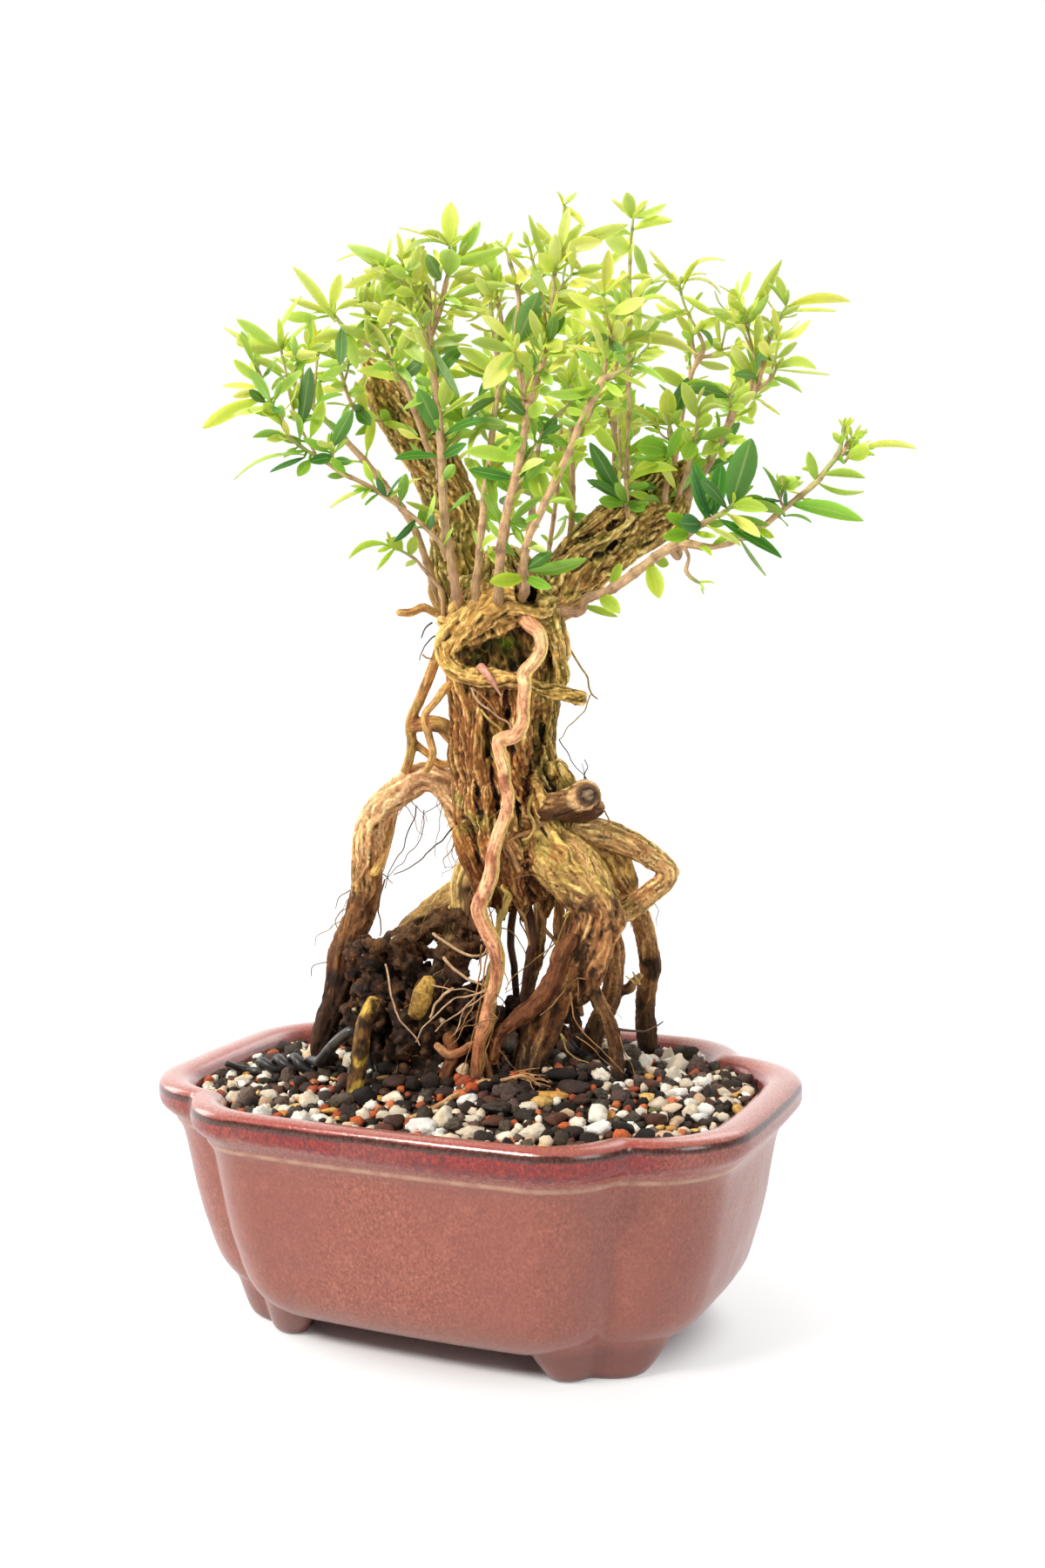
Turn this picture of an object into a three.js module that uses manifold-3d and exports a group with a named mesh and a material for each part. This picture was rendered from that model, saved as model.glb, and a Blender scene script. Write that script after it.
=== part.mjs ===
import * as THREE from 'three';
import { mergeVertices } from 'three/addons/utils/BufferGeometryUtils.js';
import Module from 'manifold-3d';

// Serissa bonsai in a lobed oval pot. Millimetres, +Z up, long side of the pot along X, front towards -Y.
// ---------- driving dimensions ----------
const GAP = 0.3; // clearance between neighbouring parts
const SHIFT = [-18.1, -18]; // moves the whole object so that its bounding box is centred on the origin
const POT = {
  halfX: 102.5, halfY: 69.79, notchX: 76.48, notchY: 50.75, corner: 26.25, blend: 2.26, bowX: 3.68, bowY: 3.16,
  floor: 14, angles: [0, 10, 18, 24.5, 29, 31.8, 33.4, 35, 38, 44, 53, 64, 77, 90], // plan angles of one quadrant, in degrees
  // [height, inset in percent of the plan radius], outside from the base up to the rim
  outer: [[8, 34], [10.2, 26.2], [14.6, 20.2], [23, 15.7], [42, 10.7], [60, 7.4], [65.6, 5], [69.4, 1.3], [73, 0], [76.8, 0.5], [78.5, 3.2]],
  // and down the inside to the floor
  inner: [[78, 9], [75.5, 12.8], [50, 14], [24, 22], [14, 31]],
};
const FOOT = { angle: 32.3, levels: [[0, 0.735, 0.60, 0.20], [2.5, 0.755, 0.595, 0.23], [7.5, 0.765, 0.59, 0.28], [13, 0.775, 0.59, 0.31]] }; // height, outer and inner plan scale, half spread in radians
const HOLE = { x: 42, r: 8, mesh: 11, cell: 4.2, bar: 1.6, thick: 1.2 };
const SOIL = { level: 72.5, mound: 13, cx: 6, cy: 6, sx: 58, sy: 40 };
const VIEW = new THREE.Vector3(0.4234, -0.8999, 0.1052); // the side most blades are turned to
const LEAF = 0.9; // thickness of a blade in this model
const WIDE = 4.6; // blades wider than this get a second cross-section

const WIRE_A = [[-28.67, -16.81, 79.64, 1.7], [-30.93, -17.87, 88.3, 1.7], [-33.55, -19.1, 93.52, 1.8], [-37.42, -19.82, 91.37, 1.85], [-41.64, -19.59, 87.52, 1.85], [-47.77, -16.95, 81.99, 1.8]];
const WIRE_AXIS = [[-53.34, -14.05, 79.3], [-60.14, -13.93, 79.54], [-68.13, -13.27, 78.06], [-74.03, -13.84, 76.48]];
const WIRE_END = [[-77.21, -15.33, 75.98, 1.25], [-79.76, -17.64, 77.23, 1.15], [-81.44, -20.64, 79.03, 1.1]];
const WIRE_B = [[-51.53, -19.83, 69.59, 1.1], [-51.14, -17.43, 74.23, 1.1], [-51.32, -15.31, 77.17, 1.1]];
const PEAT = { c: [-18.7, -2.1, 100.6], r: [18, 12, 23] };
// wood: node, kind, points [x, y, z, radius]
const TUBES = [
  ["trunk","bark",[[12.28,5.78,239.91,9.3],[12.47,5.87,237.73,13.68],[12.4,5.84,235.01,15.87],[11.96,5.63,226.85,18.09],[11.44,5.38,215.92,17.58],[11.42,5.37,204.94,17.62],[11.08,5.21,191.16,16.56],[10.98,5.17,177.29,16.6],[12.43,5.85,164.71,17.75],[15.43,7.26,153.43,18.34],[17.71,8.34,143.52,17.26],[18.58,8.74,137.3,13.94]]],
  ["trunk","knot",[[29.12,1.55,226.57,4.84],[27.2,-2.67,226.16,5.35],[22.32,-7.18,229.25,5.59],[16.23,-11.15,228.12,5.58],[10.34,-13.92,223.79,4.79],[4.92,-15.37,218.34,3.73],[3.1,-16.23,213.6,3.34],[6.56,-15.7,208.48,3.07],[12.76,-13.89,207.03,2.93],[19.97,-10.5,206.02,2.8],[25.01,-8.12,205.08,2.53],[28.82,-6.33,203.1,2.27],[35.31,-3.28,201.58,2.4],[40.82,-0.69,199.55,2.67]]],
  ["trunk","knot",[[29.93,-0.28,226.06,3.21],[32.37,-0.24,219.08,2.41],[33.68,0.38,212.62,2.28],[32.87,4.41,204.37,2.16]]],
  ["trunk","knot",[[5.58,-8.43,227.23,4.31],[2.29,-9.97,223.03,3.77],[-1.06,-10.45,224.18,2.43]]],
  ["right_thick_root","root",[[22.49,1.74,161.88,8.21],[27.57,1.92,153.2,8.74],[33.67,2.58,146.45,9.26],[38.84,3.91,139.03,8.71],[41.69,5.25,133.43,7.36],[40.57,4.72,126.55,6.55],[35.94,2.54,117.81,5.74],[31.79,0.59,109.02,5.34],[27.64,-1.36,100.49,5.07],[24.63,-3.88,91.87,4.8],[21.96,-5.14,83.82,4.53],[20.71,-5.73,72.87,4.13]]],
  ["right_thick_root","root",[[46.45,5.28,136.42,2.44],[49.79,4.64,130.11,2.3],[47.35,2.39,123.79,2.3],[44.77,1.17,116.98,2.17],[39.88,1.08,107.82,2.18],[35.15,2.17,103.62,2.19]]],
  ["left_arch_root","root",[[5.37,6.95,143.21,6.73],[1.77,6.36,148.82,5.61],[-3.45,6.11,158.31,4.92],[-7.46,6.43,166.1,4.51],[-11.59,5.6,171.77,4.37],[-16.6,4.35,173.78,4.23],[-23.59,2.16,169.61,4.39],[-30.94,-0.19,163.42,4.68],[-35.28,-1.13,155.67,4.84],[-36.06,-1.5,147.36,4.85],[-37.12,-0.89,137.98,4.86],[-39.23,-1.88,128.76,4.87],[-42.32,-3.34,121.58,4.88],[-45.16,-4.67,114.09,4.6],[-46.77,-5.43,104.78,4.03],[-49.16,-6.56,95.75,3.75],[-51.52,-8.77,87.84,3.46],[-51.35,-8.69,77.52,3.18]]],
  ["left_mid_root","root",[[6.72,16.42,141.83,6.82],[-1.98,14.54,138.28,6.57],[-9.03,12.33,133.1,6.01],[-16.92,9.72,127.34,5.74],[-24.87,7.09,120.66,5.47],[-30.83,4.28,113.23,5.19],[-32.65,2.32,105.89,4.61],[-33.01,-0.06,96.11,4.03],[-33.41,-2.46,84.9,3.45]]],
  ["centre_left_root","root",[[6.62,0.91,148.39,6.65],[1.44,-1.53,142.09,5.55],[-0.37,-2.38,130.89,5.28],[-3.26,-4.85,118.76,5.15],[-6.62,-7.54,108.04,5.15],[-9.19,-9.85,98.72,5.01],[-10.75,-11.69,89.08,4.45],[-11.36,-13.08,77.99,3.62]]],
  ["front_aerial_root","aerial",[[22.17,-3.94,225.75,2.41],[27.28,-8.16,222.56,2.39],[31.99,-10.37,219.39,2.24],[32.11,-10.31,214.39,2.11],[30.79,-12.04,211.32,2.11],[27.85,-13.42,207.72,2.24],[28.4,-14.26,203.29,2.11],[27.37,-13.64,197.72,2.11],[27.0,-13.82,192.17,2.25],[24.53,-14.98,188.8,2.38],[20.43,-16.91,187.59,2.25],[20.59,-16.84,184.13,2.12],[21.67,-16.33,179.31,2.12],[21.37,-15.36,174.94,1.99],[22.2,-14.97,169.57,2.13],[20.67,-14.59,164.12,2.13],[18.59,-15.56,158.26,2.14],[16.56,-15.42,152.5,2.28],[15.93,-15.71,146.56,2.41],[13.82,-16.71,140.11,2.55],[12.25,-17.44,135.81,2.69],[13.34,-16.93,130.87,2.55],[16.09,-15.64,124.24,2.69],[16.73,-14.23,118.25,2.43],[15.57,-14.78,111.14,2.16],[13.71,-15.65,105.13,2.03],[13.08,-15.95,99.63,2.71],[11.24,-16.82,94.98,2.17],[10.36,-17.23,89.46,2.04],[9.05,-17.84,76.98,1.9]]],
  ["elbow_root","root",[[31.03,7.97,158.59,4.12],[37.86,10.08,157.42,4.39],[44.41,12.06,155.72,4.38],[50.67,13.9,152.65,4.1],[56.55,16.66,148.33,3.7],[61.18,18.84,143.49,3.29],[58.38,17.52,139.13,3.29],[53.34,15.15,134.84,3.57],[48.43,11.74,131.0,3.56]]],
  ["stub_root","root",[[27.52,-2.52,165.28,4.6],[34.31,-3.75,166.42,4.3],[38.77,-3.86,167.63,4.28],[43.47,-3.86,169.63,4.66]]],
  ["crossing_root","root",[[37.15,-4.62,125.05,2.43],[35.28,-6.61,121.49,2.83],[32.5,-6.81,113.12,3.11],[27.68,-9.08,105.82,2.98],[20.74,-11.24,99.7,2.71],[15.95,-13.49,94.57,2.17],[14.05,-14.39,87.68,1.9]]],
  ["back_root_a","root",[[15.87,15.2,146.67,2.53],[14.49,24.5,137.45,2.58],[13.47,26.23,128.98,2.45],[11.79,26.55,119.18,2.31],[10.11,26.86,109.6,2.32],[7.77,25.76,99.34,2.32],[6.97,25.38,87.5,2.33],[6.46,25.14,77.1,2.33]]],
  ["back_root_b","root",[[17.69,18.27,151.15,2.82],[17.06,29.03,145.0,2.59],[17.11,35.68,138.46,2.33],[15.33,37.05,130.19,2.05],[14.2,37.63,121.13,1.91],[15.33,38.16,112.16,1.91],[16.68,38.79,100.16,2.06],[18.56,39.68,88.1,2.06],[19.41,40.08,77.52,2.07]]],
  ["far_right_root","root",[[20.82,15.32,148.83,3.65],[25.63,26.43,142.26,3.56],[30.58,36.49,136.87,3.46],[35.52,41.03,134.03,3.19],[38.62,44.7,128.58,3.2],[40.77,46.82,121.54,3.21],[42.48,47.62,113.19,3.21],[43.15,47.93,105.74,3.22],[41.7,47.25,98.04,3.22],[41.27,47.05,88.49,3.23],[41.88,47.34,77.67,3.23]]],
  ["middle_right_root","root",[[32.31,10.78,138.73,3.32],[34.76,17.46,133.25,3.35],[36.4,22.65,127.04,3.38],[38.55,25.88,118.84,3.4],[38.61,25.91,108.76,3.4],[38.05,24.54,99.77,3.4],[34.95,21.97,92.01,3.4],[32.64,19.78,85.11,3.4],[31.38,19.19,73.54,3.12]]],
  ["middle_right_root","root",[[38.85,24.91,101.19,1.7],[42.76,28.96,102.91,1.42],[45.44,32.43,106.14,1.28]]],
  ["front_right_root","root",[[37.35,3.21,114.15,2.19],[40.9,1.56,109.45,2.18],[43.72,2.89,102.43,2.18],[46.55,4.22,95.11,2.18],[48.1,4.95,85.84,2.19],[48.42,5.1,76.02,2.06]]],
  ["lower_left_root","pale",[[-22.87,-24.02,105.09,2.47],[-24.58,-27.04,97.81,2.74],[-25.3,-28.48,90.54,2.74],[-26.05,-29.94,82.44,2.87],[-27.26,-31.62,75.2,2.6],[-27.97,-31.95,68.76,2.19]]],
  ["small_brown_root","pale",[[-0.39,-15.66,93.73,2.19],[0.64,-16.28,87.53,2.19],[-0.78,-18.05,82.25,2.19],[-1.49,-19.49,75.56,2.05],[-1.91,-19.69,69.39,1.92]]],
  ["small_pale_root","pale",[[-3.0,-19.09,91.55,1.37],[0.6,-18.51,88.64,1.5],[4.79,-17.64,89.91,1.5],[8.51,-16.99,92.29,1.36],[11.61,-15.53,88.59,1.36],[12.93,-14.92,82.15,1.36]]],
  ["left_thin_root_a","aerial",[[0.18,-6.55,221.9,1.9],[-3.54,-6.09,218.69,1.77],[-6.37,-5.21,212.42,1.78],[-9.74,-4.58,205.83,1.79],[-13.65,-4.21,198.36,1.8],[-16.83,-4.6,191.71,1.8],[-16.99,-3.57,185.5,1.81],[-18.86,-2.24,180.32,1.68],[-23.45,2.23,174.44,1.7],[-30.05,10.17,167.42,1.73],[-32.1,9.21,160.23,1.73],[-32.63,6.75,153.27,1.73],[-30.97,-1.31,146.38,1.7],[-31.65,-4.95,142.88,1.7]]],
  ["left_thin_root_a","aerial",[[-16.36,-4.38,190.59,2.22],[-12.07,-2.36,191.3,2.64],[-7.57,-0.24,190.61,2.77],[-4.86,2.13,186.82,2.78],[-0.63,4.12,185.03,2.5]]],
  ["left_thin_root_a","aerial",[[-16.97,-3.56,186.06,1.39],[-15.25,-1.65,183.68,1.25],[-13.26,0.39,181.28,1.26],[-11.28,2.43,178.59,1.26],[-7.2,5.45,177.52,1.26],[-3.16,7.36,176.84,1.26]]],
  ["left_thin_root_b","aerial",[[0.05,-4.4,205.23,1.5],[-1.64,-9.61,202.53,1.49],[-4.2,-10.82,198.8,1.36],[-7.74,-11.38,195.02,1.36],[-7.18,-10.01,187.81,1.37],[-6.33,-9.61,182.84,1.37],[-8.79,-6.35,179.75,1.38],[-12.49,-2.56,176.53,1.39]]],
  ["dead_twig_left","twig",[[1.02,-3.94,222.9,1.5],[-2.62,-5.65,225.18,1.5],[-6.26,-7.37,226.91,1.36],[-8.44,-8.39,228.33,1.36],[-12.18,-10.15,226.81,1.36],[-15.63,-11.77,226.91,1.22]]],
  ["left_main_branch","bark",[[-1.44,3.74,229.9,9.38],[-2.72,3.14,238.16,8.54],[-3.16,4.04,247.75,7.71],[-5.03,5.37,258.78,7.17],[-7.79,5.17,265.73,6.9],[-11.56,4.51,272.71,6.63],[-16.29,3.38,281.08,6.63],[-21.05,2.25,288.65,6.63],[-24.39,1.79,293.73,6.08],[-27.23,1.56,298.8,5.26],[-28.61,0.91,302.65,4.15],[-29.77,0.36,305.39,2.49]]],
  ["left_main_branch","bark",[[-2.42,9.91,257.44,4.44],[-5.14,8.64,268.48,4.15],[-8.38,7.11,277.86,3.87],[-11.21,5.78,283.93,3.04]]],
  ["right_main_branch","bark",[[21.35,12.26,229.27,9.35],[26.91,14.87,232.94,9.07],[33.27,17.86,239.85,9.06],[40.09,21.07,245.65,9.05],[46.12,23.91,250.09,9.04],[52.12,26.74,252.91,8.49],[57.62,29.32,256.0,7.39],[61.16,30.99,260.77,5.47],[62.95,31.83,264.77,3.82]]],
  ["right_main_branch","bark",[[52.16,26.75,255.07,3.28],[56.21,28.66,260.37,3.83],[59.74,30.32,264.59,4.1],[63.1,30.8,268.22,3.27],[65.2,30.68,270.25,1.9]]],
  ["shoot_a","stem",[[6.66,-12.34,227.28,2.14],[7.18,-16.51,232.62,2.12],[7.12,-18.75,240.51,2.06],[6.36,-20.21,248.36,1.97],[6.16,-21.41,258.73,1.96],[6.64,-22.29,267.71,1.9],[6.88,-23.29,276.63,1.82],[6.77,-24.45,289.32,1.68],[6.34,-25.75,299.12,1.55],[6.14,-26.95,308.09,1.41],[5.58,-27.21,313.13,1.41],[3.63,-28.13,317.7,1.28],[1.2,-29.27,322.02,1.28],[-0.1,-29.89,325.06,1.02],[-0.44,-30.05,329.07,0.77]]],
  ["shoot_a","stem",[[5.95,-27.04,309.85,1.16],[6.14,-26.95,316.37,1.41],[6.07,-26.98,322.14,1.41]]],
  ["shoot_a","stem",[[6.83,-26.63,308.07,1.03],[8.56,-26.92,311.65,1.08],[10.09,-26.2,316.62,1.13],[11.17,-25.69,322.08,1.12],[12.2,-25.2,326.05,0.77],[12.64,-25.0,333.5,0.51]]],
  ["shoot_a","stem",[[8.08,-27.14,311.16,0.64],[8.97,-27.83,317.75,0.51],[9.59,-28.64,323.31,0.46]]],
  ["shoot_b","stem",[[12.35,-12.97,227.18,1.86],[13.35,-15.82,232.47,1.85],[15.02,-16.14,242.89,1.63],[16.69,-16.46,253.24,1.57],[18.07,-16.92,262.22,1.57],[19.92,-17.15,271.13,1.51],[21.55,-17.49,281.25,1.43],[23.1,-17.86,288.25,1.34],[24.14,-17.38,292.28,1.29],[26.56,-16.24,295.76,1.03]]],
  ["shoot_b","stem",[[23.36,-17.74,289.26,0.9],[23.3,-17.77,296.36,0.85],[23.49,-17.68,303.94,1.03],[23.15,-18.94,310.12,1.03],[23.08,-20.09,317.25,1.02]]],
  ["shoot_b","stem",[[23.5,-17.67,304.44,0.77],[25.01,-16.96,308.94,0.93],[24.92,-18.11,315.84,0.92],[23.91,-18.59,321.88,0.82]]],
  ["shoot_c","stem",[[20.37,-14.73,229.67,2.11],[22.54,-18.13,237.45,2.09],[24.37,-19.48,247.71,1.95],[27.11,-20.4,257.31,1.81],[29.86,-20.21,266.61,1.75],[32.09,-20.27,274.08,1.66],[34.11,-20.42,283.26,1.61],[36.31,-20.49,290.12,1.58],[39.19,-20.24,297.41,1.52],[41.35,-20.33,304.18,1.41],[42.85,-20.73,311.9,1.01],[43.46,-20.44,319.26,0.88],[44.01,-20.18,323.66,0.88],[45.67,-20.51,328.83,0.8],[46.95,-19.91,335.62,0.8],[47.31,-19.74,341.93,0.75]]],
  ["shoot_c","stem",[[34.11,-20.42,283.26,0.92],[33.1,-20.9,289.06,0.97],[32.35,-21.25,296.59,0.97],[31.81,-21.5,302.84,0.97],[31.7,-21.55,307.82,0.96],[32.82,-21.03,316.48,0.96],[32.04,-21.39,322.19,0.91],[30.57,-22.08,327.67,0.76],[29.74,-22.48,331.14,0.56]]],
  ["shoot_c","stem",[[41.33,-20.34,303.19,0.63],[40.82,-20.58,310.87,0.61],[39.63,-21.14,319.04,0.6],[38.19,-21.82,325.71,0.6],[37.17,-22.3,330.89,0.55]]],
  ["shoot_c","stem",[[34.82,-23.4,288.72,0.66],[35.35,-25.36,294.7,0.66],[34.07,-28.18,300.93,0.65]]],
  ["shoot_c","stem",[[27.28,-19.21,262.97,1.03],[27.56,-16.87,261.52,1.17],[28.72,-13.01,265.22,1.04],[29.83,-10.28,267.87,0.91]]],
  ["shoot_d","stem",[[28.94,-12.91,234.14,1.83],[30.29,-16.69,239.81,1.77],[33.09,-19.8,247.39,1.65],[38.18,-21.82,254.75,1.58],[43.28,-22.74,263.28,1.57],[47.92,-22.76,271.26,1.56],[52.54,-22.8,280.39,1.55],[56.23,-22.17,287.08,1.6],[58.58,-21.06,291.92,1.7],[61.77,-19.56,293.3,1.25],[65.79,-18.78,295.52,0.9],[68.3,-17.59,297.88,0.7],[70.83,-16.41,300.74,0.55]]],
  ["shoot_d","stem",[[58.58,-21.06,291.92,1.0],[59.83,-20.47,298.24,0.8],[61.3,-19.78,304.3,0.75],[63.48,-18.76,312.75,0.65]]],
  ["shoot_d","stem",[[61.32,-19.77,293.31,0.8],[62.84,-17.95,298.28,0.7],[63.9,-16.35,302.77,0.65]]],
  ["shoot_d","stem",[[48.24,-21.51,273.06,0.71],[49.13,-18.88,276.92,0.66],[52.43,-17.33,281.81,0.66],[55.14,-18.26,287.01,0.65]]],
  ["shoot_e","stem",[[25.53,25.28,240.12,1.68],[25.51,28.58,247.93,1.54],[26.06,29.95,256.83,1.46],[25.95,31.0,270.73,1.34],[25.59,31.94,284.62,1.29],[25.22,32.87,297.93,1.17]]],
  ["shoot_f","stem",[[18.24,26.27,236.15,1.27],[18.12,28.42,244.56,1.13],[18.79,30.95,254.37,1.07],[19.5,33.49,265.61,0.99],[20.11,34.88,276.82,0.96],[20.54,36.19,291.65,0.85],[21.63,37.81,301.99,0.73],[24.5,40.27,311.72,0.62]]],
  ["shoot_g","stem",[[22.78,-4.75,233.46,1.6],[23.63,-4.35,238.74,1.6],[24.69,-1.64,248.0,1.47],[25.55,0.97,258.63,1.34],[25.83,2.21,267.93,1.12],[26.98,2.75,275.81,1.02],[28.29,3.36,280.25,1.07],[30.04,4.19,283.09,1.07],[32.77,5.47,286.17,1.01],[36.2,7.09,288.95,1.12],[36.07,7.03,293.94,0.8],[35.62,6.82,295.78,0.64]]],
  ["shoot_h","stem",[[40.03,3.36,226.32,2.14],[42.24,1.09,229.49,2.13],[49.43,1.16,231.69,2.11],[58.76,2.23,237.45,2.1],[67.27,2.92,243.16,2.08],[72.94,3.38,245.29,2.08],[80.16,4.56,244.02,1.42],[85.87,6.15,244.61,1.16],[89.94,6.96,246.27,1.16],[95.8,9.71,249.41,1.29],[100.03,11.71,253.12,1.29],[102.38,12.81,255.08,1.29],[106.83,14.9,258.77,1.28],[110.58,16.67,262.22,1.28],[113.39,17.99,265.94,1.15],[116.21,19.32,269.91,1.15],[117.15,19.76,272.91,0.9],[117.88,20.1,277.94,0.77]]],
  ["shoot_h","stem",[[116.2,19.31,268.9,1.03],[117.6,19.97,270.37,0.92],[119.01,20.64,273.37,0.87],[119.95,21.08,274.85,0.82]]],
  ["shoot_h","stem",[[72.94,3.38,245.29,1.04],[75.43,2.34,241.08,0.72],[74.67,1.98,237.24,1.04],[76.28,2.74,234.88,0.73],[78.14,3.61,233.54,0.62]]],
  ["shoot_h","stem",[[102.37,12.81,254.58,0.64],[101.06,11.08,256.86,0.62],[102.31,10.57,260.58,0.56]]],
  ["shoot_h","stem",[[116.2,19.31,269.4,0.67],[118.31,19.2,267.76,0.67],[119.97,18.88,269.92,0.66],[121.59,19.64,271.13,0.66],[123.44,20.51,271.33,0.61]]],
  ["shoot_i","stem",[[69.87,8.56,241.31,1.31],[72.02,5.16,245.86,1.43],[75.77,2.5,248.25,1.42],[80.08,1.21,250.6,1.28],[84.33,-0.1,252.42,1.17],[87.77,-0.7,253.77,1.02],[90.73,-1.51,256.12,0.76]]],
  ["shoot_j","stem",[[63.28,29.78,257.39,2.18],[67.83,28.6,263.58,2.03],[72.25,28.47,269.21,1.89],[75.33,28.82,274.64,1.75],[77.64,28.8,278.47,1.69],[79.96,28.78,282.81,1.6],[80.96,29.26,285.67,1.74],[83.41,30.41,287.97,1.47],[86.89,30.94,290.66,1.47],[88.13,31.52,293.76,1.2],[89.63,32.23,298.95,1.06],[90.64,32.71,304.14,0.96],[92.13,33.41,308.52,1.06],[94.39,33.36,312.22,0.9],[96.58,34.4,316.3,0.69]]],
  ["shoot_j","stem",[[86.17,30.6,291.2,0.91],[86.71,30.86,296.42,0.85],[87.25,31.11,301.63,0.8],[86.34,30.68,306.34,0.69],[85.19,30.14,311.06,0.64]]],
  ["shoot_j","stem",[[87.13,31.05,290.65,0.8],[89.87,31.24,293.09,0.69],[92.29,32.38,295.11,0.69],[93.52,32.96,297.68,0.64]]],
  ["shoot_j","stem",[[80.47,29.02,284.9,0.8],[80.34,27.86,288.22,0.69],[80.69,26.92,290.73,0.59]]],
  ["shoot_k","stem",[[56.64,42.13,269.68,1.25],[57.71,43.73,279.34,1.11],[58.76,45.33,288.18,1.06],[60.39,46.1,295.8,1.0],[61.98,46.85,301.22,1.0],[63.79,47.7,305.26,1.53],[65.09,48.31,307.95,1.0],[63.16,47.41,313.99,0.67],[60.73,46.26,318.95,0.61],[59.29,45.58,323.32,0.61],[58.36,45.14,328.22,0.55]]],
  ["shoot_k","stem",[[63.03,47.34,304.74,0.94],[62.07,46.89,308.04,0.78],[61.88,46.8,312.12,0.61]]],
  ["shoot_k","stem",[[64.55,48.06,305.24,0.83],[67.07,49.24,305.72,0.83],[70.43,49.72,307.13,0.61],[74.27,50.42,307.99,0.55]]],
  ["shoot_l","stem",[[50.61,17.18,252.72,1.21],[50.98,15.15,259.04,1.13],[50.91,15.11,268.59,1.07],[51.95,14.5,279.05,1.01],[52.35,14.69,287.71,0.93],[52.65,13.72,297.28,0.85],[53.05,13.91,306.38,0.8],[53.85,13.18,317.36,0.79],[54.39,12.33,326.72,0.79],[55.13,11.57,334.22,0.68],[56.36,11.05,342.92,0.57]]],
  ["shoot_l","stem",[[50.88,15.1,267.27,0.59],[50.07,13.61,268.56,0.64],[49.35,14.38,276.56,0.59],[48.88,15.27,284.57,0.59],[48.84,16.35,289.4,0.54]]],
  ["shoot_m","stem",[[39.12,29.46,250.2,1.53],[39.92,30.94,259.01,1.39],[40.25,32.2,270.04,1.33],[40.45,32.3,280.98,1.33],[40.1,32.13,289.17,1.38],[39.68,31.93,293.26,1.38]]],
  ["shoot_m","stem",[[40.2,32.18,280.99,0.72],[37.84,33.28,289.42,0.67],[35.23,34.26,297.89,0.56],[33.62,35.71,306.36,0.56]]],
  ["shoot_n","stem",[[61.71,20.2,261.39,1.34],[63.62,19.99,268.17,1.2],[64.31,19.21,274.68,1.2],[64.13,19.13,278.63,1.2],[63.94,19.04,281.78,0.8]]],
  ["shoot_n","stem",[[64.11,19.12,277.31,0.59],[62.79,17.39,278.06,0.53],[61.72,15.78,279.59,0.48]]],
  ["shoot_o","stem",[[66.54,20.26,262.22,1.07],[69.83,18.49,268.29,1.01],[71.95,18.38,275.49,1.01],[73.33,17.93,281.89,0.9],[73.17,17.85,287.08,0.58]]],
  ["shoot_p","stem",[[-6.75,-0.97,230.08,1.92],[-7.17,-3.37,235.03,1.86],[-8.71,-5.21,242.4,1.69],[-10.71,-7.25,250.55,1.63],[-13.23,-9.54,257.32,1.63],[-16.49,-12.18,263.27,1.62],[-19.97,-14.92,268.92,1.62],[-23.67,-17.77,274.81,1.5],[-27.13,-20.5,279.61,1.39],[-31.28,-23.56,284.92,1.28],[-35.4,-26.6,290.47,1.17],[-38.4,-28.02,294.22,1.07],[-40.45,-28.98,297.42,0.96]]],
  ["shoot_p","stem",[[-34.93,-26.38,289.93,0.59],[-33.67,-26.9,297.12,0.58],[-32.97,-26.56,303.62,0.58],[-32.06,-26.14,309.05,0.64]]],
  ["shoot_p","stem",[[-38.64,-28.13,294.23,0.64],[-40.85,-28.06,301.46,0.64],[-41.14,-28.2,306.69,0.53]]],
  ["shoot_q","stem",[[5.52,-19.51,243.18,1.19],[5.36,-21.79,246.81,1.18],[2.86,-25.18,251.25,1.1],[0.13,-27.57,254.66,1.09],[-3.06,-30.18,257.81,1.09],[-6.7,-32.99,261.21,1.09],[-10.1,-35.7,264.08,1.09],[-13.49,-38.4,266.43,0.98],[-17.11,-41.21,268.51,1.03],[-19.6,-42.38,270.62,0.93],[-22.02,-44.62,272.91,0.87],[-25.13,-47.19,275.2,0.82],[-27.83,-48.46,277.55,0.82],[-29.55,-50.37,279.04,0.97]]],
  ["shoot_q","stem",[[-28.2,-49.74,278.0,0.66],[-29.93,-50.56,281.06,0.77],[-31.53,-52.41,285.54,0.81],[-33.64,-53.41,290.86,0.86],[-35.56,-55.42,298.29,0.86],[-38.28,-56.7,305.08,0.81]]],
  ["shoot_q","stem",[[-19.15,-42.17,270.1,0.51],[-18.24,-43.95,273.24,0.51],[-17.35,-45.74,275.6,0.46]]],
  ["shoot_q","stem",[[-23.36,-45.26,274.46,0.62],[-26.5,-45.63,279.69,0.62],[-28.96,-45.68,284.39,0.62],[-31.11,-45.59,291.37,0.57],[-32.54,-45.15,299.1,0.57],[-33.49,-45.6,304.93,0.51]]],
  ["shoot_r","stem",[[-0.36,-11.22,232.76,0.97],[-2.46,-12.21,236.03,0.86],[-5.03,-14.52,240.1,0.8],[-6.42,-16.28,242.79,0.7],[-9.24,-19.82,245.5,0.64],[-11.59,-22.03,247.14,0.53]]],
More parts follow.
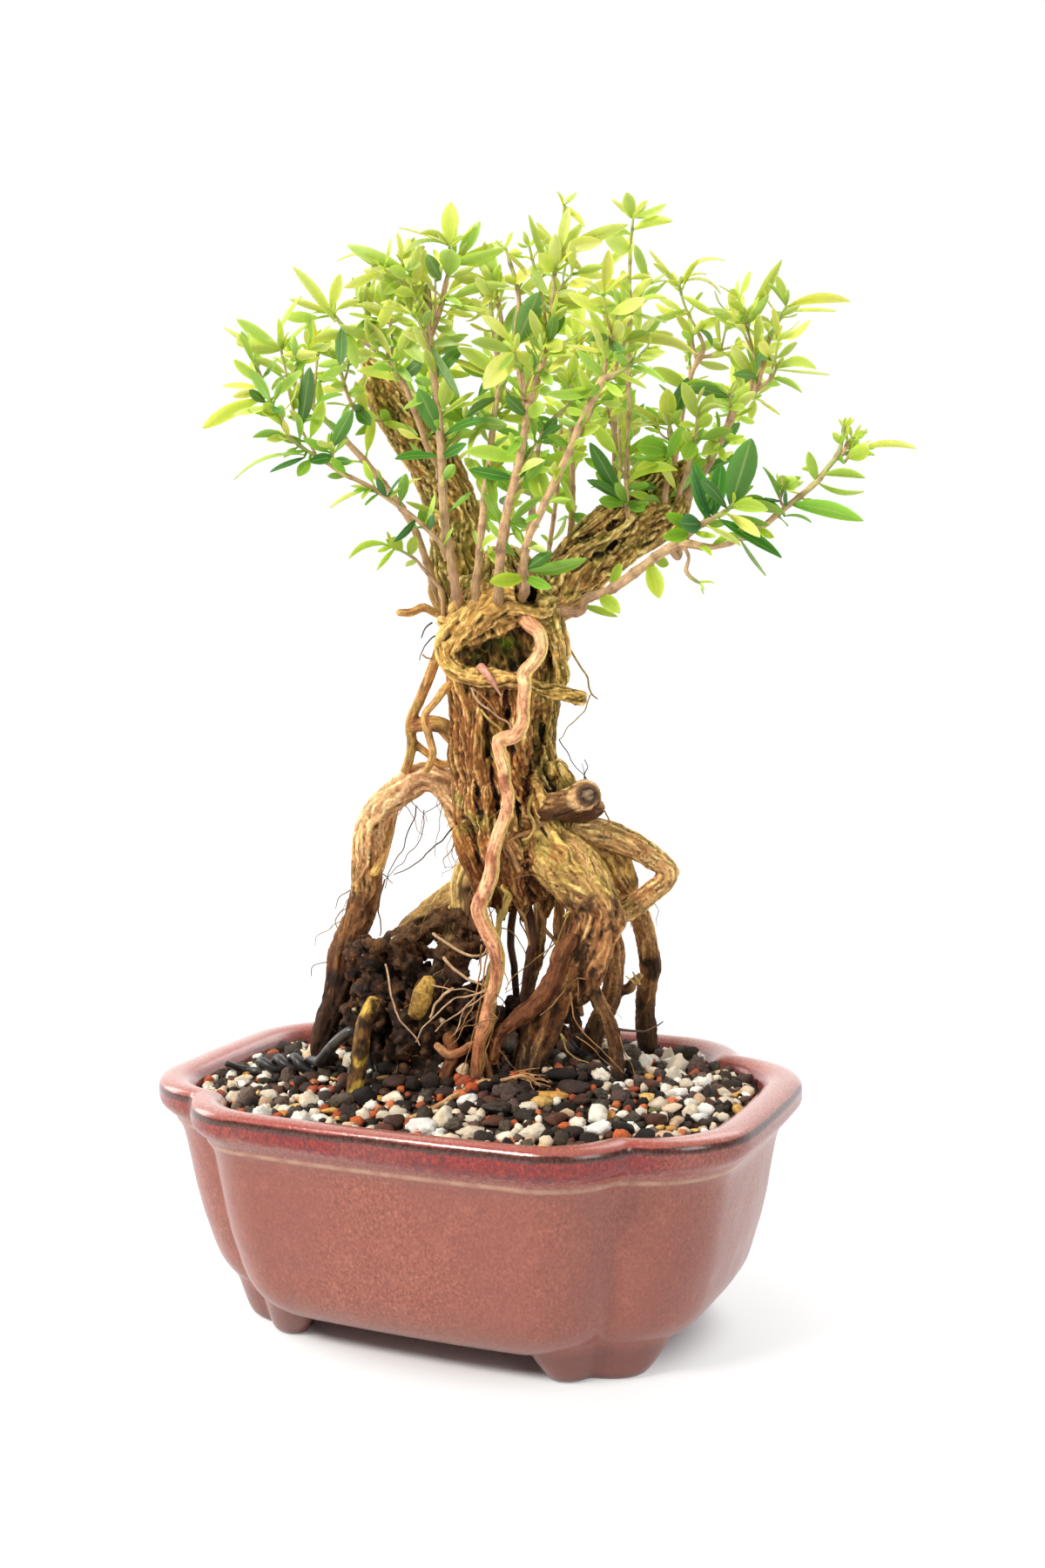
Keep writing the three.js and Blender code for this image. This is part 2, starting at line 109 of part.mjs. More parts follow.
  ["shoot_s","stem",[[-1.43,-9.51,271.41,1.34],[-1.39,-15.02,275.3,1.33],[-2.2,-17.61,280.92,1.21],[-2.98,-20.19,286.74,1.21],[-4.24,-21.89,292.36,1.21],[-5.74,-23.7,297.18,1.25],[-7.48,-25.62,301.73,1.35],[-8.54,-26.12,305.59,1.09],[-10.48,-28.14,310.61,0.99],[-11.97,-29.94,314.58,0.83],[-13.96,-30.88,318.18,0.67]]],
  ["shoot_s","stem",[[-7.5,-25.63,300.96,0.94],[-12.09,-27.79,305.18,0.78],[-18.03,-30.59,310.7,0.83],[-20.04,-32.64,312.66,0.88],[-22.06,-33.59,315.51,0.67]]],
  ["shoot_s","stem",[[-7.93,-25.83,302.51,0.73],[-6.6,-26.31,306.94,0.68],[-6.64,-27.44,312.4,0.67],[-6.63,-27.43,320.5,0.57]]],
  ["shoot_t","stem",[[-19.22,-4.62,285.84,0.87],[-22.63,-10.65,286.67,0.81],[-25.48,-15.3,288.35,0.81],[-27.05,-17.15,291.75,0.86],[-28.09,-18.74,296.43,0.86],[-28.62,-20.1,301.34,0.75],[-29.2,-21.48,304.65,0.59]]],
  ["shoot_u","stem",[[-29.57,0.45,303.76,1.38],[-30.99,-1.32,306.4,1.21],[-31.37,-1.5,310.19,1.16]]],
  ["shoot_v","stem",[[-11.37,14.54,257.97,1.55],[-15.78,21.31,269.63,1.48],[-21.08,29.87,283.14,1.44],[-25.76,36.51,296.24,1.34],[-29.53,41.36,309.07,1.24],[-33.18,45.17,319.92,1.07],[-37.26,46.57,330.03,0.83]]],
  ["shoot_v","stem",[[-23.26,33.26,290.65,0.87],[-32.87,37.58,298.84,0.76],[-42.44,41.92,304.28,0.65]]],
  ["shoot_w","stem",[[1.71,25.12,229.54,1.85],[-1.5,34.66,243.85,1.73],[-2.49,43.04,258.44,1.64],[-2.03,52.1,276.21,1.53],[-1.63,57.81,291.73,1.42],[-0.17,64.02,305.63,1.25],[1.16,69.06,317.8,1.02],[2.23,71.78,329.79,0.78]]],
  ["shoot_w","stem",[[-1.65,57.8,291.15,0.95],[-10.09,61.56,299.37,0.84],[-15.99,65.42,309.03,0.72],[-17.34,68.1,318.33,0.61]]],
  ["shoot_x","stem",[[22.78,35.03,238.83,1.71],[20.01,43.68,253.22,1.61],[17.24,50.11,266.44,1.51],[15.36,55.86,278.36,1.41],[15.6,62.6,288.95,1.3],[18.69,69.58,299.52,1.19],[20.76,76.08,310.25,1.02],[21.45,79.72,320.88,0.78]]],
  ["shoot_y","stem",[[40.96,41.38,250.38,1.55],[36.88,51.62,264.13,1.49],[33.53,59.99,277.58,1.4],[31.42,66.73,289.69,1.23],[29.69,72.55,301.92,1.07],[28.06,77.31,314.19,0.89],[27.72,80.46,326.87,0.72]]],
  ["shoot_z","stem",[[56.61,39.9,255.27,1.53],[58.9,52.03,263.93,1.47],[60.39,62.68,271.68,1.38],[61.59,70.98,278.93,1.28],[62.38,77.98,285.68,1.17],[63.22,85.01,292.53,1.06],[66.55,92.1,298.16,0.89],[67.33,95.79,305.77,0.72]]],
  ["shoot_z","stem",[[62.6,79.19,286.33,0.76],[62.52,89.1,294.67,0.71],[59.61,94.36,300.03,0.6]]],
];
// blades: node, attachment xyz, blade base xyz, tip xyz, width, roll in degrees, tone, bow
const LEAVES = [
  ["shoot_s",-6.6,-27.4,312.4,-6.6,-27.4,312.4,-13.7,-39.6,314.5,3.4,53,2,1],
  ["shoot_s",-6.6,-27.4,313.7,-6.6,-27.4,313.7,-15.7,-35,317.3,3,46,2,1],
  ["shoot_s",-6.6,-27.4,316.5,-6.6,-27.4,316.5,-6.6,-31.8,324.9,5.6,0,2,0],
  ["shoot_s",-20,-32.6,312.7,-20,-32.6,312.7,-16.8,-40,299.7,3.8,0,4,0],
  ["shoot_s",-5.7,-23.7,297.2,-5.7,-23.7,297.2,3.8,-28,300.6,4.1,0,4,0],
  ["shoot_s",-3,-20.2,286.7,-3,-20.2,286.7,-1.6,-12.9,294,3.2,0,2,0],
  ["shoot_s",-6.6,-27.4,312.4,-6.6,-27.4,312.4,4.6,-27.9,300,4.6,0,1,0],
  ["shoot_s",-19,-31.6,311.7,-19,-31.6,311.7,-19.2,-26.4,300.2,4,0,1,0],
  ["shoot_s",-12,-29.9,314.6,-12,-29.9,314.6,-9.4,-30.4,325.9,2.8,-30,1,0.3],
  ["shoot_a",-0.3,-30,327.7,-0.3,-30,327.7,-10,-45.6,332.8,4.6,-40,0,0],
  ["shoot_a",-0.2,-29.9,326.4,-0.2,-29.9,326.4,-11.5,-39.7,332.7,3.9,-38,1,0],
  ["shoot_a",-0.3,-30,327.7,-0.3,-30,327.7,-18,-38.3,330.1,4.7,68,0,0],
  ["shoot_a",11.9,-25.4,324.7,11.9,-25.4,324.7,18.3,-35.6,330.2,6.7,0,1,0],
  ["shoot_a",12.3,-25.1,328.5,12.3,-25.1,328.5,31.2,-27.3,330.7,4.6,61,2,-0.8],
  ["shoot_a",12.3,-25.1,328.5,13.2,-24.1,329.1,25,-14.7,335.1,3.9,71,1,0.5],
  ["shoot_a",10.4,-26.1,318,12.8,-26.3,317.6,31.9,-24.8,320.2,4.7,64,2,1.3],
  ["shoot_a",6.2,-26.6,305.5,6.2,-26.6,305.5,20,-35.6,288.7,5.7,69,4,1.3],
  ["shoot_a",6.9,-23.5,279.2,6.9,-23.5,279.2,3.2,-29.6,292.7,5.7,0,3,0],
  ["shoot_a",6.8,-22.9,272.8,6.8,-22.9,272.8,-3,-34.1,272.2,3.6,30,3,1.3],
  ["shoot_a",6.9,-23.4,277.9,6.9,-23.4,277.9,23.8,-24.3,282.4,4.2,-38,3,1.3],
  ["shoot_a",6.6,-22.2,266.4,6.6,-22.2,266.4,13.8,-27.6,269.9,3.6,0,2,0],
  ["shoot_a",6.8,-24.2,286.8,8.7,-25,286.6,14.7,-31.5,295.1,5.1,0,1,0],
  ["shoot_a",6.8,-24,284.2,6.8,-24,284.2,19.4,-24.7,290.9,3.4,-48,1,1],
  ["shoot_a",6.8,-24.1,285.5,6.8,-24.1,285.5,18.4,-14.2,288.9,3.8,-56,1,0.8],
  ["shoot_a",6.5,-25.3,295.4,6.5,-25.3,295.4,14.4,-20.9,304.6,4,0,3,0.9],
  ["shoot_a",6.8,-24.1,285.5,6.8,-24.1,285.5,14.1,-13.4,284.1,3.5,0,2,-0.2],
  ["shoot_q",-33.5,-45.6,304.9,-33.5,-45.6,304.9,-38.3,-56.7,304.3,2.9,-30,1,0],
  ["shoot_q",-33.3,-45.5,303.5,-33.3,-45.5,303.5,-19.6,-47.9,302.8,3.3,47,0,0],
  ["shoot_q",-32.8,-45.3,300.6,-32.8,-45.3,300.6,-23.4,-43.1,302.9,2.6,-28,2,0],
  ["shoot_q",-38.3,-56.7,305.1,-38.3,-56.7,305.1,-40,-58.6,307.5,3.3,0,0,0],
  ["shoot_q",-34.9,-54.7,295.8,-35.5,-55.7,295,-39.8,-61.5,301,3,0,1,0],
  ["shoot_q",-34.3,-54.1,293.3,-35.3,-54.9,293.1,-44.4,-61,293.9,2.6,31,0,0.5],
  ["shoot_q",-33.6,-53.4,290.9,-34.7,-54.6,290.1,-49.2,-65.1,281.7,4.7,-42,1,1],
  ["shoot_q",-32.1,-52.7,286.9,-32.1,-52.7,286.9,-30.8,-60.9,285.3,3.5,0,0,0],
  ["shoot_q",-31.1,-52,284.4,-31.1,-52,284.4,-25.6,-58.2,287.2,3.5,0,2,0],
  ["shoot_q",-27.7,-45.7,282,-27.7,-45.7,282,-21.5,-49.4,298.8,4.8,0,4,0],
  ["shoot_q",-25.1,-47.2,275.2,-24.9,-47.7,273.9,-42.6,-59.9,266.9,5.4,68,1,1],
  ["shoot_q",-25.1,-47.2,275.2,-25,-48.5,273.1,-30.7,-58.7,268.6,3,41,4,0],
  ["shoot_q",-10.1,-35.7,264.1,-10.1,-35.7,264.1,-18.6,-46.3,258.2,3.6,64,0,1.3],
  ["shoot_q",-7.5,-33.7,261.9,-7.5,-33.7,261.9,-18.3,-34.3,265.1,2.7,47,0,0.5],
  ["shoot_q",-5.8,-32.3,260.4,-5.8,-32.3,260.4,-0.1,-23,267,3.1,-53,0,1],
  ["shoot_q",0.1,-27.6,254.7,0.1,-27.6,254.7,-3.3,-35.8,247.9,2.7,-40,4,0],
  ["shoot_q",2.9,-25.2,251.3,2.9,-25.2,251.3,-1.7,-20.7,258.3,4.2,0,2,0],
  ["shoot_q",2.9,-25.2,251.3,2.9,-25.2,251.3,7.2,-29.8,255.8,2.6,-27,4,0],
  ["shoot_q",-36.9,-56.1,301.7,-36.9,-56.1,301.7,-30.8,-48.3,297.8,2.6,11,1,0.6],
  ["shoot_p",-34.9,-26.4,289.9,-34.9,-26.4,289.9,-23.5,-27.7,292.9,2.8,-34,2,0.8],
  ["shoot_p",-35.4,-26.6,290.5,-35.4,-26.6,290.5,-36.5,-33.8,289.4,3.2,0,2,0],
  ["shoot_p",-40.5,-29,297.4,-40.5,-29,297.4,-41.4,-30.5,300.6,2.6,24,2,0],
  ["shoot_p",-32.3,-26.2,307.7,-32.3,-26.2,307.7,-26.9,-28.1,309.2,2.6,-60,2,0],
  ["shoot_p",-33.1,-26.6,302.3,-33.1,-26.6,302.3,-23.2,-28.6,302.6,2.6,25,1,0],
  ["shoot_p",-33.4,-26.8,299.7,-33.4,-26.8,299.7,-24.2,-31.3,297,2.6,-25,2,0],
  ["shoot_p",-27.1,-20.5,279.6,-27.1,-20.5,279.6,-34,-17.1,282.1,2.6,-43,1,0],
  ["shoot_p",-32.5,-26.4,306.3,-32.5,-26.4,306.3,-25.4,-17.3,305.8,2.8,54,1,0.3],
  ["shoot_r",-10.8,-21.3,246.6,-10.8,-21.3,246.6,-14.3,-27.4,239.8,2.6,-59,1,0],
  ["shoot_r",-9.2,-19.8,245.5,-9.2,-19.8,245.5,-9.1,-26.4,249.6,4.2,0,1,0],
  ["shoot_r",-7.8,-18.1,244.1,-7.8,-18.1,244.1,-5,-18.9,250.1,3.7,0,1,0],
  ["shoot_r",-6.4,-16.3,242.8,-6.4,-16.3,242.8,-11.3,-14.2,241.1,2.6,-52,0,0],
  ["shoot_t",-26,-15.9,289.5,-26,-15.9,289.5,-18,-21,284,4.3,0,3,0],
  ["shoot_t",-28.1,-18.7,296.4,-28.1,-18.7,296.4,-28.9,-25.7,296.1,3.2,0,2,0],
  ["shoot_t",-27.6,-17.9,294.1,-27.6,-17.9,294.1,-19.5,-20.8,294.8,3.5,0,2,0],
  ["shoot_t",-22.6,-10.7,286.7,-22.6,-10.7,286.7,-25.2,-18.5,281.5,3,0,2,-1.3],
  ["shoot_t",-21.3,-8.2,286.3,-21.3,-8.2,286.3,-11.8,-8.2,283,2.7,0,1,0],
  ["shoot_t",-27.8,-18.3,295.3,-27.8,-18.3,295.3,-38.9,-16.9,295.8,2.7,-25,0,0.8],
  ["shoot_t",-28.6,-20.1,301.3,-28.6,-20.1,301.3,-25.3,-20.7,304.9,2.6,-52,1,0],
  ["shoot_b",23.9,-18.6,321.9,23.9,-18.6,321.9,31.9,-18.1,324.3,2.6,-12,0,0],
  ["shoot_b",24.1,-18.5,320.7,24.1,-18.5,320.7,33.4,-19.7,319.5,2.7,-56,1,0],
  ["shoot_b",24.1,-18.5,320.7,24.1,-18.5,320.7,23.6,-27.6,314.7,2.6,-15,1,0],
  ["shoot_b",24.5,-17.2,307.4,25.3,-17.8,306.3,30.4,-14.5,317,3.6,0,2,0],
  ["shoot_b",23.5,-17.7,303.9,23.5,-17.7,303.9,29.1,-10.6,317,3.8,-35,2,0],
  ["shoot_b",23.3,-17.8,296.4,23.3,-17.8,296.4,21.8,-27.3,289.3,3.1,0,3,0],
  ["shoot_b",17.5,-16.7,258.4,17.5,-16.7,258.4,16.1,-10.7,250.3,2.6,-24,1,0],
  ["shoot_b",20.3,-17.2,273.7,20.3,-17.2,273.7,22.2,-7.5,279.3,2.7,-40,1,0],
  ["shoot_b",19.9,-17.2,271.1,19.9,-17.2,271.1,26.2,-27.4,256.9,4.5,-42,2,0],
  ["shoot_b",23.3,-17.8,294.9,23.3,-17.8,294.9,11.4,-23.1,301,3.5,39,1,0.5],
  ["shoot_b",22.5,-17.7,285.4,22.5,-17.7,285.4,15.1,-21.3,272.2,3.7,51,1,0.1],
  ["shoot_b",23.3,-17.8,296.4,23.3,-17.8,296.4,14.5,-25.5,304,3.9,0,1,0.6],
  ["shoot_b",23.4,-17.7,289.6,23.4,-17.7,289.6,16.3,-25.3,284,2.8,-30,3,1],
  ["shoot_b",18.3,-17,263.5,18.3,-17,263.5,9.4,-12.9,273.1,3.5,0,1,0.8],
  ["shoot_c",44,-20.2,323.7,42.8,-21.7,324,40.1,-28.7,338.7,4,51,1,0],
  ["shoot_c",44,-20.2,323.7,44,-20.2,323.7,45.9,-23.7,333.6,4,0,0,0],
  ["shoot_c",44,-20.2,323.7,44,-20.2,323.7,43.1,-29.5,327.2,4.4,0,1,0],
  ["shoot_c",45.7,-20.5,328.8,45.7,-20.5,328.8,49.2,-21,341,3.2,0,0,0],
  ["shoot_c",45.7,-20.5,328.8,45.7,-20.5,328.8,58.6,-18.9,330.7,4.5,0,1,0.7],
  ["shoot_c",45.7,-20.5,328.8,45.7,-20.5,328.8,62.5,-8.2,336.9,5.4,59,0,0],
  ["shoot_c",32,-21.4,322.2,32,-21.4,322.2,39.5,-26.7,322.6,4.5,0,0,0],
  ["shoot_c",31.8,-21.5,304.1,31.8,-21.5,304.1,42.3,-27.6,317.1,7,0,3,0],
  ["shoot_c",31.8,-21.5,302.8,31.8,-21.5,302.8,32.4,-19,316.8,3.4,-26,3,0],
  ["shoot_c",34.1,-28.2,300.9,34.1,-28.2,300.9,41.4,-19.3,293.6,4.4,0,0,1],
  ["shoot_c",41.3,-20.3,303.2,41.3,-20.3,303.2,46.6,-26.7,310.3,3.7,0,3,0],
  ["shoot_c",41.2,-20.4,304.5,41.2,-20.4,304.5,48.2,-26,300.5,5,0,1,0],
  ["shoot_c",34.1,-20.4,283.3,34.1,-20.4,283.3,31.1,-28.5,288.8,3.8,0,3,0],
  ["shoot_c",34.1,-20.4,283.3,34.1,-20.4,283.3,42.3,-25.4,286,4.5,0,1,0],
  ["shoot_c",24.7,-19.6,248.9,24.7,-19.6,248.9,25.6,-12.6,243.1,2.6,-25,2,0],
  ["shoot_c",40,-21,316.3,40,-21,316.3,52.1,-14.1,314.2,3.4,-20,1,-0.1],
  ["shoot_c",29.5,-20.2,265.4,29.5,-20.2,265.4,17,-25.4,268.5,3.6,-5,3,0.1],
  ["shoot_c",31,-20.2,270.3,31,-20.2,270.3,19.8,-32.4,273.3,4.7,0,1,1],
  ["shoot_c",45.7,-20.5,328.8,45.7,-20.5,328.8,37.5,-17.6,338.8,3.2,31,0,0.1],
  ["shoot_d",30,-15.9,238.7,30,-15.9,238.7,40.8,-19.7,243.8,3.8,0,3,0],
  ["shoot_d",30,-15.9,238.7,30,-15.9,238.7,50.1,-15.3,241.5,4.9,38,2,-0.8],
  ["shoot_d",29.5,-14.4,236.4,29.5,-14.4,236.4,41.6,-22,233.1,3.5,19,2,0],
  ["shoot_d",29.5,-14.4,236.4,29.5,-14.4,236.4,25,-29.8,235.4,4.6,0,1,0],
  ["shoot_d",44.6,-22.7,265.6,44.6,-22.7,265.6,46.5,-15.2,255.1,3.1,-49,1,0],
  ["shoot_d",49.1,-18.9,276.9,49.1,-18.9,276.9,59.4,-25.1,278.6,3.5,0,1,0],
  ["shoot_d",58,-21.3,290.7,58,-21.3,290.7,47.7,-37.2,287.3,4.6,26,2,-1.5],
  ["shoot_d",60.1,-20.3,299.5,60.1,-20.3,299.5,48.1,-23.8,302.2,3.1,50,0,0.5],
  ["shoot_d",60.7,-20.1,301.9,60.7,-20.1,301.9,52.3,-30.6,309.3,3.7,53,0,0.5],
  ["shoot_d",61.3,-19.8,304.3,61.3,-19.8,304.3,67.2,-25.8,306.2,5.4,0,0,0],
  ["shoot_d",61,-19.9,303.1,61,-19.9,303.1,67.4,-28,298,3.7,0,4,0],
  ["shoot_d",65.8,-18.8,295.5,65.8,-18.8,295.5,77.3,-20,289.7,3.1,-38,2,1],
  ["shoot_d",61.8,-19.6,293.3,61.8,-19.6,293.3,72.7,-23.3,288.3,3,-43,1,0],
  ["shoot_d",63.2,-18.9,311.5,63.2,-18.9,311.5,58.3,-29.1,313,2.9,0,1,0.8],
  ["shoot_d",60.1,-20.3,299.5,60.1,-20.3,299.5,58.4,-29.7,310.8,3.6,-41,1,0.9],
  ["shoot_e",26.1,29.9,256.8,26.1,29.9,256.8,34.4,25,253.3,3.9,0,2,0],
  ["shoot_e",25.4,32.4,290.7,25.4,32.4,290.7,28.2,40.3,287.9,2.8,0,1,0],
  ["shoot_e",25.3,32.7,295.5,25.3,32.7,295.5,19.9,34.6,301.2,2.6,13,1,0],
  ["shoot_e",25.5,32.1,287,25.5,32.1,287,18.7,34.4,293.6,2.8,0,1,0],
  ["shoot_f",20.7,36.4,292.9,20.7,36.4,292.9,23.1,44.2,297.5,2.9,0,1,0],
  ["shoot_f",23.1,39,306.9,23.1,39,306.9,26.2,44.9,310.2,2.8,0,2,0],
  ["shoot_f",24.1,40,310.5,24.1,40,310.5,20,42.4,318.7,2.6,-11,1,0],
  ["shoot_f",21.4,37.4,299.4,21.4,37.4,299.4,28.7,36.5,292.5,2.6,14,4,0],
  ["shoot_f",19,31.5,256.9,19,31.5,256.9,13.8,33.5,261.7,2.6,29,1,0],
  ["shoot_f",20.3,35.4,283,20.3,35.4,283,13.3,38.8,285.3,2.6,9,1,0],
  ["shoot_g",26.2,2.4,270.6,26.2,2.4,270.6,32.5,-7.9,258.5,6.6,0,1,0],
  ["shoot_g",26.2,2.4,270.6,26.2,2.4,270.6,37,0.8,268.6,2.7,-46,1,1.1],
  ["shoot_g",27.9,3.2,278.8,29.1,2.8,279.1,39.5,2,275.6,2.6,0,2,0],
  ["shoot_g",36.2,7.1,289,36.2,7.1,289,48.8,2,281.5,3.9,0,1,0.8],
  ["shoot_g",35.8,6.9,294.9,35.8,6.9,294.9,40.2,4.5,298.9,2.6,-36,1,0],
  ["shoot_g",24.7,-1.6,248,24.7,-1.6,248,26.8,3.8,244.3,2.6,-21,1,0],
  ["shoot_g",25.1,-0.5,252.7,25.1,-0.5,252.7,17.6,2.6,256.4,2.6,34,2,0],
  ["shoot_g",25.6,1.3,261.3,25.6,1.3,261.3,18.3,6.7,264,2.6,33,1,0],
  ["shoot_g",26.4,2.5,271.9,26.4,2.5,271.9,42.9,4.8,273.2,4.3,0,1,0.1],
  ["shoot_h",47,1.1,231,47,1.1,231,56.3,-5.6,225.1,4.7,0,1,0],
  ["shoot_h",50.5,1.3,232.3,50.5,1.3,232.3,51.1,8.2,240.3,3.2,0,1,0],
  ["shoot_h",63,2.6,240.3,63,2.6,240.3,68.2,-3.8,229.2,5.4,0,1,0],
  ["shoot_h",89.9,7,246.3,89.9,7,246.3,99.2,2.5,235,3.7,-61,2,0.5],
  ["shoot_h",101.1,11.1,256.9,101.1,11.1,256.9,97.7,5.1,266.8,2.9,-70,2,1.5],
  ["shoot_h",103.3,13.2,255.8,103.3,13.2,255.8,125.1,14.6,250.1,5.4,37,2,1.5],
  ["shoot_h",110.6,16.7,262.2,110.6,16.7,262.2,122.3,26.6,259.3,3.8,74,1,-0.5],
  ["shoot_h",110.6,16.7,262.2,110.6,16.7,262.2,109.4,11.7,270.8,3.3,0,1,0],
  ["shoot_h",112,17.3,264.1,112,17.3,264.1,125.1,16.9,262.5,3.2,44,1,0.8],
  ["shoot_h",119.1,19,268.8,119.1,19,268.8,126.9,13.9,271,5,0,1,0],
  ["shoot_h",122.5,20.1,271.2,122.5,20.1,271.2,138.7,23.3,270.6,4,67,0,0.5],
  ["shoot_h",117.2,19.8,272.9,117.2,19.8,272.9,114.9,18.7,276.5,2.6,-46,1,0],
  ["shoot_h",40.8,2.6,227.4,40.8,2.6,227.4,48.1,13,223.8,3.2,-32,1,0.3],
  ["shoot_i",89.7,-1.2,255.3,89.7,-1.2,255.3,98,-6.2,274.1,8.5,0,3,0],
  ["shoot_i",88.8,-1,254.6,88.8,-1,254.6,85.2,-13.7,262.6,3.7,0,4,1],
  ["shoot_i",83.3,0.2,252,83.3,0.2,252,81.2,-9.6,266.7,4.3,45,4,0],
  ["shoot_i",82.2,0.6,251.5,82.2,0.6,251.5,78.1,0.8,268.7,5.6,0,3,0],
  ["shoot_i",84.3,-0.1,252.4,84.3,-0.1,252.4,83.2,10.4,268.7,5.2,0,3,0],
  ["shoot_i",89.7,-1.2,255.3,89.7,-1.2,255.3,103.1,9.5,252.9,4.1,42,2,1.3],
  ["shoot_i",85.5,-0.3,252.9,86.3,-1.2,251.8,104.8,-0.1,239.9,5.3,-36,3,1],
  ["shoot_i",80.1,1.2,250.6,80.1,1.2,250.6,78.4,-12.8,250.8,6,0,4,0],
  ["shoot_i",75.8,2.5,248.2,75.8,2.5,248.2,70.6,-6.6,246.7,4.6,0,2,0],
  ["shoot_j",85.5,30.3,309.9,85.5,30.3,309.9,77.8,20,314.6,3.3,-28,1,0],
  ["shoot_j",85.2,30.1,311.1,85.2,30.1,311.1,94.5,27.9,298.6,3.8,-70,2,0.8],
  ["shoot_j",95.8,34.1,314.9,95.8,34.1,314.9,112,35,313.7,3.9,-62,1,1.3],
  ["shoot_j",95.1,33.7,313.6,95.1,33.7,313.6,101.5,32.3,316.1,2.6,53,0,0],
  ["shoot_j",92.3,32.4,295.1,92.3,32.4,295.1,101.8,32.4,290,2.6,52,2,0.8],
  ["shoot_j",88.5,31.7,295.1,88.5,31.7,295.1,83.7,20.6,295.6,2.9,-26,3,0.8],
  ["shoot_j",86.7,30.9,296.4,86.7,30.9,296.4,82.1,24.2,304.9,4,0,0,0],
  ["shoot_j",80.5,27.4,289.5,80.5,27.4,289.5,69.4,17.7,293.8,3.7,-50,2,1.6],
  ["shoot_j",80.5,27.4,289.5,80.5,27.4,289.5,71.2,14.2,291.6,3.9,-29,3,0.8],
  ["shoot_j",82.2,29.8,286.8,81.7,27.9,287.1,90.3,22.6,290.2,3.1,0,0,0],
  ["shoot_j",80.4,28.4,286.6,80.4,28.4,286.6,88.2,18.9,284.9,3.4,0,1,0],
  ["shoot_j",76.1,28.8,275.9,76.1,28.8,275.9,74.2,19.1,272.8,4.8,0,1,0],
  ["shoot_j",78.2,28.8,279.6,78.2,28.8,279.6,79.7,36.1,276.2,2.6,34,1,0],
  ["shoot_j",76.1,28.8,275.9,76.1,28.8,275.9,80.2,24.1,270.1,2.6,35,1,0],
  ["shoot_k",58.6,45.3,327,58.6,45.3,327,50.5,39.2,338.6,3.7,53,0,-0.6],
  ["shoot_k",59.1,45.5,324.5,59.1,45.5,324.5,70.2,44.1,317.3,3.2,59,1,0.8],
  ["shoot_k",60.2,46,320.4,60.2,46,320.4,53.3,36.1,316.7,3,-51,1,-1.1],
  ["shoot_k",63.2,47.4,314,63.2,47.4,314,71.5,46.9,316.5,3.6,0,1,0],
  ["shoot_k",60.4,46.1,295.8,60.4,46.1,295.8,55.6,48.2,301,2.8,0,1,0],
  ["shoot_k",63.2,47.4,303.9,63.2,47.4,303.9,70.6,57.6,302.2,3,43,0,-0.6],
  ["shoot_k",60.4,46.1,295.8,60.4,46.1,295.8,52,36.3,301.7,4.5,0,1,-0.1],
  ["shoot_l",55.8,11.3,339.2,55.8,11.3,339.2,68.4,12.8,340.9,3.1,22,1,1.3],
  ["shoot_l",55.1,11.6,334.2,55.1,11.6,334.2,51.3,0.9,335.2,6.7,0,0,0],
  ["shoot_l",53.9,13.2,317.4,53.9,13.2,317.4,46.6,3.1,315.7,3.1,0,2,-0.8],
  ["shoot_l",53.8,13.3,316.1,53.8,13.3,316.1,62.8,21.9,325.5,3.8,-60,1,0],
  ["shoot_l",53.8,13.3,316.1,53.8,13.3,316.1,66.8,10.6,311.3,3.4,-52,2,0.5],
  ["shoot_l",51,15.1,259,50,13.3,259.6,44,3,276.7,5,0,3,0.5],
  ["shoot_l",51,15.1,259,50.5,13.6,259,43,2.6,265.5,3.5,-35,3,0.8],
  ["shoot_l",51,15.1,259,50.6,13.3,258.5,47,2.2,259.3,4,0,2,0],
  ["shoot_l",51,15.1,259,51,15.1,259,59.6,8.2,255.8,4,0,2,0],
  ["shoot_l",51,15.1,259,51,15.1,259,52.2,2.5,264.2,3.4,0,2,0],
  ["shoot_l",50.9,15.1,264.5,50.9,15.1,264.5,68.9,12.5,267.5,4.4,-27,1,2.4],
  ["shoot_l",54.2,12.6,324,54.2,12.6,324,44.2,1,320.7,3.9,0,0,1],
  ["shoot_l",53.3,13.7,310,53.3,13.7,310,63.4,27,306.4,4.1,0,0,1],
  ["shoot_n",64,19.1,280.2,64,19.1,280.2,51.6,17.7,283,3.1,70,1,0],
  ["shoot_n",64.2,19.4,273.4,64.2,19.4,273.4,57.5,7.4,275.1,6.8,0,2,1.1],
  ["shoot_n",64.3,19.2,274.7,64.3,19.2,274.7,67.6,25.2,277.5,2.6,22,1,0],
  ["shoot_n",64,19.5,272.1,64,19.5,272.1,57,6.9,267.7,3.7,35,1,0.7],
  ["shoot_o",73.3,17.9,283.2,73.3,17.9,283.2,70.6,12.2,293.7,4.4,0,1,0],
  ["shoot_o",73.3,17.9,283.2,73.3,17.9,283.2,78.6,18.2,290.1,3.9,0,1,0],
  ["shoot_o",73.1,18,280.6,73.1,18,280.6,69.4,11.9,280.9,2.6,25,1,0],
  ["shoot_o",72.2,18.3,276.8,72.2,18.3,276.8,72,9.4,270.3,5,0,2,0],
  ["shoot_o",73.3,17.9,284.5,73.3,17.9,284.5,82.1,17.6,285.9,2.6,53,0,0.8],
  ["shoot_o",69.8,18.5,268.3,69.8,18.5,268.3,73.8,24.8,271,3.2,0,2,0],
  ["shoot_m",40.2,31.9,267.6,40.2,31.9,267.6,37.9,26.4,271.2,2.6,-17,2,0],
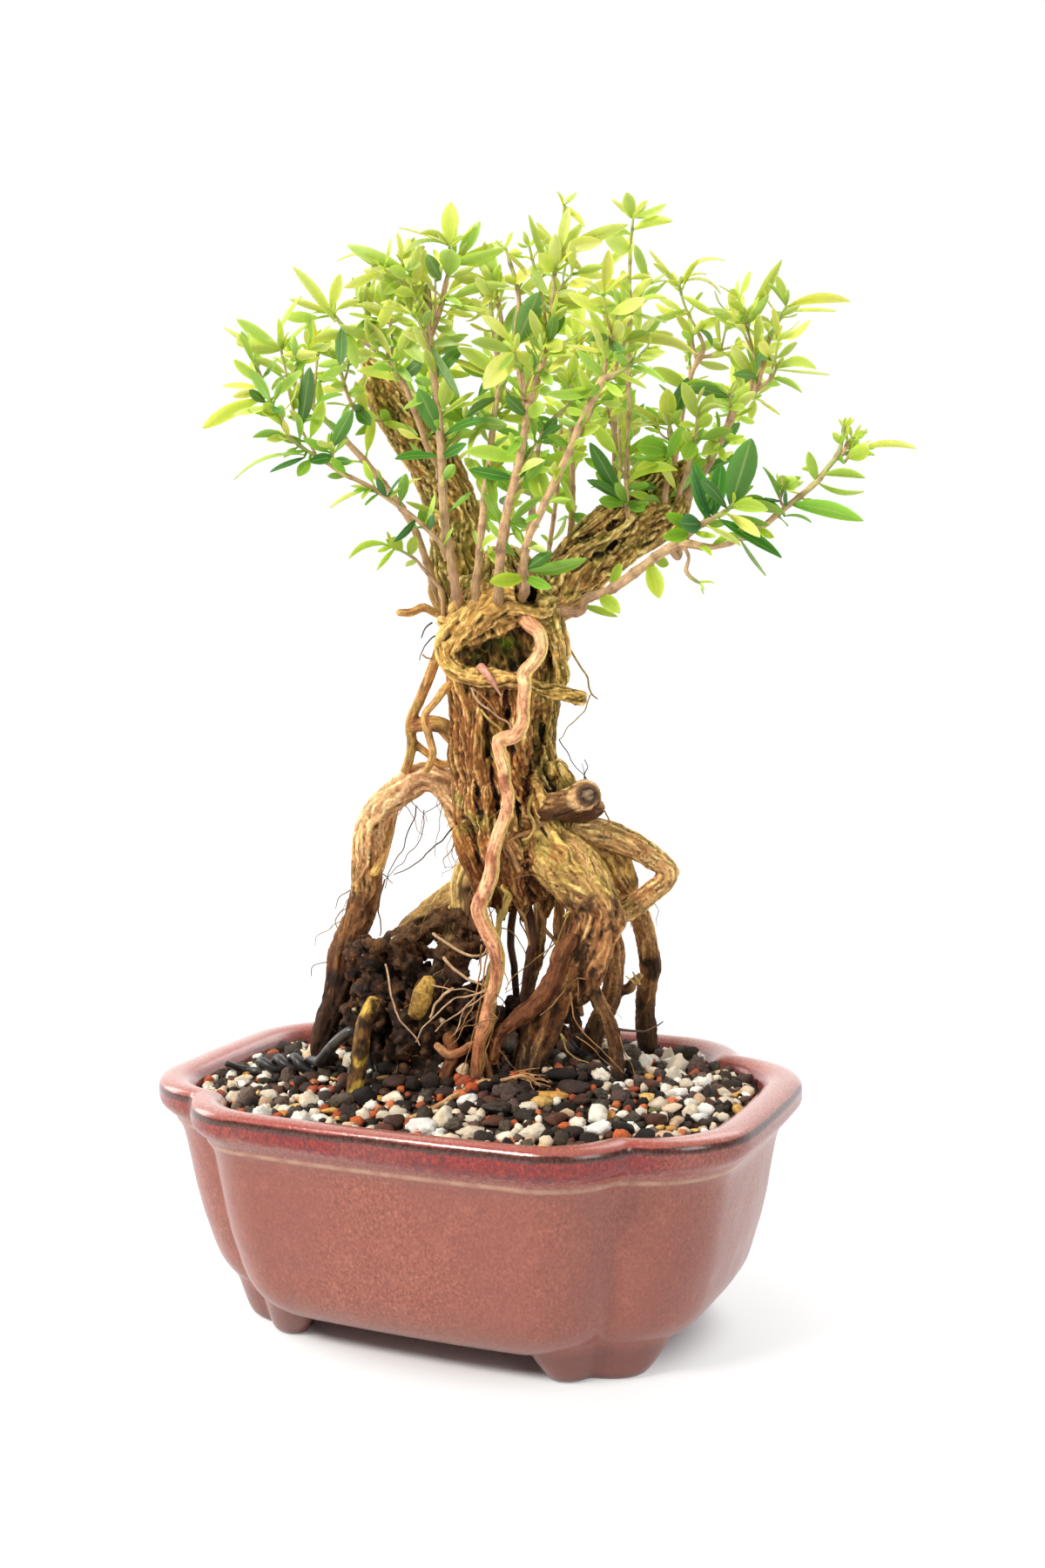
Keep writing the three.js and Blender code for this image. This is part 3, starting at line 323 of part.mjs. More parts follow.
  ["shoot_m",40.3,32.2,272.5,40.3,32.2,272.5,45.8,30.4,275.1,2.6,-32,1,0],
  ["shoot_m",34.8,34.7,300.3,34.8,34.7,300.3,29,36.4,304,2.6,14,1,0],
  ["shoot_m",33.8,35.5,305.1,33.8,35.5,305.1,36.8,41.3,310.6,2.6,14,1,0],
  ["shoot_m",37.5,33.4,290.6,37.5,33.4,290.6,32,39.1,281,3.2,0,0,-0.2],
  ["shoot_u",-31.4,-1.5,310.2,-31.4,-1.5,310.2,-37.7,-11.5,309.6,2.8,-35,2,-0.2],
  ["shoot_v",-18.8,26.2,277.3,-18.8,26.2,277.3,-23.8,37.7,277.2,4.2,18,3,0.5],
  ["shoot_v",-18.8,26.2,277.3,-18.8,26.2,277.3,-13.6,30.2,292,4.6,-23,1,1.2],
  ["shoot_v",-20.7,29.3,282.2,-20.7,29.3,282.2,-35,26.1,289.4,5.1,25,1,0.2],
  ["shoot_v",-20.7,29.3,282.2,-20.7,29.3,282.2,-12.4,36.9,286.1,3.4,-11,2,0.6],
  ["shoot_v",-22.2,31.5,286.4,-22.2,31.5,286.4,-37.5,34.8,289,4.8,7,2,0.1],
  ["shoot_v",-24.2,34.3,291.9,-24.2,34.3,291.9,-33.5,25,297.8,5.1,-7,1,0.5],
  ["shoot_v",-25.8,36.5,296.2,-25.8,36.5,296.2,-24.4,30.2,311.9,5,48,1,0.5],
  ["shoot_v",-27.8,39.2,303.2,-27.8,39.2,303.2,-33.6,29.2,313.2,4.9,17,2,1.1],
  ["shoot_v",-29.9,41.7,310.2,-29.9,41.7,310.2,-44.5,45.6,316.3,5.6,22,2,0.2],
  ["shoot_v",-31.4,43.3,314.5,-31.4,43.3,314.5,-26.6,57.6,317.6,5.8,31,3,0.3],
  ["shoot_v",-35.4,45.9,325.5,-35.4,45.9,325.5,-38.4,34.5,333,4.8,30,1,0.7],
  ["shoot_v",-35.4,45.9,325.5,-35.4,45.9,325.5,-35.9,56.8,335.8,4.5,27,1,1],
  ["shoot_v",-31.1,36.8,297.4,-31.1,36.8,297.4,-45.3,33.8,291.2,5.4,32,2,1.2],
  ["shoot_v",-36.1,39,300.7,-36.1,39,300.7,-46.1,45.1,292.3,4.3,-9,1,0.6],
  ["shoot_v",-40.3,41,303.1,-40.3,41,303.1,-49.9,33.6,303.2,3.3,-23,3,0.7],
  ["shoot_w",-2.3,41.2,255.3,-2.3,41.2,255.3,1.7,51.3,253.1,3.2,-24,2,0.7],
  ["shoot_w",-2.4,44.2,260.7,-2.4,44.2,260.7,-10.5,56,265.2,5.6,2,3,0.1],
  ["shoot_w",-2.4,44.2,260.7,-2.4,44.2,260.7,4.5,37.2,272.2,4.9,-19,1,0.2],
  ["shoot_w",-2.3,46.4,265.1,-2.3,46.4,265.1,-10.8,40.6,278.3,6.5,0,2,0.1],
  ["shoot_w",-2.2,48.7,269.5,-2.2,48.7,269.5,3.7,44.1,283.1,5.4,-15,2,0.1],
  ["shoot_w",-2,52.1,276.2,-2,52.1,276.2,-12.6,52.2,286.3,5.4,9,1,0.1],
  ["shoot_w",-1.9,54.3,282.2,-1.9,54.3,282.2,-13.9,62.1,287.3,5.9,-18,1,1.1],
  ["shoot_w",-1.4,58.8,294.1,-1.4,58.8,294.1,-14.1,67.1,296.9,6,-29,2,1.1],
  ["shoot_w",0.1,64.9,307.8,0.1,64.9,307.8,-7.6,77,316.4,5.2,46,2,0.7],
  ["shoot_w",0.1,64.9,307.8,0.1,64.9,307.8,13.2,64.3,314.7,5.5,7,2,0.3],
  ["shoot_w",0.7,67.2,313.4,0.7,67.2,313.4,-4.5,61.5,325.8,5.2,44,2,0.7],
  ["shoot_w",0.7,67.2,313.4,0.7,67.2,313.4,2.6,80.7,319,5.5,-3,2,0.6],
  ["shoot_w",1.6,70.2,322.6,1.6,70.2,322.6,9.5,84.7,324,6.3,32,2,0],
  ["shoot_w",1.6,70.2,322.6,1.6,70.2,322.6,-7.9,70.4,330.9,3.8,0,3,0.3],
  ["shoot_w",-15.3,65,308,-15.3,65,308,-27.3,60.8,317,4.9,12,2,0],
  ["shoot_w",-15.3,65,308,-15.3,65,308,-9.3,79,313,5.6,44,2,1.1],
  ["shoot_x",18.4,47.4,260.9,18.4,47.4,260.9,4.9,53.3,267.8,6.2,-32,2,0.8],
  ["shoot_x",17.5,49.6,265.3,17.5,49.6,265.3,13,60.3,264.5,3.3,4,2,0.3],
  ["shoot_x",17.5,49.6,265.3,17.5,49.6,265.3,16.3,42.9,280.6,5.6,16,1,1.1],
  ["shoot_x",16.4,52.7,271.9,16.4,52.7,271.9,8.4,63.1,272.4,4.8,36,2,0.4],
  ["shoot_x",15.4,55.9,278.4,15.4,55.9,278.4,13,71,280.1,6,-27,2,0.6],
  ["shoot_x",15.5,59.2,283.7,15.5,59.2,283.7,26.5,66.8,293.3,5.7,39,1,0.8],
  ["shoot_x",15.5,59.2,283.7,15.5,59.2,283.7,4.4,56.7,289.9,3.8,45,2,0.8],
  ["shoot_x",15.9,63.3,290,15.9,63.3,290,9.7,60.4,301,4.9,11,2,0.5],
  ["shoot_x",19.7,72.8,304.9,19.7,72.8,304.9,10.2,85.6,308,5.9,2,2,1],
  ["shoot_x",21.2,78.5,317.3,21.2,78.5,317.3,10,83.7,325.6,4.8,-26,1,0.9],
  ["shoot_x",21.2,78.5,317.3,21.2,78.5,317.3,29.2,83.8,324.7,3.9,36,1,0.8],
  ["shoot_y",35.6,54.8,269.3,35.6,54.8,269.3,46.4,56.7,275.1,3.7,-50,1,0.1],
  ["shoot_y",35.6,54.8,269.3,35.6,54.8,269.3,26.7,62,270.1,4,14,2,0.1],
  ["shoot_y",33,61.8,280.9,33,61.8,280.9,25.5,73.8,285.5,5,-12,3,1.1],
  ["shoot_y",31.8,65.5,287.5,31.8,65.5,287.5,36.4,54.7,299.2,6.3,16,1,0.1],
  ["shoot_y",31.8,65.5,287.5,31.8,65.5,287.5,35,80.6,292.1,5.1,7,2,0],
  ["shoot_y",30.5,69.9,296.4,30.5,69.9,296.4,24.7,83.4,299.6,5,16,1,1],
  ["shoot_y",29.7,72.5,301.9,29.7,72.5,301.9,18.6,77.9,307.1,3.7,-31,2,0.7],
  ["shoot_y",28.5,76,310.8,28.5,76,310.8,21.1,59.8,319.9,5.2,73,1,0.7],
  ["shoot_y",28,77.6,315.5,28,77.6,315.5,29.1,94.1,319.4,4.7,-36,1,0.7],
  ["shoot_y",28,77.6,315.5,28,77.6,315.5,29,63.2,323.3,6.5,4,1,1.1],
  ["shoot_y",27.8,80.1,325.6,27.8,80.1,325.6,22.1,75.2,334.1,3.4,-12,2,1.1],
  ["shoot_z",59.6,56.9,267.5,59.6,56.9,267.5,72,55.6,273,4.8,-43,3,0.5],
  ["shoot_z",59.6,56.9,267.5,59.6,56.9,267.5,48.4,67,268.6,5.6,48,3,0.1],
  ["shoot_z",60.3,61.7,271,60.3,61.7,271,65.9,75.8,265.7,4.4,15,2,0.5],
  ["shoot_z",60.9,66.4,274.9,60.9,66.4,274.9,71.3,65.5,285.6,4.9,8,3,1.1],
  ["shoot_z",62.2,76.2,284,62.2,76.2,284,59.9,92.3,282.1,6.2,37,3,0.8],
  ["shoot_z",62.8,81.5,289.1,62.8,81.5,289.1,53.3,88.6,300.6,4.8,-25,2,1.1],
  ["shoot_z",63.2,85,292.5,63.2,85,292.5,59.8,99.5,288.9,5.4,45,1,0.9],
  ["shoot_z",67,94.2,302.5,67,94.2,302.5,72.7,84.5,315.1,4.8,30,3,0.8],
  ["shoot_z",67,94.2,302.5,67,94.2,302.5,68,105.7,302.8,4,-28,1,0],
  ["shoot_z",62.5,87.1,293,62.5,87.1,293,69.1,87.8,305.6,5,25,3,0.6],
  ["shoot_z",60.6,92.6,298.2,60.6,92.6,298.2,47.5,94.7,300.6,4.1,-21,2,1.1],
];

const wasm = await Module();
wasm.setup();
const { Manifold, Mesh } = wasm;
// ---------- helpers ----------
const V = (a) => new THREE.Vector3(a[0], a[1], a[2]);
function solid(pos, idx) {
  return new Manifold(new Mesh({ numProp: 3, vertProperties: new Float32Array(pos), triVerts: new Uint32Array(idx) }));
}
// a closed tapered tube through points [x, y, z, r]; grow widens it and lengthens both ends
function tube(pts, sides, grow = 0) {
  const n = pts.length, p = pts.map(V), tan = [];
  for (let i = 0; i < n; i++) tan.push(new THREE.Vector3().subVectors(p[Math.min(i + 1, n - 1)], p[Math.max(i - 1, 0)]).normalize());
  let u = new THREE.Vector3(0.31, 0.77, 0.55);
  const pos = [], idx = [];
  for (let i = 0; i < n; i++) {
    u = u.clone().addScaledVector(tan[i], -u.dot(tan[i])).normalize();
    const w = new THREE.Vector3().crossVectors(tan[i], u), c = p[i].clone();
    if (i === 0) c.addScaledVector(tan[i], -grow);
    if (i === n - 1) c.addScaledVector(tan[i], grow);
    const r = pts[i][3] + grow;
    for (let k = 0; k < sides; k++) {
      const a = (2 * Math.PI * k) / sides;
      const q = c.clone().addScaledVector(u, r * Math.cos(a)).addScaledVector(w, r * Math.sin(a));
      pos.push(q.x, q.y, q.z);
    }
  }
  for (let i = 0; i < n - 1; i++) for (let k = 0; k < sides; k++) {
    const a = i * sides + k, b = i * sides + ((k + 1) % sides), c = a + sides, d = b + sides;
    idx.push(a, b, d, a, d, c);
  }
  for (let k = 1; k < sides - 1; k++) { idx.push(0, k + 1, k); const o = (n - 1) * sides; idx.push(o, o + k, o + k + 1); }
  return solid(pos, idx);
}
// a blade: attachment A, blade base B, tip T, width w, roll about its own axis, thickness th
function leaf(L, th, grow = 0) {
  const A = new THREE.Vector3(L[1], L[2], L[3]), B = new THREE.Vector3(L[4], L[5], L[6]), T = new THREE.Vector3(L[7], L[8], L[9]);
  const w = L[10] / 2 + grow, roll = (L[11] * Math.PI) / 180, t = th / 2 + grow;
  const ax = new THREE.Vector3().subVectors(T, B), len = ax.length(); ax.normalize();
  let nrm = VIEW.clone().addScaledVector(ax, -VIEW.dot(ax)); if (nrm.length() < 0.05) nrm.set(0, 0, 1).addScaledVector(ax, -ax.z);
  nrm.normalize().applyAxisAngle(ax, roll);
  const side = new THREE.Vector3().crossVectors(ax, nrm).normalize();
  const bow = L[13] || 0, pos = [], idx = [];
  const ring = (c, hw, ht) => { for (const [a, b] of [[1, -0.5], [0, 0.9], [-1, -0.5]]) { const q = c.clone().addScaledVector(side, a * hw).addScaledVector(nrm, b * ht); pos.push(q.x, q.y, q.z); } };
  const up = new THREE.Vector3(0, 0, 1).addScaledVector(ax, -ax.z);
  const far = A.distanceTo(B) > 1.2;
  const first = A.clone().addScaledVector(far ? new THREE.Vector3().subVectors(B, A).normalize() : ax, -0.5 - grow);
  pos.push(first.x, first.y, first.z);
  if (far) ring(B, 0.55 + grow, 0.45 + grow);
  const mid = (f) => B.clone().addScaledVector(ax, len * f).addScaledVector(up, bow * 4 * f * (1 - f));
  if (L[10] > WIDE) { ring(mid(0.34), w * 0.86, t); ring(mid(0.70), w * 0.94, t); } else ring(mid(0.54), w, t);
  const m = (pos.length / 3 - 1) / 3;
  const q = T.clone().addScaledVector(ax, grow); pos.push(q.x, q.y, q.z);
  for (let k = 0; k < 3; k++) idx.push(0, 1 + ((k + 1) % 3), 1 + k);
  for (let i = 0; i < m - 1; i++) for (let k = 0; k < 3; k++) {
    const a = 1 + i * 3 + k, b = 1 + i * 3 + ((k + 1) % 3), c = a + 3, d = b + 3; idx.push(a, b, d, a, d, c);
  }
  const o = 1 + (m - 1) * 3; for (let k = 0; k < 3; k++) idx.push(o + k, o + ((k + 1) % 3), 1 + m * 3);
  let s = solid(pos, idx);
  if (s.volume() < 0) { for (let i = 0; i < idx.length; i += 3) { const x = idx[i]; idx[i] = idx[i + 1]; idx[i + 1] = x; } s = solid(pos, idx); }
  return s;
}
function biggest(m) {
  const parts = m.decompose(); let best = parts[0];
  for (const q of parts) if (q.volume() > best.volume()) best = q;
  return best;
}
const over = (a, b) => { const p = a.boundingBox(), q = b.boundingBox(); for (let i = 0; i < 3; i++) if (p.min[i] > q.max[i] || q.min[i] > p.max[i]) return false; return true; };
// ---------- pot ----------
// plan outline of the lobed pot: two crossed rounded boxes with bowed sides, blended; one radius per angle
function potRadius(a) {
  const box = (x, y, hx, hy, r) => { const qx = Math.abs(x) - hx + r, qy = Math.abs(y) - hy + r; return Math.hypot(Math.max(qx, 0), Math.max(qy, 0)) + Math.min(Math.max(qx, qy), 0) - r; };
  const sd = (x, y) => {
    const xa = x + Math.sign(x) * POT.bowX * (y / POT.notchY) ** 2, yb = y + Math.sign(y) * POT.bowY * (x / POT.notchX) ** 2;
    const d1 = box(xa, y, POT.halfX, POT.notchY, POT.corner), d2 = box(x, yb, POT.notchX, POT.halfY, POT.corner);
    const h = Math.min(1, Math.max(0, 0.5 + (0.5 * (d2 - d1)) / POT.blend));
    return d2 * (1 - h) + d1 * h - POT.blend * h * (1 - h);
  };
  const c = Math.cos(a), s = Math.sin(a);
  let lo = 10, hi = 200;
  for (let k = 0; k < 36; k++) { const m = (lo + hi) / 2; if (sd(m * c, m * s) > 0) hi = m; else lo = m; }
  return (lo + hi) / 2;
}
const QUAD = POT.angles.map((d) => (d * Math.PI) / 180);
const ANG = [...QUAD, ...QUAD.slice(1).reverse().map((a) => Math.PI - a).slice(0), Math.PI, ...QUAD.slice(1).map((a) => Math.PI + a), ...QUAD.slice(1).reverse().map((a) => 2 * Math.PI - a)]
  .sort((x, y) => x - y).filter((a, i, l) => i === 0 || a - l[i - 1] > 1e-6);
const NR = ANG.length, RAD = ANG.map(potRadius);
// closed surface through star-shaped rings [z, scale], first and last ring capped with a fan
function loft(rings, zf) {
  const pos = [], idx = [];
  rings.forEach(([z, s], j) => { for (let i = 0; i < NR; i++) { const a = ANG[i], x = RAD[i] * s * Math.cos(a), y = RAD[i] * s * Math.sin(a); pos.push(x, y, zf ? zf(x, y, z, s, j) : z); } });
  for (let j = 0; j < rings.length - 1; j++) for (let i = 0; i < NR; i++) {
    const a = j * NR + i, b = j * NR + ((i + 1) % NR), c = a + NR, d = b + NR; idx.push(a, b, d, a, d, c);
  }
  const o = pos.length / 3, z0 = rings[0][0], zl = rings[rings.length - 1][0], last = (rings.length - 1) * NR;
  pos.push(0, 0, zf ? zf(0, 0, z0, 0, 0) : z0, 0, 0, zf ? zf(0, 0, zl, 0, rings.length - 1) : zl);
  for (let i = 0; i < NR; i++) { idx.push(o, (i + 1) % NR, i); idx.push(o + 1, last + i, last + ((i + 1) % NR)); }
  return solid(pos, idx);
}
function disc(x, y, z0, z1, r, n) {
  const g = new THREE.CylinderGeometry(r, r, z1 - z0, n, 1); g.rotateX(Math.PI / 2); g.translate(x, y, (z0 + z1) / 2);
  return fromGeometry(g);
}
function fromGeometry(g) {
  g = mergeVertices(new THREE.BufferGeometry().setAttribute('position', g.getAttribute('position')).setIndex(g.index), 1e-4);
  return solid(Array.from(g.getAttribute('position').array), Array.from(g.index.array));
}
function block(x0, x1, y0, y1, z0, z1) {
  const g = new THREE.BoxGeometry(x1 - x0, y1 - y0, z1 - z0); g.translate((x0 + x1) / 2, (y0 + y1) / 2, (z0 + z1) / 2); return fromGeometry(g);
}
// cloud foot: a flared slab hugging the plan outline round one corner notch
function foot(ang) {
  const n = 6, pos = [], idx = [];
  const rad = (a) => potRadius(a);
  for (const [z, so, si, half] of FOOT.levels) {
    for (let i = 0; i <= n; i++) { const f = i / n, a = ang - half + 2 * half * f, e = 1 - 0.10 * Math.pow(Math.abs(2 * f - 1), 4); pos.push(rad(a) * so * e * Math.cos(a), rad(a) * so * e * Math.sin(a), z); }
    for (let i = n; i >= 0; i--) { const f = i / n, a = ang - half + 2 * half * f, e = 1 + 0.14 * Math.pow(Math.abs(2 * f - 1), 2); pos.push(rad(a) * si * e * Math.cos(a), rad(a) * si * e * Math.sin(a), z); }
  }
  const m = 2 * (n + 1), L = FOOT.levels.length;
  for (let j = 0; j < L - 1; j++) for (let i = 0; i < m; i++) { const a = j * m + i, b = j * m + ((i + 1) % m), c = a + m, d = b + m; idx.push(a, b, d, a, d, c); }
  for (let i = 0; i < n; i++) {
    const a = i, b = i + 1, c = m - 2 - i, d = m - 1 - i, t = (L - 1) * m;
    idx.push(a, c, b, a, d, c); idx.push(t + a, t + b, t + c, t + a, t + c, t + d);
  }
  return solid(pos, idx);
}
let pot = loft([...POT.outer.map(([z, i]) => [z, 1 - i / 100]), ...POT.inner.map(([z, i]) => [z, 1 - i / 100])]);
const footAngle = (FOOT.angle * Math.PI) / 180;
for (const a of [footAngle, Math.PI - footAngle, Math.PI + footAngle, -footAngle]) pot = pot.add(foot(a));
for (const sx of [-1, 1]) pot = pot.subtract(disc(sx * HOLE.x, 0, -1, POT.floor + 2, HOLE.r, 24));

// ---------- drain mesh ----------
function drainMesh(sx) {
  const x = sx * HOLE.x, z = POT.floor + GAP, r = HOLE.mesh, c = HOLE.cell, b = HOLE.bar;
  let m = block(x - r, x + r, -r, r, z, z + HOLE.thick);
  for (let i = -1; i <= 1; i++) for (let j = -1; j <= 1; j++) { const u = x + i * (c + b), v = j * (c + b); m = m.subtract(block(u - c / 2, u + c / 2, v - c / 2, v + c / 2, z - 1, z + 3)); }
  return m;
}

// ---------- soil ----------
const soilTop = (x, y) => SOIL.level + SOIL.mound * Math.exp(-(((x - SOIL.cx) / SOIL.sx) ** 2) - ((y - SOIL.cy) / SOIL.sy) ** 2) + 0.7 * Math.sin(x * 0.31 + 1.1) * Math.cos(y * 0.37) ;
function innerScale(z) {
  const p = POT.inner; for (let i = 0; i < p.length - 1; i++) if (z <= p[i][0] && z >= p[i + 1][0]) { const f = (p[i][0] - z) / (p[i][0] - p[i + 1][0]); return 1 - (p[i][1] * (1 - f) + p[i + 1][1] * f) / 100; }
  return 1 - p[p.length - 1][1] / 100;
}
const SG = 0.45 / 75; // clearance to the pot wall as a scale step
const soilRings = [[POT.floor + GAP, innerScale(POT.floor + 0.5) - SG], [POT.floor + 9, innerScale(POT.floor + 9) - SG], [42, innerScale(42) - SG], [SOIL.level - 3, innerScale(SOIL.level - 3) - SG - 0.002], [0, 0.78], [0, 0.58], [0, 0.36], [0, 0.18]];
let soil = loft(soilRings, (x, y, z, s, j) => (j < 4 ? z : soilTop(x, y)));

// ---------- wood ----------
const sidesOf = { bark: 14, knot: 8, root: 8, aerial: 6, pale: 7, twig: 5, stem: 5 };
const byName = new Map(), grown = new Map();
for (const [name, kind, pts] of TUBES) {
  const sides = kind === 'stem' && Math.max(...pts.map((p) => p[3])) < 1.25 ? 4 : sidesOf[kind];
  const fine = kind === 'root' || kind === 'knot' || kind === 'bark' ? spline(pts, kind === 'bark' ? 1 : 1) : pts;
  const a = tube(fine, sides, 0), b = tube(fine, sides, GAP);
  byName.set(name, byName.has(name) ? byName.get(name).add(a) : a);
  grown.set(name, grown.has(name) ? grown.get(name).add(b) : b);
}
// midpoints on a centripetal curve through the stated points, for smoother bends
function spline(pts, k) {
  const c = new THREE.CatmullRomCurve3(pts.map(V), false, 'centripetal'), n = (pts.length - 1) * k, out = [];
  for (let i = 0; i <= n; i++) { const t = i / n, q = c.getPoint(t), f = t * (pts.length - 1), j = Math.min(pts.length - 2, Math.floor(f)), g = f - j; out.push([q.x, q.y, q.z, pts[j][3] * (1 - g) + pts[j + 1][3] * g]); }
  return out;
}
const order = [...byName.keys()], stems = new Map();
const done = [];
const cutAll = (m, list) => { for (const k of list) if (over(m, k)) m = m.subtract(k); return m; };
const isShoot = (n) => n.startsWith('shoot_');
const lossReport = [];
for (const name of order) {
  let m = byName.get(name); const v0 = m.volume();
  m = cutAll(m, done.map(([, g]) => g));
  const parts = m.decompose(); m = biggest(m);
  lossReport.push([name, +(m.volume() / v0).toFixed(2), parts.length]);
  stems.set(name, m); done.push([name, grown.get(name)]);
}
// ---------- anchor wire ----------
const TW = { r: 1.65, off: 1.75, turns: 1.6 }; // the twisted pair
function twist(axis, r, off, turns, phase, n) {
  const c = new THREE.CatmullRomCurve3(axis.map(V)), out = [];
  for (let i = 0; i <= n; i++) {
    const t = i / n, q = c.getPoint(t), tg = c.getTangent(t).normalize();
    const u = new THREE.Vector3(0, 0, 1).addScaledVector(tg, -tg.z).normalize(), w = new THREE.Vector3().crossVectors(tg, u), a = phase + 2 * Math.PI * turns * t;
    q.addScaledVector(u, off * Math.cos(a)).addScaledVector(w, off * Math.sin(a)); out.push([q.x, q.y, q.z, r]);
  }
  return out;
}
function makeWires() {
  const a = tube([...WIRE_A, ...twist(WIRE_AXIS, 1.1, 1.28, 2.5, 0.4, 15), ...WIRE_END], 5, 0);
  const ai = tube([...WIRE_A, ...twist(WIRE_AXIS, 1.1, 1.28, 2.5, 0.4, 15), ...WIRE_END], 5, GAP);
  const b = tube([...WIRE_B, ...twist(WIRE_AXIS, 1.1, 1.28, 2.5, 0.4 + Math.PI, 15)], 5, 0);
  const bi = tube([...WIRE_B, ...twist(WIRE_AXIS, 1.1, 1.28, 2.5, 0.4 + Math.PI, 15)], 5, GAP);
  return [[a, ai], [b, bi]];
}
function makeClump() {
  const make = (g) => {
    const s = new THREE.IcosahedronGeometry(1, 2); const q = mergeVertices(new THREE.BufferGeometry().setAttribute('position', s.getAttribute('position')), 1e-4);
    const p = q.getAttribute('position'), out = [];
    for (let i = 0; i < p.count; i++) {
      const x = p.getX(i), y = p.getY(i), z = p.getZ(i), k = 1 + 0.10 * Math.sin(5 * x + 1) * Math.cos(4 * y) + 0.09 * Math.sin(7 * z + 3 * x + 2) + 0.05 * Math.cos(9 * y - 5 * z);
      out.push(PEAT.c[0] + x * (PEAT.r[0] * k + g), PEAT.c[1] + y * (PEAT.r[1] * k + g), PEAT.c[2] + z * (PEAT.r[2] * k + g));
    }
    return solid(out, Array.from(q.index.array));
  };
  return [make(0), make(GAP)];
}

// ---------- assembly ----------
const MAT = {
  glaze: [0x9c5348, 0.35], soil: [0x6b4a33, 0.95], bark: [0x8a7448, 0.9], root: [0x97714f, 0.85], peat: [0x3a2a20, 1], stem: [0xb9895f, 0.8],
  leaf: [0x6fae2b, 0.55], wire: [0x1d1b1a, 0.6], mesh: [0x202020, 0.7],
};
const mats = {}; for (const k in MAT) { mats[k] = new THREE.MeshStandardMaterial({ color: MAT[k][0], roughness: MAT[k][1] }); mats[k].name = k; }
const unsound = [];
const group = new THREE.Group(); group.name = 'serissa_bonsai';
// true when no two vertices nearly meet and no triangle is a sliver, so the body stays closed when it is rounded
function sound(m) {
  const mesh = m.getMesh(), v = mesh.vertProperties, np = mesh.numProp, t = mesh.triVerts, cell = 0.004, seen = new Map();
  for (let i = 0; i < v.length; i += np) {
    const c = [0, 1, 2].map((k) => Math.round(v[i + k] / cell));
    for (let a = -1; a < 2; a++) for (let b = -1; b < 2; b++) for (let d = -1; d < 2; d++) {
      const q = seen.get(c[0] + a + ',' + (c[1] + b) + ',' + (c[2] + d)); if (q !== undefined && Math.hypot(v[i] - v[q], v[i + 1] - v[q + 1], v[i + 2] - v[q + 2]) < 0.004) return false;
    }
    seen.set(c.join(','), i);
  }
  const P = (i) => new THREE.Vector3(v[i * np], v[i * np + 1], v[i * np + 2]);
  for (let i = 0; i < t.length; i += 3) {
    const a = P(t[i]), b = P(t[i + 1]), c = P(t[i + 2]);
    const area = new THREE.Vector3().crossVectors(b.clone().sub(a), c.clone().sub(a)).length();
    const long = Math.max(a.distanceTo(b), b.distanceTo(c), c.distanceTo(a));
    if (area / long < 0.0012) return false;
  }
  return m.decompose().length === 1;
}
function tidy(m, list) {
  let last = m;
  for (const e of list) { last = biggest(m.simplify(e)); if (sound(last)) return last; }
  return last;
}
function emit(name, m, slot) {
  m = tidy(m, name.startsWith('shoot') ? [0.16, 0.13, 0.19, 0.1, 0.22, 0.07, 0.25, 0.05] : [0.09, 0.07, 0.11, 0.05, 0.13, 0.03]);
  if (!sound(m)) unsound.push(name);
  const mesh = m.getMesh(), g = new THREE.BufferGeometry();
  const np = mesh.numProp, src = mesh.vertProperties, pos = new Float32Array((src.length / np) * 3);
  for (let i = 0, j = 0; i < src.length; i += np) { pos[j++] = src[i] + SHIFT[0]; pos[j++] = src[i + 1] + SHIFT[1]; pos[j++] = src[i + 2]; }
  g.setAttribute('position', new THREE.BufferAttribute(pos, 3)); g.setIndex(new THREE.BufferAttribute(new Uint32Array(mesh.triVerts), 1)); g.computeVertexNormals();
  const o = new THREE.Mesh(g, mats[slot]); o.name = name; group.add(o);
}
const wires = makeWires(), clump = makeClump();
emit('pot', pot, 'glaze');
const meshL = drainMesh(-1), meshR = drainMesh(1);
emit('drain_mesh_left', meshL, 'mesh'); emit('drain_mesh_right', meshR, 'mesh');
let peat = cutAll(clump[0], done.map(([, g]) => g)); peat = biggest(peat);
let wireA = cutAll(wires[0][0], []), wireB = biggest(cutAll(wires[1][0], [wires[0][1]]));
peat = peat.subtract(wires[0][1]).subtract(wires[1][1]); peat = biggest(peat);
for (const sx of [-1, 1]) { const x = sx * HOLE.x, r = HOLE.mesh + GAP; soil = soil.subtract(block(x - r, x + r, -r, r, 0, POT.floor + HOLE.thick + 2 * GAP)); }
soil = cutAll(soil, [...done.map(([, g]) => g), clump[1], wires[0][1], wires[1][1]]); soil = biggest(soil);
emit('soil_bed', soil, 'soil');
emit('root_peat', peat, 'peat');
emit('anchor_wire_a', wireA, 'wire'); emit('anchor_wire_b', wireB, 'wire');
const slotOf = (n) => (isShoot(n) ? 'leaf' : n === 'trunk' || n.endsWith('branch') ? 'bark' : n === 'dead_twig_left' ? 'stem' : 'root');
for (const name of order) {
  let m = stems.get(name);
  if (isShoot(name)) { for (const L of LEAVES) if (L[0] === name) m = m.add(leaf(L, LEAF)); m = biggest(m); }
  emit(name, m, slotOf(name));
}
export default group;
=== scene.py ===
"""Looks of a potted serissa bonsai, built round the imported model. Metres in Blender; the tables below are millimetres about the pot's centre."""
import math
import time
import bpy
import numpy as np
from mathutils import Matrix, Vector


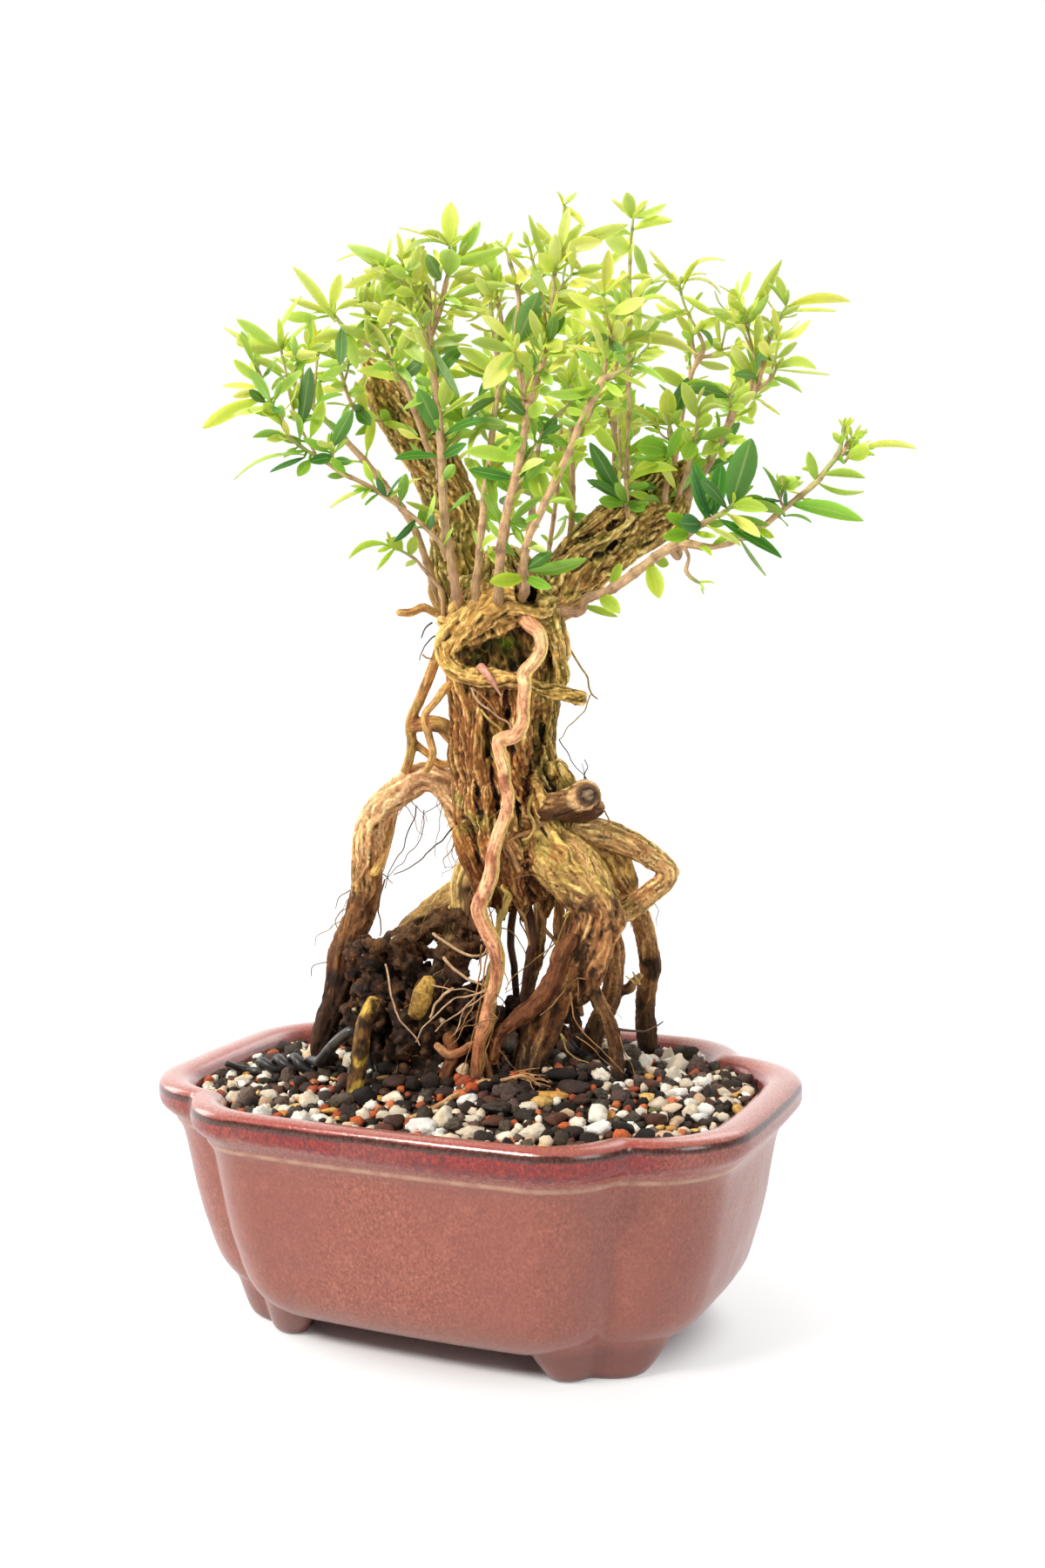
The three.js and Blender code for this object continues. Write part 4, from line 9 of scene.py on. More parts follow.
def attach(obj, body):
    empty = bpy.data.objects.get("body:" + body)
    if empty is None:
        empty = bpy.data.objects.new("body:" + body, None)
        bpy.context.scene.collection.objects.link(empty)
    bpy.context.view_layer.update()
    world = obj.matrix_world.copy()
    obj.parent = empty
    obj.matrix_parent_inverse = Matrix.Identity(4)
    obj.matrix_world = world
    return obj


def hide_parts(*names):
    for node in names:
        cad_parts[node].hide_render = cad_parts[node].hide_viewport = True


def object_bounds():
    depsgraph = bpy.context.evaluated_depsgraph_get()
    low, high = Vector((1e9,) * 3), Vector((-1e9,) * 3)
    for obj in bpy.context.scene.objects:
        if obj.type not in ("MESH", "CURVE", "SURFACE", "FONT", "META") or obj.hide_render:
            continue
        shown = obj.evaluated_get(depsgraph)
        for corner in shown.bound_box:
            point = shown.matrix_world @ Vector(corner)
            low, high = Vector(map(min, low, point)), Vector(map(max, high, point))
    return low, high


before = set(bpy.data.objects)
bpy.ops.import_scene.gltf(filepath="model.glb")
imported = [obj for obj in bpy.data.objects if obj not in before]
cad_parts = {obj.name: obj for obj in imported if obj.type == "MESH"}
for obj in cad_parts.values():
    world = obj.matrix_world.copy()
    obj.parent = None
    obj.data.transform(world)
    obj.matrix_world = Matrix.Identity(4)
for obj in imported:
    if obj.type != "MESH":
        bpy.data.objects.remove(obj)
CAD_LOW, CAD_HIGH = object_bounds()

SHIFT = np.array([-18.1, -18.0, 0.0])
BOX_LOW, BOX_HIGH = np.array(CAD_LOW) * 1000, np.array(CAD_HIGH) * 1000

# wood: node, kind, points (x, y, z, radius) in mm
TUBES = [
    ("trunk", "bark", [(12.28, 5.78, 239.91, 9.3), (12.47, 5.87, 237.73, 13.68), (12.4, 5.84, 235.01, 15.87), (11.96, 5.63, 226.85, 18.09), (11.44, 5.38, 215.92, 17.58), (11.42, 5.37, 204.94, 17.62), (11.08, 5.21, 191.16, 16.56), (10.98, 5.17, 177.29, 16.6), (12.43, 5.85, 164.71, 17.75), (15.43, 7.26, 153.43, 18.34), (17.71, 8.34, 146.5, 16), (18.58, 8.74, 142.5, 11.5)]),
    ("trunk", "knot", [(29.12, 1.55, 226.57, 4.84), (27.2, -2.67, 226.16, 5.35), (22.32, -7.18, 229.25, 5.59), (16.23, -11.15, 228.12, 5.58), (10.34, -13.92, 223.79, 4.79), (4.92, -15.37, 218.34, 3.73), (3.1, -16.23, 213.6, 3.34), (6.56, -15.7, 208.48, 3.07), (12.76, -13.89, 207.03, 2.93), (19.97, -10.5, 206.02, 2.8), (25.01, -8.12, 205.08, 2.53), (28.82, -6.33, 203.1, 2.27), (35.31, -3.28, 201.58, 2.4), (40.82, -0.69, 199.55, 2.67)]),
    ("trunk", "knot", [(29.93, -0.28, 226.06, 3.21), (32.37, -0.24, 219.08, 2.41), (33.68, 0.38, 212.62, 2.28), (32.87, 4.41, 204.37, 2.16)]),
    ("trunk", "knot", [(5.58, -8.43, 227.23, 4.31), (2.29, -9.97, 223.03, 3.77), (-1.06, -10.45, 224.18, 2.43)]),
    ("right_thick_root", "root", [(22.49, 1.74, 161.88, 8.21), (27.57, 1.92, 153.2, 8.74), (33.67, 2.58, 146.45, 9.26), (38.84, 3.91, 139.03, 8.71), (41.69, 5.25, 133.43, 7.36), (40.57, 4.72, 126.55, 6.55), (35.94, 2.54, 117.81, 5.74), (31.79, 0.59, 109.02, 5.34), (27.64, -1.36, 100.49, 5.07), (24.63, -3.88, 91.87, 4.8), (21.96, -5.14, 83.82, 4.53), (20.71, -5.73, 72.87, 4.13)]),
    ("right_thick_root", "root", [(46.45, 5.28, 136.42, 2.44), (49.79, 4.64, 130.11, 2.3), (47.35, 2.39, 123.79, 2.3), (44.77, 1.17, 116.98, 2.17), (39.88, 1.08, 107.82, 2.18), (35.15, 2.17, 103.62, 2.19)]),
    ("left_arch_root", "root", [(5.37, 6.95, 143.21, 6.73), (1.77, 6.36, 148.82, 5.61), (-3.45, 6.11, 158.31, 4.92), (-7.46, 6.43, 166.1, 4.51), (-11.59, 5.6, 171.77, 4.37), (-16.6, 4.35, 173.78, 4.23), (-23.59, 2.16, 169.61, 4.39), (-30.94, -0.19, 163.42, 4.68), (-35.28, -1.13, 155.67, 4.84), (-36.06, -1.5, 147.36, 4.85), (-37.12, -0.89, 137.98, 4.86), (-39.23, -1.88, 128.76, 4.87), (-42.32, -3.34, 121.58, 4.88), (-45.16, -4.67, 114.09, 4.6), (-46.77, -5.43, 104.78, 4.03), (-49.16, -6.56, 95.75, 3.75), (-51.52, -8.77, 87.84, 3.46), (-51.35, -8.69, 77.52, 3.18)]),
    ("left_mid_root", "root", [(6.72, 16.42, 141.83, 6.82), (-1.98, 14.54, 138.28, 6.57), (-9.03, 12.33, 133.1, 6.01), (-16.92, 9.72, 127.34, 5.74), (-24.87, 7.09, 120.66, 5.47), (-30.83, 4.28, 113.23, 5.19), (-32.65, 2.32, 105.89, 4.61), (-33.01, -0.06, 96.11, 4.03), (-33.41, -2.46, 84.9, 3.45)]),
    ("centre_left_root", "root", [(6.62, 0.91, 148.39, 6.65), (1.44, -1.53, 142.09, 5.55), (-0.37, -2.38, 130.89, 5.28), (-3.26, -4.85, 118.76, 5.15), (-6.62, -7.54, 108.04, 5.15), (-9.19, -9.85, 98.72, 5.01), (-10.75, -11.69, 89.08, 4.45), (-11.36, -13.08, 77.99, 3.62)]),
    ("front_aerial_root", "aerial", [(22.17, -3.94, 225.75, 2.41), (27.28, -8.16, 222.56, 2.39), (31.99, -10.37, 219.39, 2.24), (32.11, -10.31, 214.39, 2.11), (30.79, -12.04, 211.32, 2.11), (27.85, -13.42, 207.72, 2.24), (28.4, -14.26, 203.29, 2.11), (27.37, -13.64, 197.72, 2.11), (27, -13.82, 192.17, 2.25), (24.53, -14.98, 188.8, 2.38), (20.43, -16.91, 187.59, 2.25), (20.59, -16.84, 184.13, 2.12), (21.67, -16.33, 179.31, 2.12), (21.37, -15.36, 174.94, 1.99), (22.2, -14.97, 169.57, 2.13), (20.67, -14.59, 164.12, 2.13), (18.59, -15.56, 158.26, 2.14), (16.56, -15.42, 152.5, 2.28), (15.93, -15.71, 146.56, 2.41), (13.82, -16.71, 140.11, 2.55), (12.25, -17.44, 135.81, 2.69), (13.34, -16.93, 130.87, 2.55), (16.09, -15.64, 124.24, 2.69), (16.73, -14.23, 118.25, 2.43), (15.57, -14.78, 111.14, 2.16), (13.71, -15.65, 105.13, 2.03), (13.08, -15.95, 99.63, 2.71), (11.24, -16.82, 94.98, 2.17), (10.36, -17.23, 89.46, 2.04), (9.05, -17.84, 76.98, 1.9)]),
    ("elbow_root", "root", [(31.03, 7.97, 158.59, 4.12), (37.86, 10.08, 157.42, 4.39), (44.41, 12.06, 155.72, 4.38), (50.67, 13.9, 152.65, 4.1), (56.55, 16.66, 148.33, 3.7), (61.18, 18.84, 143.49, 3.29), (58.38, 17.52, 139.13, 3.29), (53.34, 15.15, 134.84, 3.57), (48.43, 11.74, 131, 3.56)]),
    ("stub_root", "root", [(27.52, -2.52, 165.28, 4.6), (34.31, -3.75, 166.42, 4.3), (38.77, -3.86, 167.63, 4.28), (43.47, -3.86, 169.63, 4.66)]),
    ("crossing_root", "root", [(37.15, -4.62, 125.05, 2.43), (35.28, -6.61, 121.49, 2.83), (32.5, -6.81, 113.12, 3.11), (27.68, -9.08, 105.82, 2.98), (20.74, -11.24, 99.7, 2.71), (15.95, -13.49, 94.57, 2.17), (14.05, -14.39, 87.68, 1.9)]),
    ("back_root_a", "root", [(15.87, 15.2, 146.67, 2.53), (14.49, 24.5, 137.45, 2.58), (13.47, 26.23, 128.98, 2.45), (11.79, 26.55, 119.18, 2.31), (10.11, 26.86, 109.6, 2.32), (7.77, 25.76, 99.34, 2.32), (6.97, 25.38, 87.5, 2.33), (6.46, 25.14, 77.1, 2.33)]),
    ("back_root_b", "root", [(17.69, 18.27, 151.15, 2.82), (17.06, 29.03, 145, 2.59), (17.11, 35.68, 138.46, 2.33), (15.33, 37.05, 130.19, 2.05), (14.2, 37.63, 121.13, 1.91), (15.33, 38.16, 112.16, 1.91), (16.68, 38.79, 100.16, 2.06), (18.56, 39.68, 88.1, 2.06), (19.41, 40.08, 77.52, 2.07)]),
    ("far_right_root", "root", [(20.82, 15.32, 148.83, 3.65), (25.63, 26.43, 142.26, 3.56), (30.58, 36.49, 136.87, 3.46), (35.52, 41.03, 134.03, 3.19), (38.62, 44.7, 128.58, 3.2), (40.77, 46.82, 121.54, 3.21), (42.48, 47.62, 113.19, 3.21), (43.15, 47.93, 105.74, 3.22), (41.7, 47.25, 98.04, 3.22), (41.27, 47.05, 88.49, 3.23), (41.88, 47.34, 77.67, 3.23)]),
    ("middle_right_root", "root", [(32.31, 10.78, 138.73, 3.32), (34.76, 17.46, 133.25, 3.35), (36.4, 22.65, 127.04, 3.38), (38.55, 25.88, 118.84, 3.4), (38.61, 25.91, 108.76, 3.4), (38.05, 24.54, 99.77, 3.4), (34.95, 21.97, 92.01, 3.4), (32.64, 19.78, 85.11, 3.4), (31.38, 19.19, 73.54, 3.12)]),
    ("middle_right_root", "root", [(38.85, 24.91, 101.19, 1.7), (42.76, 28.96, 102.91, 1.42), (45.44, 32.43, 106.14, 1.28)]),
    ("front_right_root", "root", [(37.35, 3.21, 114.15, 2.19), (40.9, 1.56, 109.45, 2.18), (43.72, 2.89, 102.43, 2.18), (46.55, 4.22, 95.11, 2.18), (48.1, 4.95, 85.84, 2.19), (48.42, 5.1, 76.02, 2.06)]),
    ("lower_left_root", "pale", [(-22.87, -24.02, 105.09, 2.47), (-24.58, -27.04, 97.81, 2.74), (-25.3, -28.48, 90.54, 2.74), (-26.05, -29.94, 82.44, 2.87), (-27.26, -31.62, 75.2, 2.6), (-27.97, -31.95, 68.76, 2.19)]),
    ("small_brown_root", "pale", [(-0.39, -15.66, 93.73, 2.19), (0.64, -16.28, 87.53, 2.19), (-0.78, -18.05, 82.25, 2.19), (-1.49, -19.49, 75.56, 2.05), (-1.91, -19.69, 69.39, 1.92)]),
    ("small_pale_root", "pale", [(-3, -19.09, 91.55, 1.37), (0.6, -18.51, 88.64, 1.5), (4.79, -17.64, 89.91, 1.5), (8.51, -16.99, 92.29, 1.36), (11.61, -15.53, 88.59, 1.36), (12.93, -14.92, 82.15, 1.36)]),
    ("left_thin_root_a", "aerial", [(0.18, -6.55, 221.9, 1.9), (-3.54, -6.09, 218.69, 1.77), (-6.37, -5.21, 212.42, 1.78), (-9.74, -4.58, 205.83, 1.79), (-13.65, -4.21, 198.36, 1.8), (-16.83, -4.6, 191.71, 1.8), (-16.99, -3.57, 185.5, 1.81), (-18.86, -2.24, 180.32, 1.68), (-23.45, 2.23, 174.44, 1.7), (-30.05, 10.17, 167.42, 1.73), (-32.1, 9.21, 160.23, 1.73), (-32.63, 6.75, 153.27, 1.73), (-30.97, -1.31, 146.38, 1.7), (-31.65, -4.95, 142.88, 1.7)]),
    ("left_thin_root_a", "aerial", [(-16.36, -4.38, 190.59, 2.22), (-12.07, -2.36, 191.3, 2.64), (-7.57, -0.24, 190.61, 2.77), (-4.86, 2.13, 186.82, 2.78), (-0.63, 4.12, 185.03, 2.5)]),
    ("left_thin_root_a", "aerial", [(-16.97, -3.56, 186.06, 1.39), (-15.25, -1.65, 183.68, 1.25), (-13.26, 0.39, 181.28, 1.26), (-11.28, 2.43, 178.59, 1.26), (-7.2, 5.45, 177.52, 1.26), (-3.16, 7.36, 176.84, 1.26)]),
    ("left_thin_root_b", "aerial", [(0.05, -4.4, 205.23, 1.5), (-1.64, -9.61, 202.53, 1.49), (-4.2, -10.82, 198.8, 1.36), (-7.74, -11.38, 195.02, 1.36), (-7.18, -10.01, 187.81, 1.37), (-6.33, -9.61, 182.84, 1.37), (-8.79, -6.35, 179.75, 1.38), (-12.49, -2.56, 176.53, 1.39)]),
    ("dead_twig_left", "twig", [(1.02, -3.94, 222.9, 1.5), (-2.62, -5.65, 225.18, 1.5), (-6.26, -7.37, 226.91, 1.36), (-8.44, -8.39, 228.33, 1.36), (-12.18, -10.15, 226.81, 1.36), (-15.63, -11.77, 226.91, 1.22)]),
    ("left_main_branch", "bark", [(-1.44, 3.74, 229.9, 9.38), (-2.72, 3.14, 238.16, 8.54), (-3.16, 4.04, 247.75, 7.71), (-5.03, 5.37, 258.78, 7.17), (-7.79, 5.17, 265.73, 6.9), (-11.56, 4.51, 272.71, 6.63), (-16.29, 3.38, 281.08, 6.63), (-21.05, 2.25, 288.65, 6.63), (-24.39, 1.79, 293.73, 6.08), (-27.23, 1.56, 298.8, 5.26), (-28.61, 0.91, 302.65, 4.15), (-29.77, 0.36, 305.39, 2.49)]),
    ("left_main_branch", "bark", [(-2.42, 9.91, 257.44, 4.44), (-5.14, 8.64, 268.48, 4.15), (-8.38, 7.11, 277.86, 3.87), (-11.21, 5.78, 283.93, 3.04)]),
    ("right_main_branch", "bark", [(21.35, 12.26, 229.27, 9.35), (26.91, 14.87, 232.94, 9.07), (33.27, 17.86, 239.85, 9.06), (40.09, 21.07, 245.65, 9.05), (46.12, 23.91, 250.09, 9.04), (52.12, 26.74, 252.91, 8.49), (57.62, 29.32, 256, 7.39), (61.16, 30.99, 260.77, 5.47), (62.95, 31.83, 264.77, 3.82)]),
    ("right_main_branch", "bark", [(52.16, 26.75, 255.07, 3.28), (56.21, 28.66, 260.37, 3.83), (59.74, 30.32, 264.59, 4.1), (63.1, 30.8, 268.22, 3.27), (65.2, 30.68, 270.25, 1.9)]),
    ("shoot_a", "stem", [(6.66, -12.34, 227.28, 2.14), (7.18, -16.51, 232.62, 2.12), (7.12, -18.75, 240.51, 2.06), (6.36, -20.21, 248.36, 1.97), (6.16, -21.41, 258.73, 1.96), (6.64, -22.29, 267.71, 1.9), (6.88, -23.29, 276.63, 1.82), (6.77, -24.45, 289.32, 1.68), (6.34, -25.75, 299.12, 1.55), (6.14, -26.95, 308.09, 1.41), (5.58, -27.21, 313.13, 1.41), (3.63, -28.13, 317.7, 1.28), (1.2, -29.27, 322.02, 1.28), (-0.1, -29.89, 325.06, 1.02), (-0.44, -30.05, 329.07, 0.77)]),
    ("shoot_a", "stem", [(5.95, -27.04, 309.85, 1.16), (6.14, -26.95, 316.37, 1.41), (6.07, -26.98, 322.14, 1.41)]),
    ("shoot_a", "stem", [(6.83, -26.63, 308.07, 1.03), (8.56, -26.92, 311.65, 1.08), (10.09, -26.2, 316.62, 1.13), (11.17, -25.69, 322.08, 1.12), (12.2, -25.2, 326.05, 0.77), (12.64, -25, 333.5, 0.51)]),
    ("shoot_a", "stem", [(8.08, -27.14, 311.16, 0.64), (8.97, -27.83, 317.75, 0.51), (9.59, -28.64, 323.31, 0.46)]),
    ("shoot_b", "stem", [(12.35, -12.97, 227.18, 1.86), (13.35, -15.82, 232.47, 1.85), (15.02, -16.14, 242.89, 1.63), (16.69, -16.46, 253.24, 1.57), (18.07, -16.92, 262.22, 1.57), (19.92, -17.15, 271.13, 1.51), (21.55, -17.49, 281.25, 1.43), (23.1, -17.86, 288.25, 1.34), (24.14, -17.38, 292.28, 1.29), (26.56, -16.24, 295.76, 1.03)]),
    ("shoot_b", "stem", [(23.36, -17.74, 289.26, 0.9), (23.3, -17.77, 296.36, 0.85), (23.49, -17.68, 303.94, 1.03), (23.15, -18.94, 310.12, 1.03), (23.08, -20.09, 317.25, 1.02)]),
    ("shoot_b", "stem", [(23.5, -17.67, 304.44, 0.77), (25.01, -16.96, 308.94, 0.93), (24.92, -18.11, 315.84, 0.92), (23.91, -18.59, 321.88, 0.82)]),
    ("shoot_c", "stem", [(19.21, -12.34, 229.06, 2.64), (20.37, -14.73, 229.67, 2.11), (22.54, -18.13, 237.45, 2.09), (24.37, -19.48, 247.71, 1.95), (27.11, -20.4, 257.31, 1.81), (29.86, -20.21, 266.61, 1.75), (32.09, -20.27, 274.08, 1.66), (34.11, -20.42, 283.26, 1.61), (36.31, -20.49, 290.12, 1.58), (39.19, -20.24, 297.41, 1.52), (41.35, -20.33, 304.18, 1.41), (42.85, -20.73, 311.9, 1.01), (43.46, -20.44, 319.26, 0.88), (44.01, -20.18, 323.66, 0.88), (45.67, -20.51, 328.83, 0.8), (46.95, -19.91, 335.62, 0.8), (47.31, -19.74, 341.93, 0.75)]),
    ("shoot_c", "stem", [(34.11, -20.42, 283.26, 0.92), (33.1, -20.9, 289.06, 0.97), (32.35, -21.25, 296.59, 0.97), (31.81, -21.5, 302.84, 0.97), (31.7, -21.55, 307.82, 0.96), (32.82, -21.03, 316.48, 0.96), (32.04, -21.39, 322.19, 0.91), (30.57, -22.08, 327.67, 0.76), (29.74, -22.48, 331.14, 0.56)]),
    ("shoot_c", "stem", [(41.33, -20.34, 303.19, 0.63), (40.82, -20.58, 310.87, 0.61), (39.63, -21.14, 319.04, 0.6), (38.19, -21.82, 325.71, 0.6), (37.17, -22.3, 330.89, 0.55)]),
    ("shoot_c", "stem", [(33.48, -21.25, 288.4, 0.83), (34.82, -23.4, 288.72, 0.66), (35.35, -25.36, 294.7, 0.66), (34.07, -28.18, 300.93, 0.65)]),
    ("shoot_c", "stem", [(27.95, -19.77, 262.64, 1.29), (27.28, -19.21, 262.97, 1.03), (27.56, -16.87, 261.52, 1.17), (28.72, -13.01, 265.22, 1.04), (29.83, -10.28, 267.87, 0.91)]),
    ("shoot_d", "stem", [(24.81, -8.06, 230.11, 2.29), (27.64, -11.38, 232.35, 2.05), (28.94, -12.91, 234.14, 1.83), (30.29, -16.69, 239.81, 1.77), (33.09, -19.8, 247.39, 1.65), (38.18, -21.82, 254.75, 1.58), (43.28, -22.74, 263.28, 1.57), (47.92, -22.76, 271.26, 1.56), (52.54, -22.8, 280.39, 1.55), (56.23, -22.17, 287.08, 1.6), (58.58, -21.06, 291.92, 1.7), (61.77, -19.56, 293.3, 1.25), (65.79, -18.78, 295.52, 0.9), (68.3, -17.59, 297.88, 0.7), (70.83, -16.41, 300.74, 0.55)]),
    ("shoot_d", "stem", [(58.58, -21.06, 291.92, 1), (59.83, -20.47, 298.24, 0.8), (61.3, -19.78, 304.3, 0.75), (63.48, -18.76, 312.75, 0.65)]),
    ("shoot_d", "stem", [(61.32, -19.77, 293.31, 0.8), (62.84, -17.95, 298.28, 0.7), (63.9, -16.35, 302.77, 0.65)]),
    ("shoot_d", "stem", [(48.41, -22.14, 272.81, 0.89), (48.24, -21.51, 273.06, 0.71), (49.13, -18.88, 276.92, 0.66), (52.43, -17.33, 281.81, 0.66), (55.14, -18.26, 287.01, 0.65)]),
    ("shoot_e", "stem", [(28.16, 20.15, 237.98, 2.1), (25.53, 25.28, 240.12, 1.68), (25.51, 28.58, 247.93, 1.54), (26.06, 29.95, 256.83, 1.46), (25.95, 31, 270.73, 1.34), (25.59, 31.94, 284.62, 1.29), (25.22, 32.87, 297.93, 1.17)]),
    ("shoot_f", "stem", [(22.31, 17.5, 232.67, 1.59), (19.36, 23.85, 234.55, 1.42), (18.24, 26.27, 236.15, 1.27), (18.12, 28.42, 244.56, 1.13), (18.79, 30.95, 254.37, 1.07), (19.5, 33.49, 265.61, 0.99), (20.11, 34.88, 276.82, 0.96), (20.54, 36.19, 291.65, 0.85), (21.63, 37.81, 301.99, 0.73), (24.5, 40.27, 311.72, 0.62)]),
    ("shoot_g", "stem", [(22.78, -4.75, 233.46, 1.6), (23.63, -4.35, 238.74, 1.6), (24.69, -1.64, 248, 1.47), (25.55, 0.97, 258.63, 1.34), (25.83, 2.21, 267.93, 1.12), (26.98, 2.75, 275.81, 1.02), (28.29, 3.36, 280.25, 1.07), (30.04, 4.19, 283.09, 1.07), (32.77, 5.47, 286.17, 1.01), (36.2, 7.09, 288.95, 1.12), (36.07, 7.03, 293.94, 0.8), (35.62, 6.82, 295.78, 0.64)]),
    ("shoot_h", "stem", [(31.51, 1.95, 226.52, 2.68), (36.96, 2.85, 225.73, 2.4), (40.03, 3.36, 226.32, 2.14), (42.24, 1.09, 229.49, 2.13), (49.43, 1.16, 231.69, 2.11), (58.76, 2.23, 237.45, 2.1), (67.27, 2.92, 243.16, 2.08), (72.94, 3.38, 245.29, 2.08), (80.16, 4.56, 244.02, 1.42), (85.87, 6.15, 244.61, 1.16), (89.94, 6.96, 246.27, 1.16), (95.8, 9.71, 249.41, 1.29), (100.03, 11.71, 253.12, 1.29), (102.38, 12.81, 255.08, 1.29), (106.83, 14.9, 258.77, 1.28), (110.58, 16.67, 262.22, 1.28), (113.39, 17.99, 265.94, 1.15), (116.21, 19.32, 269.91, 1.15), (117.15, 19.76, 272.91, 0.9), (117.88, 20.1, 277.94, 0.77)]),
    ("shoot_h", "stem", [(116.2, 19.31, 268.9, 1.03), (117.6, 19.97, 270.37, 0.92), (119.01, 20.64, 273.37, 0.87), (119.95, 21.08, 274.85, 0.82)]),
    ("shoot_h", "stem", [(72.94, 3.38, 245.29, 1.04), (75.43, 2.34, 241.08, 0.72), (74.67, 1.98, 237.24, 1.04), (76.28, 2.74, 234.88, 0.73), (78.14, 3.61, 233.54, 0.62)]),
    ("shoot_h", "stem", [(102.37, 12.81, 254.58, 0.64), (101.06, 11.08, 256.86, 0.62), (102.31, 10.57, 260.58, 0.56)]),
    ("shoot_h", "stem", [(116.2, 19.31, 269.4, 0.67), (118.31, 19.2, 267.76, 0.67), (119.97, 18.88, 269.92, 0.66), (121.59, 19.64, 271.13, 0.66), (123.44, 20.51, 271.33, 0.61)]),
    ("shoot_i", "stem", [(69.48, 4.03, 243.51, 1.64), (69.71, 6.76, 241.72, 1.47), (69.87, 8.56, 241.31, 1.31), (72.02, 5.16, 245.86, 1.43), (75.77, 2.5, 248.25, 1.42), (80.08, 1.21, 250.6, 1.28), (84.33, -0.1, 252.42, 1.17), (87.77, -0.7, 253.77, 1.02), (90.73, -1.51, 256.12, 0.76)]),
    ("shoot_j", "stem", [(63.28, 29.78, 257.39, 2.18), (67.83, 28.6, 263.58, 2.03), (72.25, 28.47, 269.21, 1.89), (75.33, 28.82, 274.64, 1.75), (77.64, 28.8, 278.47, 1.69), (79.96, 28.78, 282.81, 1.6), (80.96, 29.26, 285.67, 1.74), (83.41, 30.41, 287.97, 1.47), (86.89, 30.94, 290.66, 1.47), (88.13, 31.52, 293.76, 1.2), (89.63, 32.23, 298.95, 1.06), (90.64, 32.71, 304.14, 0.96), (92.13, 33.41, 308.52, 1.06), (94.39, 33.36, 312.22, 0.9), (96.58, 34.4, 316.3, 0.69)]),
    ("shoot_j", "stem", [(86.17, 30.6, 291.2, 0.91), (86.71, 30.86, 296.42, 0.85), (87.25, 31.11, 301.63, 0.8), (86.34, 30.68, 306.34, 0.69), (85.19, 30.14, 311.06, 0.64)]),
    ("shoot_j", "stem", [(87.13, 31.05, 290.65, 0.8), (89.87, 31.24, 293.09, 0.69), (92.29, 32.38, 295.11, 0.69), (93.52, 32.96, 297.68, 0.64)]),
    ("shoot_j", "stem", [(80.47, 29.02, 284.9, 0.8), (80.34, 27.86, 288.22, 0.69), (80.69, 26.92, 290.73, 0.59)]),
    ("shoot_k", "stem", [(60.87, 33.15, 263.42, 1.56), (58.31, 38.58, 266.24, 1.4), (56.64, 42.13, 269.68, 1.25), (57.71, 43.73, 279.34, 1.11), (58.76, 45.33, 288.18, 1.06), (60.39, 46.1, 295.8, 1), (61.98, 46.85, 301.22, 1), (63.79, 47.7, 305.26, 1.53), (65.09, 48.31, 307.95, 1), (63.16, 47.41, 313.99, 0.67), (60.73, 46.26, 318.95, 0.61), (59.29, 45.58, 323.32, 0.61), (58.36, 45.14, 328.22, 0.55)]),
    ("shoot_k", "stem", [(63.03, 47.34, 304.74, 0.94), (62.07, 46.89, 308.04, 0.78), (61.88, 46.8, 312.12, 0.61)]),
    ("shoot_k", "stem", [(64.55, 48.06, 305.24, 0.83), (67.07, 49.24, 305.72, 0.83), (70.43, 49.72, 307.13, 0.61), (74.27, 50.42, 307.99, 0.55)]),
    ("shoot_l", "stem", [(50.61, 17.18, 252.72, 1.21), (50.98, 15.15, 259.04, 1.13), (50.91, 15.11, 268.59, 1.07), (51.95, 14.5, 279.05, 1.01), (52.35, 14.69, 287.71, 0.93), (52.65, 13.72, 297.28, 0.85), (53.05, 13.91, 306.38, 0.8), (53.85, 13.18, 317.36, 0.79), (54.39, 12.33, 326.72, 0.79), (55.13, 11.57, 334.22, 0.68), (56.36, 11.05, 342.92, 0.57)]),
    ("shoot_l", "stem", [(50.88, 15.1, 267.27, 0.59), (50.07, 13.61, 268.56, 0.64), (49.35, 14.38, 276.56, 0.59), (48.88, 15.27, 284.57, 0.59), (48.84, 16.35, 289.4, 0.54)]),
    ("shoot_m", "stem", [(39.12, 29.46, 250.2, 1.53), (39.92, 30.94, 259.01, 1.39), (40.25, 32.2, 270.04, 1.33), (40.45, 32.3, 280.98, 1.33), (40.1, 32.13, 289.17, 1.38), (39.68, 31.93, 293.26, 1.38)]),
    ("shoot_m", "stem", [(40.2, 32.18, 280.99, 0.72), (37.84, 33.28, 289.42, 0.67), (35.23, 34.26, 297.89, 0.56), (33.62, 35.71, 306.36, 0.56)]),
    ("shoot_n", "stem", [(58.95, 26.35, 257.75, 1.68), (61, 21.79, 259.99, 1.5), (61.71, 20.2, 261.39, 1.34), (63.62, 19.99, 268.17, 1.2), (64.31, 19.21, 274.68, 1.2), (64.13, 19.13, 278.63, 1.2), (63.94, 19.04, 281.78, 0.8)]),
    ("shoot_n", "stem", [(64.11, 19.12, 277.31, 0.59), (62.79, 17.39, 278.06, 0.53), (61.72, 15.78, 279.59, 0.48)]),
    ("shoot_o", "stem", [(62.38, 28.56, 261.1, 1.34), (65.07, 23.2, 261.12, 1.2), (66.54, 20.26, 262.22, 1.07), (69.83, 18.49, 268.29, 1.01), (71.95, 18.38, 275.49, 1.01), (73.33, 17.93, 281.89, 0.9), (73.17, 17.85, 287.08, 0.58)]),
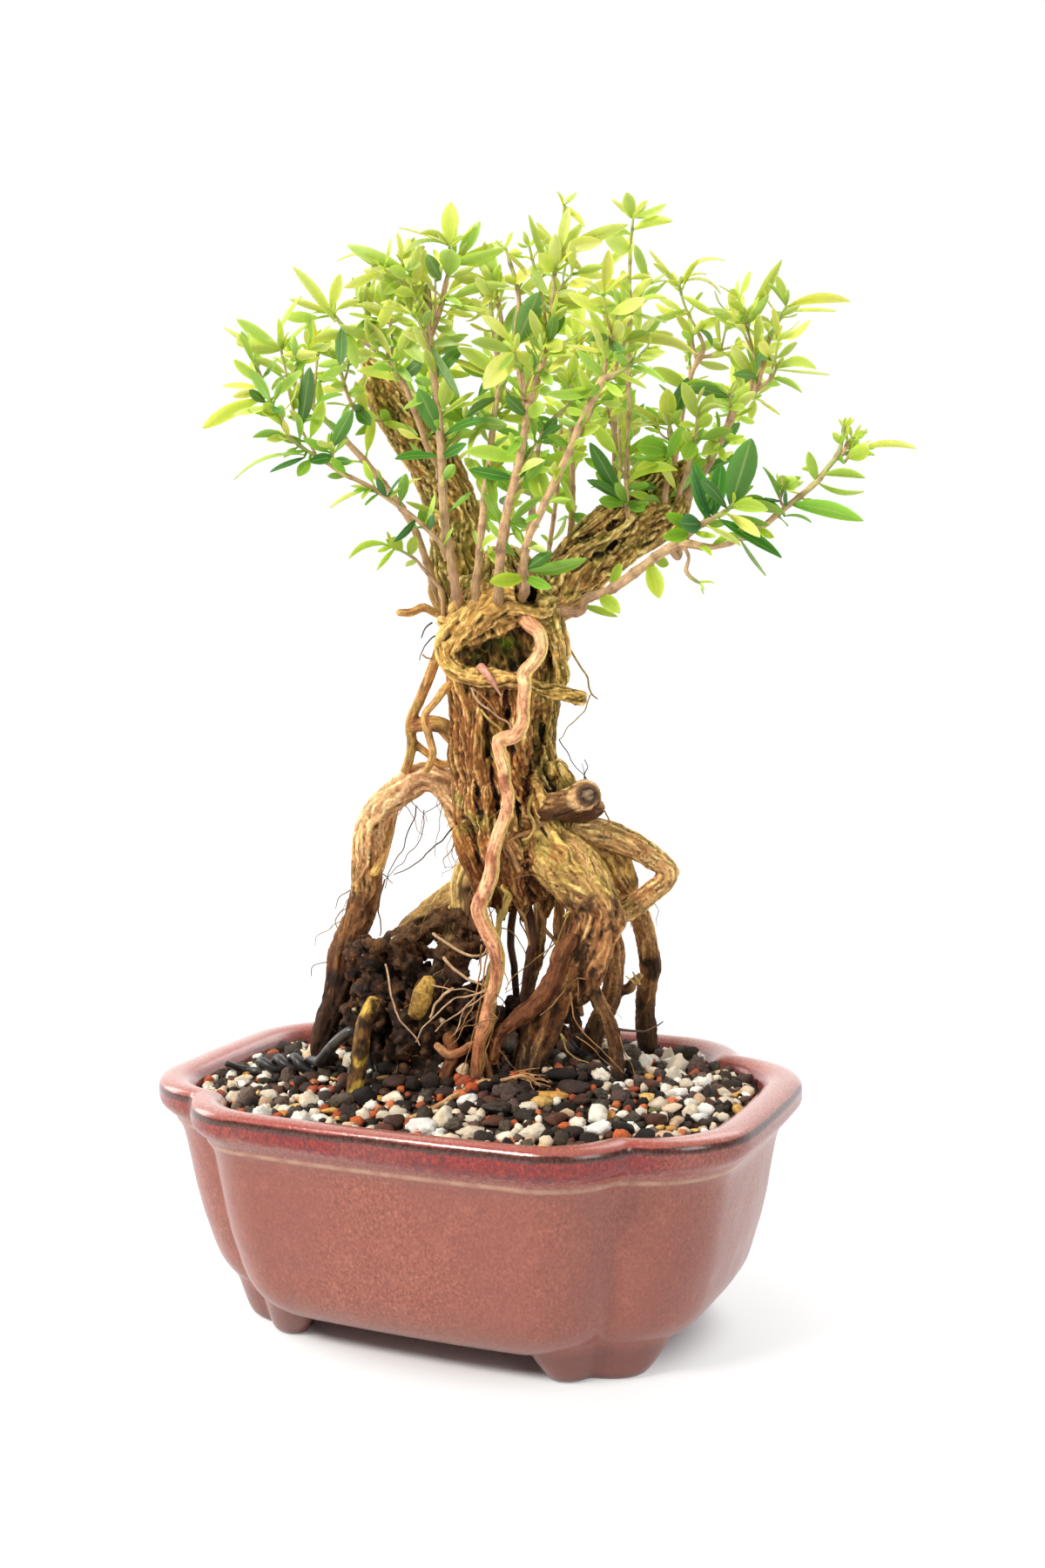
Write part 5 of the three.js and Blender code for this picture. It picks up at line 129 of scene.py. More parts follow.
    ("shoot_p", "stem", [(-6.75, -0.97, 230.08, 1.92), (-7.17, -3.37, 235.03, 1.86), (-8.71, -5.21, 242.4, 1.69), (-10.71, -7.25, 250.55, 1.63), (-13.23, -9.54, 257.32, 1.63), (-16.49, -12.18, 263.27, 1.62), (-19.97, -14.92, 268.92, 1.62), (-23.67, -17.77, 274.81, 1.5), (-27.13, -20.5, 279.61, 1.39), (-31.28, -23.56, 284.92, 1.28), (-35.4, -26.6, 290.47, 1.17), (-38.4, -28.02, 294.22, 1.07), (-40.45, -28.98, 297.42, 0.96)]),
    ("shoot_p", "stem", [(-34.93, -26.38, 289.93, 0.59), (-33.67, -26.9, 297.12, 0.58), (-32.97, -26.56, 303.62, 0.58), (-32.06, -26.14, 309.05, 0.64)]),
    ("shoot_p", "stem", [(-38.64, -28.13, 294.23, 0.64), (-40.85, -28.06, 301.46, 0.64), (-41.14, -28.2, 306.69, 0.53)]),
    ("shoot_q", "stem", [(5.52, -19.51, 243.18, 1.19), (5.36, -21.79, 246.81, 1.18), (2.86, -25.18, 251.25, 1.1), (0.13, -27.57, 254.66, 1.09), (-3.06, -30.18, 257.81, 1.09), (-6.7, -32.99, 261.21, 1.09), (-10.1, -35.7, 264.08, 1.09), (-13.49, -38.4, 266.43, 0.98), (-17.11, -41.21, 268.51, 1.03), (-19.6, -42.38, 270.62, 0.93), (-22.02, -44.62, 272.91, 0.87), (-25.13, -47.19, 275.2, 0.82), (-27.83, -48.46, 277.55, 0.82), (-29.55, -50.37, 279.04, 0.97)]),
    ("shoot_q", "stem", [(-28.2, -49.74, 278, 0.66), (-29.93, -50.56, 281.06, 0.77), (-31.53, -52.41, 285.54, 0.81), (-33.64, -53.41, 290.86, 0.86), (-35.56, -55.42, 298.29, 0.86), (-38.28, -56.7, 305.08, 0.81)]),
    ("shoot_q", "stem", [(-19.15, -42.17, 270.1, 0.51), (-18.24, -43.95, 273.24, 0.51), (-17.35, -45.74, 275.6, 0.46)]),
    ("shoot_q", "stem", [(-23.36, -45.26, 274.46, 0.62), (-26.5, -45.63, 279.69, 0.62), (-28.96, -45.68, 284.39, 0.62), (-31.11, -45.59, 291.37, 0.57), (-32.54, -45.15, 299.1, 0.57), (-33.49, -45.6, 304.93, 0.51)]),
    ("shoot_r", "stem", [(-0.39, -10.49, 225.29, 1.21), (-0.37, -10.92, 229.06, 1.09), (-0.36, -11.22, 232.76, 0.97), (-2.46, -12.21, 236.03, 0.86), (-5.03, -14.52, 240.1, 0.8), (-6.42, -16.28, 242.79, 0.7), (-9.24, -19.82, 245.5, 0.64), (-11.59, -22.03, 247.14, 0.53)]),
    ("shoot_s", "stem", [(-7.04, 2.08, 267.9, 1.68), (-3.51, -5.2, 269.06, 1.5), (-1.43, -9.51, 271.41, 1.34), (-1.39, -15.02, 275.3, 1.33), (-2.2, -17.61, 280.92, 1.21), (-2.98, -20.19, 286.74, 1.21), (-4.24, -21.89, 292.36, 1.21), (-5.74, -23.7, 297.18, 1.25), (-7.48, -25.62, 301.73, 1.35), (-8.54, -26.12, 305.59, 1.09), (-10.48, -28.14, 310.61, 0.99), (-11.97, -29.94, 314.58, 0.83), (-13.96, -30.88, 318.18, 0.67)]),
    ("shoot_s", "stem", [(-7.5, -25.63, 300.96, 0.94), (-12.09, -27.79, 305.18, 0.78), (-18.03, -30.59, 310.7, 0.83), (-20.04, -32.64, 312.66, 0.88), (-22.06, -33.59, 315.51, 0.67)]),
    ("shoot_s", "stem", [(-7.93, -25.83, 302.51, 0.73), (-6.6, -26.31, 306.94, 0.68), (-6.64, -27.44, 312.4, 0.67), (-6.63, -27.43, 320.5, 0.57)]),
    ("shoot_t", "stem", [(-19.14, -0.59, 285.65, 1.09), (-19.22, -4.62, 285.84, 0.87), (-22.63, -10.65, 286.67, 0.81), (-25.48, -15.3, 288.35, 0.81), (-27.05, -17.15, 291.75, 0.86), (-28.09, -18.74, 296.43, 0.86), (-28.62, -20.1, 301.34, 0.75), (-29.2, -21.48, 304.65, 0.59)]),
    ("shoot_u", "stem", [(-29.57, 0.45, 303.76, 1.38), (-30.99, -1.32, 306.4, 1.21), (-31.37, -1.5, 310.19, 1.16)]),
    ("shoot_v", "stem", [(-6.97, 8.24, 258.05, 1.94), (-10.2, 12.87, 257.53, 1.74), (-11.37, 14.54, 257.97, 1.55), (-15.78, 21.31, 269.63, 1.48), (-21.08, 29.87, 283.14, 1.44), (-25.76, 36.51, 296.24, 1.34), (-29.53, 41.36, 309.07, 1.24), (-33.18, 45.17, 319.92, 1.07), (-37.26, 46.57, 330.03, 0.83)]),
    ("shoot_v", "stem", [(-23.26, 33.26, 290.65, 0.87), (-32.87, 37.58, 298.84, 0.76), (-42.44, 41.92, 304.28, 0.65)]),
    ("shoot_w", "stem", [(7.78, 13.58, 227.95, 2.31), (2.66, 23.32, 228.74, 2.07), (1.71, 25.12, 229.54, 1.85), (-1.5, 34.66, 243.85, 1.73), (-2.49, 43.04, 258.44, 1.64), (-2.03, 52.1, 276.21, 1.53), (-1.63, 57.81, 291.73, 1.42), (-0.17, 64.02, 305.63, 1.25), (1.16, 69.06, 317.8, 1.02), (2.23, 71.78, 329.79, 0.78)]),
    ("shoot_w", "stem", [(-1.65, 57.8, 291.15, 0.95), (-10.09, 61.56, 299.37, 0.84), (-15.99, 65.42, 309.03, 0.72), (-17.34, 68.1, 318.33, 0.61)]),
    ("shoot_x", "stem", [(29.49, 21.08, 238.09, 2.14), (25.15, 30.1, 237.4, 1.92), (22.78, 35.03, 238.83, 1.71), (20.01, 43.68, 253.22, 1.61), (17.24, 50.11, 266.44, 1.51), (15.36, 55.86, 278.36, 1.41), (15.6, 62.6, 288.95, 1.3), (18.69, 69.58, 299.52, 1.19), (20.76, 76.08, 310.25, 1.02), (21.45, 79.72, 320.88, 0.78)]),
    ("shoot_y", "stem", [(45.29, 28.45, 250.37, 1.94), (42.41, 37.05, 249.39, 1.74), (40.96, 41.38, 250.38, 1.55), (36.88, 51.62, 264.13, 1.49), (33.53, 59.99, 277.58, 1.4), (31.42, 66.73, 289.69, 1.23), (29.69, 72.55, 301.92, 1.07), (28.06, 77.31, 314.19, 0.89), (27.72, 80.46, 326.87, 0.72)]),
    ("shoot_z", "stem", [(57.27, 32.99, 255.75, 1.91), (56.61, 39.9, 255.27, 1.53), (58.9, 52.03, 263.93, 1.47), (60.39, 62.68, 271.68, 1.38), (61.59, 70.98, 278.93, 1.28), (62.38, 77.98, 285.68, 1.17), (63.22, 85.01, 292.53, 1.06), (66.55, 92.1, 298.16, 0.89), (67.33, 95.79, 305.77, 0.72)]),
    ("shoot_z", "stem", [(62.6, 79.19, 286.33, 0.76), (62.52, 89.1, 294.67, 0.71), (59.61, 94.36, 300.03, 0.6)]),
]
# blades: node, where it leaves the stem, its base, its tip, width, roll, tone, bow
LEAVES = [
    ("shoot_s", -21.4, -33.3, 314.6, -21.4, -34.3, 313.3, -29.6, -43.8, 328.9, 4.8, 42, 0, 0),
    ("shoot_s", -22.1, -33.6, 315.5, -22.8, -34.3, 317.5, -19, -34.4, 327.2, 3.6, 0, 1, 0),
    ("shoot_s", -22.1, -33.6, 315.5, -26, -36.1, 314.8, -33.8, -43.5, 314.8, 3.6, 0, 1, 0),
    ("shoot_s", -22.1, -33.6, 315.5, -22.1, -33.6, 315.5, -33, -41, 320.3, 3.4, -63, 0, 0.8),
    ("shoot_s", -22.1, -33.6, 315.5, -21.1, -34.1, 316.9, -12.1, -35.5, 318.9, 2.6, 54, 0, 0),
    ("shoot_s", -6.6, -27.4, 312.4, -6.6, -27.4, 312.4, -13.7, -39.6, 314.5, 3.4, 53, 2, 1),
    ("shoot_s", -6.6, -27.4, 313.7, -6.6, -27.4, 313.7, -15.7, -35, 317.3, 3, 46, 2, 1),
    ("shoot_s", -6.6, -27.4, 312.4, -6.6, -27.4, 312.4, -13.6, -36.2, 310.2, 2.7, 20, 3, 1.5),
    ("shoot_s", -6.6, -27.2, 311, -6.6, -27.2, 311, -9.5, -37.3, 306.9, 2.7, -32, 1, 0),
    ("shoot_s", -6.6, -27.4, 313.7, -6.6, -27.4, 313.7, -12.9, -32.6, 318.6, 3.4, 0, 0, 0),
    ("shoot_s", -6.6, -27.4, 316.5, -6.6, -27.4, 316.5, -6.6, -31.8, 324.9, 5.6, 0, 2, 0),
    ("shoot_s", -6.6, -27.4, 317.8, -6.6, -27.4, 317.8, 0.6, -30.7, 316.9, 2.6, 28, 4, 0),
    ("shoot_s", -6.6, -27.4, 315.1, -6.6, -27.4, 315.1, 1.8, -30.1, 311.3, 2.6, -28, 1, 0),
    ("shoot_s", -14, -30.9, 318.2, -14, -30.9, 318.2, -15.5, -33.8, 326, 2.6, -38, 0, 0),
    ("shoot_s", -14, -30.9, 318.2, -14, -30.9, 318.2, -13.8, -26.4, 326.4, 2.6, 53, 3, 0),
    ("shoot_s", -14, -30.9, 318.2, -15.2, -32.3, 319.1, -11, -35, 325.6, 2.6, -46, 0, 0),
    ("shoot_s", -18, -30.6, 310.7, -18, -30.6, 310.7, -9.3, -33.1, 313.4, 2.6, 27, 0, 0),
    ("shoot_s", -20, -32.6, 312.7, -20, -32.6, 312.7, -16.8, -40, 299.7, 3.8, 0, 4, 0),
    ("shoot_s", -10.5, -28.1, 310.6, -10.5, -28.1, 310.6, -3.5, -31.5, 305.1, 2.6, 9, 2, 0),
    ("shoot_s", -7, -26.2, 305.5, -7, -26.2, 305.5, -3.1, -26.5, 309.2, 2.6, 26, 2, 0),
    ("shoot_s", -5.7, -23.7, 297.2, -5.7, -23.7, 297.2, 3.8, -28, 300.6, 4.1, 0, 4, 0),
    ("shoot_s", -3, -20.2, 286.7, -3, -20.2, 286.7, -1.6, -12.9, 294, 3.2, 0, 2, 0),
    ("shoot_s", -6.6, -27.4, 312.4, -6.6, -27.4, 312.4, -6.1, -20.6, 316.3, 2.6, 0, 2, 0),
    ("shoot_s", -9, -26.6, 306.8, -7.5, -27.3, 307.4, -9.4, -35.6, 304.1, 2.6, 27, 2, 0),
    ("shoot_s", -7.5, -25.6, 301.7, -7.5, -25.6, 301.7, -11.3, -31.9, 302.6, 2.6, 27, 2, 1.3),
    ("shoot_s", -7.5, -25.6, 301.7, -7.5, -25.6, 301.7, 0.9, -28.3, 295, 2.7, 14, 2, 0),
    ("shoot_a", -0.3, -30, 327.7, -0.3, -30, 327.7, -10, -45.6, 332.8, 4.6, -40, 0, 0),
    ("shoot_a", -0.2, -29.9, 326.4, -0.2, -29.9, 326.4, -11.5, -39.7, 332.7, 3.9, -38, 1, 0),
    ("shoot_a", -0.1, -29.9, 325.1, -1.7, -31.3, 325, -6.8, -37.5, 327.6, 3.6, 0, 3, 0),
    ("shoot_a", -0.3, -30, 327.7, -0.3, -30, 327.7, -18, -38.3, 330.1, 4.7, 68, 0, 0),
    ("shoot_a", -0.4, -30, 329.1, -0.4, -30, 329.1, 0.2, -23.1, 337.6, 2.6, 29, 2, 0),
    ("shoot_a", -0.4, -30, 329.1, -0.4, -30, 329.1, 8, -31.6, 332.7, 3.3, 0, 1, 0),
    ("shoot_a", -0.3, -30, 327.7, -0.3, -30, 327.7, 9.3, -36.5, 326.6, 3.5, 0, 2, 0),
    ("shoot_a", -0.1, -29.9, 325.1, -0.1, -29.9, 325.1, 8.2, -34.8, 321.6, 2.6, -14, 1, 0),
    ("shoot_a", -0.1, -29.9, 325.1, -0.2, -30.9, 323.9, -2.9, -37.8, 319.2, 3, 0, 1, 0),
    ("shoot_a", 12.6, -25, 333.5, 12.6, -25, 333.5, 13.4, -24.6, 345.9, 5.3, 0, 1, 0),
    ("shoot_a", 12.6, -25, 333.5, 12.6, -25, 333.5, 6.5, -32.3, 336.4, 2.6, -54, 0, 1.5),
    ("shoot_a", 12.6, -25, 333.5, 12.6, -25, 333.5, -1.8, -29.6, 339.5, 3.9, 71, 0, 0.5),
    ("shoot_a", 12.6, -25, 333.5, 12.6, -25, 333.5, 4.4, -37.7, 329.9, 3.7, 53, 2, 2),
    ("shoot_a", 12.6, -25, 333.5, 12.6, -25, 333.5, 21.3, -25.4, 338.5, 2.6, -67, 0, -1),
    ("shoot_a", 11.9, -25.4, 324.7, 11.9, -25.4, 324.7, 18.3, -35.6, 330.2, 6.7, 0, 1, 0),
    ("shoot_a", 11.9, -25.4, 324.7, 13.4, -25.3, 324.4, 20.9, -25.5, 326.6, 2.6, 47, 0, 0),
    ("shoot_a", 12.3, -25.1, 328.5, 12.3, -25.1, 328.5, 31.2, -27.3, 330.7, 4.6, 61, 2, -0.8),
    ("shoot_a", 12.3, -25.1, 328.5, 13.2, -24.1, 329.1, 25, -14.7, 335.1, 3.9, 71, 1, 0.5),
    ("shoot_a", 9.6, -28.6, 323.3, 11.3, -28.5, 323.2, 9.4, -33.2, 330.1, 4, 0, 3, 0),
    ("shoot_a", 10.4, -26.1, 318, 12.8, -26.3, 317.6, 31.9, -24.8, 320.2, 4.7, 64, 2, 1.3),
    ("shoot_a", 10.1, -26.2, 316.6, 12.3, -26.5, 316.4, 25.4, -27.9, 313.3, 3.2, -39, 1, 0),
    ("shoot_a", 9.7, -26.4, 315.4, 11.2, -25.7, 314.6, 19, -22, 312.9, 2.6, -28, 0, 0),
    ("shoot_a", 8.9, -26.7, 312.9, 8.9, -26.7, 312.9, 15.4, -30.3, 309.9, 2.6, -29, 2, 0),
    ("shoot_a", 10.6, -25.9, 319.4, 10.6, -25.9, 319.4, 19.9, -32.6, 314.4, 3, -33, 2, 0),
    ("shoot_a", 6.1, -27, 317.8, 6.1, -27, 317.8, 1.2, -24.8, 324.7, 2.6, -7, 2, 0),
    ("shoot_a", 6, -27, 311.2, 6, -27, 311.2, 2.9, -32.9, 313.9, 2.6, 12, 2, 0),
    ("shoot_a", 8, -26.8, 310.5, 8, -26.8, 310.5, 16.4, -29.5, 307.2, 2.6, 13, 2, 0),
    ("shoot_a", 6.2, -26.6, 305.5, 6.2, -26.6, 305.5, 20, -35.6, 288.7, 5.7, 69, 4, 1.3),
    ("shoot_a", 6.2, -26.6, 305.5, 6.2, -26.6, 305.5, 17.3, -25.8, 306.5, 3.3, 0, 2, 0),
    ("shoot_a", 6.7, -24.8, 291.8, 6.7, -24.8, 291.8, -0.4, -32.5, 286.6, 2.8, 24, 2, 0),
    ("shoot_a", 6.9, -23.5, 279.2, 6.9, -23.5, 279.2, 3.2, -29.6, 292.7, 5.7, 0, 3, 0),
    ("shoot_a", 6.8, -24.2, 286.8, 6.8, -24.2, 286.8, -2.7, -19.8, 292.9, 2.9, -36, 3, 0),
    ("shoot_a", 6.8, -22.9, 272.8, 6.8, -22.9, 272.8, -3, -34.1, 272.2, 3.6, 30, 3, 1.3),
    ("shoot_a", 6.9, -23.4, 277.9, 6.9, -23.4, 277.9, 23.8, -24.3, 282.4, 4.2, -38, 3, 1.3),
    ("shoot_a", 6.8, -22.9, 272.8, 6.8, -22.9, 272.8, 17.3, -26.7, 276, 3.3, 0, 3, 0),
    ("shoot_a", 6.6, -22.2, 266.4, 6.6, -22.2, 266.4, 13.8, -27.6, 269.9, 3.6, 0, 2, 0),
    ("shoot_a", 6.8, -23.1, 275.4, 6.8, -23.1, 275.4, 11.4, -16.6, 279.4, 2.6, 36, 2, 0),
    ("shoot_a", 6.8, -24.2, 286.8, 8.7, -25, 286.6, 14.7, -31.5, 295.1, 5.1, 0, 1, 0),
    ("shoot_a", 6.8, -24, 284.2, 6.8, -24, 284.2, 19.4, -24.7, 290.9, 3.4, -48, 1, 1),
    ("shoot_a", 6.8, -24.1, 285.5, 6.8, -24.1, 285.5, 18.4, -14.2, 288.9, 3.8, -56, 1, 0.8),
    ("shoot_a", 6.6, -25.1, 294.2, 6.6, -25.1, 294.2, -0.8, -24.1, 296, 3.1, 0, 2, 0),
    ("shoot_q", -33.5, -45.6, 304.9, -33.5, -45.6, 304.9, -41.8, -56.2, 313.4, 3.8, -5, 1, 0),
    ("shoot_q", -33.5, -45.6, 304.9, -33.5, -45.6, 304.9, -49.9, -51.1, 312.5, 4.5, -67, 0, -0.8),
    ("shoot_q", -33.5, -45.6, 304.9, -33.5, -45.6, 304.9, -38.3, -56.7, 304.3, 2.9, -30, 1, 0),
    ("shoot_q", -33.5, -45.6, 304.9, -33.5, -45.6, 304.9, -32.8, -47.5, 313.9, 2.6, 47, 1, 0),
    ("shoot_q", -33.5, -45.6, 304.9, -34.1, -45.6, 310.5, -28.4, -41, 320.9, 3.1, -48, 1, 0),
    ("shoot_q", -33.5, -45.6, 304.9, -33.5, -45.6, 304.9, -24.1, -45.6, 311.7, 2.8, -50, 1, 1),
    ("shoot_q", -33.3, -45.5, 303.5, -33.3, -45.5, 303.5, -19.6, -47.9, 302.8, 3.3, 47, 0, 0),
    ("shoot_q", -32.8, -45.3, 300.6, -32.8, -45.3, 300.6, -23.4, -43.1, 302.9, 2.6, -28, 2, 0),
    ("shoot_q", -38.3, -56.7, 305.1, -38.3, -56.7, 305.1, -40, -58.6, 307.5, 3.3, 0, 0, 0),
    ("shoot_q", -34.9, -54.7, 295.8, -35.5, -55.7, 295, -39.8, -61.5, 301, 3, 0, 1, 0),
    ("shoot_q", -34.6, -54.4, 294.6, -36.1, -54.4, 294.7, -39.8, -52.4, 301.4, 2.8, 0, 1, 0),
    ("shoot_q", -34.3, -54.1, 293.3, -35.3, -54.9, 293.1, -44.4, -61, 293.9, 2.6, 31, 0, 0.5),
    ("shoot_q", -34, -53.7, 292.1, -34.8, -55.2, 292, -39.6, -63, 290.4, 2.6, -30, 0, 0),
    ("shoot_q", -33.1, -53.2, 289.5, -33.7, -54.4, 288.8, -35.3, -60.8, 292.1, 2.8, 0, 3, 0),
    ("shoot_q", -33.6, -53.4, 290.9, -34.7, -54.6, 290.1, -49.2, -65.1, 281.7, 4.7, -42, 1, 1),
    ("shoot_q", -34.9, -54.7, 295.8, -34.9, -54.7, 295.8, -28.2, -56, 301.1, 2.6, -39, 2, 0),
    ("shoot_q", -32.3, -45.2, 297.8, -32.3, -45.2, 297.8, -33.1, -52.2, 292.7, 2.6, 38, 2, 0),
    ("shoot_q", -31.1, -45.6, 291.4, -31.1, -45.6, 291.4, -30.3, -40.8, 295.6, 2.6, 53, 0, 0),
    ("shoot_q", -30.8, -45.6, 290.2, -30.8, -45.6, 290.2, -25.6, -47.6, 292.6, 2.6, 28, 1, 0),
    ("shoot_q", -32.1, -52.7, 286.9, -32.1, -52.7, 286.9, -30.8, -60.9, 285.3, 3.5, 0, 0, 0),
    ("shoot_q", -31.1, -52, 284.4, -31.1, -52, 284.4, -25.6, -58.2, 287.2, 3.5, 0, 2, 0),
    ("shoot_q", -30, -45.6, 287.9, -30, -45.6, 287.9, -26.6, -48.5, 290.1, 3.1, 0, 2, 0),
    ("shoot_q", -29.3, -45.7, 285.6, -30.7, -47.6, 284.9, -27.3, -43.7, 285.7, 2.6, -29, 1, 0),
    ("shoot_q", -28.3, -45.7, 283.2, -28.3, -45.7, 283.2, -28.4, -50.1, 287, 2.6, -38, 0, 0),
    ("shoot_q", -29, -45.7, 284.4, -29, -45.7, 284.4, -21.2, -44.2, 283.7, 2.6, -46, 1, 0.8),
    ("shoot_q", -27.7, -45.7, 282, -27.7, -45.7, 282, -21.5, -49.4, 298.8, 4.8, 0, 4, 0),
    ("shoot_q", -29.5, -50.4, 279, -29.5, -50.4, 279, -36.6, -58.1, 278.9, 2.6, -29, 2, 1),
    ("shoot_q", -25.1, -47.2, 275.2, -25.1, -47.2, 275.2, -27.4, -52.7, 274, 2.6, 54, 2, 0),
    ("shoot_q", -25.1, -47.2, 275.2, -24.9, -47.7, 273.9, -42.6, -59.9, 266.9, 5.4, 68, 1, 1),
    ("shoot_q", -25.1, -47.2, 275.2, -25, -48.5, 273.1, -30.7, -58.7, 268.6, 3, 41, 4, 0),
    ("shoot_q", -24.1, -46.3, 274.4, -24.3, -47.8, 271.8, -18.7, -42.8, 273.2, 3.5, 0, 3, 0),
    ("shoot_q", -24.1, -46.3, 274.4, -24, -47.3, 272.4, -24.7, -53.2, 267.3, 3.6, 0, 2, 0),
    ("shoot_q", -17.4, -45.7, 275.6, -17.4, -45.7, 275.6, -9.4, -46.4, 286.1, 4.5, 0, 3, 0),
    ("shoot_q", -18.2, -43.9, 273.2, -18.2, -43.9, 273.2, -22, -39.1, 280.6, 2.6, 26, 1, 0),
    ("shoot_q", -18.5, -43.4, 272.2, -18.5, -43.4, 272.2, -10.5, -46.2, 271.2, 2.6, 29, 3, 0),
    ("shoot_q", -17.4, -45.7, 275.6, -17.4, -45.7, 275.6, -22.3, -45.9, 276.4, 2.6, -54, 1, 0),
    ("shoot_q", -17.4, -45.7, 275.6, -17.4, -45.7, 275.6, -24.9, -44.9, 278.6, 2.6, 54, 1, 0),
    ("shoot_q", -10.1, -35.7, 264.1, -10.1, -35.7, 264.1, -18.6, -46.3, 258.2, 3.6, 64, 0, 1.3),
    ("shoot_q", -10.1, -35.7, 264.1, -10.1, -35.7, 264.1, -9.8, -42.2, 260.5, 2.6, 46, 1, 0),
    ("shoot_q", -8.4, -34.3, 262.6, -8.4, -34.3, 262.6, -11.4, -38, 258.9, 2.6, 67, 2, 0),
    ("shoot_q", -7.5, -33.7, 261.9, -7.5, -33.7, 261.9, -18.3, -34.3, 265.1, 2.7, 47, 0, 0.5),
    ("shoot_q", -6.7, -33, 261.2, -6.7, -33, 261.2, -6.4, -39.5, 266.8, 2.6, 28, 4, 0),
    ("shoot_q", -6.7, -33, 261.2, -6.7, -33, 261.2, -0.4, -34.4, 267, 2.6, -67, 4, 0),
    ("shoot_q", -5.8, -32.3, 260.4, -5.8, -32.3, 260.4, -0.1, -23, 267, 3.1, -53, 0, 1),
    ("shoot_q", 0.1, -27.6, 254.7, 0.1, -27.6, 254.7, -3.3, -35.8, 247.9, 2.7, -40, 4, 0),
    ("shoot_q", 2.9, -25.2, 251.3, 2.9, -25.2, 251.3, -1.7, -20.7, 258.3, 4.2, 0, 2, 0),
    ("shoot_q", 2.9, -25.2, 251.3, 2.9, -25.2, 251.3, 7.2, -29.8, 255.8, 2.6, -27, 4, 0),
    ("shoot_q", -6.7, -33, 261.2, -6.7, -33, 261.2, 1, -38.2, 263.4, 2.6, -61, 2, 0),
    ("shoot_p", -34.9, -26.4, 289.9, -34.9, -26.4, 289.9, -23.5, -27.7, 292.9, 2.8, -34, 2, 0.8),
    ("shoot_p", -34.9, -26.4, 289.9, -34.9, -26.4, 289.9, -38.1, -23.4, 295.1, 2.6, -22, 0, 0),
    ("shoot_p", -35.4, -26.6, 290.5, -35.4, -26.6, 290.5, -36.5, -33.8, 289.4, 3.2, 0, 2, 0),
    ("shoot_p", -40.5, -29, 297.4, -40.5, -29, 297.4, -41.4, -30.5, 300.6, 2.6, 24, 2, 0),
    ("shoot_p", -40.5, -28.1, 300.3, -40.5, -28.1, 300.3, -35.2, -30, 303.7, 2.6, 24, 2, 0),
    ("shoot_p", -32.1, -26.1, 309.1, -32.1, -26.1, 309.1, -33.2, -28.9, 314, 2.6, -36, 1, 0),
    ("shoot_p", -32.1, -26.1, 309.1, -32.1, -26.1, 309.1, -26.9, -28.2, 313.6, 2.6, -45, 1, 0),
    ("shoot_p", -32.3, -26.2, 307.7, -32.3, -26.2, 307.7, -26.9, -28.1, 309.2, 2.6, -60, 2, 0),
    ("shoot_p", -32.5, -26.4, 306.3, -32.5, -26.4, 306.3, -35.2, -32, 308.4, 2.6, 36, 1, 0),
    ("shoot_p", -33.1, -26.6, 302.3, -33.1, -26.6, 302.3, -23.2, -28.6, 302.6, 2.6, 25, 1, 0),
    ("shoot_p", -33.4, -26.8, 299.7, -33.4, -26.8, 299.7, -24.2, -31.3, 297, 2.6, -25, 2, 0),
    ("shoot_p", -33.7, -26.9, 297.1, -33.7, -26.9, 297.1, -39.8, -25.4, 300.3, 2.6, 22, 3, 0),
    ("shoot_p", -27.1, -20.5, 279.6, -27.1, -20.5, 279.6, -34, -17.1, 282.1, 2.6, -43, 1, 0),
    ("shoot_r", -11.6, -22, 247.1, -11.6, -22, 247.1, -22.7, -29.5, 243.5, 3.3, -56, 1, 2.1),
    ("shoot_r", -10.8, -21.3, 246.6, -10.8, -21.3, 246.6, -14.3, -27.4, 239.8, 2.6, -59, 1, 0),
    ("shoot_r", -9.2, -19.8, 245.5, -9.2, -19.8, 245.5, -9.1, -26.4, 249.6, 4.2, 0, 1, 0),
    ("shoot_r", -7.8, -18.1, 244.1, -7.8, -18.1, 244.1, -5, -18.9, 250.1, 3.7, 0, 1, 0),
    ("shoot_r", -6.4, -16.3, 242.8, -6.4, -16.3, 242.8, -11.3, -14.2, 241.1, 2.6, -52, 0, 0),
    ("shoot_t", -27.1, -17.2, 291.8, -27.1, -17.2, 291.8, -32, -15.1, 285.3, 2.6, 33, 2, 0),
    ("shoot_t", -25.5, -15.3, 288.4, -25.5, -15.3, 288.4, -23.4, -18.7, 290.8, 3.7, 0, 3, 0),
    ("shoot_t", -26, -15.9, 289.5, -26, -15.9, 289.5, -18, -21, 284, 4.3, 0, 3, 0),
    ("shoot_t", -28.1, -18.7, 296.4, -28.1, -18.7, 296.4, -28.9, -25.7, 296.1, 3.2, 0, 2, 0),
    ("shoot_t", -27.6, -17.9, 294.1, -27.6, -17.9, 294.1, -19.5, -20.8, 294.8, 3.5, 0, 2, 0),
    ("shoot_t", -28.5, -19.8, 300.1, -28.5, -19.8, 300.1, -31.9, -21.4, 301.5, 2.6, 35, 1, 0),
    ("shoot_t", -28.6, -20.1, 301.3, -28.6, -20.1, 301.3, -21.5, -23.4, 299.2, 2.6, -52, 2, 0),
    ("shoot_t", -22.6, -10.7, 286.7, -22.6, -10.7, 286.7, -25.2, -18.5, 281.5, 3, 0, 2, -1.3),
    ("shoot_t", -21.3, -8.2, 286.3, -21.3, -8.2, 286.3, -11.8, -8.2, 283, 2.7, 0, 1, 0),
    ("shoot_t", -19.9, -5.8, 286, -19.9, -5.8, 286, -19.2, -12.1, 289.5, 3.2, 0, 2, 0),
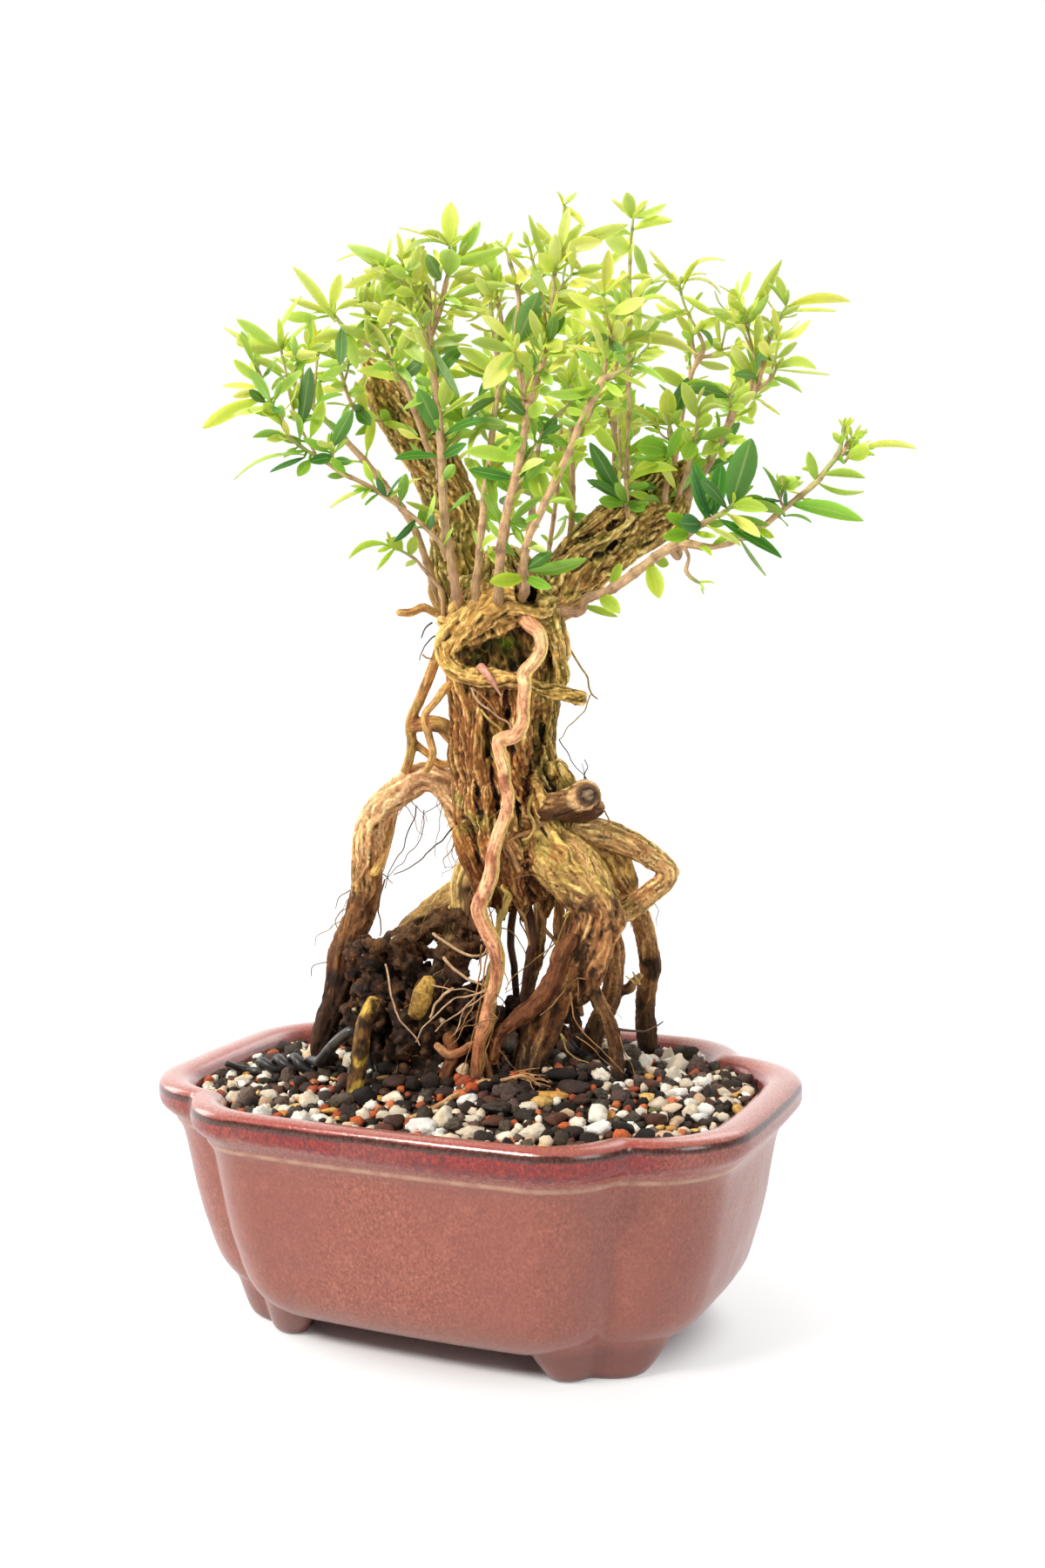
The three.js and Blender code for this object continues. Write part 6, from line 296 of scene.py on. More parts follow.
    ("shoot_t", -19.2, -4.6, 285.8, -19.2, -4.6, 285.8, -7.7, -10.2, 281, 3.3, 26, 2, 0),
    ("shoot_t", -27.8, -18.3, 295.3, -27.8, -18.3, 295.3, -38.9, -16.9, 295.8, 2.7, -25, 0, 0.8),
    ("shoot_t", -28.6, -20.1, 301.3, -28.6, -20.1, 301.3, -25.3, -20.7, 304.9, 2.6, -52, 1, 0),
    ("shoot_b", 23.9, -18.6, 321.9, 23.9, -18.6, 321.9, 20.4, -22.5, 330.6, 2.6, -28, 0, 0),
    ("shoot_b", 23.9, -18.6, 321.9, 23.9, -18.6, 321.9, 27.2, -21.5, 327.4, 2.6, 29, 1, 0),
    ("shoot_b", 23.9, -18.6, 321.9, 23.9, -18.6, 321.9, 14.1, -21, 326.5, 2.7, 67, 0, 0.5),
    ("shoot_b", 23.9, -18.6, 321.9, 23.9, -18.6, 321.9, 31.9, -18.1, 324.3, 2.6, -12, 0, 0),
    ("shoot_b", 24.1, -18.5, 320.7, 24.1, -18.5, 320.7, 33.4, -19.7, 319.5, 2.7, -56, 1, 0),
    ("shoot_b", 24.1, -18.5, 320.7, 24.1, -18.5, 320.7, 23.6, -27.6, 314.7, 2.6, -15, 1, 0),
    ("shoot_b", 23.2, -18.7, 308.9, 21.9, -20, 308.8, 18.8, -25.2, 310.5, 2.6, 47, 1, 0),
    ("shoot_b", 24.5, -17.2, 307.4, 25.3, -17.8, 306.3, 30.4, -14.5, 317, 3.6, 0, 2, 0),
    ("shoot_b", 23.5, -17.7, 303.9, 23.5, -17.7, 303.9, 29.1, -10.6, 317, 3.8, -35, 2, 0),
    ("shoot_b", 23.5, -17.7, 303.9, 23.5, -17.7, 303.9, 17.7, -13.8, 310.5, 2.6, -26, 1, 0),
    ("shoot_b", 23.3, -17.8, 296.4, 23.3, -17.8, 296.4, 21.8, -27.3, 289.3, 3.1, 0, 3, 0),
    ("shoot_b", 26.6, -16.2, 295.8, 26.6, -16.2, 295.8, 25.4, -21.2, 292.1, 2.6, 38, 2, 0),
    ("shoot_b", 21.6, -17.5, 281.3, 21.6, -17.5, 281.3, 26.9, -8.3, 279, 2.6, 36, 2, 0),
    ("shoot_b", 23.4, -17.7, 289.6, 23.4, -17.7, 289.6, 25.7, -10, 287.2, 2.6, 0, 1, 0),
    ("shoot_b", 18.3, -17, 263.5, 18.3, -17, 263.5, 18.9, -10, 256.5, 2.6, 0, 2, 0),
    ("shoot_b", 17.5, -16.7, 258.4, 17.5, -16.7, 258.4, 16.1, -10.7, 250.3, 2.6, -24, 1, 0),
    ("shoot_b", 19.1, -17.1, 267.3, 19.1, -17.1, 267.3, 12.1, -11.5, 271.4, 2.6, -52, 2, 0),
    ("shoot_b", 22.2, -17.6, 284, 22.2, -17.6, 284, 14.2, -14.7, 285.8, 2.6, 25, 1, 0),
    ("shoot_b", 22.5, -17.7, 285.4, 22.5, -17.7, 285.4, 24.1, -8.1, 283.1, 2.6, 36, 1, 0),
    ("shoot_b", 20.3, -17.2, 273.7, 20.3, -17.2, 273.7, 22.2, -7.5, 279.3, 2.7, -40, 1, 0),
    ("shoot_b", 19.9, -17.2, 271.1, 19.9, -17.2, 271.1, 26.2, -27.4, 256.9, 4.5, -42, 2, 0),
    ("shoot_c", 44, -20.2, 323.7, 42.8, -21.7, 324, 40.1, -28.7, 338.7, 4, 51, 1, 0),
    ("shoot_c", 44, -20.2, 323.7, 44, -20.2, 323.7, 45.9, -23.7, 333.6, 4, 0, 0, 0),
    ("shoot_c", 44, -20.2, 323.7, 44, -20.2, 323.7, 43.1, -29.5, 327.2, 4.4, 0, 1, 0),
    ("shoot_c", 45.7, -20.5, 328.8, 45.7, -20.5, 328.8, 49.2, -21, 341, 3.2, 0, 0, 0),
    ("shoot_c", 45.7, -20.5, 328.8, 45.7, -20.5, 328.8, 50.4, -13.9, 337.7, 3, 0, 1, 0),
    ("shoot_c", 45.7, -20.5, 328.8, 45.7, -20.5, 328.8, 58.6, -18.9, 330.7, 4.5, 0, 1, 0.7),
    ("shoot_c", 45.7, -20.5, 328.8, 45.7, -20.5, 328.8, 62.5, -8.2, 336.9, 5.4, 59, 0, 0),
    ("shoot_c", 44, -20.2, 323.7, 44, -20.2, 323.7, 50.5, -23.7, 325.4, 2.6, -48, 1, 0),
    ("shoot_c", 44, -20.2, 323.7, 44, -20.2, 323.7, 49.9, -21.8, 320.9, 2.6, -67, 2, 0),
    ("shoot_c", 43.8, -20.3, 322.2, 43.8, -20.3, 322.2, 36.7, -19.2, 324.5, 2.6, 47, 1, 0),
    ("shoot_c", 30.2, -22.3, 329.4, 30.2, -22.3, 329.4, 35.7, -24.1, 329.3, 2.6, 61, 0, 0),
    ("shoot_c", 32, -21.4, 322.2, 32, -21.4, 322.2, 39.5, -26.7, 322.6, 4.5, 0, 0, 0),
    ("shoot_c", 32.2, -21.3, 320.8, 32.2, -21.3, 320.8, 31, -26.3, 322.6, 2.6, -47, 1, 0),
    ("shoot_c", 32.6, -21.1, 317.9, 32.6, -21.1, 317.9, 37.8, -15.4, 324.3, 3.1, 0, 0, 0),
    ("shoot_c", 31.8, -21.5, 304.1, 31.8, -21.5, 304.1, 42.3, -27.6, 317.1, 7, 0, 3, 0),
    ("shoot_c", 31.8, -21.5, 302.8, 31.8, -21.5, 302.8, 32.4, -19, 316.8, 3.4, -26, 3, 0),
    ("shoot_c", 34.1, -28.2, 300.9, 34.1, -28.2, 300.9, 26.6, -40.5, 303.1, 3.9, 0, 1, 0.7),
    ("shoot_c", 34.1, -28.2, 300.9, 34.1, -28.2, 300.9, 41.4, -19.3, 293.6, 4.4, 0, 0, 1),
    ("shoot_c", 34.1, -28.2, 300.9, 34.1, -28.2, 300.9, 28.5, -37.4, 289.9, 6.7, 0, 0, 0),
    ("shoot_c", 34.1, -28.2, 300.9, 34.1, -28.2, 300.9, 33.8, -37.2, 294.9, 2.6, 18, 2, 0),
    ("shoot_c", 41.3, -20.3, 303.2, 41.3, -20.3, 303.2, 46.6, -26.7, 310.3, 3.7, 0, 3, 0),
    ("shoot_c", 41.4, -20.3, 304.2, 41.4, -20.3, 304.2, 44.3, -14.5, 312.1, 3, 0, 3, 0),
    ("shoot_c", 41.2, -20.4, 304.5, 41.2, -20.4, 304.5, 48.2, -26, 300.5, 5, 0, 1, 0),
    ("shoot_c", 42.3, -20.6, 309.3, 42.3, -20.6, 309.3, 48.7, -22, 313.2, 2.6, 30, 1, 0),
    ("shoot_c", 43.1, -20.6, 314.4, 43.1, -20.6, 314.4, 37.4, -18.8, 318.1, 2.6, 39, 1, 0),
    ("shoot_c", 43.3, -20.5, 316.8, 43.3, -20.5, 316.8, 51.1, -21.2, 317.2, 2.6, -16, 2, 0),
    ("shoot_c", 42.8, -20.7, 311.9, 42.8, -20.7, 311.9, 42.4, -27.6, 313, 2.6, 31, 2, 0),
    ("shoot_c", 39.6, -20.3, 298.8, 39.6, -20.3, 298.8, 39, -29.4, 297.7, 2.6, -40, 2, 0),
    ("shoot_c", 38.7, -20.3, 296.2, 38.7, -20.3, 296.2, 45, -26.2, 291, 3.5, 0, 2, 0),
    ("shoot_c", 34.1, -20.4, 283.3, 34.1, -20.4, 283.3, 31.1, -28.5, 288.8, 3.8, 0, 3, 0),
    ("shoot_c", 34.1, -20.4, 283.3, 34.1, -20.4, 283.3, 42.3, -25.4, 286, 4.5, 0, 1, 0),
    ("shoot_c", 33, -20.3, 278, 33, -20.3, 278, 30.9, -28, 271.4, 2.6, 13, 2, 0),
    ("shoot_c", 31.7, -20.3, 272.8, 31.7, -20.3, 272.8, 24.1, -17.2, 275.5, 2.6, 5, 2, 0),
    ("shoot_c", 31, -20.2, 270.3, 32, -19.1, 270.4, 33.7, -14.5, 275.1, 2.6, 37, 2, 0),
    ("shoot_c", 27.5, -20.4, 258.5, 27.5, -20.4, 258.5, 25.3, -12.6, 253, 2.6, 0, 0, 0),
    ("shoot_c", 24.7, -19.6, 248.9, 24.7, -19.6, 248.9, 25.6, -12.6, 243.1, 2.6, -25, 2, 0),
    ("shoot_c", 24.4, -19.5, 247.7, 24.4, -19.5, 247.7, 19.4, -18.5, 253.5, 2.6, -36, 1, 0),
    ("shoot_c", 23, -18.5, 240, 23, -18.5, 240, 17.3, -14.5, 246.5, 2.6, -36, 1, 0),
    ("shoot_c", 35.6, -20.5, 287.8, 35.6, -20.5, 287.8, 28.6, -17.1, 293.5, 2.6, -27, 1, 0),
    ("shoot_c", 29.8, -10.3, 267.9, 29.7, -11.7, 268.8, 28, -20, 266.5, 2.6, -27, 4, 0),
    ("shoot_c", 26.8, -20.3, 256.1, 26.8, -20.3, 256.1, 27.6, -11, 259.4, 2.6, -25, 1, 0),
    ("shoot_d", 30, -15.9, 238.7, 30, -15.9, 238.7, 40.8, -19.7, 243.8, 3.8, 0, 3, 0),
    ("shoot_d", 30, -15.9, 238.7, 30, -15.9, 238.7, 50.1, -15.3, 241.5, 4.9, 38, 2, -0.8),
    ("shoot_d", 29.5, -14.4, 236.4, 29.5, -14.4, 236.4, 41.6, -22, 233.1, 3.5, 19, 2, 0),
    ("shoot_d", 29.5, -14.4, 236.4, 29.5, -14.4, 236.4, 25, -29.8, 235.4, 4.6, 0, 1, 0),
    ("shoot_d", 32.3, -18.9, 245.2, 32.3, -18.9, 245.2, 25.5, -15.5, 252.6, 2.6, -26, 2, 0),
    ("shoot_d", 38.2, -21.8, 254.8, 38.2, -21.8, 254.8, 36.9, -29, 252.1, 2.6, 39, 2, 0),
    ("shoot_d", 43.3, -22.7, 263.3, 43.3, -22.7, 263.3, 48.7, -29, 267.4, 2.6, -48, 1, 0),
    ("shoot_d", 44.6, -22.7, 265.6, 44.6, -22.7, 265.6, 46.5, -15.2, 255.1, 3.1, -49, 1, 0),
    ("shoot_d", 48.5, -22.8, 272.4, 48.5, -22.8, 272.4, 54.2, -24.5, 275, 2.6, -48, 1, 0),
    ("shoot_d", 48.2, -21.5, 273.1, 48.2, -21.5, 273.1, 44.6, -29.8, 276.4, 2.6, 30, 2, 0.7),
    ("shoot_d", 52, -22.8, 279.2, 52, -22.8, 279.2, 44.5, -21.9, 281.5, 2.6, -29, 2, 0),
    ("shoot_d", 49.1, -18.9, 276.9, 49.1, -18.9, 276.9, 59.4, -25.1, 278.6, 3.5, 0, 1, 0),
    ("shoot_d", 53.8, -22.6, 282.6, 53.8, -22.6, 282.6, 45.5, -17.7, 284.7, 2.6, -28, 1, 0),
    ("shoot_d", 56.2, -22.2, 287.1, 56.2, -22.2, 287.1, 54.7, -29.5, 294.8, 2.7, 0, 1, 0),
    ("shoot_d", 56.8, -21.9, 288.3, 56.8, -21.9, 288.3, 51.6, -19.9, 291.6, 3, 0, 2, 0),
    ("shoot_d", 58, -21.3, 290.7, 58, -21.3, 290.7, 47.7, -37.2, 287.3, 4.6, 26, 2, -1.5),
    ("shoot_d", 59.6, -20.6, 292.4, 59.6, -20.6, 292.4, 53.6, -27.8, 299.9, 3, 0, 2, 0),
    ("shoot_d", 60.1, -20.3, 299.5, 60.1, -20.3, 299.5, 48.1, -23.8, 302.2, 3.1, 50, 0, 0.5),
    ("shoot_d", 60.7, -20.1, 301.9, 60.7, -20.1, 301.9, 52.3, -30.6, 309.3, 3.7, 53, 0, 0.5),
    ("shoot_d", 61, -19.9, 303.1, 61, -19.9, 303.1, 58.3, -30, 302.1, 2.6, -49, 3, 0.7),
    ("shoot_d", 61.3, -19.8, 304.3, 61.3, -19.8, 304.3, 67.2, -25.8, 306.2, 5.4, 0, 0, 0),
    ("shoot_d", 61, -19.9, 303.1, 61, -19.9, 303.1, 67.4, -28, 298, 3.7, 0, 4, 0),
    ("shoot_d", 61.3, -19.8, 304.3, 61.3, -19.8, 304.3, 57.8, -19.2, 312.7, 2.6, 30, 1, 0),
    ("shoot_d", 63.5, -18.8, 312.8, 63.5, -18.8, 312.8, 59.2, -27.4, 311, 2.6, 41, 2, 0),
    ("shoot_d", 63.5, -18.8, 312.8, 63.5, -18.8, 312.8, 62.5, -21.4, 317.3, 2.6, 41, 1, 0),
    ("shoot_d", 63.9, -16.3, 302.8, 63.9, -16.3, 302.8, 72.8, -18.8, 303.7, 2.6, 41, 2, 1),
    ("shoot_d", 63.9, -16.3, 302.8, 63.9, -16.3, 302.8, 84.4, -13.3, 297.8, 5.1, 64, 0, 1.5),
    ("shoot_d", 65.8, -18.8, 295.5, 65.8, -18.8, 295.5, 65, -28, 298.5, 2.6, -32, 2, 0),
    ("shoot_d", 68.3, -17.6, 297.9, 68.3, -17.6, 297.9, 76.7, -18.1, 298.6, 3, 0, 1, 0),
    ("shoot_d", 65.8, -18.8, 295.5, 65.8, -18.8, 295.5, 77.3, -20, 289.7, 3.1, -38, 2, 1),
    ("shoot_d", 61.8, -19.6, 293.3, 61.8, -19.6, 293.3, 72.7, -23.3, 288.3, 3, -43, 1, 0),
    ("shoot_d", 62.8, -18, 298.3, 62.8, -18, 298.3, 72.1, -22.4, 300.7, 2.6, 41, 1, 0),
    ("shoot_d", 58, -21.3, 290.7, 58, -21.3, 290.7, 58, -30.2, 286.5, 2.6, -41, 2, 0),
    ("shoot_d", 58.6, -21.1, 291.9, 59.9, -21.8, 290.8, 66.9, -26, 286.2, 2.6, 32, 1, 0),
    ("shoot_d", 55.1, -18.3, 287, 55.1, -18.3, 287, 53.7, -30, 289.2, 2.9, -47, 1, 0),
    ("shoot_e", 26.1, 29.9, 256.8, 26.1, 29.9, 256.8, 34.4, 25, 253.3, 3.9, 0, 2, 0),
    ("shoot_e", 26, 30.6, 265.7, 26, 30.6, 265.7, 20.6, 31.4, 270.1, 2.6, 29, 1, 0),
    ("shoot_e", 25.8, 31.3, 275.8, 25.8, 31.3, 275.8, 28.7, 37.1, 278.7, 2.6, 30, 1, 0),
    ("shoot_e", 25.7, 31.8, 282.1, 25.7, 31.8, 282.1, 20.4, 32.6, 281.4, 2.6, 29, 1, 0),
    ("shoot_e", 25.4, 32.4, 290.7, 25.4, 32.4, 290.7, 28.2, 40.3, 287.9, 2.8, 0, 1, 0),
    ("shoot_e", 25.3, 32.7, 295.5, 25.3, 32.7, 295.5, 19.9, 34.6, 301.2, 2.6, 13, 1, 0),
    ("shoot_e", 25.3, 32.8, 296.7, 25.3, 32.8, 296.7, 28, 38.5, 299.9, 2.6, 13, 1, 0),
    ("shoot_e", 25.5, 32.1, 287, 25.5, 32.1, 287, 18.7, 34.4, 293.6, 2.8, 0, 1, 0),
    ("shoot_f", 20.5, 36.2, 291.6, 20.5, 36.2, 291.6, 13.6, 37.3, 295.6, 2.6, 10, 1, 0),
    ("shoot_f", 20.7, 36.4, 292.9, 20.7, 36.4, 292.9, 23.1, 44.2, 297.5, 2.9, 0, 1, 0),
    ("shoot_f", 22, 38.1, 303.2, 22, 38.1, 303.2, 16, 39.7, 308.2, 2.6, -10, 1, 0),
    ("shoot_f", 23.1, 39, 306.9, 23.1, 39, 306.9, 26.2, 44.9, 310.2, 2.8, 0, 2, 0),
    ("shoot_f", 24.1, 40, 310.5, 24.1, 40, 310.5, 20, 42.4, 318.7, 2.6, -11, 1, 0),
    ("shoot_f", 24.5, 40.3, 311.7, 24.5, 40.3, 311.7, 29.2, 46.9, 316.3, 2.6, -10, 2, 0),
    ("shoot_f", 24.5, 40.3, 311.7, 24.5, 40.3, 311.7, 25.9, 47.6, 320.5, 2.8, -22, 1, 0),
    ("shoot_f", 21.4, 37.4, 299.4, 21.4, 37.4, 299.4, 28.7, 36.5, 292.5, 2.6, 14, 4, 0),
    ("shoot_f", 19, 31.5, 256.9, 19, 31.5, 256.9, 13.8, 33.5, 261.7, 2.6, 29, 1, 0),
    ("shoot_f", 19.3, 32.6, 261.9, 19.3, 32.6, 261.9, 22, 38.4, 265.1, 2.6, -29, 1, 0),
    ("shoot_f", 20.3, 35.4, 283, 20.3, 35.4, 283, 13.3, 38.8, 285.3, 2.6, 9, 1, 0),
    ("shoot_g", 26.2, 2.4, 270.6, 26.2, 2.4, 270.6, 32.5, -7.9, 258.5, 6.6, 0, 1, 0),
    ("shoot_g", 26, 2.3, 269.2, 26, 2.3, 269.2, 23.4, -7.8, 267, 2.6, 0, 4, 0),
    ("shoot_g", 26.2, 2.4, 270.6, 26.2, 2.4, 270.6, 37, 0.8, 268.6, 2.7, -46, 1, 1.1),
    ("shoot_g", 28.3, 3.4, 280.3, 28.3, 3.4, 280.3, 27.4, -1.5, 285.2, 3.2, 0, 2, 0),
    ("shoot_g", 28.3, 3.4, 280.3, 28.3, 3.4, 280.3, 34.1, 1.7, 284.5, 3.4, 0, 3, 0),
    ("shoot_g", 27.9, 3.2, 278.8, 29.1, 2.8, 279.1, 39.5, 2, 275.6, 2.6, 0, 2, 0),
    ("shoot_g", 32.8, 5.5, 286.2, 32.8, 5.5, 286.2, 30.8, 0.1, 287.2, 2.6, -24, 1, 0),
    ("shoot_g", 36.2, 7.1, 289, 36.2, 7.1, 289, 48.8, 2, 281.5, 3.9, 0, 1, 0.8),
    ("shoot_g", 35.8, 6.9, 294.9, 35.8, 6.9, 294.9, 34.4, 1.8, 298.8, 2.6, -36, 1, 0),
    ("shoot_g", 35.8, 6.9, 294.9, 35.8, 6.9, 294.9, 40.2, 4.5, 298.9, 2.6, -36, 1, 0),
    ("shoot_g", 24.7, -1.6, 248, 24.7, -1.6, 248, 26.8, 3.8, 244.3, 2.6, -21, 1, 0),
    ("shoot_g", 25.1, -0.5, 252.7, 25.1, -0.5, 252.7, 17.6, 2.6, 256.4, 2.6, 34, 2, 0),
    ("shoot_g", 25.6, 1.3, 261.3, 25.6, 1.3, 261.3, 18.3, 6.7, 264, 2.6, 33, 1, 0),
    ("shoot_h", 47, 1.1, 231, 47, 1.1, 231, 56.3, -5.6, 225.1, 4.7, 0, 1, 0),
    ("shoot_h", 50.5, 1.3, 232.3, 50.5, 1.3, 232.3, 51.1, 8.2, 240.3, 3.2, 0, 1, 0),
    ("shoot_h", 63, 2.6, 240.3, 63, 2.6, 240.3, 68.2, -3.8, 229.2, 5.4, 0, 1, 0),
    ("shoot_h", 64.1, 2.7, 241, 64.1, 2.7, 241, 66.8, 8.4, 239.3, 3.4, 0, 1, 0),
    ("shoot_h", 77.8, 4.2, 244.4, 77.8, 4.2, 244.4, 83.9, -1.8, 241.3, 2.6, -28, 1, 0),
    ("shoot_h", 81.6, 5, 244.2, 81.6, 5, 244.2, 86.8, 11.8, 248.3, 2.6, -26, 1, 0),
    ("shoot_h", 89.9, 7, 246.3, 89.9, 7, 246.3, 99.2, 2.5, 235, 3.7, -61, 2, 0.5),
    ("shoot_h", 94.8, 9.3, 248.9, 94.8, 9.3, 248.9, 100.8, 5.4, 246.1, 2.6, 38, 1, 0),
    ("shoot_h", 101.2, 12.3, 254.1, 101.2, 12.3, 254.1, 95.5, 5.1, 257.2, 3.1, 0, 3, 0),
    ("shoot_h", 102.4, 12.8, 255.1, 102.4, 12.8, 255.1, 103.3, 8.8, 259.7, 2.6, 47, 4, 0),
    ("shoot_h", 102.3, 10.6, 260.6, 102.3, 10.6, 260.6, 106.9, 9.4, 262.8, 4.3, 0, 1, 0),
    ("shoot_h", 102.3, 10.6, 260.6, 102.3, 10.6, 260.6, 102.6, 6.3, 263.9, 3.8, 0, 1, 0),
    ("shoot_h", 101.1, 11.1, 256.9, 101.1, 11.1, 256.9, 97.7, 5.1, 266.8, 2.9, -70, 2, 1.5),
    ("shoot_h", 101.1, 11.1, 256.9, 101.1, 11.1, 256.9, 98.7, 3.3, 257.7, 2.6, 61, 3, 0),
    ("shoot_h", 103.3, 13.2, 255.8, 103.3, 13.2, 255.8, 125.1, 14.6, 250.1, 5.4, 37, 2, 1.5),
    ("shoot_h", 101.2, 12.3, 254.1, 101.8, 11.9, 252.5, 110.2, 12.1, 250.2, 2.6, -67, 2, 1),
    ("shoot_h", 100, 11.7, 253.1, 100.7, 11.3, 252.1, 103.9, 9.1, 249.3, 2.6, -73, 2, 0),
    ("shoot_h", 106.8, 14.9, 258.8, 106.8, 14.9, 258.8, 96.7, 16.8, 263.2, 2.7, 55, 0, 0),
    ("shoot_h", 110.6, 16.7, 262.2, 110.6, 16.7, 262.2, 122.3, 26.6, 259.3, 3.8, 74, 1, -0.5),
    ("shoot_h", 110.6, 16.7, 262.2, 110.6, 16.7, 262.2, 109.4, 11.7, 270.8, 3.3, 0, 1, 0),
    ("shoot_h", 111.3, 17, 263.1, 111.3, 17, 263.1, 105.3, 18.6, 266.4, 2.6, -67, 1, 0.8),
    ("shoot_h", 112, 17.3, 264.1, 112, 17.3, 264.1, 125.1, 16.9, 262.5, 3.2, 44, 1, 0.8),
    ("shoot_h", 116.2, 19.3, 268.9, 116.2, 19.3, 268.9, 119.1, 16.3, 267.3, 2.6, 73, 2, 0),
    ("shoot_h", 119.1, 19, 268.8, 119.1, 19, 268.8, 126.9, 13.9, 271, 5, 0, 1, 0),
    ("shoot_h", 122.5, 20.1, 271.2, 122.5, 20.1, 271.2, 138.7, 23.3, 270.6, 4, 67, 0, 0.5),
    ("shoot_h", 117.2, 19.8, 272.9, 117.2, 19.8, 272.9, 114.9, 18.7, 276.5, 2.6, -46, 1, 0),
    ("shoot_h", 117.2, 19.8, 272.9, 117.2, 19.8, 272.9, 119.6, 16.5, 275.6, 2.6, 61, 1, 0),
    ("shoot_h", 120.8, 19.3, 270.5, 120.8, 19.3, 270.5, 124.5, 25.4, 269.8, 2.6, 54, 1, 0),
    ("shoot_h", 118.3, 20.3, 271.9, 119.1, 21.3, 271.4, 120.6, 25.8, 274.9, 2.6, -7, 1, 0),
    ("shoot_i", 89.7, -1.2, 255.3, 89.7, -1.2, 255.3, 98, -6.2, 274.1, 8.5, 0, 3, 0),
    ("shoot_i", 88.8, -1, 254.6, 88.8, -1, 254.6, 85.2, -13.7, 262.6, 3.7, 0, 4, 1),
    ("shoot_i", 83.3, 0.2, 252, 83.3, 0.2, 252, 81.2, -9.6, 266.7, 4.3, 45, 4, 0),
    ("shoot_i", 82.2, 0.6, 251.5, 82.2, 0.6, 251.5, 78.1, 0.8, 268.7, 5.6, 0, 3, 0),
    ("shoot_i", 84.3, -0.1, 252.4, 84.3, -0.1, 252.4, 83.2, 10.4, 268.7, 5.2, 0, 3, 0),
    ("shoot_i", 84.3, -0.1, 252.4, 84.3, -0.1, 252.4, 78.6, 6, 261.5, 3.6, 0, 3, 0),
    ("shoot_i", 89.7, -1.2, 255.3, 89.7, -1.2, 255.3, 103.3, -8.1, 253.4, 4.2, 0, 1, 0.7),
    ("shoot_i", 87.8, -0.7, 253.8, 89.3, -2.3, 253.2, 101.4, -9.8, 245.8, 3.8, -14, 0, 0.7),
    ("shoot_i", 87.8, -0.7, 253.8, 89.3, -0.6, 252.7, 100.9, 1.1, 249.5, 2.9, 39, 2, 0),
    ("shoot_i", 89.7, -1.2, 255.3, 89.7, -1.2, 255.3, 103.1, 9.5, 252.9, 4.1, 42, 2, 1.3),
    ("shoot_i", 85.5, -0.3, 252.9, 86.3, -1.2, 251.8, 104.8, -0.1, 239.9, 5.3, -36, 3, 1),
    ("shoot_i", 80.1, 1.2, 250.6, 80.1, 1.2, 250.6, 78.4, -12.8, 250.8, 6, 0, 4, 0),
    ("shoot_i", 77.9, 1.9, 249.4, 77.9, 1.9, 249.4, 73.3, -11.4, 253.6, 4, 0, 2, 0),
    ("shoot_i", 75.8, 2.5, 248.2, 75.8, 2.5, 248.2, 70.6, -6.6, 246.7, 4.6, 0, 2, 0),
    ("shoot_i", 81.1, 0.9, 251.1, 81, 1.5, 250.1, 86, 7.6, 251, 2.6, 27, 2, 0),
    ("shoot_i", 76.8, 2.2, 248.8, 76.8, 2.2, 248.8, 85, -0.6, 246.8, 2.6, -28, 1, 0),
    ("shoot_i", 88.8, -1, 254.6, 88.8, -1, 254.6, 93.1, 7.7, 257.4, 2.6, -27, 4, 0),
    ("shoot_i", 90.7, -1.5, 256.1, 90.7, -1.5, 256.1, 97, 10.3, 257, 3.2, 44, 2, 1),
    ("shoot_j", 85.2, 30.1, 311.1, 85.2, 30.1, 311.1, 95.8, 32.9, 330.1, 5.3, 49, 1, 0.5),
    ("shoot_j", 85.2, 30.1, 311.1, 85.2, 30.1, 311.1, 93.3, 27.3, 319.2, 2.9, 0, 2, 0),
    ("shoot_j", 85.2, 30.1, 311.1, 85.2, 30.1, 311.1, 82.8, 33.4, 318.2, 2.6, -22, 2, 0),
    ("shoot_j", 85.5, 30.3, 309.9, 85.5, 30.3, 309.9, 77.8, 20, 314.6, 3.3, -28, 1, 0),
    ("shoot_j", 85.2, 30.1, 311.1, 85.2, 30.1, 311.1, 76.5, 30.5, 316, 2.6, -44, 1, 0.8),
    ("shoot_j", 85.2, 30.1, 311.1, 85.2, 30.1, 311.1, 94.5, 27.9, 298.6, 3.8, -70, 2, 0.8),
    ("shoot_j", 96.6, 34.4, 316.3, 96.6, 34.4, 316.3, 95, 29.2, 325, 2.9, 0, 1, 1.6),
    ("shoot_j", 96.6, 34.4, 316.3, 96.6, 34.4, 316.3, 114.8, 40.8, 317, 4.6, 59, 0, 2.6),
    ("shoot_j", 95.8, 34.1, 314.9, 95.8, 34.1, 314.9, 112, 35, 313.7, 3.9, -62, 1, 1.3),
    ("shoot_j", 96.6, 34.4, 316.3, 96.6, 34.4, 316.3, 92.8, 28.2, 322.8, 2.6, -72, 2, 0.8),
    ("shoot_j", 95.1, 33.7, 313.6, 95.1, 33.7, 313.6, 101.5, 32.3, 316.1, 2.6, 53, 0, 0),
    ("shoot_j", 92.9, 33.4, 309.8, 92.9, 33.4, 309.8, 89.2, 27.2, 312.7, 2.6, 36, 0, 0.8),
    ("shoot_j", 92.9, 33.4, 309.8, 92.9, 33.4, 309.8, 96.4, 28.4, 314.2, 2.6, 25, 2, 0),
    ("shoot_j", 92.1, 33.4, 308.5, 92.1, 33.4, 308.5, 87.5, 35.7, 305.2, 2.6, 44, 2, 0),
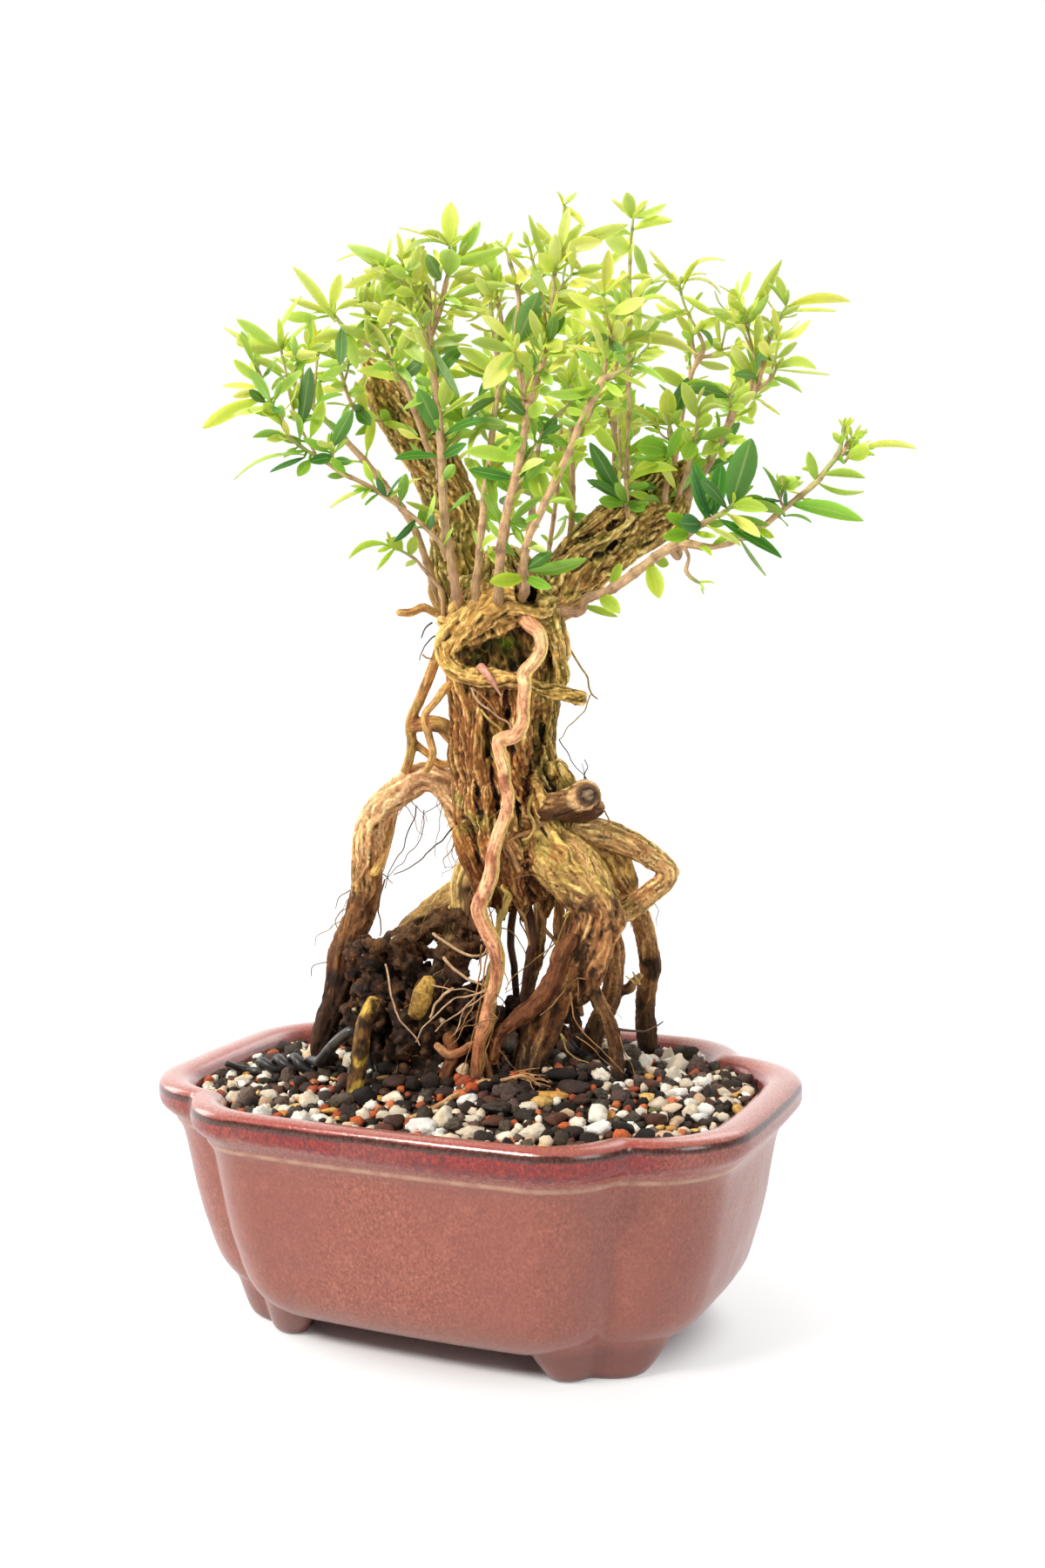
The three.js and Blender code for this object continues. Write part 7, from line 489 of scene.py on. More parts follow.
    ("shoot_j", 93.5, 33, 297.7, 93.5, 33, 297.7, 105.9, 34.4, 296.9, 3.4, 0, 1, 2.4),
    ("shoot_j", 93.5, 33, 297.7, 93.5, 33, 297.7, 108.1, 42, 295.9, 4.1, -71, 0, 1.1),
    ("shoot_j", 92.9, 32.7, 296.4, 92.9, 32.7, 296.4, 92.2, 25.7, 297, 2.6, -45, 0, 0),
    ("shoot_j", 92.3, 32.4, 295.1, 92.3, 32.4, 295.1, 101.8, 32.4, 290, 2.6, 52, 2, 0.8),
    ("shoot_j", 88.5, 31.7, 295.1, 88.5, 31.7, 295.1, 83.7, 20.6, 295.6, 2.9, -26, 3, 0.8),
    ("shoot_j", 86.7, 30.9, 296.4, 86.7, 30.9, 296.4, 82.1, 24.2, 304.9, 4, 0, 0, 0),
    ("shoot_j", 87.1, 31, 300.3, 87.1, 31, 300.3, 94.1, 27.7, 299.7, 2.6, -24, 4, 0.5),
    ("shoot_j", 80.5, 27.4, 289.5, 80.5, 27.4, 289.5, 69.4, 17.7, 293.8, 3.7, -50, 2, 1.6),
    ("shoot_j", 80.5, 27.4, 289.5, 80.5, 27.4, 289.5, 71.2, 14.2, 291.6, 3.9, -29, 3, 0.8),
    ("shoot_j", 80.3, 27.9, 288.2, 80.3, 27.9, 288.2, 76.2, 30.3, 292.7, 2.7, 0, 2, 0),
    ("shoot_j", 80.3, 27.9, 288.2, 81.6, 27.5, 288.1, 87.8, 24.7, 292.6, 3.4, 0, 1, 0),
    ("shoot_j", 82.2, 29.8, 286.8, 81.7, 27.9, 287.1, 90.3, 22.6, 290.2, 3.1, 0, 0, 0),
    ("shoot_j", 80.4, 28.4, 286.6, 80.4, 28.4, 286.6, 88.2, 18.9, 284.9, 3.4, 0, 1, 0),
    ("shoot_j", 80.4, 28.4, 286.6, 80.4, 28.4, 286.6, 75.2, 21.6, 286.5, 2.6, 59, 0, 0.8),
    ("shoot_j", 80.5, 29, 284.9, 80.5, 29, 284.9, 74.3, 30.6, 284.6, 2.6, 59, 1, 0),
    ("shoot_j", 76.9, 28.8, 277.2, 76.9, 28.8, 277.2, 74, 23, 275.1, 2.7, 0, 1, 0),
    ("shoot_j", 76.1, 28.8, 275.9, 76.1, 28.8, 275.9, 74.2, 19.1, 272.8, 4.8, 0, 1, 0),
    ("shoot_j", 78.2, 28.8, 279.6, 78.2, 28.8, 279.6, 79.7, 36.1, 276.2, 2.6, 34, 1, 0),
    ("shoot_j", 76.1, 28.8, 275.9, 76.1, 28.8, 275.9, 80.2, 24.1, 270.1, 2.6, 35, 1, 0),
    ("shoot_j", 76.1, 28.8, 275.9, 76.1, 28.8, 275.9, 75, 21.7, 278.1, 2.6, -59, 1, 0),
    ("shoot_j", 87, 31, 302.8, 87, 31, 302.8, 88.5, 36.1, 307.3, 2.6, 44, 2, 0),
    ("shoot_j", 80.7, 26.9, 290.7, 80.7, 26.9, 290.7, 82.4, 32.1, 295.3, 2.7, 35, 1, 0),
    ("shoot_k", 58.6, 45.3, 327, 58.6, 45.3, 327, 50.5, 39.2, 338.6, 3.7, 53, 0, -0.6),
    ("shoot_k", 58.4, 45.1, 328.2, 58.4, 45.1, 328.2, 53.1, 36, 333.8, 2.9, 31, 1, 0),
    ("shoot_k", 58.4, 45.1, 328.2, 58.4, 45.1, 328.2, 73, 47.6, 334.4, 3.9, -60, 0, 2.2),
    ("shoot_k", 58.4, 45.1, 328.2, 58.4, 45.1, 328.2, 72.3, 45.1, 323.7, 3.5, -57, 1, 2.2),
    ("shoot_k", 58.4, 45.1, 328.2, 58.4, 45.1, 328.2, 65.1, 52.7, 331.7, 2.6, -65, 0, 0.6),
    ("shoot_k", 58.6, 45.3, 327, 58.6, 45.3, 327, 56.3, 39.7, 328.7, 2.6, -58, 1, 0.5),
    ("shoot_k", 59.1, 45.5, 324.5, 59.1, 45.5, 324.5, 70.2, 44.1, 317.3, 3.2, 59, 1, 0.8),
    ("shoot_k", 60.2, 46, 320.4, 60.2, 46, 320.4, 53.3, 36.1, 316.7, 3, -51, 1, -1.1),
    ("shoot_k", 60.7, 46.3, 318.9, 60.7, 46.3, 318.9, 50.5, 43.7, 322.8, 2.7, -21, 0, -1.7),
    ("shoot_k", 61.9, 46.8, 310.8, 61.9, 46.8, 310.8, 58.6, 40.8, 318.2, 2.8, 0, 1, 0.8),
    ("shoot_k", 61.9, 46.8, 310.8, 61.9, 46.8, 310.8, 60.9, 39.7, 312.7, 2.6, -18, 2, 0),
    ("shoot_k", 63.2, 47.4, 314, 63.2, 47.4, 314, 71.5, 46.9, 316.5, 3.6, 0, 1, 0),
    ("shoot_k", 63.2, 47.4, 314, 63.2, 47.4, 314, 68.9, 45.7, 307.9, 2.6, -32, 4, 1.1),
    ("shoot_k", 70.4, 49.7, 307.1, 70.4, 49.7, 307.1, 69.7, 45, 308.8, 2.6, -42, 1, 0),
    ("shoot_k", 74.3, 50.4, 308, 74.3, 50.4, 308, 80, 48.7, 307.6, 2.6, 58, 0, 0.5),
    ("shoot_k", 71.7, 50, 307.4, 71.7, 50, 307.4, 69.3, 44.4, 305, 2.6, 51, 0, 0),
    ("shoot_k", 60.4, 46.1, 295.8, 60.4, 46.1, 295.8, 55.6, 48.2, 301, 2.8, 0, 1, 0),
    ("shoot_k", 63.2, 47.4, 303.9, 63.2, 47.4, 303.9, 70.6, 57.6, 302.2, 3, 43, 0, -0.6),
    ("shoot_l", 56.4, 11, 342.9, 56.4, 11, 342.9, 56.1, 6.5, 349.5, 4.1, 0, 1, 0),
    ("shoot_l", 56.4, 11, 342.9, 56.4, 11, 342.9, 66.3, 13.5, 346.3, 2.6, 0, 1, -0.8),
    ("shoot_l", 56.4, 11, 342.9, 56.4, 11, 342.9, 49.8, 10.2, 348.9, 2.6, -66, 0, 0.8),
    ("shoot_l", 56.4, 11, 342.9, 56.4, 11, 342.9, 59, 16.7, 348.7, 2.6, 36, 0, 0),
    ("shoot_l", 55.7, 11.3, 338, 55.7, 11.3, 338, 51.4, 2.7, 336.5, 2.6, -5, 1, 1.3),
    ("shoot_l", 55.8, 11.3, 339.2, 55.8, 11.3, 339.2, 68.4, 12.8, 340.9, 3.1, 22, 1, 1.3),
    ("shoot_l", 55.1, 11.6, 334.2, 55.1, 11.6, 334.2, 51.3, 0.9, 335.2, 6.7, 0, 0, 0),
    ("shoot_l", 54.3, 12.5, 325.4, 54.3, 12.5, 325.4, 53.9, 5.6, 325, 4.7, 0, 1, 0),
    ("shoot_l", 54.3, 12.5, 325.4, 54.3, 12.5, 325.4, 61, 13.4, 325.5, 2.6, 60, 0, 0.5),
    ("shoot_l", 53.9, 13.1, 318.7, 53.9, 13.1, 318.7, 53.9, 8.6, 325.5, 3.7, 0, 1, 0),
    ("shoot_l", 53.9, 13.1, 318.7, 53.9, 13.1, 318.7, 61.9, 12.4, 325, 2.9, 0, 0, 0.8),
    ("shoot_l", 53.9, 13.2, 317.4, 53.9, 13.2, 317.4, 66.3, 12.4, 318.7, 3, -46, 1, 0.8),
    ("shoot_l", 53.9, 13.2, 317.4, 53.9, 13.2, 317.4, 45.4, 7, 323, 2.8, -42, 1, 1.1),
    ("shoot_l", 53.9, 13.2, 317.4, 53.9, 13.2, 317.4, 54.8, 4.8, 321, 3.1, 0, 2, 0),
    ("shoot_l", 53.9, 13.2, 317.4, 53.9, 13.2, 317.4, 46.6, 3.1, 315.7, 3.1, 0, 2, -0.8),
    ("shoot_l", 53.8, 13.3, 316.1, 53.8, 13.3, 316.1, 62.8, 21.9, 325.5, 3.8, -60, 1, 0),
    ("shoot_l", 53.8, 13.3, 316.1, 53.8, 13.3, 316.1, 66.8, 10.6, 311.3, 3.4, -52, 2, 0.5),
    ("shoot_l", 53.7, 13.3, 314.9, 53.7, 13.3, 314.9, 50.5, 5.2, 313.3, 3.1, 0, 1, 0),
    ("shoot_l", 53, 13.9, 306.4, 53, 13.9, 306.4, 57.9, 20.6, 307.5, 2.6, -35, 1, 0.8),
    ("shoot_l", 52.6, 13.7, 297.3, 52.6, 13.7, 297.3, 46.2, 15.1, 301.1, 2.6, -22, 1, 0),
    ("shoot_l", 52.6, 13.7, 297.3, 52.6, 13.7, 297.3, 55.6, 21.7, 299.2, 2.6, -22, 1, 0),
    ("shoot_l", 52.3, 14.7, 286.5, 52.3, 14.7, 286.5, 55.7, 20.7, 285.1, 2.6, -34, 1, 0),
    ("shoot_l", 51.8, 14.6, 277.7, 51.8, 14.6, 277.7, 53.2, 21.8, 282.1, 2.6, -34, 1, 0),
    ("shoot_l", 51.4, 14.8, 273.8, 51.4, 14.8, 273.8, 46.5, 16.9, 271.6, 2.6, 34, 2, 0),
    ("shoot_l", 52.3, 14.7, 286.5, 52.3, 14.7, 286.5, 48.5, 8.5, 284.6, 2.6, 24, 1, 0.8),
    ("shoot_n", 63.9, 19, 281.8, 63.9, 19, 281.8, 65.5, 13.1, 292.1, 5.5, 0, 1, 0),
    ("shoot_n", 63.9, 19, 281.8, 63.9, 19, 281.8, 55.9, 8.6, 288, 3.5, 34, 1, -0.8),
    ("shoot_n", 63.9, 19, 281.8, 63.9, 19, 281.8, 55.9, 19.7, 288.1, 2.7, 0, 2, -0.8),
    ("shoot_n", 63.9, 19, 281.8, 63.9, 19, 281.8, 56.9, 11.3, 281.1, 2.6, 52, 0, 0.5),
    ("shoot_n", 64, 19.1, 280.2, 64, 19.1, 280.2, 51.6, 17.7, 283, 3.1, 70, 1, 0),
    ("shoot_n", 63.9, 19, 281.8, 63.9, 19, 281.8, 67.2, 27.2, 296.7, 4.8, 0, 3, 0),
    ("shoot_n", 63.9, 19, 281.8, 63.9, 19, 281.8, 69.4, 15, 285.8, 2.6, 0, 1, 0),
    ("shoot_n", 64.2, 19.4, 273.4, 64.2, 19.4, 273.4, 57.5, 7.4, 275.1, 6.8, 0, 2, 1.1),
    ("shoot_n", 64.3, 19.2, 274.7, 64.3, 19.2, 274.7, 67.6, 25.2, 277.5, 2.6, 22, 1, 0),
    ("shoot_o", 73.3, 17.9, 283.2, 73.3, 17.9, 283.2, 70.6, 12.2, 293.7, 4.4, 0, 1, 0),
    ("shoot_o", 73.3, 17.9, 283.2, 73.3, 17.9, 283.2, 78.6, 18.2, 290.1, 3.9, 0, 1, 0),
    ("shoot_o", 73.1, 18, 280.6, 73.1, 18, 280.6, 79.3, 14.3, 283.3, 3.9, 0, 1, 0),
    ("shoot_o", 73.1, 18, 280.6, 73.1, 18, 280.6, 69.4, 11.9, 280.9, 2.6, 25, 1, 0),
    ("shoot_o", 72.2, 18.3, 276.8, 72.2, 18.3, 276.8, 72, 9.4, 270.3, 5, 0, 2, 0),
    ("shoot_o", 71.9, 18.4, 275.5, 71.9, 18.4, 275.5, 70.3, 13.2, 279.1, 3.2, 0, 1, 0),
    ("shoot_o", 73.3, 17.9, 284.5, 73.3, 17.9, 284.5, 82.1, 17.6, 285.9, 2.6, 53, 0, 0.8),
    ("shoot_o", 72.5, 18.2, 278, 72.5, 18.2, 278, 74.9, 23.7, 279.3, 2.7, 0, 1, 0),
    ("shoot_o", 69.8, 18.5, 268.3, 69.8, 18.5, 268.3, 73.8, 24.8, 271, 3.2, 0, 2, 0),
    ("shoot_l", 51, 15.1, 259, 50, 13.3, 259.6, 44, 3, 276.7, 5, 0, 3, 0.5),
    ("shoot_l", 51, 15.1, 259, 50.5, 13.6, 259, 43, 2.6, 265.5, 3.5, -35, 3, 0.8),
    ("shoot_l", 51, 15.1, 259, 50.6, 13.3, 258.5, 47, 2.2, 259.3, 4, 0, 2, 0),
    ("shoot_l", 51, 15.1, 259, 51, 15.1, 259, 59.6, 8.2, 255.8, 4, 0, 2, 0),
    ("shoot_l", 51, 15.1, 259, 51, 15.1, 259, 52.2, 2.5, 264.2, 3.4, 0, 2, 0),
    ("shoot_l", 50.9, 15.1, 264.5, 50.9, 15.1, 264.5, 68.9, 12.5, 267.5, 4.4, -27, 1, 2.4),
    ("shoot_l", 50.9, 15.1, 263.1, 50.9, 15.1, 263.1, 59.5, 12.5, 263.8, 2.6, 23, 2, 0),
    ("shoot_l", 50.9, 15.1, 263.1, 51.9, 15.9, 262.7, 59.1, 21.2, 263.1, 2.6, 21, 3, 0.8),
    ("shoot_l", 51, 15.1, 261.8, 51, 15.1, 261.8, 56.4, 22.1, 260.1, 2.7, 0, 1, 0),
    ("shoot_m", 40.2, 31.9, 267.6, 40.2, 31.9, 267.6, 37.9, 26.4, 271.2, 2.6, -17, 2, 0),
    ("shoot_m", 40.3, 32.2, 272.5, 40.3, 32.2, 272.5, 45.8, 30.4, 275.1, 2.6, -32, 1, 0),
    ("shoot_m", 40.2, 32.2, 281, 40.2, 32.2, 281, 34.9, 34.1, 280.1, 2.6, -15, 1, 0),
    ("shoot_m", 39.8, 32, 291.9, 39.8, 32, 291.9, 37.2, 26.4, 294.8, 2.6, -18, 1, 0),
    ("shoot_m", 39.7, 31.9, 293.3, 39.7, 31.9, 293.3, 43.4, 32.6, 295.4, 2.6, 18, 1, 0),
    ("shoot_m", 34.8, 34.7, 300.3, 34.8, 34.7, 300.3, 29, 36.4, 304, 2.6, 14, 1, 0),
    ("shoot_m", 33.6, 35.7, 306.4, 33.6, 35.7, 306.4, 30.7, 38.8, 313, 2.6, 14, 2, 0),
    ("shoot_m", 33.8, 35.5, 305.1, 33.8, 35.5, 305.1, 36.8, 41.3, 310.6, 2.6, 14, 1, 0),
    ("shoot_m", 37.8, 33.3, 289.4, 37.8, 33.3, 289.4, 34.8, 27.4, 288.1, 2.6, 32, 1, 0),
    ("shoot_b", 23.3, -17.8, 294.9, 23.3, -17.8, 294.9, 11.4, -23.1, 301, 3.5, 39, 1, 0.5),
    ("shoot_c", 40, -21, 316.3, 40, -21, 316.3, 52.1, -14.1, 314.2, 3.4, -20, 1, -0.1),
    ("shoot_n", 64, 19.5, 272.1, 64, 19.5, 272.1, 57, 6.9, 267.7, 3.7, 35, 1, 0.7),
    ("shoot_b", 22.5, -17.7, 285.4, 22.5, -17.7, 285.4, 15.1, -21.3, 272.2, 3.7, 51, 1, 0.1),
    ("shoot_c", 29.5, -20.2, 265.4, 29.5, -20.2, 265.4, 17, -25.4, 268.5, 3.6, -5, 3, 0.1),
    ("shoot_a", -0.3, -30, 327.7, -0.3, -30, 327.7, 8.2, -27.8, 322.6, 2.9, 0, 1, 0.5),
    ("shoot_s", -6.6, -27.4, 312.4, -6.6, -27.4, 312.4, 4.6, -27.9, 300, 4.6, 0, 1, 0),
    ("shoot_u", -31.4, -1.5, 310.2, -31.4, -1.5, 310.2, -37.7, -11.5, 309.6, 2.8, -35, 2, -0.2),
    ("shoot_a", 6.5, -25.3, 295.4, 6.5, -25.3, 295.4, 14.4, -20.9, 304.6, 4, 0, 3, 0.9),
    ("shoot_p", -32.5, -26.4, 306.3, -32.5, -26.4, 306.3, -25.4, -17.3, 305.8, 2.8, 54, 1, 0.3),
    ("shoot_c", 31, -20.2, 270.3, 31, -20.2, 270.3, 19.8, -32.4, 273.3, 4.7, 0, 1, 1),
    ("shoot_k", 60.4, 46.1, 295.8, 60.4, 46.1, 295.8, 52, 36.3, 301.7, 4.5, 0, 1, -0.1),
    ("shoot_l", 55.1, 11.6, 334.2, 55.1, 11.6, 334.2, 44.7, 9.7, 328.8, 3, 0, 1, -0.1),
    ("shoot_f", 24.5, 40.3, 311.7, 24.5, 40.3, 311.7, 25.6, 41.1, 329, 4.9, 0, 1, 0.8),
    ("shoot_a", 6.4, -25.4, 296.7, 6.4, -25.4, 296.7, 14.3, -17, 296.9, 2.8, 0, 1, 0.5),
    ("shoot_s", -19, -31.6, 311.7, -19, -31.6, 311.7, -19.2, -26.4, 300.2, 4, 0, 1, 0),
    ("shoot_g", 26.4, 2.5, 271.9, 26.4, 2.5, 271.9, 42.9, 4.8, 273.2, 4.3, 0, 1, 0.1),
    ("shoot_b", 23.3, -17.8, 296.4, 23.3, -17.8, 296.4, 14.5, -25.5, 304, 3.9, 0, 1, 0.6),
    ("shoot_s", -12, -29.9, 314.6, -12, -29.9, 314.6, -9.4, -30.4, 325.9, 2.8, -30, 1, 0.3),
    ("shoot_b", 23.4, -17.7, 289.6, 23.4, -17.7, 289.6, 16.3, -25.3, 284, 2.8, -30, 3, 1),
    ("shoot_h", 40.8, 2.6, 227.4, 40.8, 2.6, 227.4, 48.1, 13, 223.8, 3.2, -32, 1, 0.3),
    ("shoot_l", 54.2, 12.6, 324, 54.2, 12.6, 324, 44.2, 1, 320.7, 3.9, 0, 0, 1),
    ("shoot_d", 63.2, -18.9, 311.5, 63.2, -18.9, 311.5, 58.3, -29.1, 313, 2.9, 0, 1, 0.8),
    ("shoot_a", -0.1, -29.9, 325.1, -0.1, -29.9, 325.1, 0.4, -27.2, 315.3, 2.9, 0, 1, 0.9),
    ("shoot_c", 47.3, -19.7, 341.9, 47.3, -19.7, 341.9, 53.5, -19.5, 335.2, 2.6, -30, 1, 0.5),
    ("shoot_c", 45.7, -20.5, 328.8, 45.7, -20.5, 328.8, 51.4, -17.1, 323.6, 2.6, 30, 1, 0),
    ("shoot_q", -36.9, -56.1, 301.7, -36.9, -56.1, 301.7, -30.8, -48.3, 297.8, 2.6, 11, 1, 0.6),
    ("shoot_l", 53.3, 13.7, 310, 53.3, 13.7, 310, 63.4, 27, 306.4, 4.1, 0, 0, 1),
    ("shoot_a", 6.3, -26.1, 301.7, 6.3, -26.1, 301.7, 4, -32.4, 310, 2.8, 0, 0, 0.3),
    ("shoot_m", 37.5, 33.4, 290.6, 37.5, 33.4, 290.6, 32, 39.1, 281, 3.2, 0, 0, -0.2),
    ("shoot_b", 18.3, -17, 263.5, 18.3, -17, 263.5, 9.4, -12.9, 273.1, 3.5, 0, 1, 0.8),
    ("shoot_c", 45.7, -20.5, 328.8, 45.7, -20.5, 328.8, 37.5, -17.6, 338.8, 3.2, 31, 0, 0.1),
    ("shoot_c", 29.7, -22.5, 331.1, 29.7, -22.5, 331.1, 19.9, -23.1, 327.3, 2.6, -28, 1, 0.6),
    ("shoot_a", 6.8, -24.1, 285.5, 6.8, -24.1, 285.5, 14.1, -13.4, 284.1, 3.5, 0, 2, -0.2),
    ("shoot_d", 60.1, -20.3, 299.5, 60.1, -20.3, 299.5, 58.4, -29.7, 310.8, 3.6, -41, 1, 0.9),
    ("shoot_v", -18.8, 26.2, 277.3, -18.8, 26.2, 277.3, -23.8, 37.7, 277.2, 4.2, 18, 3, 0.5),
    ("shoot_v", -18.8, 26.2, 277.3, -18.8, 26.2, 277.3, -13.6, 30.2, 292, 4.6, -23, 1, 1.2),
    ("shoot_v", -20.7, 29.3, 282.2, -20.7, 29.3, 282.2, -35, 26.1, 289.4, 5.1, 25, 1, 0.2),
    ("shoot_v", -20.7, 29.3, 282.2, -20.7, 29.3, 282.2, -12.4, 36.9, 286.1, 3.4, -11, 2, 0.6),
    ("shoot_v", -22.2, 31.5, 286.4, -22.2, 31.5, 286.4, -14.4, 29, 294.4, 3.5, 42, 1, 0.3),
    ("shoot_v", -22.2, 31.5, 286.4, -22.2, 31.5, 286.4, -37.5, 34.8, 289, 4.8, 7, 2, 0.1),
    ("shoot_v", -24.2, 34.3, 291.9, -24.2, 34.3, 291.9, -20.2, 43.2, 299.1, 3.5, -46, 1, 0.7),
    ("shoot_v", -24.2, 34.3, 291.9, -24.2, 34.3, 291.9, -33.5, 25, 297.8, 5.1, -7, 1, 0.5),
    ("shoot_v", -25.8, 36.5, 296.2, -25.8, 36.5, 296.2, -31.9, 47.6, 293.3, 3.7, -19, 3, 0.5),
    ("shoot_v", -25.8, 36.5, 296.2, -25.8, 36.5, 296.2, -24.4, 30.2, 311.9, 5, 48, 1, 0.5),
    ("shoot_v", -27.8, 39.2, 303.2, -27.8, 39.2, 303.2, -33.6, 29.2, 313.2, 4.9, 17, 2, 1.1),
    ("shoot_v", -27.8, 39.2, 303.2, -27.8, 39.2, 303.2, -25.6, 50.1, 308, 4.5, 22, 2, 1),
    ("shoot_v", -29.9, 41.7, 310.2, -29.9, 41.7, 310.2, -30.1, 37.7, 322.1, 4.2, -36, 1, 0.4),
    ("shoot_v", -29.9, 41.7, 310.2, -29.9, 41.7, 310.2, -44.5, 45.6, 316.3, 5.6, 22, 2, 0.2),
    ("shoot_v", -31.4, 43.3, 314.5, -31.4, 43.3, 314.5, -26.6, 57.6, 317.6, 5.8, 31, 3, 0.3),
    ("shoot_v", -31.4, 43.3, 314.5, -31.4, 43.3, 314.5, -33.6, 35.6, 324.1, 4.4, 44, 1, 0.3),
    ("shoot_v", -33.2, 45.2, 319.9, -33.2, 45.2, 319.9, -44.9, 51.2, 320.2, 3.7, 28, 3, 0.6),
    ("shoot_v", -33.2, 45.2, 319.9, -33.2, 45.2, 319.9, -25.5, 39.8, 330.5, 4.2, -33, 2, 0.3),
    ("shoot_v", -35.4, 45.9, 325.5, -35.4, 45.9, 325.5, -38.4, 34.5, 333, 4.8, 30, 1, 0.7),
    ("shoot_v", -35.4, 45.9, 325.5, -35.4, 45.9, 325.5, -35.9, 56.8, 335.8, 4.5, 27, 1, 1),
    ("shoot_v", -37.3, 46.6, 330, -37.3, 46.6, 330, -34.7, 37.9, 340.1, 4.4, -25, 3, 1),
    ("shoot_v", -37.3, 46.6, 330, -37.3, 46.6, 330, -44.6, 49.5, 329.9, 3.9, 2, 2, 0.3),
    ("shoot_v", -27.6, 35.2, 294.4, -27.6, 35.2, 294.4, -31, 32.8, 306.2, 3.5, -43, 2, 0.8),
    ("shoot_v", -27.6, 35.2, 294.4, -27.6, 35.2, 294.4, -34.3, 46.5, 296.7, 4.7, -21, 3, 0.1),
    ("shoot_v", -31.1, 36.8, 297.4, -31.1, 36.8, 297.4, -28.3, 40.2, 308.2, 4.6, -33, 1, 0.4),
    ("shoot_v", -31.1, 36.8, 297.4, -31.1, 36.8, 297.4, -45.3, 33.8, 291.2, 5.4, 32, 2, 1.2),
    ("shoot_v", -36.1, 39, 300.7, -36.1, 39, 300.7, -46.1, 45.1, 292.3, 4.3, -9, 1, 0.6),
    ("shoot_v", -36.1, 39, 300.7, -36.1, 39, 300.7, -41.5, 35.5, 311, 4.4, -37, 3, 0.7),
    ("shoot_v", -40.3, 41, 303.1, -40.3, 41, 303.1, -49.9, 33.6, 303.2, 3.3, -23, 3, 0.7),
    ("shoot_v", -40.3, 41, 303.1, -40.3, 41, 303.1, -39.1, 46.3, 313.2, 4.3, 5, 2, 1),
    ("shoot_w", -2.3, 41.2, 255.3, -2.3, 41.2, 255.3, 1.7, 51.3, 253.1, 3.2, -24, 2, 0.7),
    ("shoot_w", -2.3, 41.2, 255.3, -2.3, 41.2, 255.3, -13.6, 39.1, 263.1, 5.2, -18, 1, 0.5),
    ("shoot_w", -2.4, 44.2, 260.7, -2.4, 44.2, 260.7, -10.5, 56, 265.2, 5.6, 2, 3, 0.1),
    ("shoot_w", -2.4, 44.2, 260.7, -2.4, 44.2, 260.7, 4.5, 37.2, 272.2, 4.9, -19, 1, 0.2),
    ("shoot_w", -2.3, 46.4, 265.1, -2.3, 46.4, 265.1, -10.8, 40.6, 278.3, 6.5, 0, 2, 0.1),
    ("shoot_w", -2.3, 46.4, 265.1, -2.3, 46.4, 265.1, 3.8, 56.8, 268.5, 4.2, 49, 2, 0.5),
    ("shoot_w", -2.2, 48.7, 269.5, -2.2, 48.7, 269.5, 3.7, 44.1, 283.1, 5.4, -15, 2, 0.1),
    ("shoot_w", -2.2, 48.7, 269.5, -2.2, 48.7, 269.5, -12.8, 53, 271.7, 4.6, 33, 2, 1.1),
    ("shoot_w", -2, 52.1, 276.2, -2, 52.1, 276.2, 7, 59, 277.6, 4.6, 27, 3, 0.4),
    ("shoot_w", -2, 52.1, 276.2, -2, 52.1, 276.2, -12.6, 52.2, 286.3, 5.4, 9, 1, 0.1),
    ("shoot_w", -1.9, 54.3, 282.2, -1.9, 54.3, 282.2, -13.9, 62.1, 287.3, 5.9, -18, 1, 1.1),
    ("shoot_w", -1.9, 54.3, 282.2, -1.9, 54.3, 282.2, 3.4, 51.3, 292.6, 4.7, 27, 1, 0.5),
    ("shoot_w", -1.7, 56.5, 288.2, -1.7, 56.5, 288.2, -3, 50.5, 301.4, 4.8, 37, 1, 0.3),
    ("shoot_w", -1.7, 56.5, 288.2, -1.7, 56.5, 288.2, 5, 65.7, 289.4, 4.3, 29, 3, 1),
    ("shoot_w", -1.4, 58.8, 294.1, -1.4, 58.8, 294.1, 4.2, 54.2, 306, 4.6, 1, 1, 0.3),
    ("shoot_w", -1.4, 58.8, 294.1, -1.4, 58.8, 294.1, -14.1, 67.1, 296.9, 6, -29, 2, 1.1),
    ("shoot_w", -0.7, 61.9, 301, -0.7, 61.9, 301, 0.5, 73.4, 301.1, 3.9, 34, 2, 0.3),
    ("shoot_w", -0.7, 61.9, 301, -0.7, 61.9, 301, -3.7, 55.8, 311.9, 4.9, -16, 2, 0.7),
    ("shoot_w", 0.1, 64.9, 307.8, 0.1, 64.9, 307.8, -7.6, 77, 316.4, 5.2, 46, 2, 0.7),
    ("shoot_w", 0.1, 64.9, 307.8, 0.1, 64.9, 307.8, 13.2, 64.3, 314.7, 5.5, 7, 2, 0.3),
    ("shoot_w", 0.7, 67.2, 313.4, 0.7, 67.2, 313.4, -4.5, 61.5, 325.8, 5.2, 44, 2, 0.7),
    ("shoot_w", 0.7, 67.2, 313.4, 0.7, 67.2, 313.4, 2.6, 80.7, 319, 5.5, -3, 2, 0.6),
    ("shoot_w", 1.2, 69.1, 317.8, 1.2, 69.1, 317.8, 10.1, 68.6, 328.4, 5.2, -45, 2, 0.5),
    ("shoot_w", 1.2, 69.1, 317.8, 1.2, 69.1, 317.8, -7.8, 78.4, 324, 4.5, 35, 2, 0.6),
    ("shoot_w", 1.6, 70.2, 322.6, 1.6, 70.2, 322.6, 9.5, 84.7, 324, 6.3, 32, 2, 0),
    ("shoot_w", 1.6, 70.2, 322.6, 1.6, 70.2, 322.6, -7.9, 70.4, 330.9, 3.8, 0, 3, 0.3),
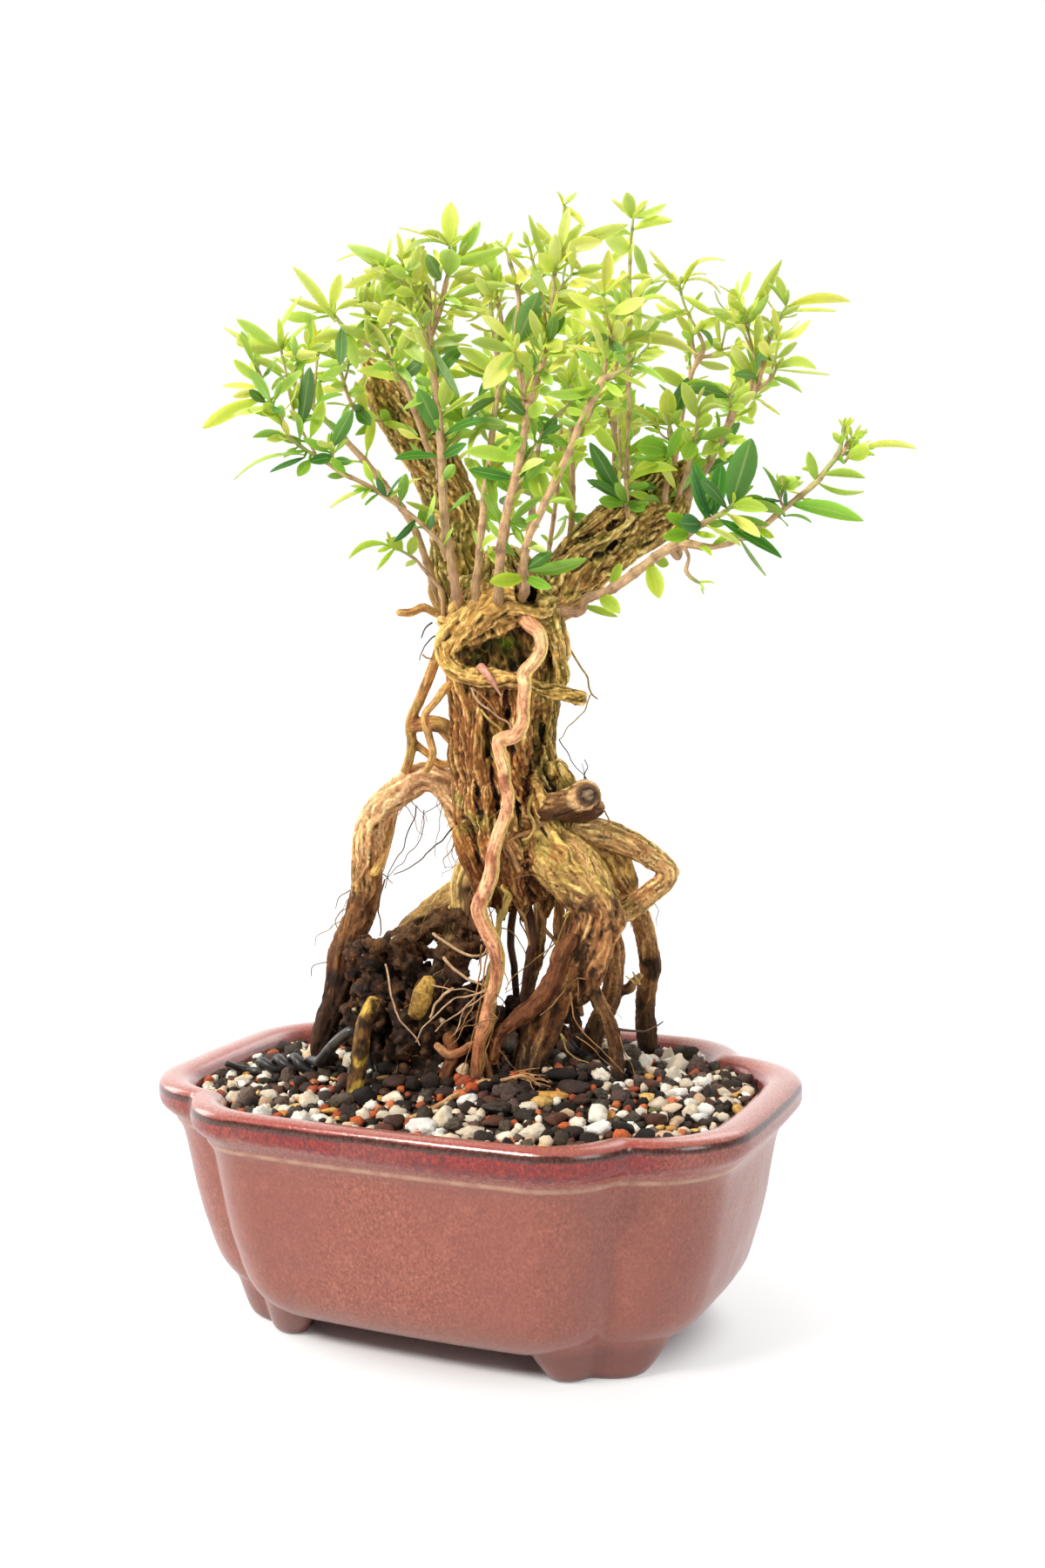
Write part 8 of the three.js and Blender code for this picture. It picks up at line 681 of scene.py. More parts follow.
    ("shoot_w", 2.2, 71.8, 329.8, 2.2, 71.8, 329.8, -1.1, 79.5, 337, 3.9, 35, 1, 0.6),
    ("shoot_w", 2.2, 71.8, 329.8, 2.2, 71.8, 329.8, 6.1, 63, 337.2, 3.5, 35, 1, 0.4),
    ("shoot_w", -7.6, 60.4, 296.9, -7.6, 60.4, 296.9, -2, 63.7, 309.3, 4.5, -18, 2, 0.6),
    ("shoot_w", -7.6, 60.4, 296.9, -7.6, 60.4, 296.9, -19.4, 51.4, 297.6, 4, 31, 2, 0.2),
    ("shoot_w", -12.1, 62.8, 302.6, -12.1, 62.8, 302.6, -22.7, 73.2, 304.5, 4.2, 5, 1, 0.2),
    ("shoot_w", -12.1, 62.8, 302.6, -12.1, 62.8, 302.6, -16.6, 51.2, 308.9, 3.8, 35, 1, 0.9),
    ("shoot_w", -15.3, 65, 308, -15.3, 65, 308, -27.3, 60.8, 317, 4.9, 12, 2, 0),
    ("shoot_w", -15.3, 65, 308, -15.3, 65, 308, -9.3, 79, 313, 5.6, 44, 2, 1.1),
    ("shoot_w", -16.7, 66.8, 313.7, -16.7, 66.8, 313.7, -8, 60.6, 325.9, 4.4, 48, 1, 1),
    ("shoot_w", -16.7, 66.8, 313.7, -16.7, 66.8, 313.7, -23.3, 78.1, 319.7, 4, -49, 3, 1),
    ("shoot_w", -17.3, 68.1, 318.3, -17.3, 68.1, 318.3, -5.8, 75.5, 321.5, 5.1, 35, 1, 0.4),
    ("shoot_w", -17.3, 68.1, 318.3, -17.3, 68.1, 318.3, -29.4, 71.5, 320.8, 4, 38, 2, 0.4),
    ("shoot_x", 18.4, 47.4, 260.9, 18.4, 47.4, 260.9, 4.9, 53.3, 267.8, 6.2, -32, 2, 0.8),
    ("shoot_x", 17.5, 49.6, 265.3, 17.5, 49.6, 265.3, 13, 60.3, 264.5, 3.3, 4, 2, 0.3),
    ("shoot_x", 17.5, 49.6, 265.3, 17.5, 49.6, 265.3, 16.3, 42.9, 280.6, 5.6, 16, 1, 1.1),
    ("shoot_x", 16.4, 52.7, 271.9, 16.4, 52.7, 271.9, 8.4, 63.1, 272.4, 4.8, 36, 2, 0.4),
    ("shoot_x", 16.4, 52.7, 271.9, 16.4, 52.7, 271.9, 22.1, 51.4, 282.7, 4.2, -44, 1, 1),
    ("shoot_x", 15.4, 55.9, 278.4, 15.4, 55.9, 278.4, 5.5, 50.4, 285.7, 4.4, -44, 3, 0.2),
    ("shoot_x", 15.4, 55.9, 278.4, 15.4, 55.9, 278.4, 13, 71, 280.1, 6, -27, 2, 0.6),
    ("shoot_x", 15.5, 59.2, 283.7, 15.5, 59.2, 283.7, 26.5, 66.8, 293.3, 5.7, 39, 1, 0.8),
    ("shoot_x", 15.5, 59.2, 283.7, 15.5, 59.2, 283.7, 4.4, 56.7, 289.9, 3.8, 45, 2, 0.8),
    ("shoot_x", 15.9, 63.3, 290, 15.9, 63.3, 290, 16.4, 74.4, 289.6, 3.1, -44, 3, 0.1),
    ("shoot_x", 15.9, 63.3, 290, 15.9, 63.3, 290, 9.7, 60.4, 301, 4.9, 11, 2, 0.5),
    ("shoot_x", 17.8, 67.5, 296.3, 17.8, 67.5, 296.3, 9, 75.3, 298.4, 4.7, -47, 1, 0.4),
    ("shoot_x", 17.8, 67.5, 296.3, 17.8, 67.5, 296.3, 26.2, 64.1, 303, 3.8, -24, 3, 1),
    ("shoot_x", 18.9, 70.2, 300.6, 18.9, 70.2, 300.6, 24.1, 67.1, 310.7, 3.7, 6, 2, 0.2),
    ("shoot_x", 18.9, 70.2, 300.6, 18.9, 70.2, 300.6, 22.8, 83.8, 300.9, 4, -4, 3, 1.2),
    ("shoot_x", 19.7, 72.8, 304.9, 19.7, 72.8, 304.9, 28.9, 67.8, 310.1, 4.4, -38, 2, 0.4),
    ("shoot_x", 19.7, 72.8, 304.9, 19.7, 72.8, 304.9, 10.2, 85.6, 308, 5.9, 2, 2, 1),
    ("shoot_x", 20.8, 76.1, 310.3, 20.8, 76.1, 310.3, 27.4, 85.1, 313.3, 3.5, -35, 1, 0.6),
    ("shoot_x", 20.8, 76.1, 310.3, 20.8, 76.1, 310.3, 27.3, 68.9, 320.6, 4, 42, 2, 0.2),
    ("shoot_x", 21.2, 78.5, 317.3, 21.2, 78.5, 317.3, 10, 83.7, 325.6, 4.8, -26, 1, 0.9),
    ("shoot_x", 21.2, 78.5, 317.3, 21.2, 78.5, 317.3, 29.2, 83.8, 324.7, 3.9, 36, 1, 0.8),
    ("shoot_y", 35.6, 54.8, 269.3, 35.6, 54.8, 269.3, 46.4, 56.7, 275.1, 3.7, -50, 1, 0.1),
    ("shoot_y", 35.6, 54.8, 269.3, 35.6, 54.8, 269.3, 26.7, 62, 270.1, 4, 14, 2, 0.1),
    ("shoot_y", 34, 58.7, 275.5, 34, 58.7, 275.5, 39.5, 71.1, 273.5, 5.3, 15, 2, 0),
    ("shoot_y", 34, 58.7, 275.5, 34, 58.7, 275.5, 27.4, 57.3, 285.9, 4.5, 9, 1, 0.5),
    ("shoot_y", 33, 61.8, 280.9, 33, 61.8, 280.9, 25.5, 73.8, 285.5, 5, -12, 3, 1.1),
    ("shoot_y", 33, 61.8, 280.9, 33, 61.8, 280.9, 39.2, 62.1, 293.7, 3.9, 26, 2, 0.8),
    ("shoot_y", 31.8, 65.5, 287.5, 31.8, 65.5, 287.5, 36.4, 54.7, 299.2, 6.3, 16, 1, 0.1),
    ("shoot_y", 31.8, 65.5, 287.5, 31.8, 65.5, 287.5, 35, 80.6, 292.1, 5.1, 7, 2, 0),
    ("shoot_y", 31.1, 67.8, 291.9, 31.1, 67.8, 291.9, 22.3, 77, 290, 4.4, 6, 1, 0.1),
    ("shoot_y", 30.5, 69.9, 296.4, 30.5, 69.9, 296.4, 24.7, 83.4, 299.6, 5, 16, 1, 1),
    ("shoot_y", 30.5, 69.9, 296.4, 30.5, 69.9, 296.4, 28.1, 66.7, 307.7, 4.4, 31, 2, 0.2),
    ("shoot_y", 29.7, 72.5, 301.9, 29.7, 72.5, 301.9, 18.6, 77.9, 307.1, 3.7, -31, 2, 0.7),
    ("shoot_y", 29.1, 74.3, 306.4, 29.1, 74.3, 306.4, 25, 68.3, 318.6, 5.1, 26, 2, 0.7),
    ("shoot_y", 29.1, 74.3, 306.4, 29.1, 74.3, 306.4, 23.6, 87.6, 308.3, 4.7, -42, 1, 0.5),
    ("shoot_y", 28.5, 76, 310.8, 28.5, 76, 310.8, 21.1, 59.8, 319.9, 5.2, 73, 1, 0.7),
    ("shoot_y", 28, 77.6, 315.5, 28, 77.6, 315.5, 29.1, 94.1, 319.4, 4.7, -36, 1, 0.7),
    ("shoot_y", 28, 77.6, 315.5, 28, 77.6, 315.5, 29, 63.2, 323.3, 6.5, 4, 1, 1.1),
    ("shoot_y", 27.9, 78.9, 320.5, 27.9, 78.9, 320.5, 20.5, 79.5, 330.7, 5.3, -8, 2, 0.2),
    ("shoot_y", 27.8, 80.1, 325.6, 27.8, 80.1, 325.6, 22.1, 75.2, 334.1, 3.4, -12, 2, 1.1),
    ("shoot_z", 59.6, 56.9, 267.5, 59.6, 56.9, 267.5, 72, 55.6, 273, 4.8, -43, 3, 0.5),
    ("shoot_z", 59.6, 56.9, 267.5, 59.6, 56.9, 267.5, 48.4, 67, 268.6, 5.6, 48, 3, 0.1),
    ("shoot_z", 60.3, 61.7, 271, 60.3, 61.7, 271, 65.9, 75.8, 265.7, 4.4, 15, 2, 0.5),
    ("shoot_z", 60.3, 61.7, 271, 60.3, 61.7, 271, 50.6, 61.8, 278.4, 4.6, -45, 2, 0.9),
    ("shoot_z", 60.9, 66.4, 274.9, 60.9, 66.4, 274.9, 55.6, 78.2, 275.7, 3.9, -37, 1, 0.3),
    ("shoot_z", 60.9, 66.4, 274.9, 60.9, 66.4, 274.9, 71.3, 65.5, 285.6, 4.9, 8, 3, 1.1),
    ("shoot_z", 61.7, 71.9, 279.8, 61.7, 71.9, 279.8, 70.3, 82.3, 279.9, 5, -40, 1, 0.8),
    ("shoot_z", 62.2, 76.2, 284, 62.2, 76.2, 284, 68.5, 77.7, 295.2, 3.7, 10, 1, 0.5),
    ("shoot_z", 62.2, 76.2, 284, 62.2, 76.2, 284, 59.9, 92.3, 282.1, 6.2, 37, 3, 0.8),
    ("shoot_z", 62.8, 81.5, 289.1, 62.8, 81.5, 289.1, 53.3, 88.6, 300.6, 4.8, -25, 2, 1.1),
    ("shoot_z", 63.2, 85, 292.5, 63.2, 85, 292.5, 59.8, 99.5, 288.9, 5.4, 45, 1, 0.9),
    ("shoot_z", 63.2, 85, 292.5, 63.2, 85, 292.5, 72.3, 87.7, 302, 4.8, 20, 1, 1.1),
    ("shoot_z", 65.7, 90.3, 296.8, 65.7, 90.3, 296.8, 63.9, 86.9, 309.6, 4.7, 2, 3, 0),
    ("shoot_z", 67, 94.2, 302.5, 67, 94.2, 302.5, 72.7, 84.5, 315.1, 4.8, 30, 3, 0.8),
    ("shoot_z", 67, 94.2, 302.5, 67, 94.2, 302.5, 68, 105.7, 302.8, 4, -28, 1, 0),
    ("shoot_z", 62.6, 83.2, 289.7, 62.6, 83.2, 289.7, 54.8, 88.1, 300.5, 4.7, 47, 1, 0.9),
    ("shoot_z", 62.5, 87.1, 293, 62.5, 87.1, 293, 69.1, 87.8, 305.6, 5, 25, 3, 0.6),
    ("shoot_z", 62.5, 87.1, 293, 62.5, 87.1, 293, 58.7, 96.2, 288.1, 3.2, -6, 2, 0.5),
    ("shoot_z", 60.6, 92.6, 298.2, 60.6, 92.6, 298.2, 68.4, 102.6, 302.2, 3.6, 42, 1, 1),
    ("shoot_z", 60.6, 92.6, 298.2, 60.6, 92.6, 298.2, 47.5, 94.7, 300.6, 4.1, -21, 2, 1.1),
]
# stones that can be made out one by one: x, y, half width, half height, kind
STONES = [
        (-73.2, -23.5, 3.44, 2.01, "w"), (-65.2, -41.3, 2.5, 2.36, "w"), (-54.7, -36.8, 3.32, 2.36, "w"), (-47.7, -48.9, 2.7, 2.43, "w"), (-42.1, -47.3, 2.97, 1.62, "w"),
        (-57.8, -23.7, 1.7, 1.13, "w"), (-63.3, -29.2, 1.69, 1.69, "w"), (-63.7, -33.7, 1.4, 1.68, "t"), (-51.0, -33.8, 1.94, 1.11, "w"), (-45.5, -34.8, 1.93, 1.1, "w"),
        (-42.7, -37.2, 1.65, 0.82, "o"), (-52.9, -19.9, 1.14, 0.71, "o"), (-39.4, -28.4, 2.22, 1.39, "o"), (-44.2, -20.5, 2.4, 1.41, "w"), (-37.9, -24.3, 0.84, 1.39, "w"),
        (-25.5, -40.4, 4.44, 3.23, "l"), (-31.3, -39.6, 0.81, 0.95, "w"), (-34.1, -42.8, 2.43, 1.49, "l"), (-36.9, -49.0, 2.95, 1.88, "l"), (-28.0, -50.7, 3.58, 1.73, "w"),
        (-14.6, -54.7, 2.22, 1.57, "t"), (-6.7, -55.4, 2.72, 1.42, "w"), (-14.1, -47.1, 2.38, 2.64, "w"), (-15.6, -40.4, 2.94, 2.14, "w"), (-7.9, -45.3, 2.64, 1.58, "w"),
        (-1.5, -50.9, 3.38, 2.6, "b"), (-10.9, -34.4, 3.63, 2.55, "w"), (8.4, -51.6, 4.89, 3.48, "w"), (14.2, -52.3, 2.05, 1.79, "w"), (-22.5, -19.8, 2.22, 0.69, "y"),
        (-16.9, -13.7, 1.4, 0.84, "y"), (-8.7, -21.3, 1.1, 0.55, "y"), (-7.7, -30.2, 1.08, 0.95, "o"), (-6.7, -39.3, 1.06, 0.8, "o"), (4.3, -32.2, 1.07, 1.47, "o"),
        (0.5, -39.8, 1.06, 0.79, "y"), (2.8, -36.8, 0.66, 0.53, "o"), (9.8, -42.7, 1.04, 1.04, "g"), (17.0, -48.1, 2.83, 2.57, "l"), (24.2, -51.2, 4.32, 2.16, "w"),
        (19.9, -40.8, 2.6, 1.69, "w"), (13.3, -31.5, 3.45, 2.65, "w"), (11.0, -39.3, 2.1, 1.31, "w"), (-86.9, 5.4, 1.97, 1.36, "w"), (-80.9, 5.0, 1.96, 1.2, "w"),
        (-86.0, -3.0, 1.79, 0.75, "o"), (-80.9, -6.8, 2.07, 1.33, "w"), (-76.5, 15.5, 2.74, 1.22, "w"), (-83.8, 25.3, 2.17, 0.93, "y"), (-77.5, 22.2, 2.16, 1.39, "o"),
        (-47.0, -1.8, 1.02, 1.31, "w"), (-78.3, -34.0, 1.13, 0.71, "w"), (-75.8, -30.8, 1.14, 0.85, "t"), (-55.0, -45.7, 2.32, 2.6, "k"), (-35.9, -53.6, 1.06, 0.4, "w"),
        (-46.1, -28.0, 2.79, 1.54, "b"), (-60.3, -25.6, 2.27, 1.13, "b"), (22.9, -24.5, 4.52, 3.46, "r"), (27.1, -21.5, 2.67, 1.87, "l"), (24.5, -34.1, 4.71, 1.83, "l"),
        (32.9, -29.2, 3.14, 1.44, "w"), (34.7, -34.9, 3.89, 2.07, "l"), (26.5, -40.6, 3.62, 1.68, "b"), (27.4, -50.1, 1.02, 2.03, "w"), (34.4, -48.9, 3.29, 1.9, "w"),
        (41.1, -44.5, 4.31, 2.79, "w"), (34.1, -18.3, 4.53, 0.93, "y"), (38.6, -19.3, 3.45, 1.19, "y"), (35.4, -25.1, 3.42, 1.58, "y"), (42.8, -25.0, 3.67, 1.7, "k"),
        (44.3, -34.7, 3.6, 1.93, "b"), (41.4, -14.4, 5.07, 2.27, "b"), (46.4, -20.0, 2.63, 1.97, "b"), (34.4, -7.5, 5.69, 1.76, "k"), (49.9, -32.3, 3.09, 1.8, "w"),
        (58.9, -36.6, 3.8, 3.04, "w"), (52.5, -41.0, 3.29, 1.9, "k"), (45.7, -43.8, 2.03, 2.03, "k"), (45.7, -34.9, 1.03, 1.03, "l"), (45.4, -2.3, 3.25, 2.44, "w"),
        (44.4, 7.9, 1.93, 1.66, "w"), (38.1, 10.9, 1.95, 0.84, "w"), (49.8, -12.9, 2.66, 1.86, "l"), (52.7, -22.3, 3.65, 2.35, "l"), (52.3, -13.0, 0.8, 1.06, "w"),
        (56.2, -12.7, 3.17, 2.65, "r"), (56.5, -19.9, 1.57, 1.05, "w"), (60.1, -21.7, 2.34, 1.3, "w"), (64.4, -24.2, 3.35, 2.32, "l"), (64.9, -32.4, 3.56, 1.91, "k"),
        (71.2, -22.6, 3.34, 2.19, "b"), (71.1, -31.6, 2.03, 1.39, "g"), (76.5, -28.8, 3.29, 0.76, "t"), (64.7, -15.7, 1.31, 1.44, "o"), (60.0, -10.9, 0.93, 1.06, "o"),
        (56.5, -3.4, 2.42, 1.07, "o"), (52.9, 2.2, 1.77, 1.09, "w"), (53.0, 8.6, 1.92, 1.1, "l"), (49.2, 2.0, 1.23, 1.91, "k"), (38.3, 42.1, 2.63, 2.19, "o"),
        (23.0, 71.3, 1.39, 1.39, "w"), (24.1, 81.2, 1.25, 0.94, "t"), (47.4, 35.3, 2.88, 1.73, "w"), (53.5, 33.1, 3.71, 2.28, "w"), (55.0, 15.6, 2.49, 2.08, "t"),
        (62.2, 16.1, 3.04, 2.76, "w"), (68.3, 12.1, 2.73, 1.91, "w"), (70.7, 19.8, 3.59, 1.93, "w"), (65.3, 27.7, 2.38, 1.82, "o"), (60.2, 9.6, 1.09, 1.78, "o"),
        (75.7, 12.0, 1.49, 1.49, "o"), (70.2, -4.9, 2.12, 1.33, "o"), (68.9, 3.3, 3.5, 1.75, "w"), (73.7, 6.4, 2.16, 1.75, "w"), (72.2, -11.3, 3.27, 1.57, "t"),
        (76.4, -18.9, 2.32, 1.55, "t"), (80.3, -23.1, 2.3, 1.15, "w"), (76.6, -24.6, 2.3, 0.89, "y"), (83.1, -21.7, 1.28, 0.64, "y"), (75.5, -4.8, 2.64, 1.98, "w"),
        (80.9, -7.7, 3.4, 2.75, "w"), (81.6, -13.6, 2.59, 1.55, "w"), (80.0, 1.3, 1.6, 1.33, "w"), (87.3, -8.7, 1.95, 1.56, "w"), (78.9, 23.1, 4.14, 1.65, "k"),
        (54.7, 47.1, 5.24, 3.64, "l"), (71.7, 35.6, 3.39, 1.56, "t"), (72.0, 29.5, 1.68, 0.98, "k"), (81.0, 12.6, 2.98, 1.76, "w"), (85.8, 19.3, 2.32, 1.5, "t"),
        (87.1, 11.0, 2.96, 1.07, "b"), (89.2, 0.3, 2.11, 1.71, "y"), (85.9, -0.5, 1.85, 1.98, "k"), (84.4, -16.2, 2.32, 1.16, "l"), (78.9, -16.0, 1.03, 1.55, "k"),
        (59.8, 3.0, 3.25, 1.62, "b"), (62.4, -10.4, 1.85, 1.85, "k"), (65.7, -5.1, 1.86, 1.99, "k"), (67.5, -15.1, 1.57, 1.18, "g2"), (31.7, 13.9, 1.55, 1.69, "w"),
        (11.7, 54.9, 2.13, 1.37, "w"), (28.2, 6.5, 1.53, 1.11, "w"), (29.2, -8.0, 1.22, 1.36, "t"), (37.4, 63.0, 3.02, 1.96, "k"), (91.3, 11.8, 1.61, 1.07, "k"),
        (13.8, -20.5, 1.62, 1.48, "t"), (90.5, 6.5, 1.33, 0.93, "l"),
]
# fine roots: points, radius at each end, kind
HAIRS = [
    ([(29.2, 11.5, 217.1), (32.1, 12.9, 213.2), (34.5, 14.0, 208.5), (36.8, 15.1, 203.8), (37.5, 15.4, 199.9), (39.2, 16.2, 198.2)], 0.42, 0.28, "y"),
    ([(37.2, 15.3, 199.4), (35.2, 14.3, 194.2), (32.6, 13.1, 191.2), (30.6, 12.2, 189.4), (29.0, 11.4, 186.4), (28.0, 11.0, 185.6)], 0.25, 0.15, "y"),
    ([(28.0, 11.0, 185.6), (29.9, 11.9, 181.9), (31.8, 12.8, 178.0), (34.3, 13.9, 175.2), (36.2, 14.8, 172.3), (37.4, 15.4, 170.6)], 0.2, 0.12, "d"),
    ([(36.7, 10.7, 170.9), (36.6, 10.6, 174.7), (37.6, 11.1, 177.2), (36.7, 10.6, 179.4)], 0.22, 0.14, "d"),
    ([(37.7, 11.1, 170.0), (36.3, 10.5, 175.6), (35.9, 10.3, 178.3)], 0.15, 0.1, "d"),
    ([(11.0, -14.7, 203.4), (14.0, -13.3, 200.6), (16.4, -12.2, 196.8), (17.7, -11.6, 193.5)], 0.3, 0.2, "t"),
    ([(-14.8, -29.1, 118.6), (-14.2, -28.8, 114.5), (-13.4, -28.4, 106.8), (-11.6, -27.6, 102.3), (-9.8, -26.7, 98.9), (-6.9, -25.4, 95.0), (-6.0, -24.9, 92.7)], 0.36, 0.24, "p"),
    ([(-3.0, -19.1, 127.1), (0.4, -17.5, 124.2), (4.7, -15.5, 120.8), (8.6, -13.6, 119.5), (11.1, -12.5, 120.6), (12.1, -12.0, 122.7)], 0.55, 0.4, "p"),
    ([(0.7, -19.6, 119.7), (3.0, -18.5, 116.3), (6.9, -16.7, 112.9), (11.7, -14.4, 110.5), (15.1, -12.8, 108.7)], 0.6, 0.35, "p"),
    ([(11.3, -14.6, 123.5), (10.9, -14.8, 116.6), (9.7, -15.3, 109.7), (7.6, -16.3, 102.9), (4.5, -17.8, 97.4), (1.5, -19.2, 94.2)], 0.3, 0.18, "t"),
    ([(13.5, -14.7, 122.2), (12.3, -15.2, 114.0), (11.1, -15.8, 105.8), (9.1, -16.7, 97.5), (7.8, -17.3, 92.0)], 0.32, 0.2, "t"),
    ([(14.8, -15.1, 110.1), (10.5, -17.1, 106.1), (6.1, -19.2, 103.4), (1.6, -21.4, 100.2), (-1.5, -22.8, 97.0)], 0.3, 0.2, "p"),
    ([(13.6, -15.7, 109.3), (8.6, -18.0, 108.3), (2.7, -20.8, 106.3), (-1.3, -22.7, 102.0), (-4.9, -24.4, 98.2), (-7.0, -25.4, 93.9)], 0.34, 0.22, "p"),
    ([(12.6, -16.2, 109.8), (8.6, -18.1, 106.1), (6.0, -19.3, 101.2), (3.9, -20.3, 95.7)], 0.28, 0.18, "p"),
    ([(15.6, -14.8, 111.4), (13.5, -15.8, 105.4), (12.4, -16.3, 100.5), (9.8, -17.5, 95.0), (7.7, -18.5, 90.1), (5.5, -19.5, 84.0)], 0.26, 0.16, "t"),
    ([(16.4, -15.5, 106.1), (15.2, -16.0, 99.0), (13.6, -16.8, 92.4), (12.4, -17.4, 86.3), (11.4, -17.9, 82.5)], 0.24, 0.16, "t"),
    ([(3.3, -19.4, 110.2), (0.3, -20.8, 108.3), (-2.2, -22.0, 104.0), (-3.3, -22.5, 101.2)], 0.5, 0.4, "p"),
    ([(-2.5, -22.2, 111.7), (2.4, -19.9, 109.9), (6.8, -17.8, 109.8), (10.7, -16.0, 108.6)], 0.3, 0.2, "p"),
    ([(17.7, -7.2, 143.1), (16.6, -7.7, 137.7), (15.5, -8.2, 132.7), (13.9, -8.9, 128.9), (12.8, -9.5, 123.4)], 0.35, 0.25, "y"),
    ([(13.7, 10.9, 132.2), (13.1, 10.6, 126.5), (15.0, 11.5, 121.3), (14.3, 11.2, 114.4)], 0.3, 0.2, "d"),
    ([(7.3, 5.7, 125.1), (10.3, 7.1, 124.1), (13.3, 8.5, 120.6), (15.2, 9.4, 116.0), (15.6, 9.5, 109.7)], 0.25, 0.15, "y"),
    ([(29.4, 2.8, 122.6), (24.8, 0.6, 118.3), (20.8, -1.3, 115.1), (16.7, -3.2, 111.3), (14.1, -4.4, 107.4)], 0.25, 0.15, "y"),
    ([(28.0, 3.2, 123.9), (25.4, 2.0, 117.5), (21.8, 0.3, 112.6), (17.7, -1.6, 108.8), (13.6, -3.5, 106.1)], 0.2, 0.12, "d"),
    ([(41.1, 6.1, 150.4), (40.6, 5.8, 146.5), (39.5, 5.3, 143.8), (38.5, 4.9, 141.6), (39.4, 5.3, 138.8), (36.4, 3.9, 135.6), (33.9, 2.7, 132.4), (32.3, 1.9, 128.5), (30.2, 0.9, 122.5)], 0.4, 0.25, "y"),
    ([(42.7, 7.9, 148.8), (43.1, 8.1, 144.6), (42.1, 7.6, 140.8), (40.0, 6.7, 138.1), (41.4, 7.3, 134.7), (43.4, 8.3, 132.4)], 0.25, 0.15, "d"),
    ([(37.8, 4.5, 156.0), (40.7, 5.9, 152.6), (43.1, 7.0, 150.3), (45.6, 8.2, 149.1)], 0.25, 0.15, "t"),
    ([(22.4, -6.1, 156.8), (25.3, -4.7, 157.9), (26.4, -4.2, 160.5), (27.9, -3.5, 162.1)], 0.3, 0.2, "t"),
    ([(20.3, -7.0, 154.2), (23.3, -5.6, 155.7), (26.7, -4.0, 155.1), (29.7, -2.6, 156.1)], 0.25, 0.15, "d"),
    ([(23.8, -4.3, 152.6), (21.7, -5.2, 148.5), (19.7, -6.2, 145.8), (18.7, -6.7, 142.6)], 0.3, 0.2, "t"),
    ([(-14.1, -2.2, 163.6), (-15.1, -2.7, 155.1), (-18.8, -4.4, 149.6), (-22.5, -6.2, 145.2), (-25.1, -7.4, 142.4), (-26.7, -8.1, 140.7)], 0.18, 0.1, "d"),
    ([(-16.3, -3.3, 165.0), (-17.0, -3.6, 160.8), (-19.1, -4.6, 156.4), (-20.3, -5.1, 151.9), (-22.9, -6.4, 147.4), (-25.1, -7.4, 143.0), (-26.2, -7.9, 138.5)], 0.25, 0.14, "d"),
    ([(-5.0, -0.1, 157.9), (-7.6, -1.4, 154.6), (-10.7, -2.8, 151.4), (-15.4, -5.0, 147.5), (-19.0, -6.7, 144.8), (-22.6, -8.4, 143.2)], 0.3, 0.16, "d"),
    ([(-25.7, -8.8, 141.5), (-27.4, -9.6, 135.8), (-28.0, -9.9, 131.9), (-27.1, -9.4, 127.9), (-27.7, -9.7, 123.3)], 0.28, 0.2, "d"),
    ([(-21.4, -6.8, 163.9), (-22.6, -7.3, 158.3), (-23.3, -7.6, 153.8), (-24.9, -8.4, 148.8), (-26.1, -9.0, 144.3)], 0.32, 0.22, "t"),
    ([(37.6, -6.6, 108.5), (38.6, -6.1, 100.2), (43.4, -3.9, 92.9), (48.2, -1.6, 87.8), (52.0, 0.2, 82.7)], 0.28, 0.16, "t"),
    ([(39.8, -7.8, 95.2), (43.2, -6.2, 92.3), (46.5, -4.6, 88.4), (49.9, -3.1, 85.0)], 0.22, 0.14, "t"),
    ([(50.5, 1.7, 93.8), (51.4, 2.1, 89.4), (53.3, 3.0, 84.9), (54.7, 3.6, 80.9)], 0.2, 0.12, "t"),
    ([(36.9, -9.2, 93.9), (35.5, -9.8, 96.4), (35.9, -9.6, 93.7), (37.3, -9.0, 90.9), (40.2, -7.6, 88.0), (43.1, -6.3, 86.8)], 0.28, 0.2, "y"),
    ([(55.7, 6.3, 109.8), (54.7, 5.9, 112.0), (53.8, 5.4, 113.7)], 0.45, 0.3, "y"),
    ([(54.2, 5.6, 110.1), (52.5, 4.8, 111.5), (51.6, 4.4, 112.6)], 0.3, 0.2, "y"),
    ([(-5.4, -9.2, 223.4), (-7.4, -10.1, 221.6), (-8.5, -10.6, 218.9)], 0.3, 0.2, "d"),
    ([(-5.5, -7.0, 219.3), (-7.5, -8.0, 217.7), (-9.1, -8.7, 215.6), (-10.2, -9.2, 211.8)], 0.25, 0.15, "d"),
    ([(-8.2, -10.5, 213.5), (-7.2, -10.0, 212.4), (-5.7, -9.3, 212.3)], 0.35, 0.25, "t"),
]
LITTER = [
    ([(49.0, 3.2, 95.8), (51.5, 6.5, 94.7), (54.7, 10.3, 93.8), (57.0, 13.5, 94.3), (58.7, 17.7, 95.5)], 0.5, 0.22),
]
TWIG = [(-0.6, -50.8, 75.6), (1.5, -46.5, 76.2), (4.5, -41.1, 77.1), (6.5, -36.2, 78.2), (8.6, -30.5, 79.5), (11.2, -24.9, 81.0), (13.9, -20.6, 82.1), (18.7, -18.8, 82.3), (23.3, -15.1, 82.9), (27.3, -13.5, 82.8)]
WIRE_A = [[-28.67, -16.81, 79.64, 1.7], [-30.93, -17.87, 88.3, 1.7], [-33.55, -19.1, 93.52, 1.8], [-37.42, -19.82, 91.37, 1.85], [-41.64, -19.59, 87.52, 1.85], [-47.77, -16.95, 81.99, 1.8]]
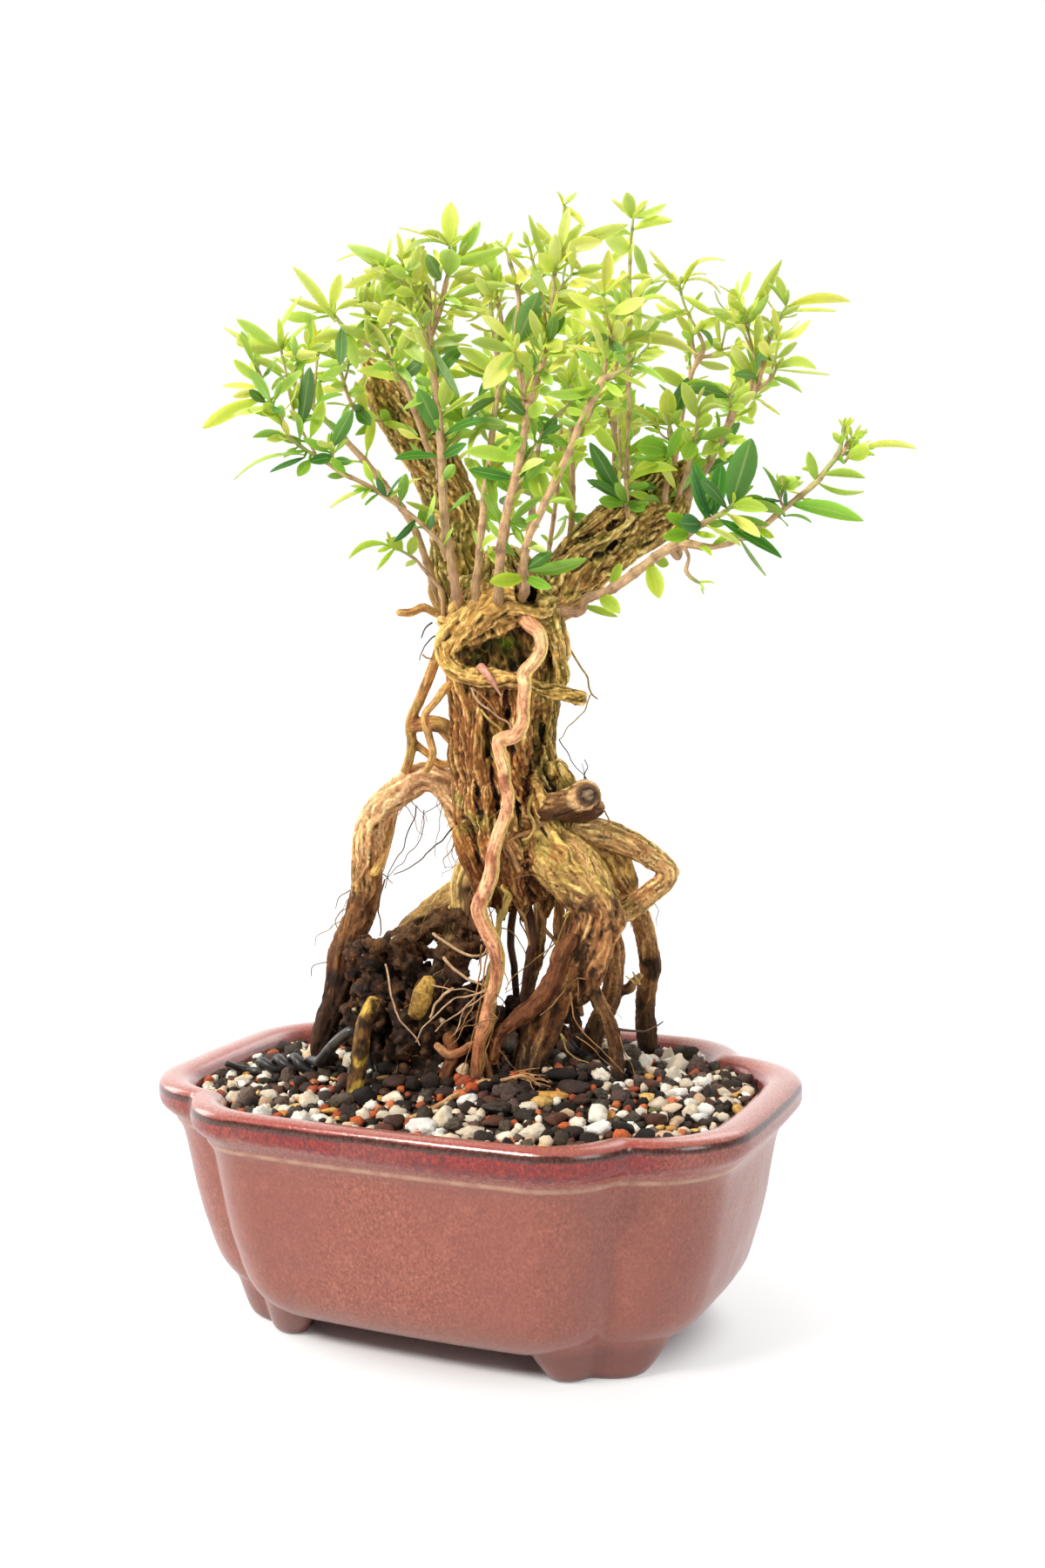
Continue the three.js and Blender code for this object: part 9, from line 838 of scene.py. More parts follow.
WIRE_AXIS = [[-53.34, -14.05, 79.3], [-60.14, -13.93, 79.54], [-68.13, -13.27, 78.06], [-74.03, -13.84, 76.48]]
WIRE_END = [[-77.21, -15.33, 75.98, 1.25], [-79.76, -17.64, 77.23, 1.15], [-81.44, -20.64, 79.03, 1.1]]
WIRE_B = [[-51.53, -19.83, 69.59, 1.1], [-51.14, -17.43, 74.23, 1.1], [-51.32, -15.31, 77.17, 1.1]]
TW = dict(r=1.65, off=1.7, turns=1.6)
PEAT_C, PEAT_R = np.array([-18.7, -2.1, 100.6]), np.array([18, 12, 23.0])
# wood that only the looks need: folds, stubs, ribs and ragged ends, as (kind, points)
EXTRA_TRUNK = [
    ("burl", [(4.3, -7.9, 225.1, 3.6), (9.5, -7.1, 228.5, 4.8), (16.1, -4, 229.6, 5), (21, -0.1, 228.4, 4.4)]),
    ("burl", [(2.5, -15.4, 216.5, 3.6), (6.5, -14.6, 221.5, 4.8), (11.9, -12.1, 225, 5.4), (17.5, -8.4, 226.5, 5.6), (21.7, -4.2, 225.2, 5)]),
    ("knot", [(27.4, 3, 230.3, 2.6), (29.7, 2.9, 225.5, 3.2), (31.2, 3.1, 220.6, 3.4), (31.9, 4.5, 215.7, 3.3), (31, 5.7, 211.1, 2.8)]),
    ("cord", [(13.4, -11.4, 172.2, 1.8), (11.7, -11.1, 162.6, 2.6), (12.5, -9.6, 152.9, 3), (14.2, -5.5, 144.1, 2.6), (15.3, -2.7, 135.1, 1.6)]),
    ("cord", [(20.3, -8.1, 157.1, 2.2), (18.8, -7.7, 150.1, 3), (18.7, -5.6, 142.4, 3.2), (19.4, -3, 135.6, 2), (19.5, -0.8, 131.1, 1)]),
    ("cord", [(26.1, -5.4, 173.2, 2.6), (28.3, -4.3, 165, 3.4), (30.3, -1.2, 157.8, 3.4), (30.4, 2.1, 149.1, 3), (30.2, 5.4, 141.7, 1.8)]),
    ("cord", [(31, 2.4, 177.9, 3.2), (32.4, 4.2, 172.3, 3.6), (32.4, 5.3, 165.3, 3.8), (31.2, 4.8, 158.5, 3.2)]),
    ("knot", [(28.6, 0.2, 164.4, 3.2), (32.3, 0.8, 165.8, 4.2), (35.9, 1.4, 167.5, 4.6), (38.7, 0.5, 168.5, 4.6)]),
    ("cord", [(3.9, -11.4, 158.3, 3), (6.1, -10.4, 150, 3.4), (8, -8.4, 142.9, 3.4), (8.4, -6, 135.6, 2.6)]),
    ("cord", [(25.1, 9.9, 141, 2.1), (24, 10.8, 134.7, 2.6), (22.8, 8.5, 128.9, 1.3)]),
    ("cord", [(13.2, 6.3, 142.3, 3), (14.6, 8.4, 136.7, 2.3), (15.9, 6.2, 131.7, 1.4)]),
    ("cord", [(14.9, 14.7, 143.2, 2.9), (13.9, 15.4, 137.2, 2.2), (14.9, 13.7, 131.6, 1.4)]),
    ("cord", [(14.1, 10.9, 140.6, 2.3), (13.7, 9.8, 134.4, 2.5), (12.9, 12.4, 127.6, 1)]),
    ("cord", [(7.9, 10.4, 145.5, 2.1), (8.6, 12.8, 138.1, 2.7), (10, 11.2, 131.4, 1.3)]),
    ("cord", [(7.9, 5.2, 145.4, 2.3), (10.6, 4.7, 140, 2.1), (9.5, 7.2, 134, 1.2)]),
    ("cord", [(3.9, 2.9, 141.8, 1.7), (5.7, 3.2, 136.9, 1.9), (5.8, 3.8, 131.8, 0.7)]),
    ("cord", [(19.5, 6.8, 143.1, 2.1), (18, 6.9, 136.8, 2.4), (17.3, 5.3, 130.8, 1.1)]),
    ("cord", [(1.3, 5.9, 146.9, 1.8), (1.2, 5.9, 141.2, 2.2), (0.7, 5, 135.5, 1.3)]),
    ("cord", [(12.7, 14.6, 145.6, 2.7), (12.9, 15.3, 140.2, 2.5), (12.6, 16.7, 134.6, 0.8)]),
    ("cord", [(8.6, 4.5, 141.6, 2.5), (7.8, 5.1, 134.6, 2.2), (10.9, 3, 128.4, 0.9)]),
    ("cord", [(19.1, -1.5, 146.9, 2.3), (19.8, -1.1, 140.9, 1.7), (21.1, -3.2, 135.3, 1.4)]),
    ("cord", [(21, 11.9, 142.9, 2.7), (21.5, 10.2, 138.7, 1.9), (23.3, 10, 134.4, 0.8)]),
    ("cord", [(18.5, -1.4, 142.3, 2.1), (19.2, -0.6, 135.5, 2.7), (19.9, -2.5, 129.2, 0.9)]),
    ("cord", [(17, 17.4, 139.8, 2.5), (18.2, 17.4, 134.5, 2.7), (17.6, 18.2, 129, 0.9)]),
    ("cord", [(9.2, 8.2, 144, 2.5), (11.1, 7, 137.3, 2.4), (9.1, 10.9, 129.6, 1.1)]),
]
EXTRA_ARCH = [
    ("root", [(-6, -10.6, 177.4, 3), (-1.4, -10.6, 176.2, 3.8), (2.8, -10.8, 171.9, 4.2), (4.8, -11, 165.1, 4.2), (5.1, -10.8, 158.3, 4), (6, -9.3, 151.2, 3.8), (7.1, -6.6, 144.2, 3)]),
    ("root", [(-8.8, -10.8, 174.1, 1.6), (-5.8, -10.5, 168.1, 1.6), (-2.6, -10, 160.7, 1.5), (-1.3, -9.4, 153.7, 1.5), (-0.7, -8.1, 146.6, 1.6)]),
]
EXTRA_THICK = [
    ("root", [(33.3, 12.3, 156.1, 3.6), (39.3, 16.3, 152.2, 4.4), (43.6, 19.4, 145.7, 4.3), (47.1, 19.9, 138.5, 3.6)]),
    ("root", [(27.9, -0.2, 151.3, 2.8), (32.1, 1.3, 153.7, 4.4), (36.7, 4, 148.8, 5.2), (40.1, 6.7, 142.5, 5.2), (41.7, 9.7, 136, 4.6)]),
    ("root", [(37, 5.2, 133.7, 3), (37.8, 5.6, 125.4, 3.6), (35.6, 4.6, 117.1, 3.2), (32.6, 4.3, 108.6, 2.6), (28.5, 3.4, 98.6, 2.2), (24.2, 1.5, 88.9, 1.8)]),
]
EXTRA_STUB = [
    ("sawn", [(35.3, 5.5, 167, 5), (39.1, 2.9, 168.3, 5.3), (42.2, -2.2, 169.4, 5.1)]),
    ("knot", [(26.1, 4.5, 162.5, 3.2), (30.8, 3.4, 164.1, 4.4), (35.1, 3.2, 165.9, 5), (37.7, 2.8, 167.6, 4.6)]),
    ("knot", [(33.6, 5.9, 163.6, 3.4), (37.6, 5.5, 164, 3.6), (40.4, 10.2, 164.4, 3)]),
]
EXTRA_LEFT = [
    ("bark", [(-19.4, -14.7, 309.1, 1.8), (-17.2, -14.7, 304.4, 3.2), (-15.2, -13.8, 297, 4), (-12.4, -11.3, 286.5, 3.8)]),
    ("bark", [(-16.2, -11, 311.1, 1), (-15.1, -11.5, 307.2, 2.2), (-13.6, -11.9, 301, 3)]),
    ("bark", [(-23.5, -14.4, 304.2, 1.2), (-20.7, -14.2, 299.5, 2.4), (-17.5, -13.8, 293.2, 3)]),
]
EXTRA_RIGHT = [
    ("bark", [(53.2, 26.1, 263.7, 4.2), (57.7, 28.2, 266.8, 3.6), (61.7, 29.1, 269.8, 1.8)]),
    ("bark", [(55.9, 26.3, 260.3, 3.6), (60.9, 28.7, 262.8, 3), (65.7, 29.8, 264.3, 1.2)]),
    ("bark", [(50.8, 27.2, 267.9, 3.6), (54, 28.7, 271.3, 2.4), (56.1, 29.7, 273.4, 1)]),
    ("bark", [(29.1, 10.4, 238.6, 3.6), (36.1, 13.7, 244.6, 4.2), (43.7, 18.3, 251.1, 4), (50.8, 22.8, 256.9, 3.4)]),
    ("bark", [(32.9, 12.2, 245.8, 3), (39.8, 16.5, 252.6, 3.8), (47.4, 21.2, 258.9, 3.4)]),
]
# more fine roots: points, radius at each end, kind
HAIRS_MORE = [
    ([(13.8, -14.5, 209.7), (16.5, -15.4, 207.4), (18.6, -15, 204.1), (20.4, -14.2, 200.9)], 1.5, 0.25, "k"),
    ([(16.9, 8, 132.3), (19.1, 6.8, 122.7), (16.9, 6.9, 112.6), (15.2, 7.2, 101), (14.4, 6.8, 88.2)], 1.5, 1.2, "d"),
    ([(24, 15.7, 137), (25.3, 16.3, 125.6), (23.1, 16.4, 114), (20.8, 16.4, 99.4), (19.5, 15.8, 86.4)], 1.2, 0.9, "t"),
    ([(26.2, 21.1, 133.4), (25.1, 20.7, 120.5), (26.6, 22.4, 110.1), (27.9, 24.2, 93.9)], 1.1, 0.8, "t"),
    ([(11.7, -1.1, 132.1), (10.9, -2.6, 122.6), (8.3, -4.9, 111.6), (7, -5.5, 99)], 1, 0.7, "y"),
    ([(23, 4.2, 131.8), (24.3, 4.8, 126.2), (27.7, 6.4, 120.5), (30.6, 7.8, 113.3)], 0.8, 0.6, "t"),
    ([(10.3, 11.5, 131.3), (8.6, 11.8, 118.3), (9.3, 13.2, 105.1), (7.9, 12.6, 87.7)], 1.3, 1.1, "d"),
    ([(26.9, -7.3, 170.2), (25.7, -8.9, 165.5), (28, -8.9, 160.7), (26.2, -9.8, 156.9), (24.7, -11, 156.5)], 0.55, 0.4, "y"),
    ([(29.7, -4.8, 161.8), (26.6, -7.4, 159.1), (23.1, -10.1, 157.7), (19.9, -11.6, 155.9)], 0.9, 0.6, "t"),
    ([(18.3, -10.2, 156.2), (20.6, -10.2, 150.6), (22.4, -9.3, 146.4)], 1.2, 0.8, "t"),
    ([(41.8, 2, 152.3), (41.1, 0.5, 147.9), (42.7, 1.3, 144.8), (39.5, -0.2, 141.6), (38, 0.2, 136), (33.6, -0.8, 131.3)], 0.8, 0.55, "y"),
    ([(43.1, 2.6, 145.5), (46.9, 4.4, 141), (48.7, 6.3, 137.5)], 0.5, 0.4, "y"),
    ([(15.7, -7, 140.8), (17.8, -7.1, 137.1), (15.7, -8.1, 132.2), (13.8, -9, 126.2)], 1.1, 0.7, "y"),
    ([(18.9, -3.3, 134.3), (21, -2.3, 128.1), (21.4, -1, 121.5)], 0.7, 0.4, "t"),
    ([(43.7, 5.1, 165.9), (46, 5.1, 163.2), (46.9, 5.5, 161), (45.1, 4.7, 157.5), (44.9, 5.7, 153.9)], 0.3, 0.25, "t"),
    ([(13.2, -13.7, 196.6), (15.7, -13.6, 193.1), (18.6, -12.3, 190.4), (22.3, -10.5, 186.5)], 0.45, 0.3, "y"),
    ([(10.5, -15, 203.4), (13, -14.9, 199.1), (16.8, -13.1, 195.8), (20.5, -11.3, 192.5), (22.9, -10.2, 188.1)], 0.4, 0.28, "p"),
]
# outlines in the front plane, along the front and upwards: the mossy hollow and the gap above it, which is painted near
# black as shade
HOLLOW_EDGE = [(-1.6, 214.1), (1.6, 215.9), (5.9, 217.1), (10.2, 218.3), (14, 219.8), (17.8, 222.1), (21, 223.6), (23.1, 221.4), (23.5, 217.4), (22.6, 214), (19.9, 210.3), (17.4, 207.5), (13.7, 208.1), (9.7, 209.3), (5.7, 209.4), (1.4, 209.5)]
GAP_EDGE = [(17.6, 235.3), (20.8, 236.3), (24, 235.2), (24.7, 231.4), (23.8, 227.7), (20.6, 228.4), (18, 229.5), (17, 232.2)]
MOSS_SPOT = [18.61, -4.51, 216.73]
LIME_SPOTS = [[7.7, -6.3, 98.1], [8.1, -6.1, 93.9]]
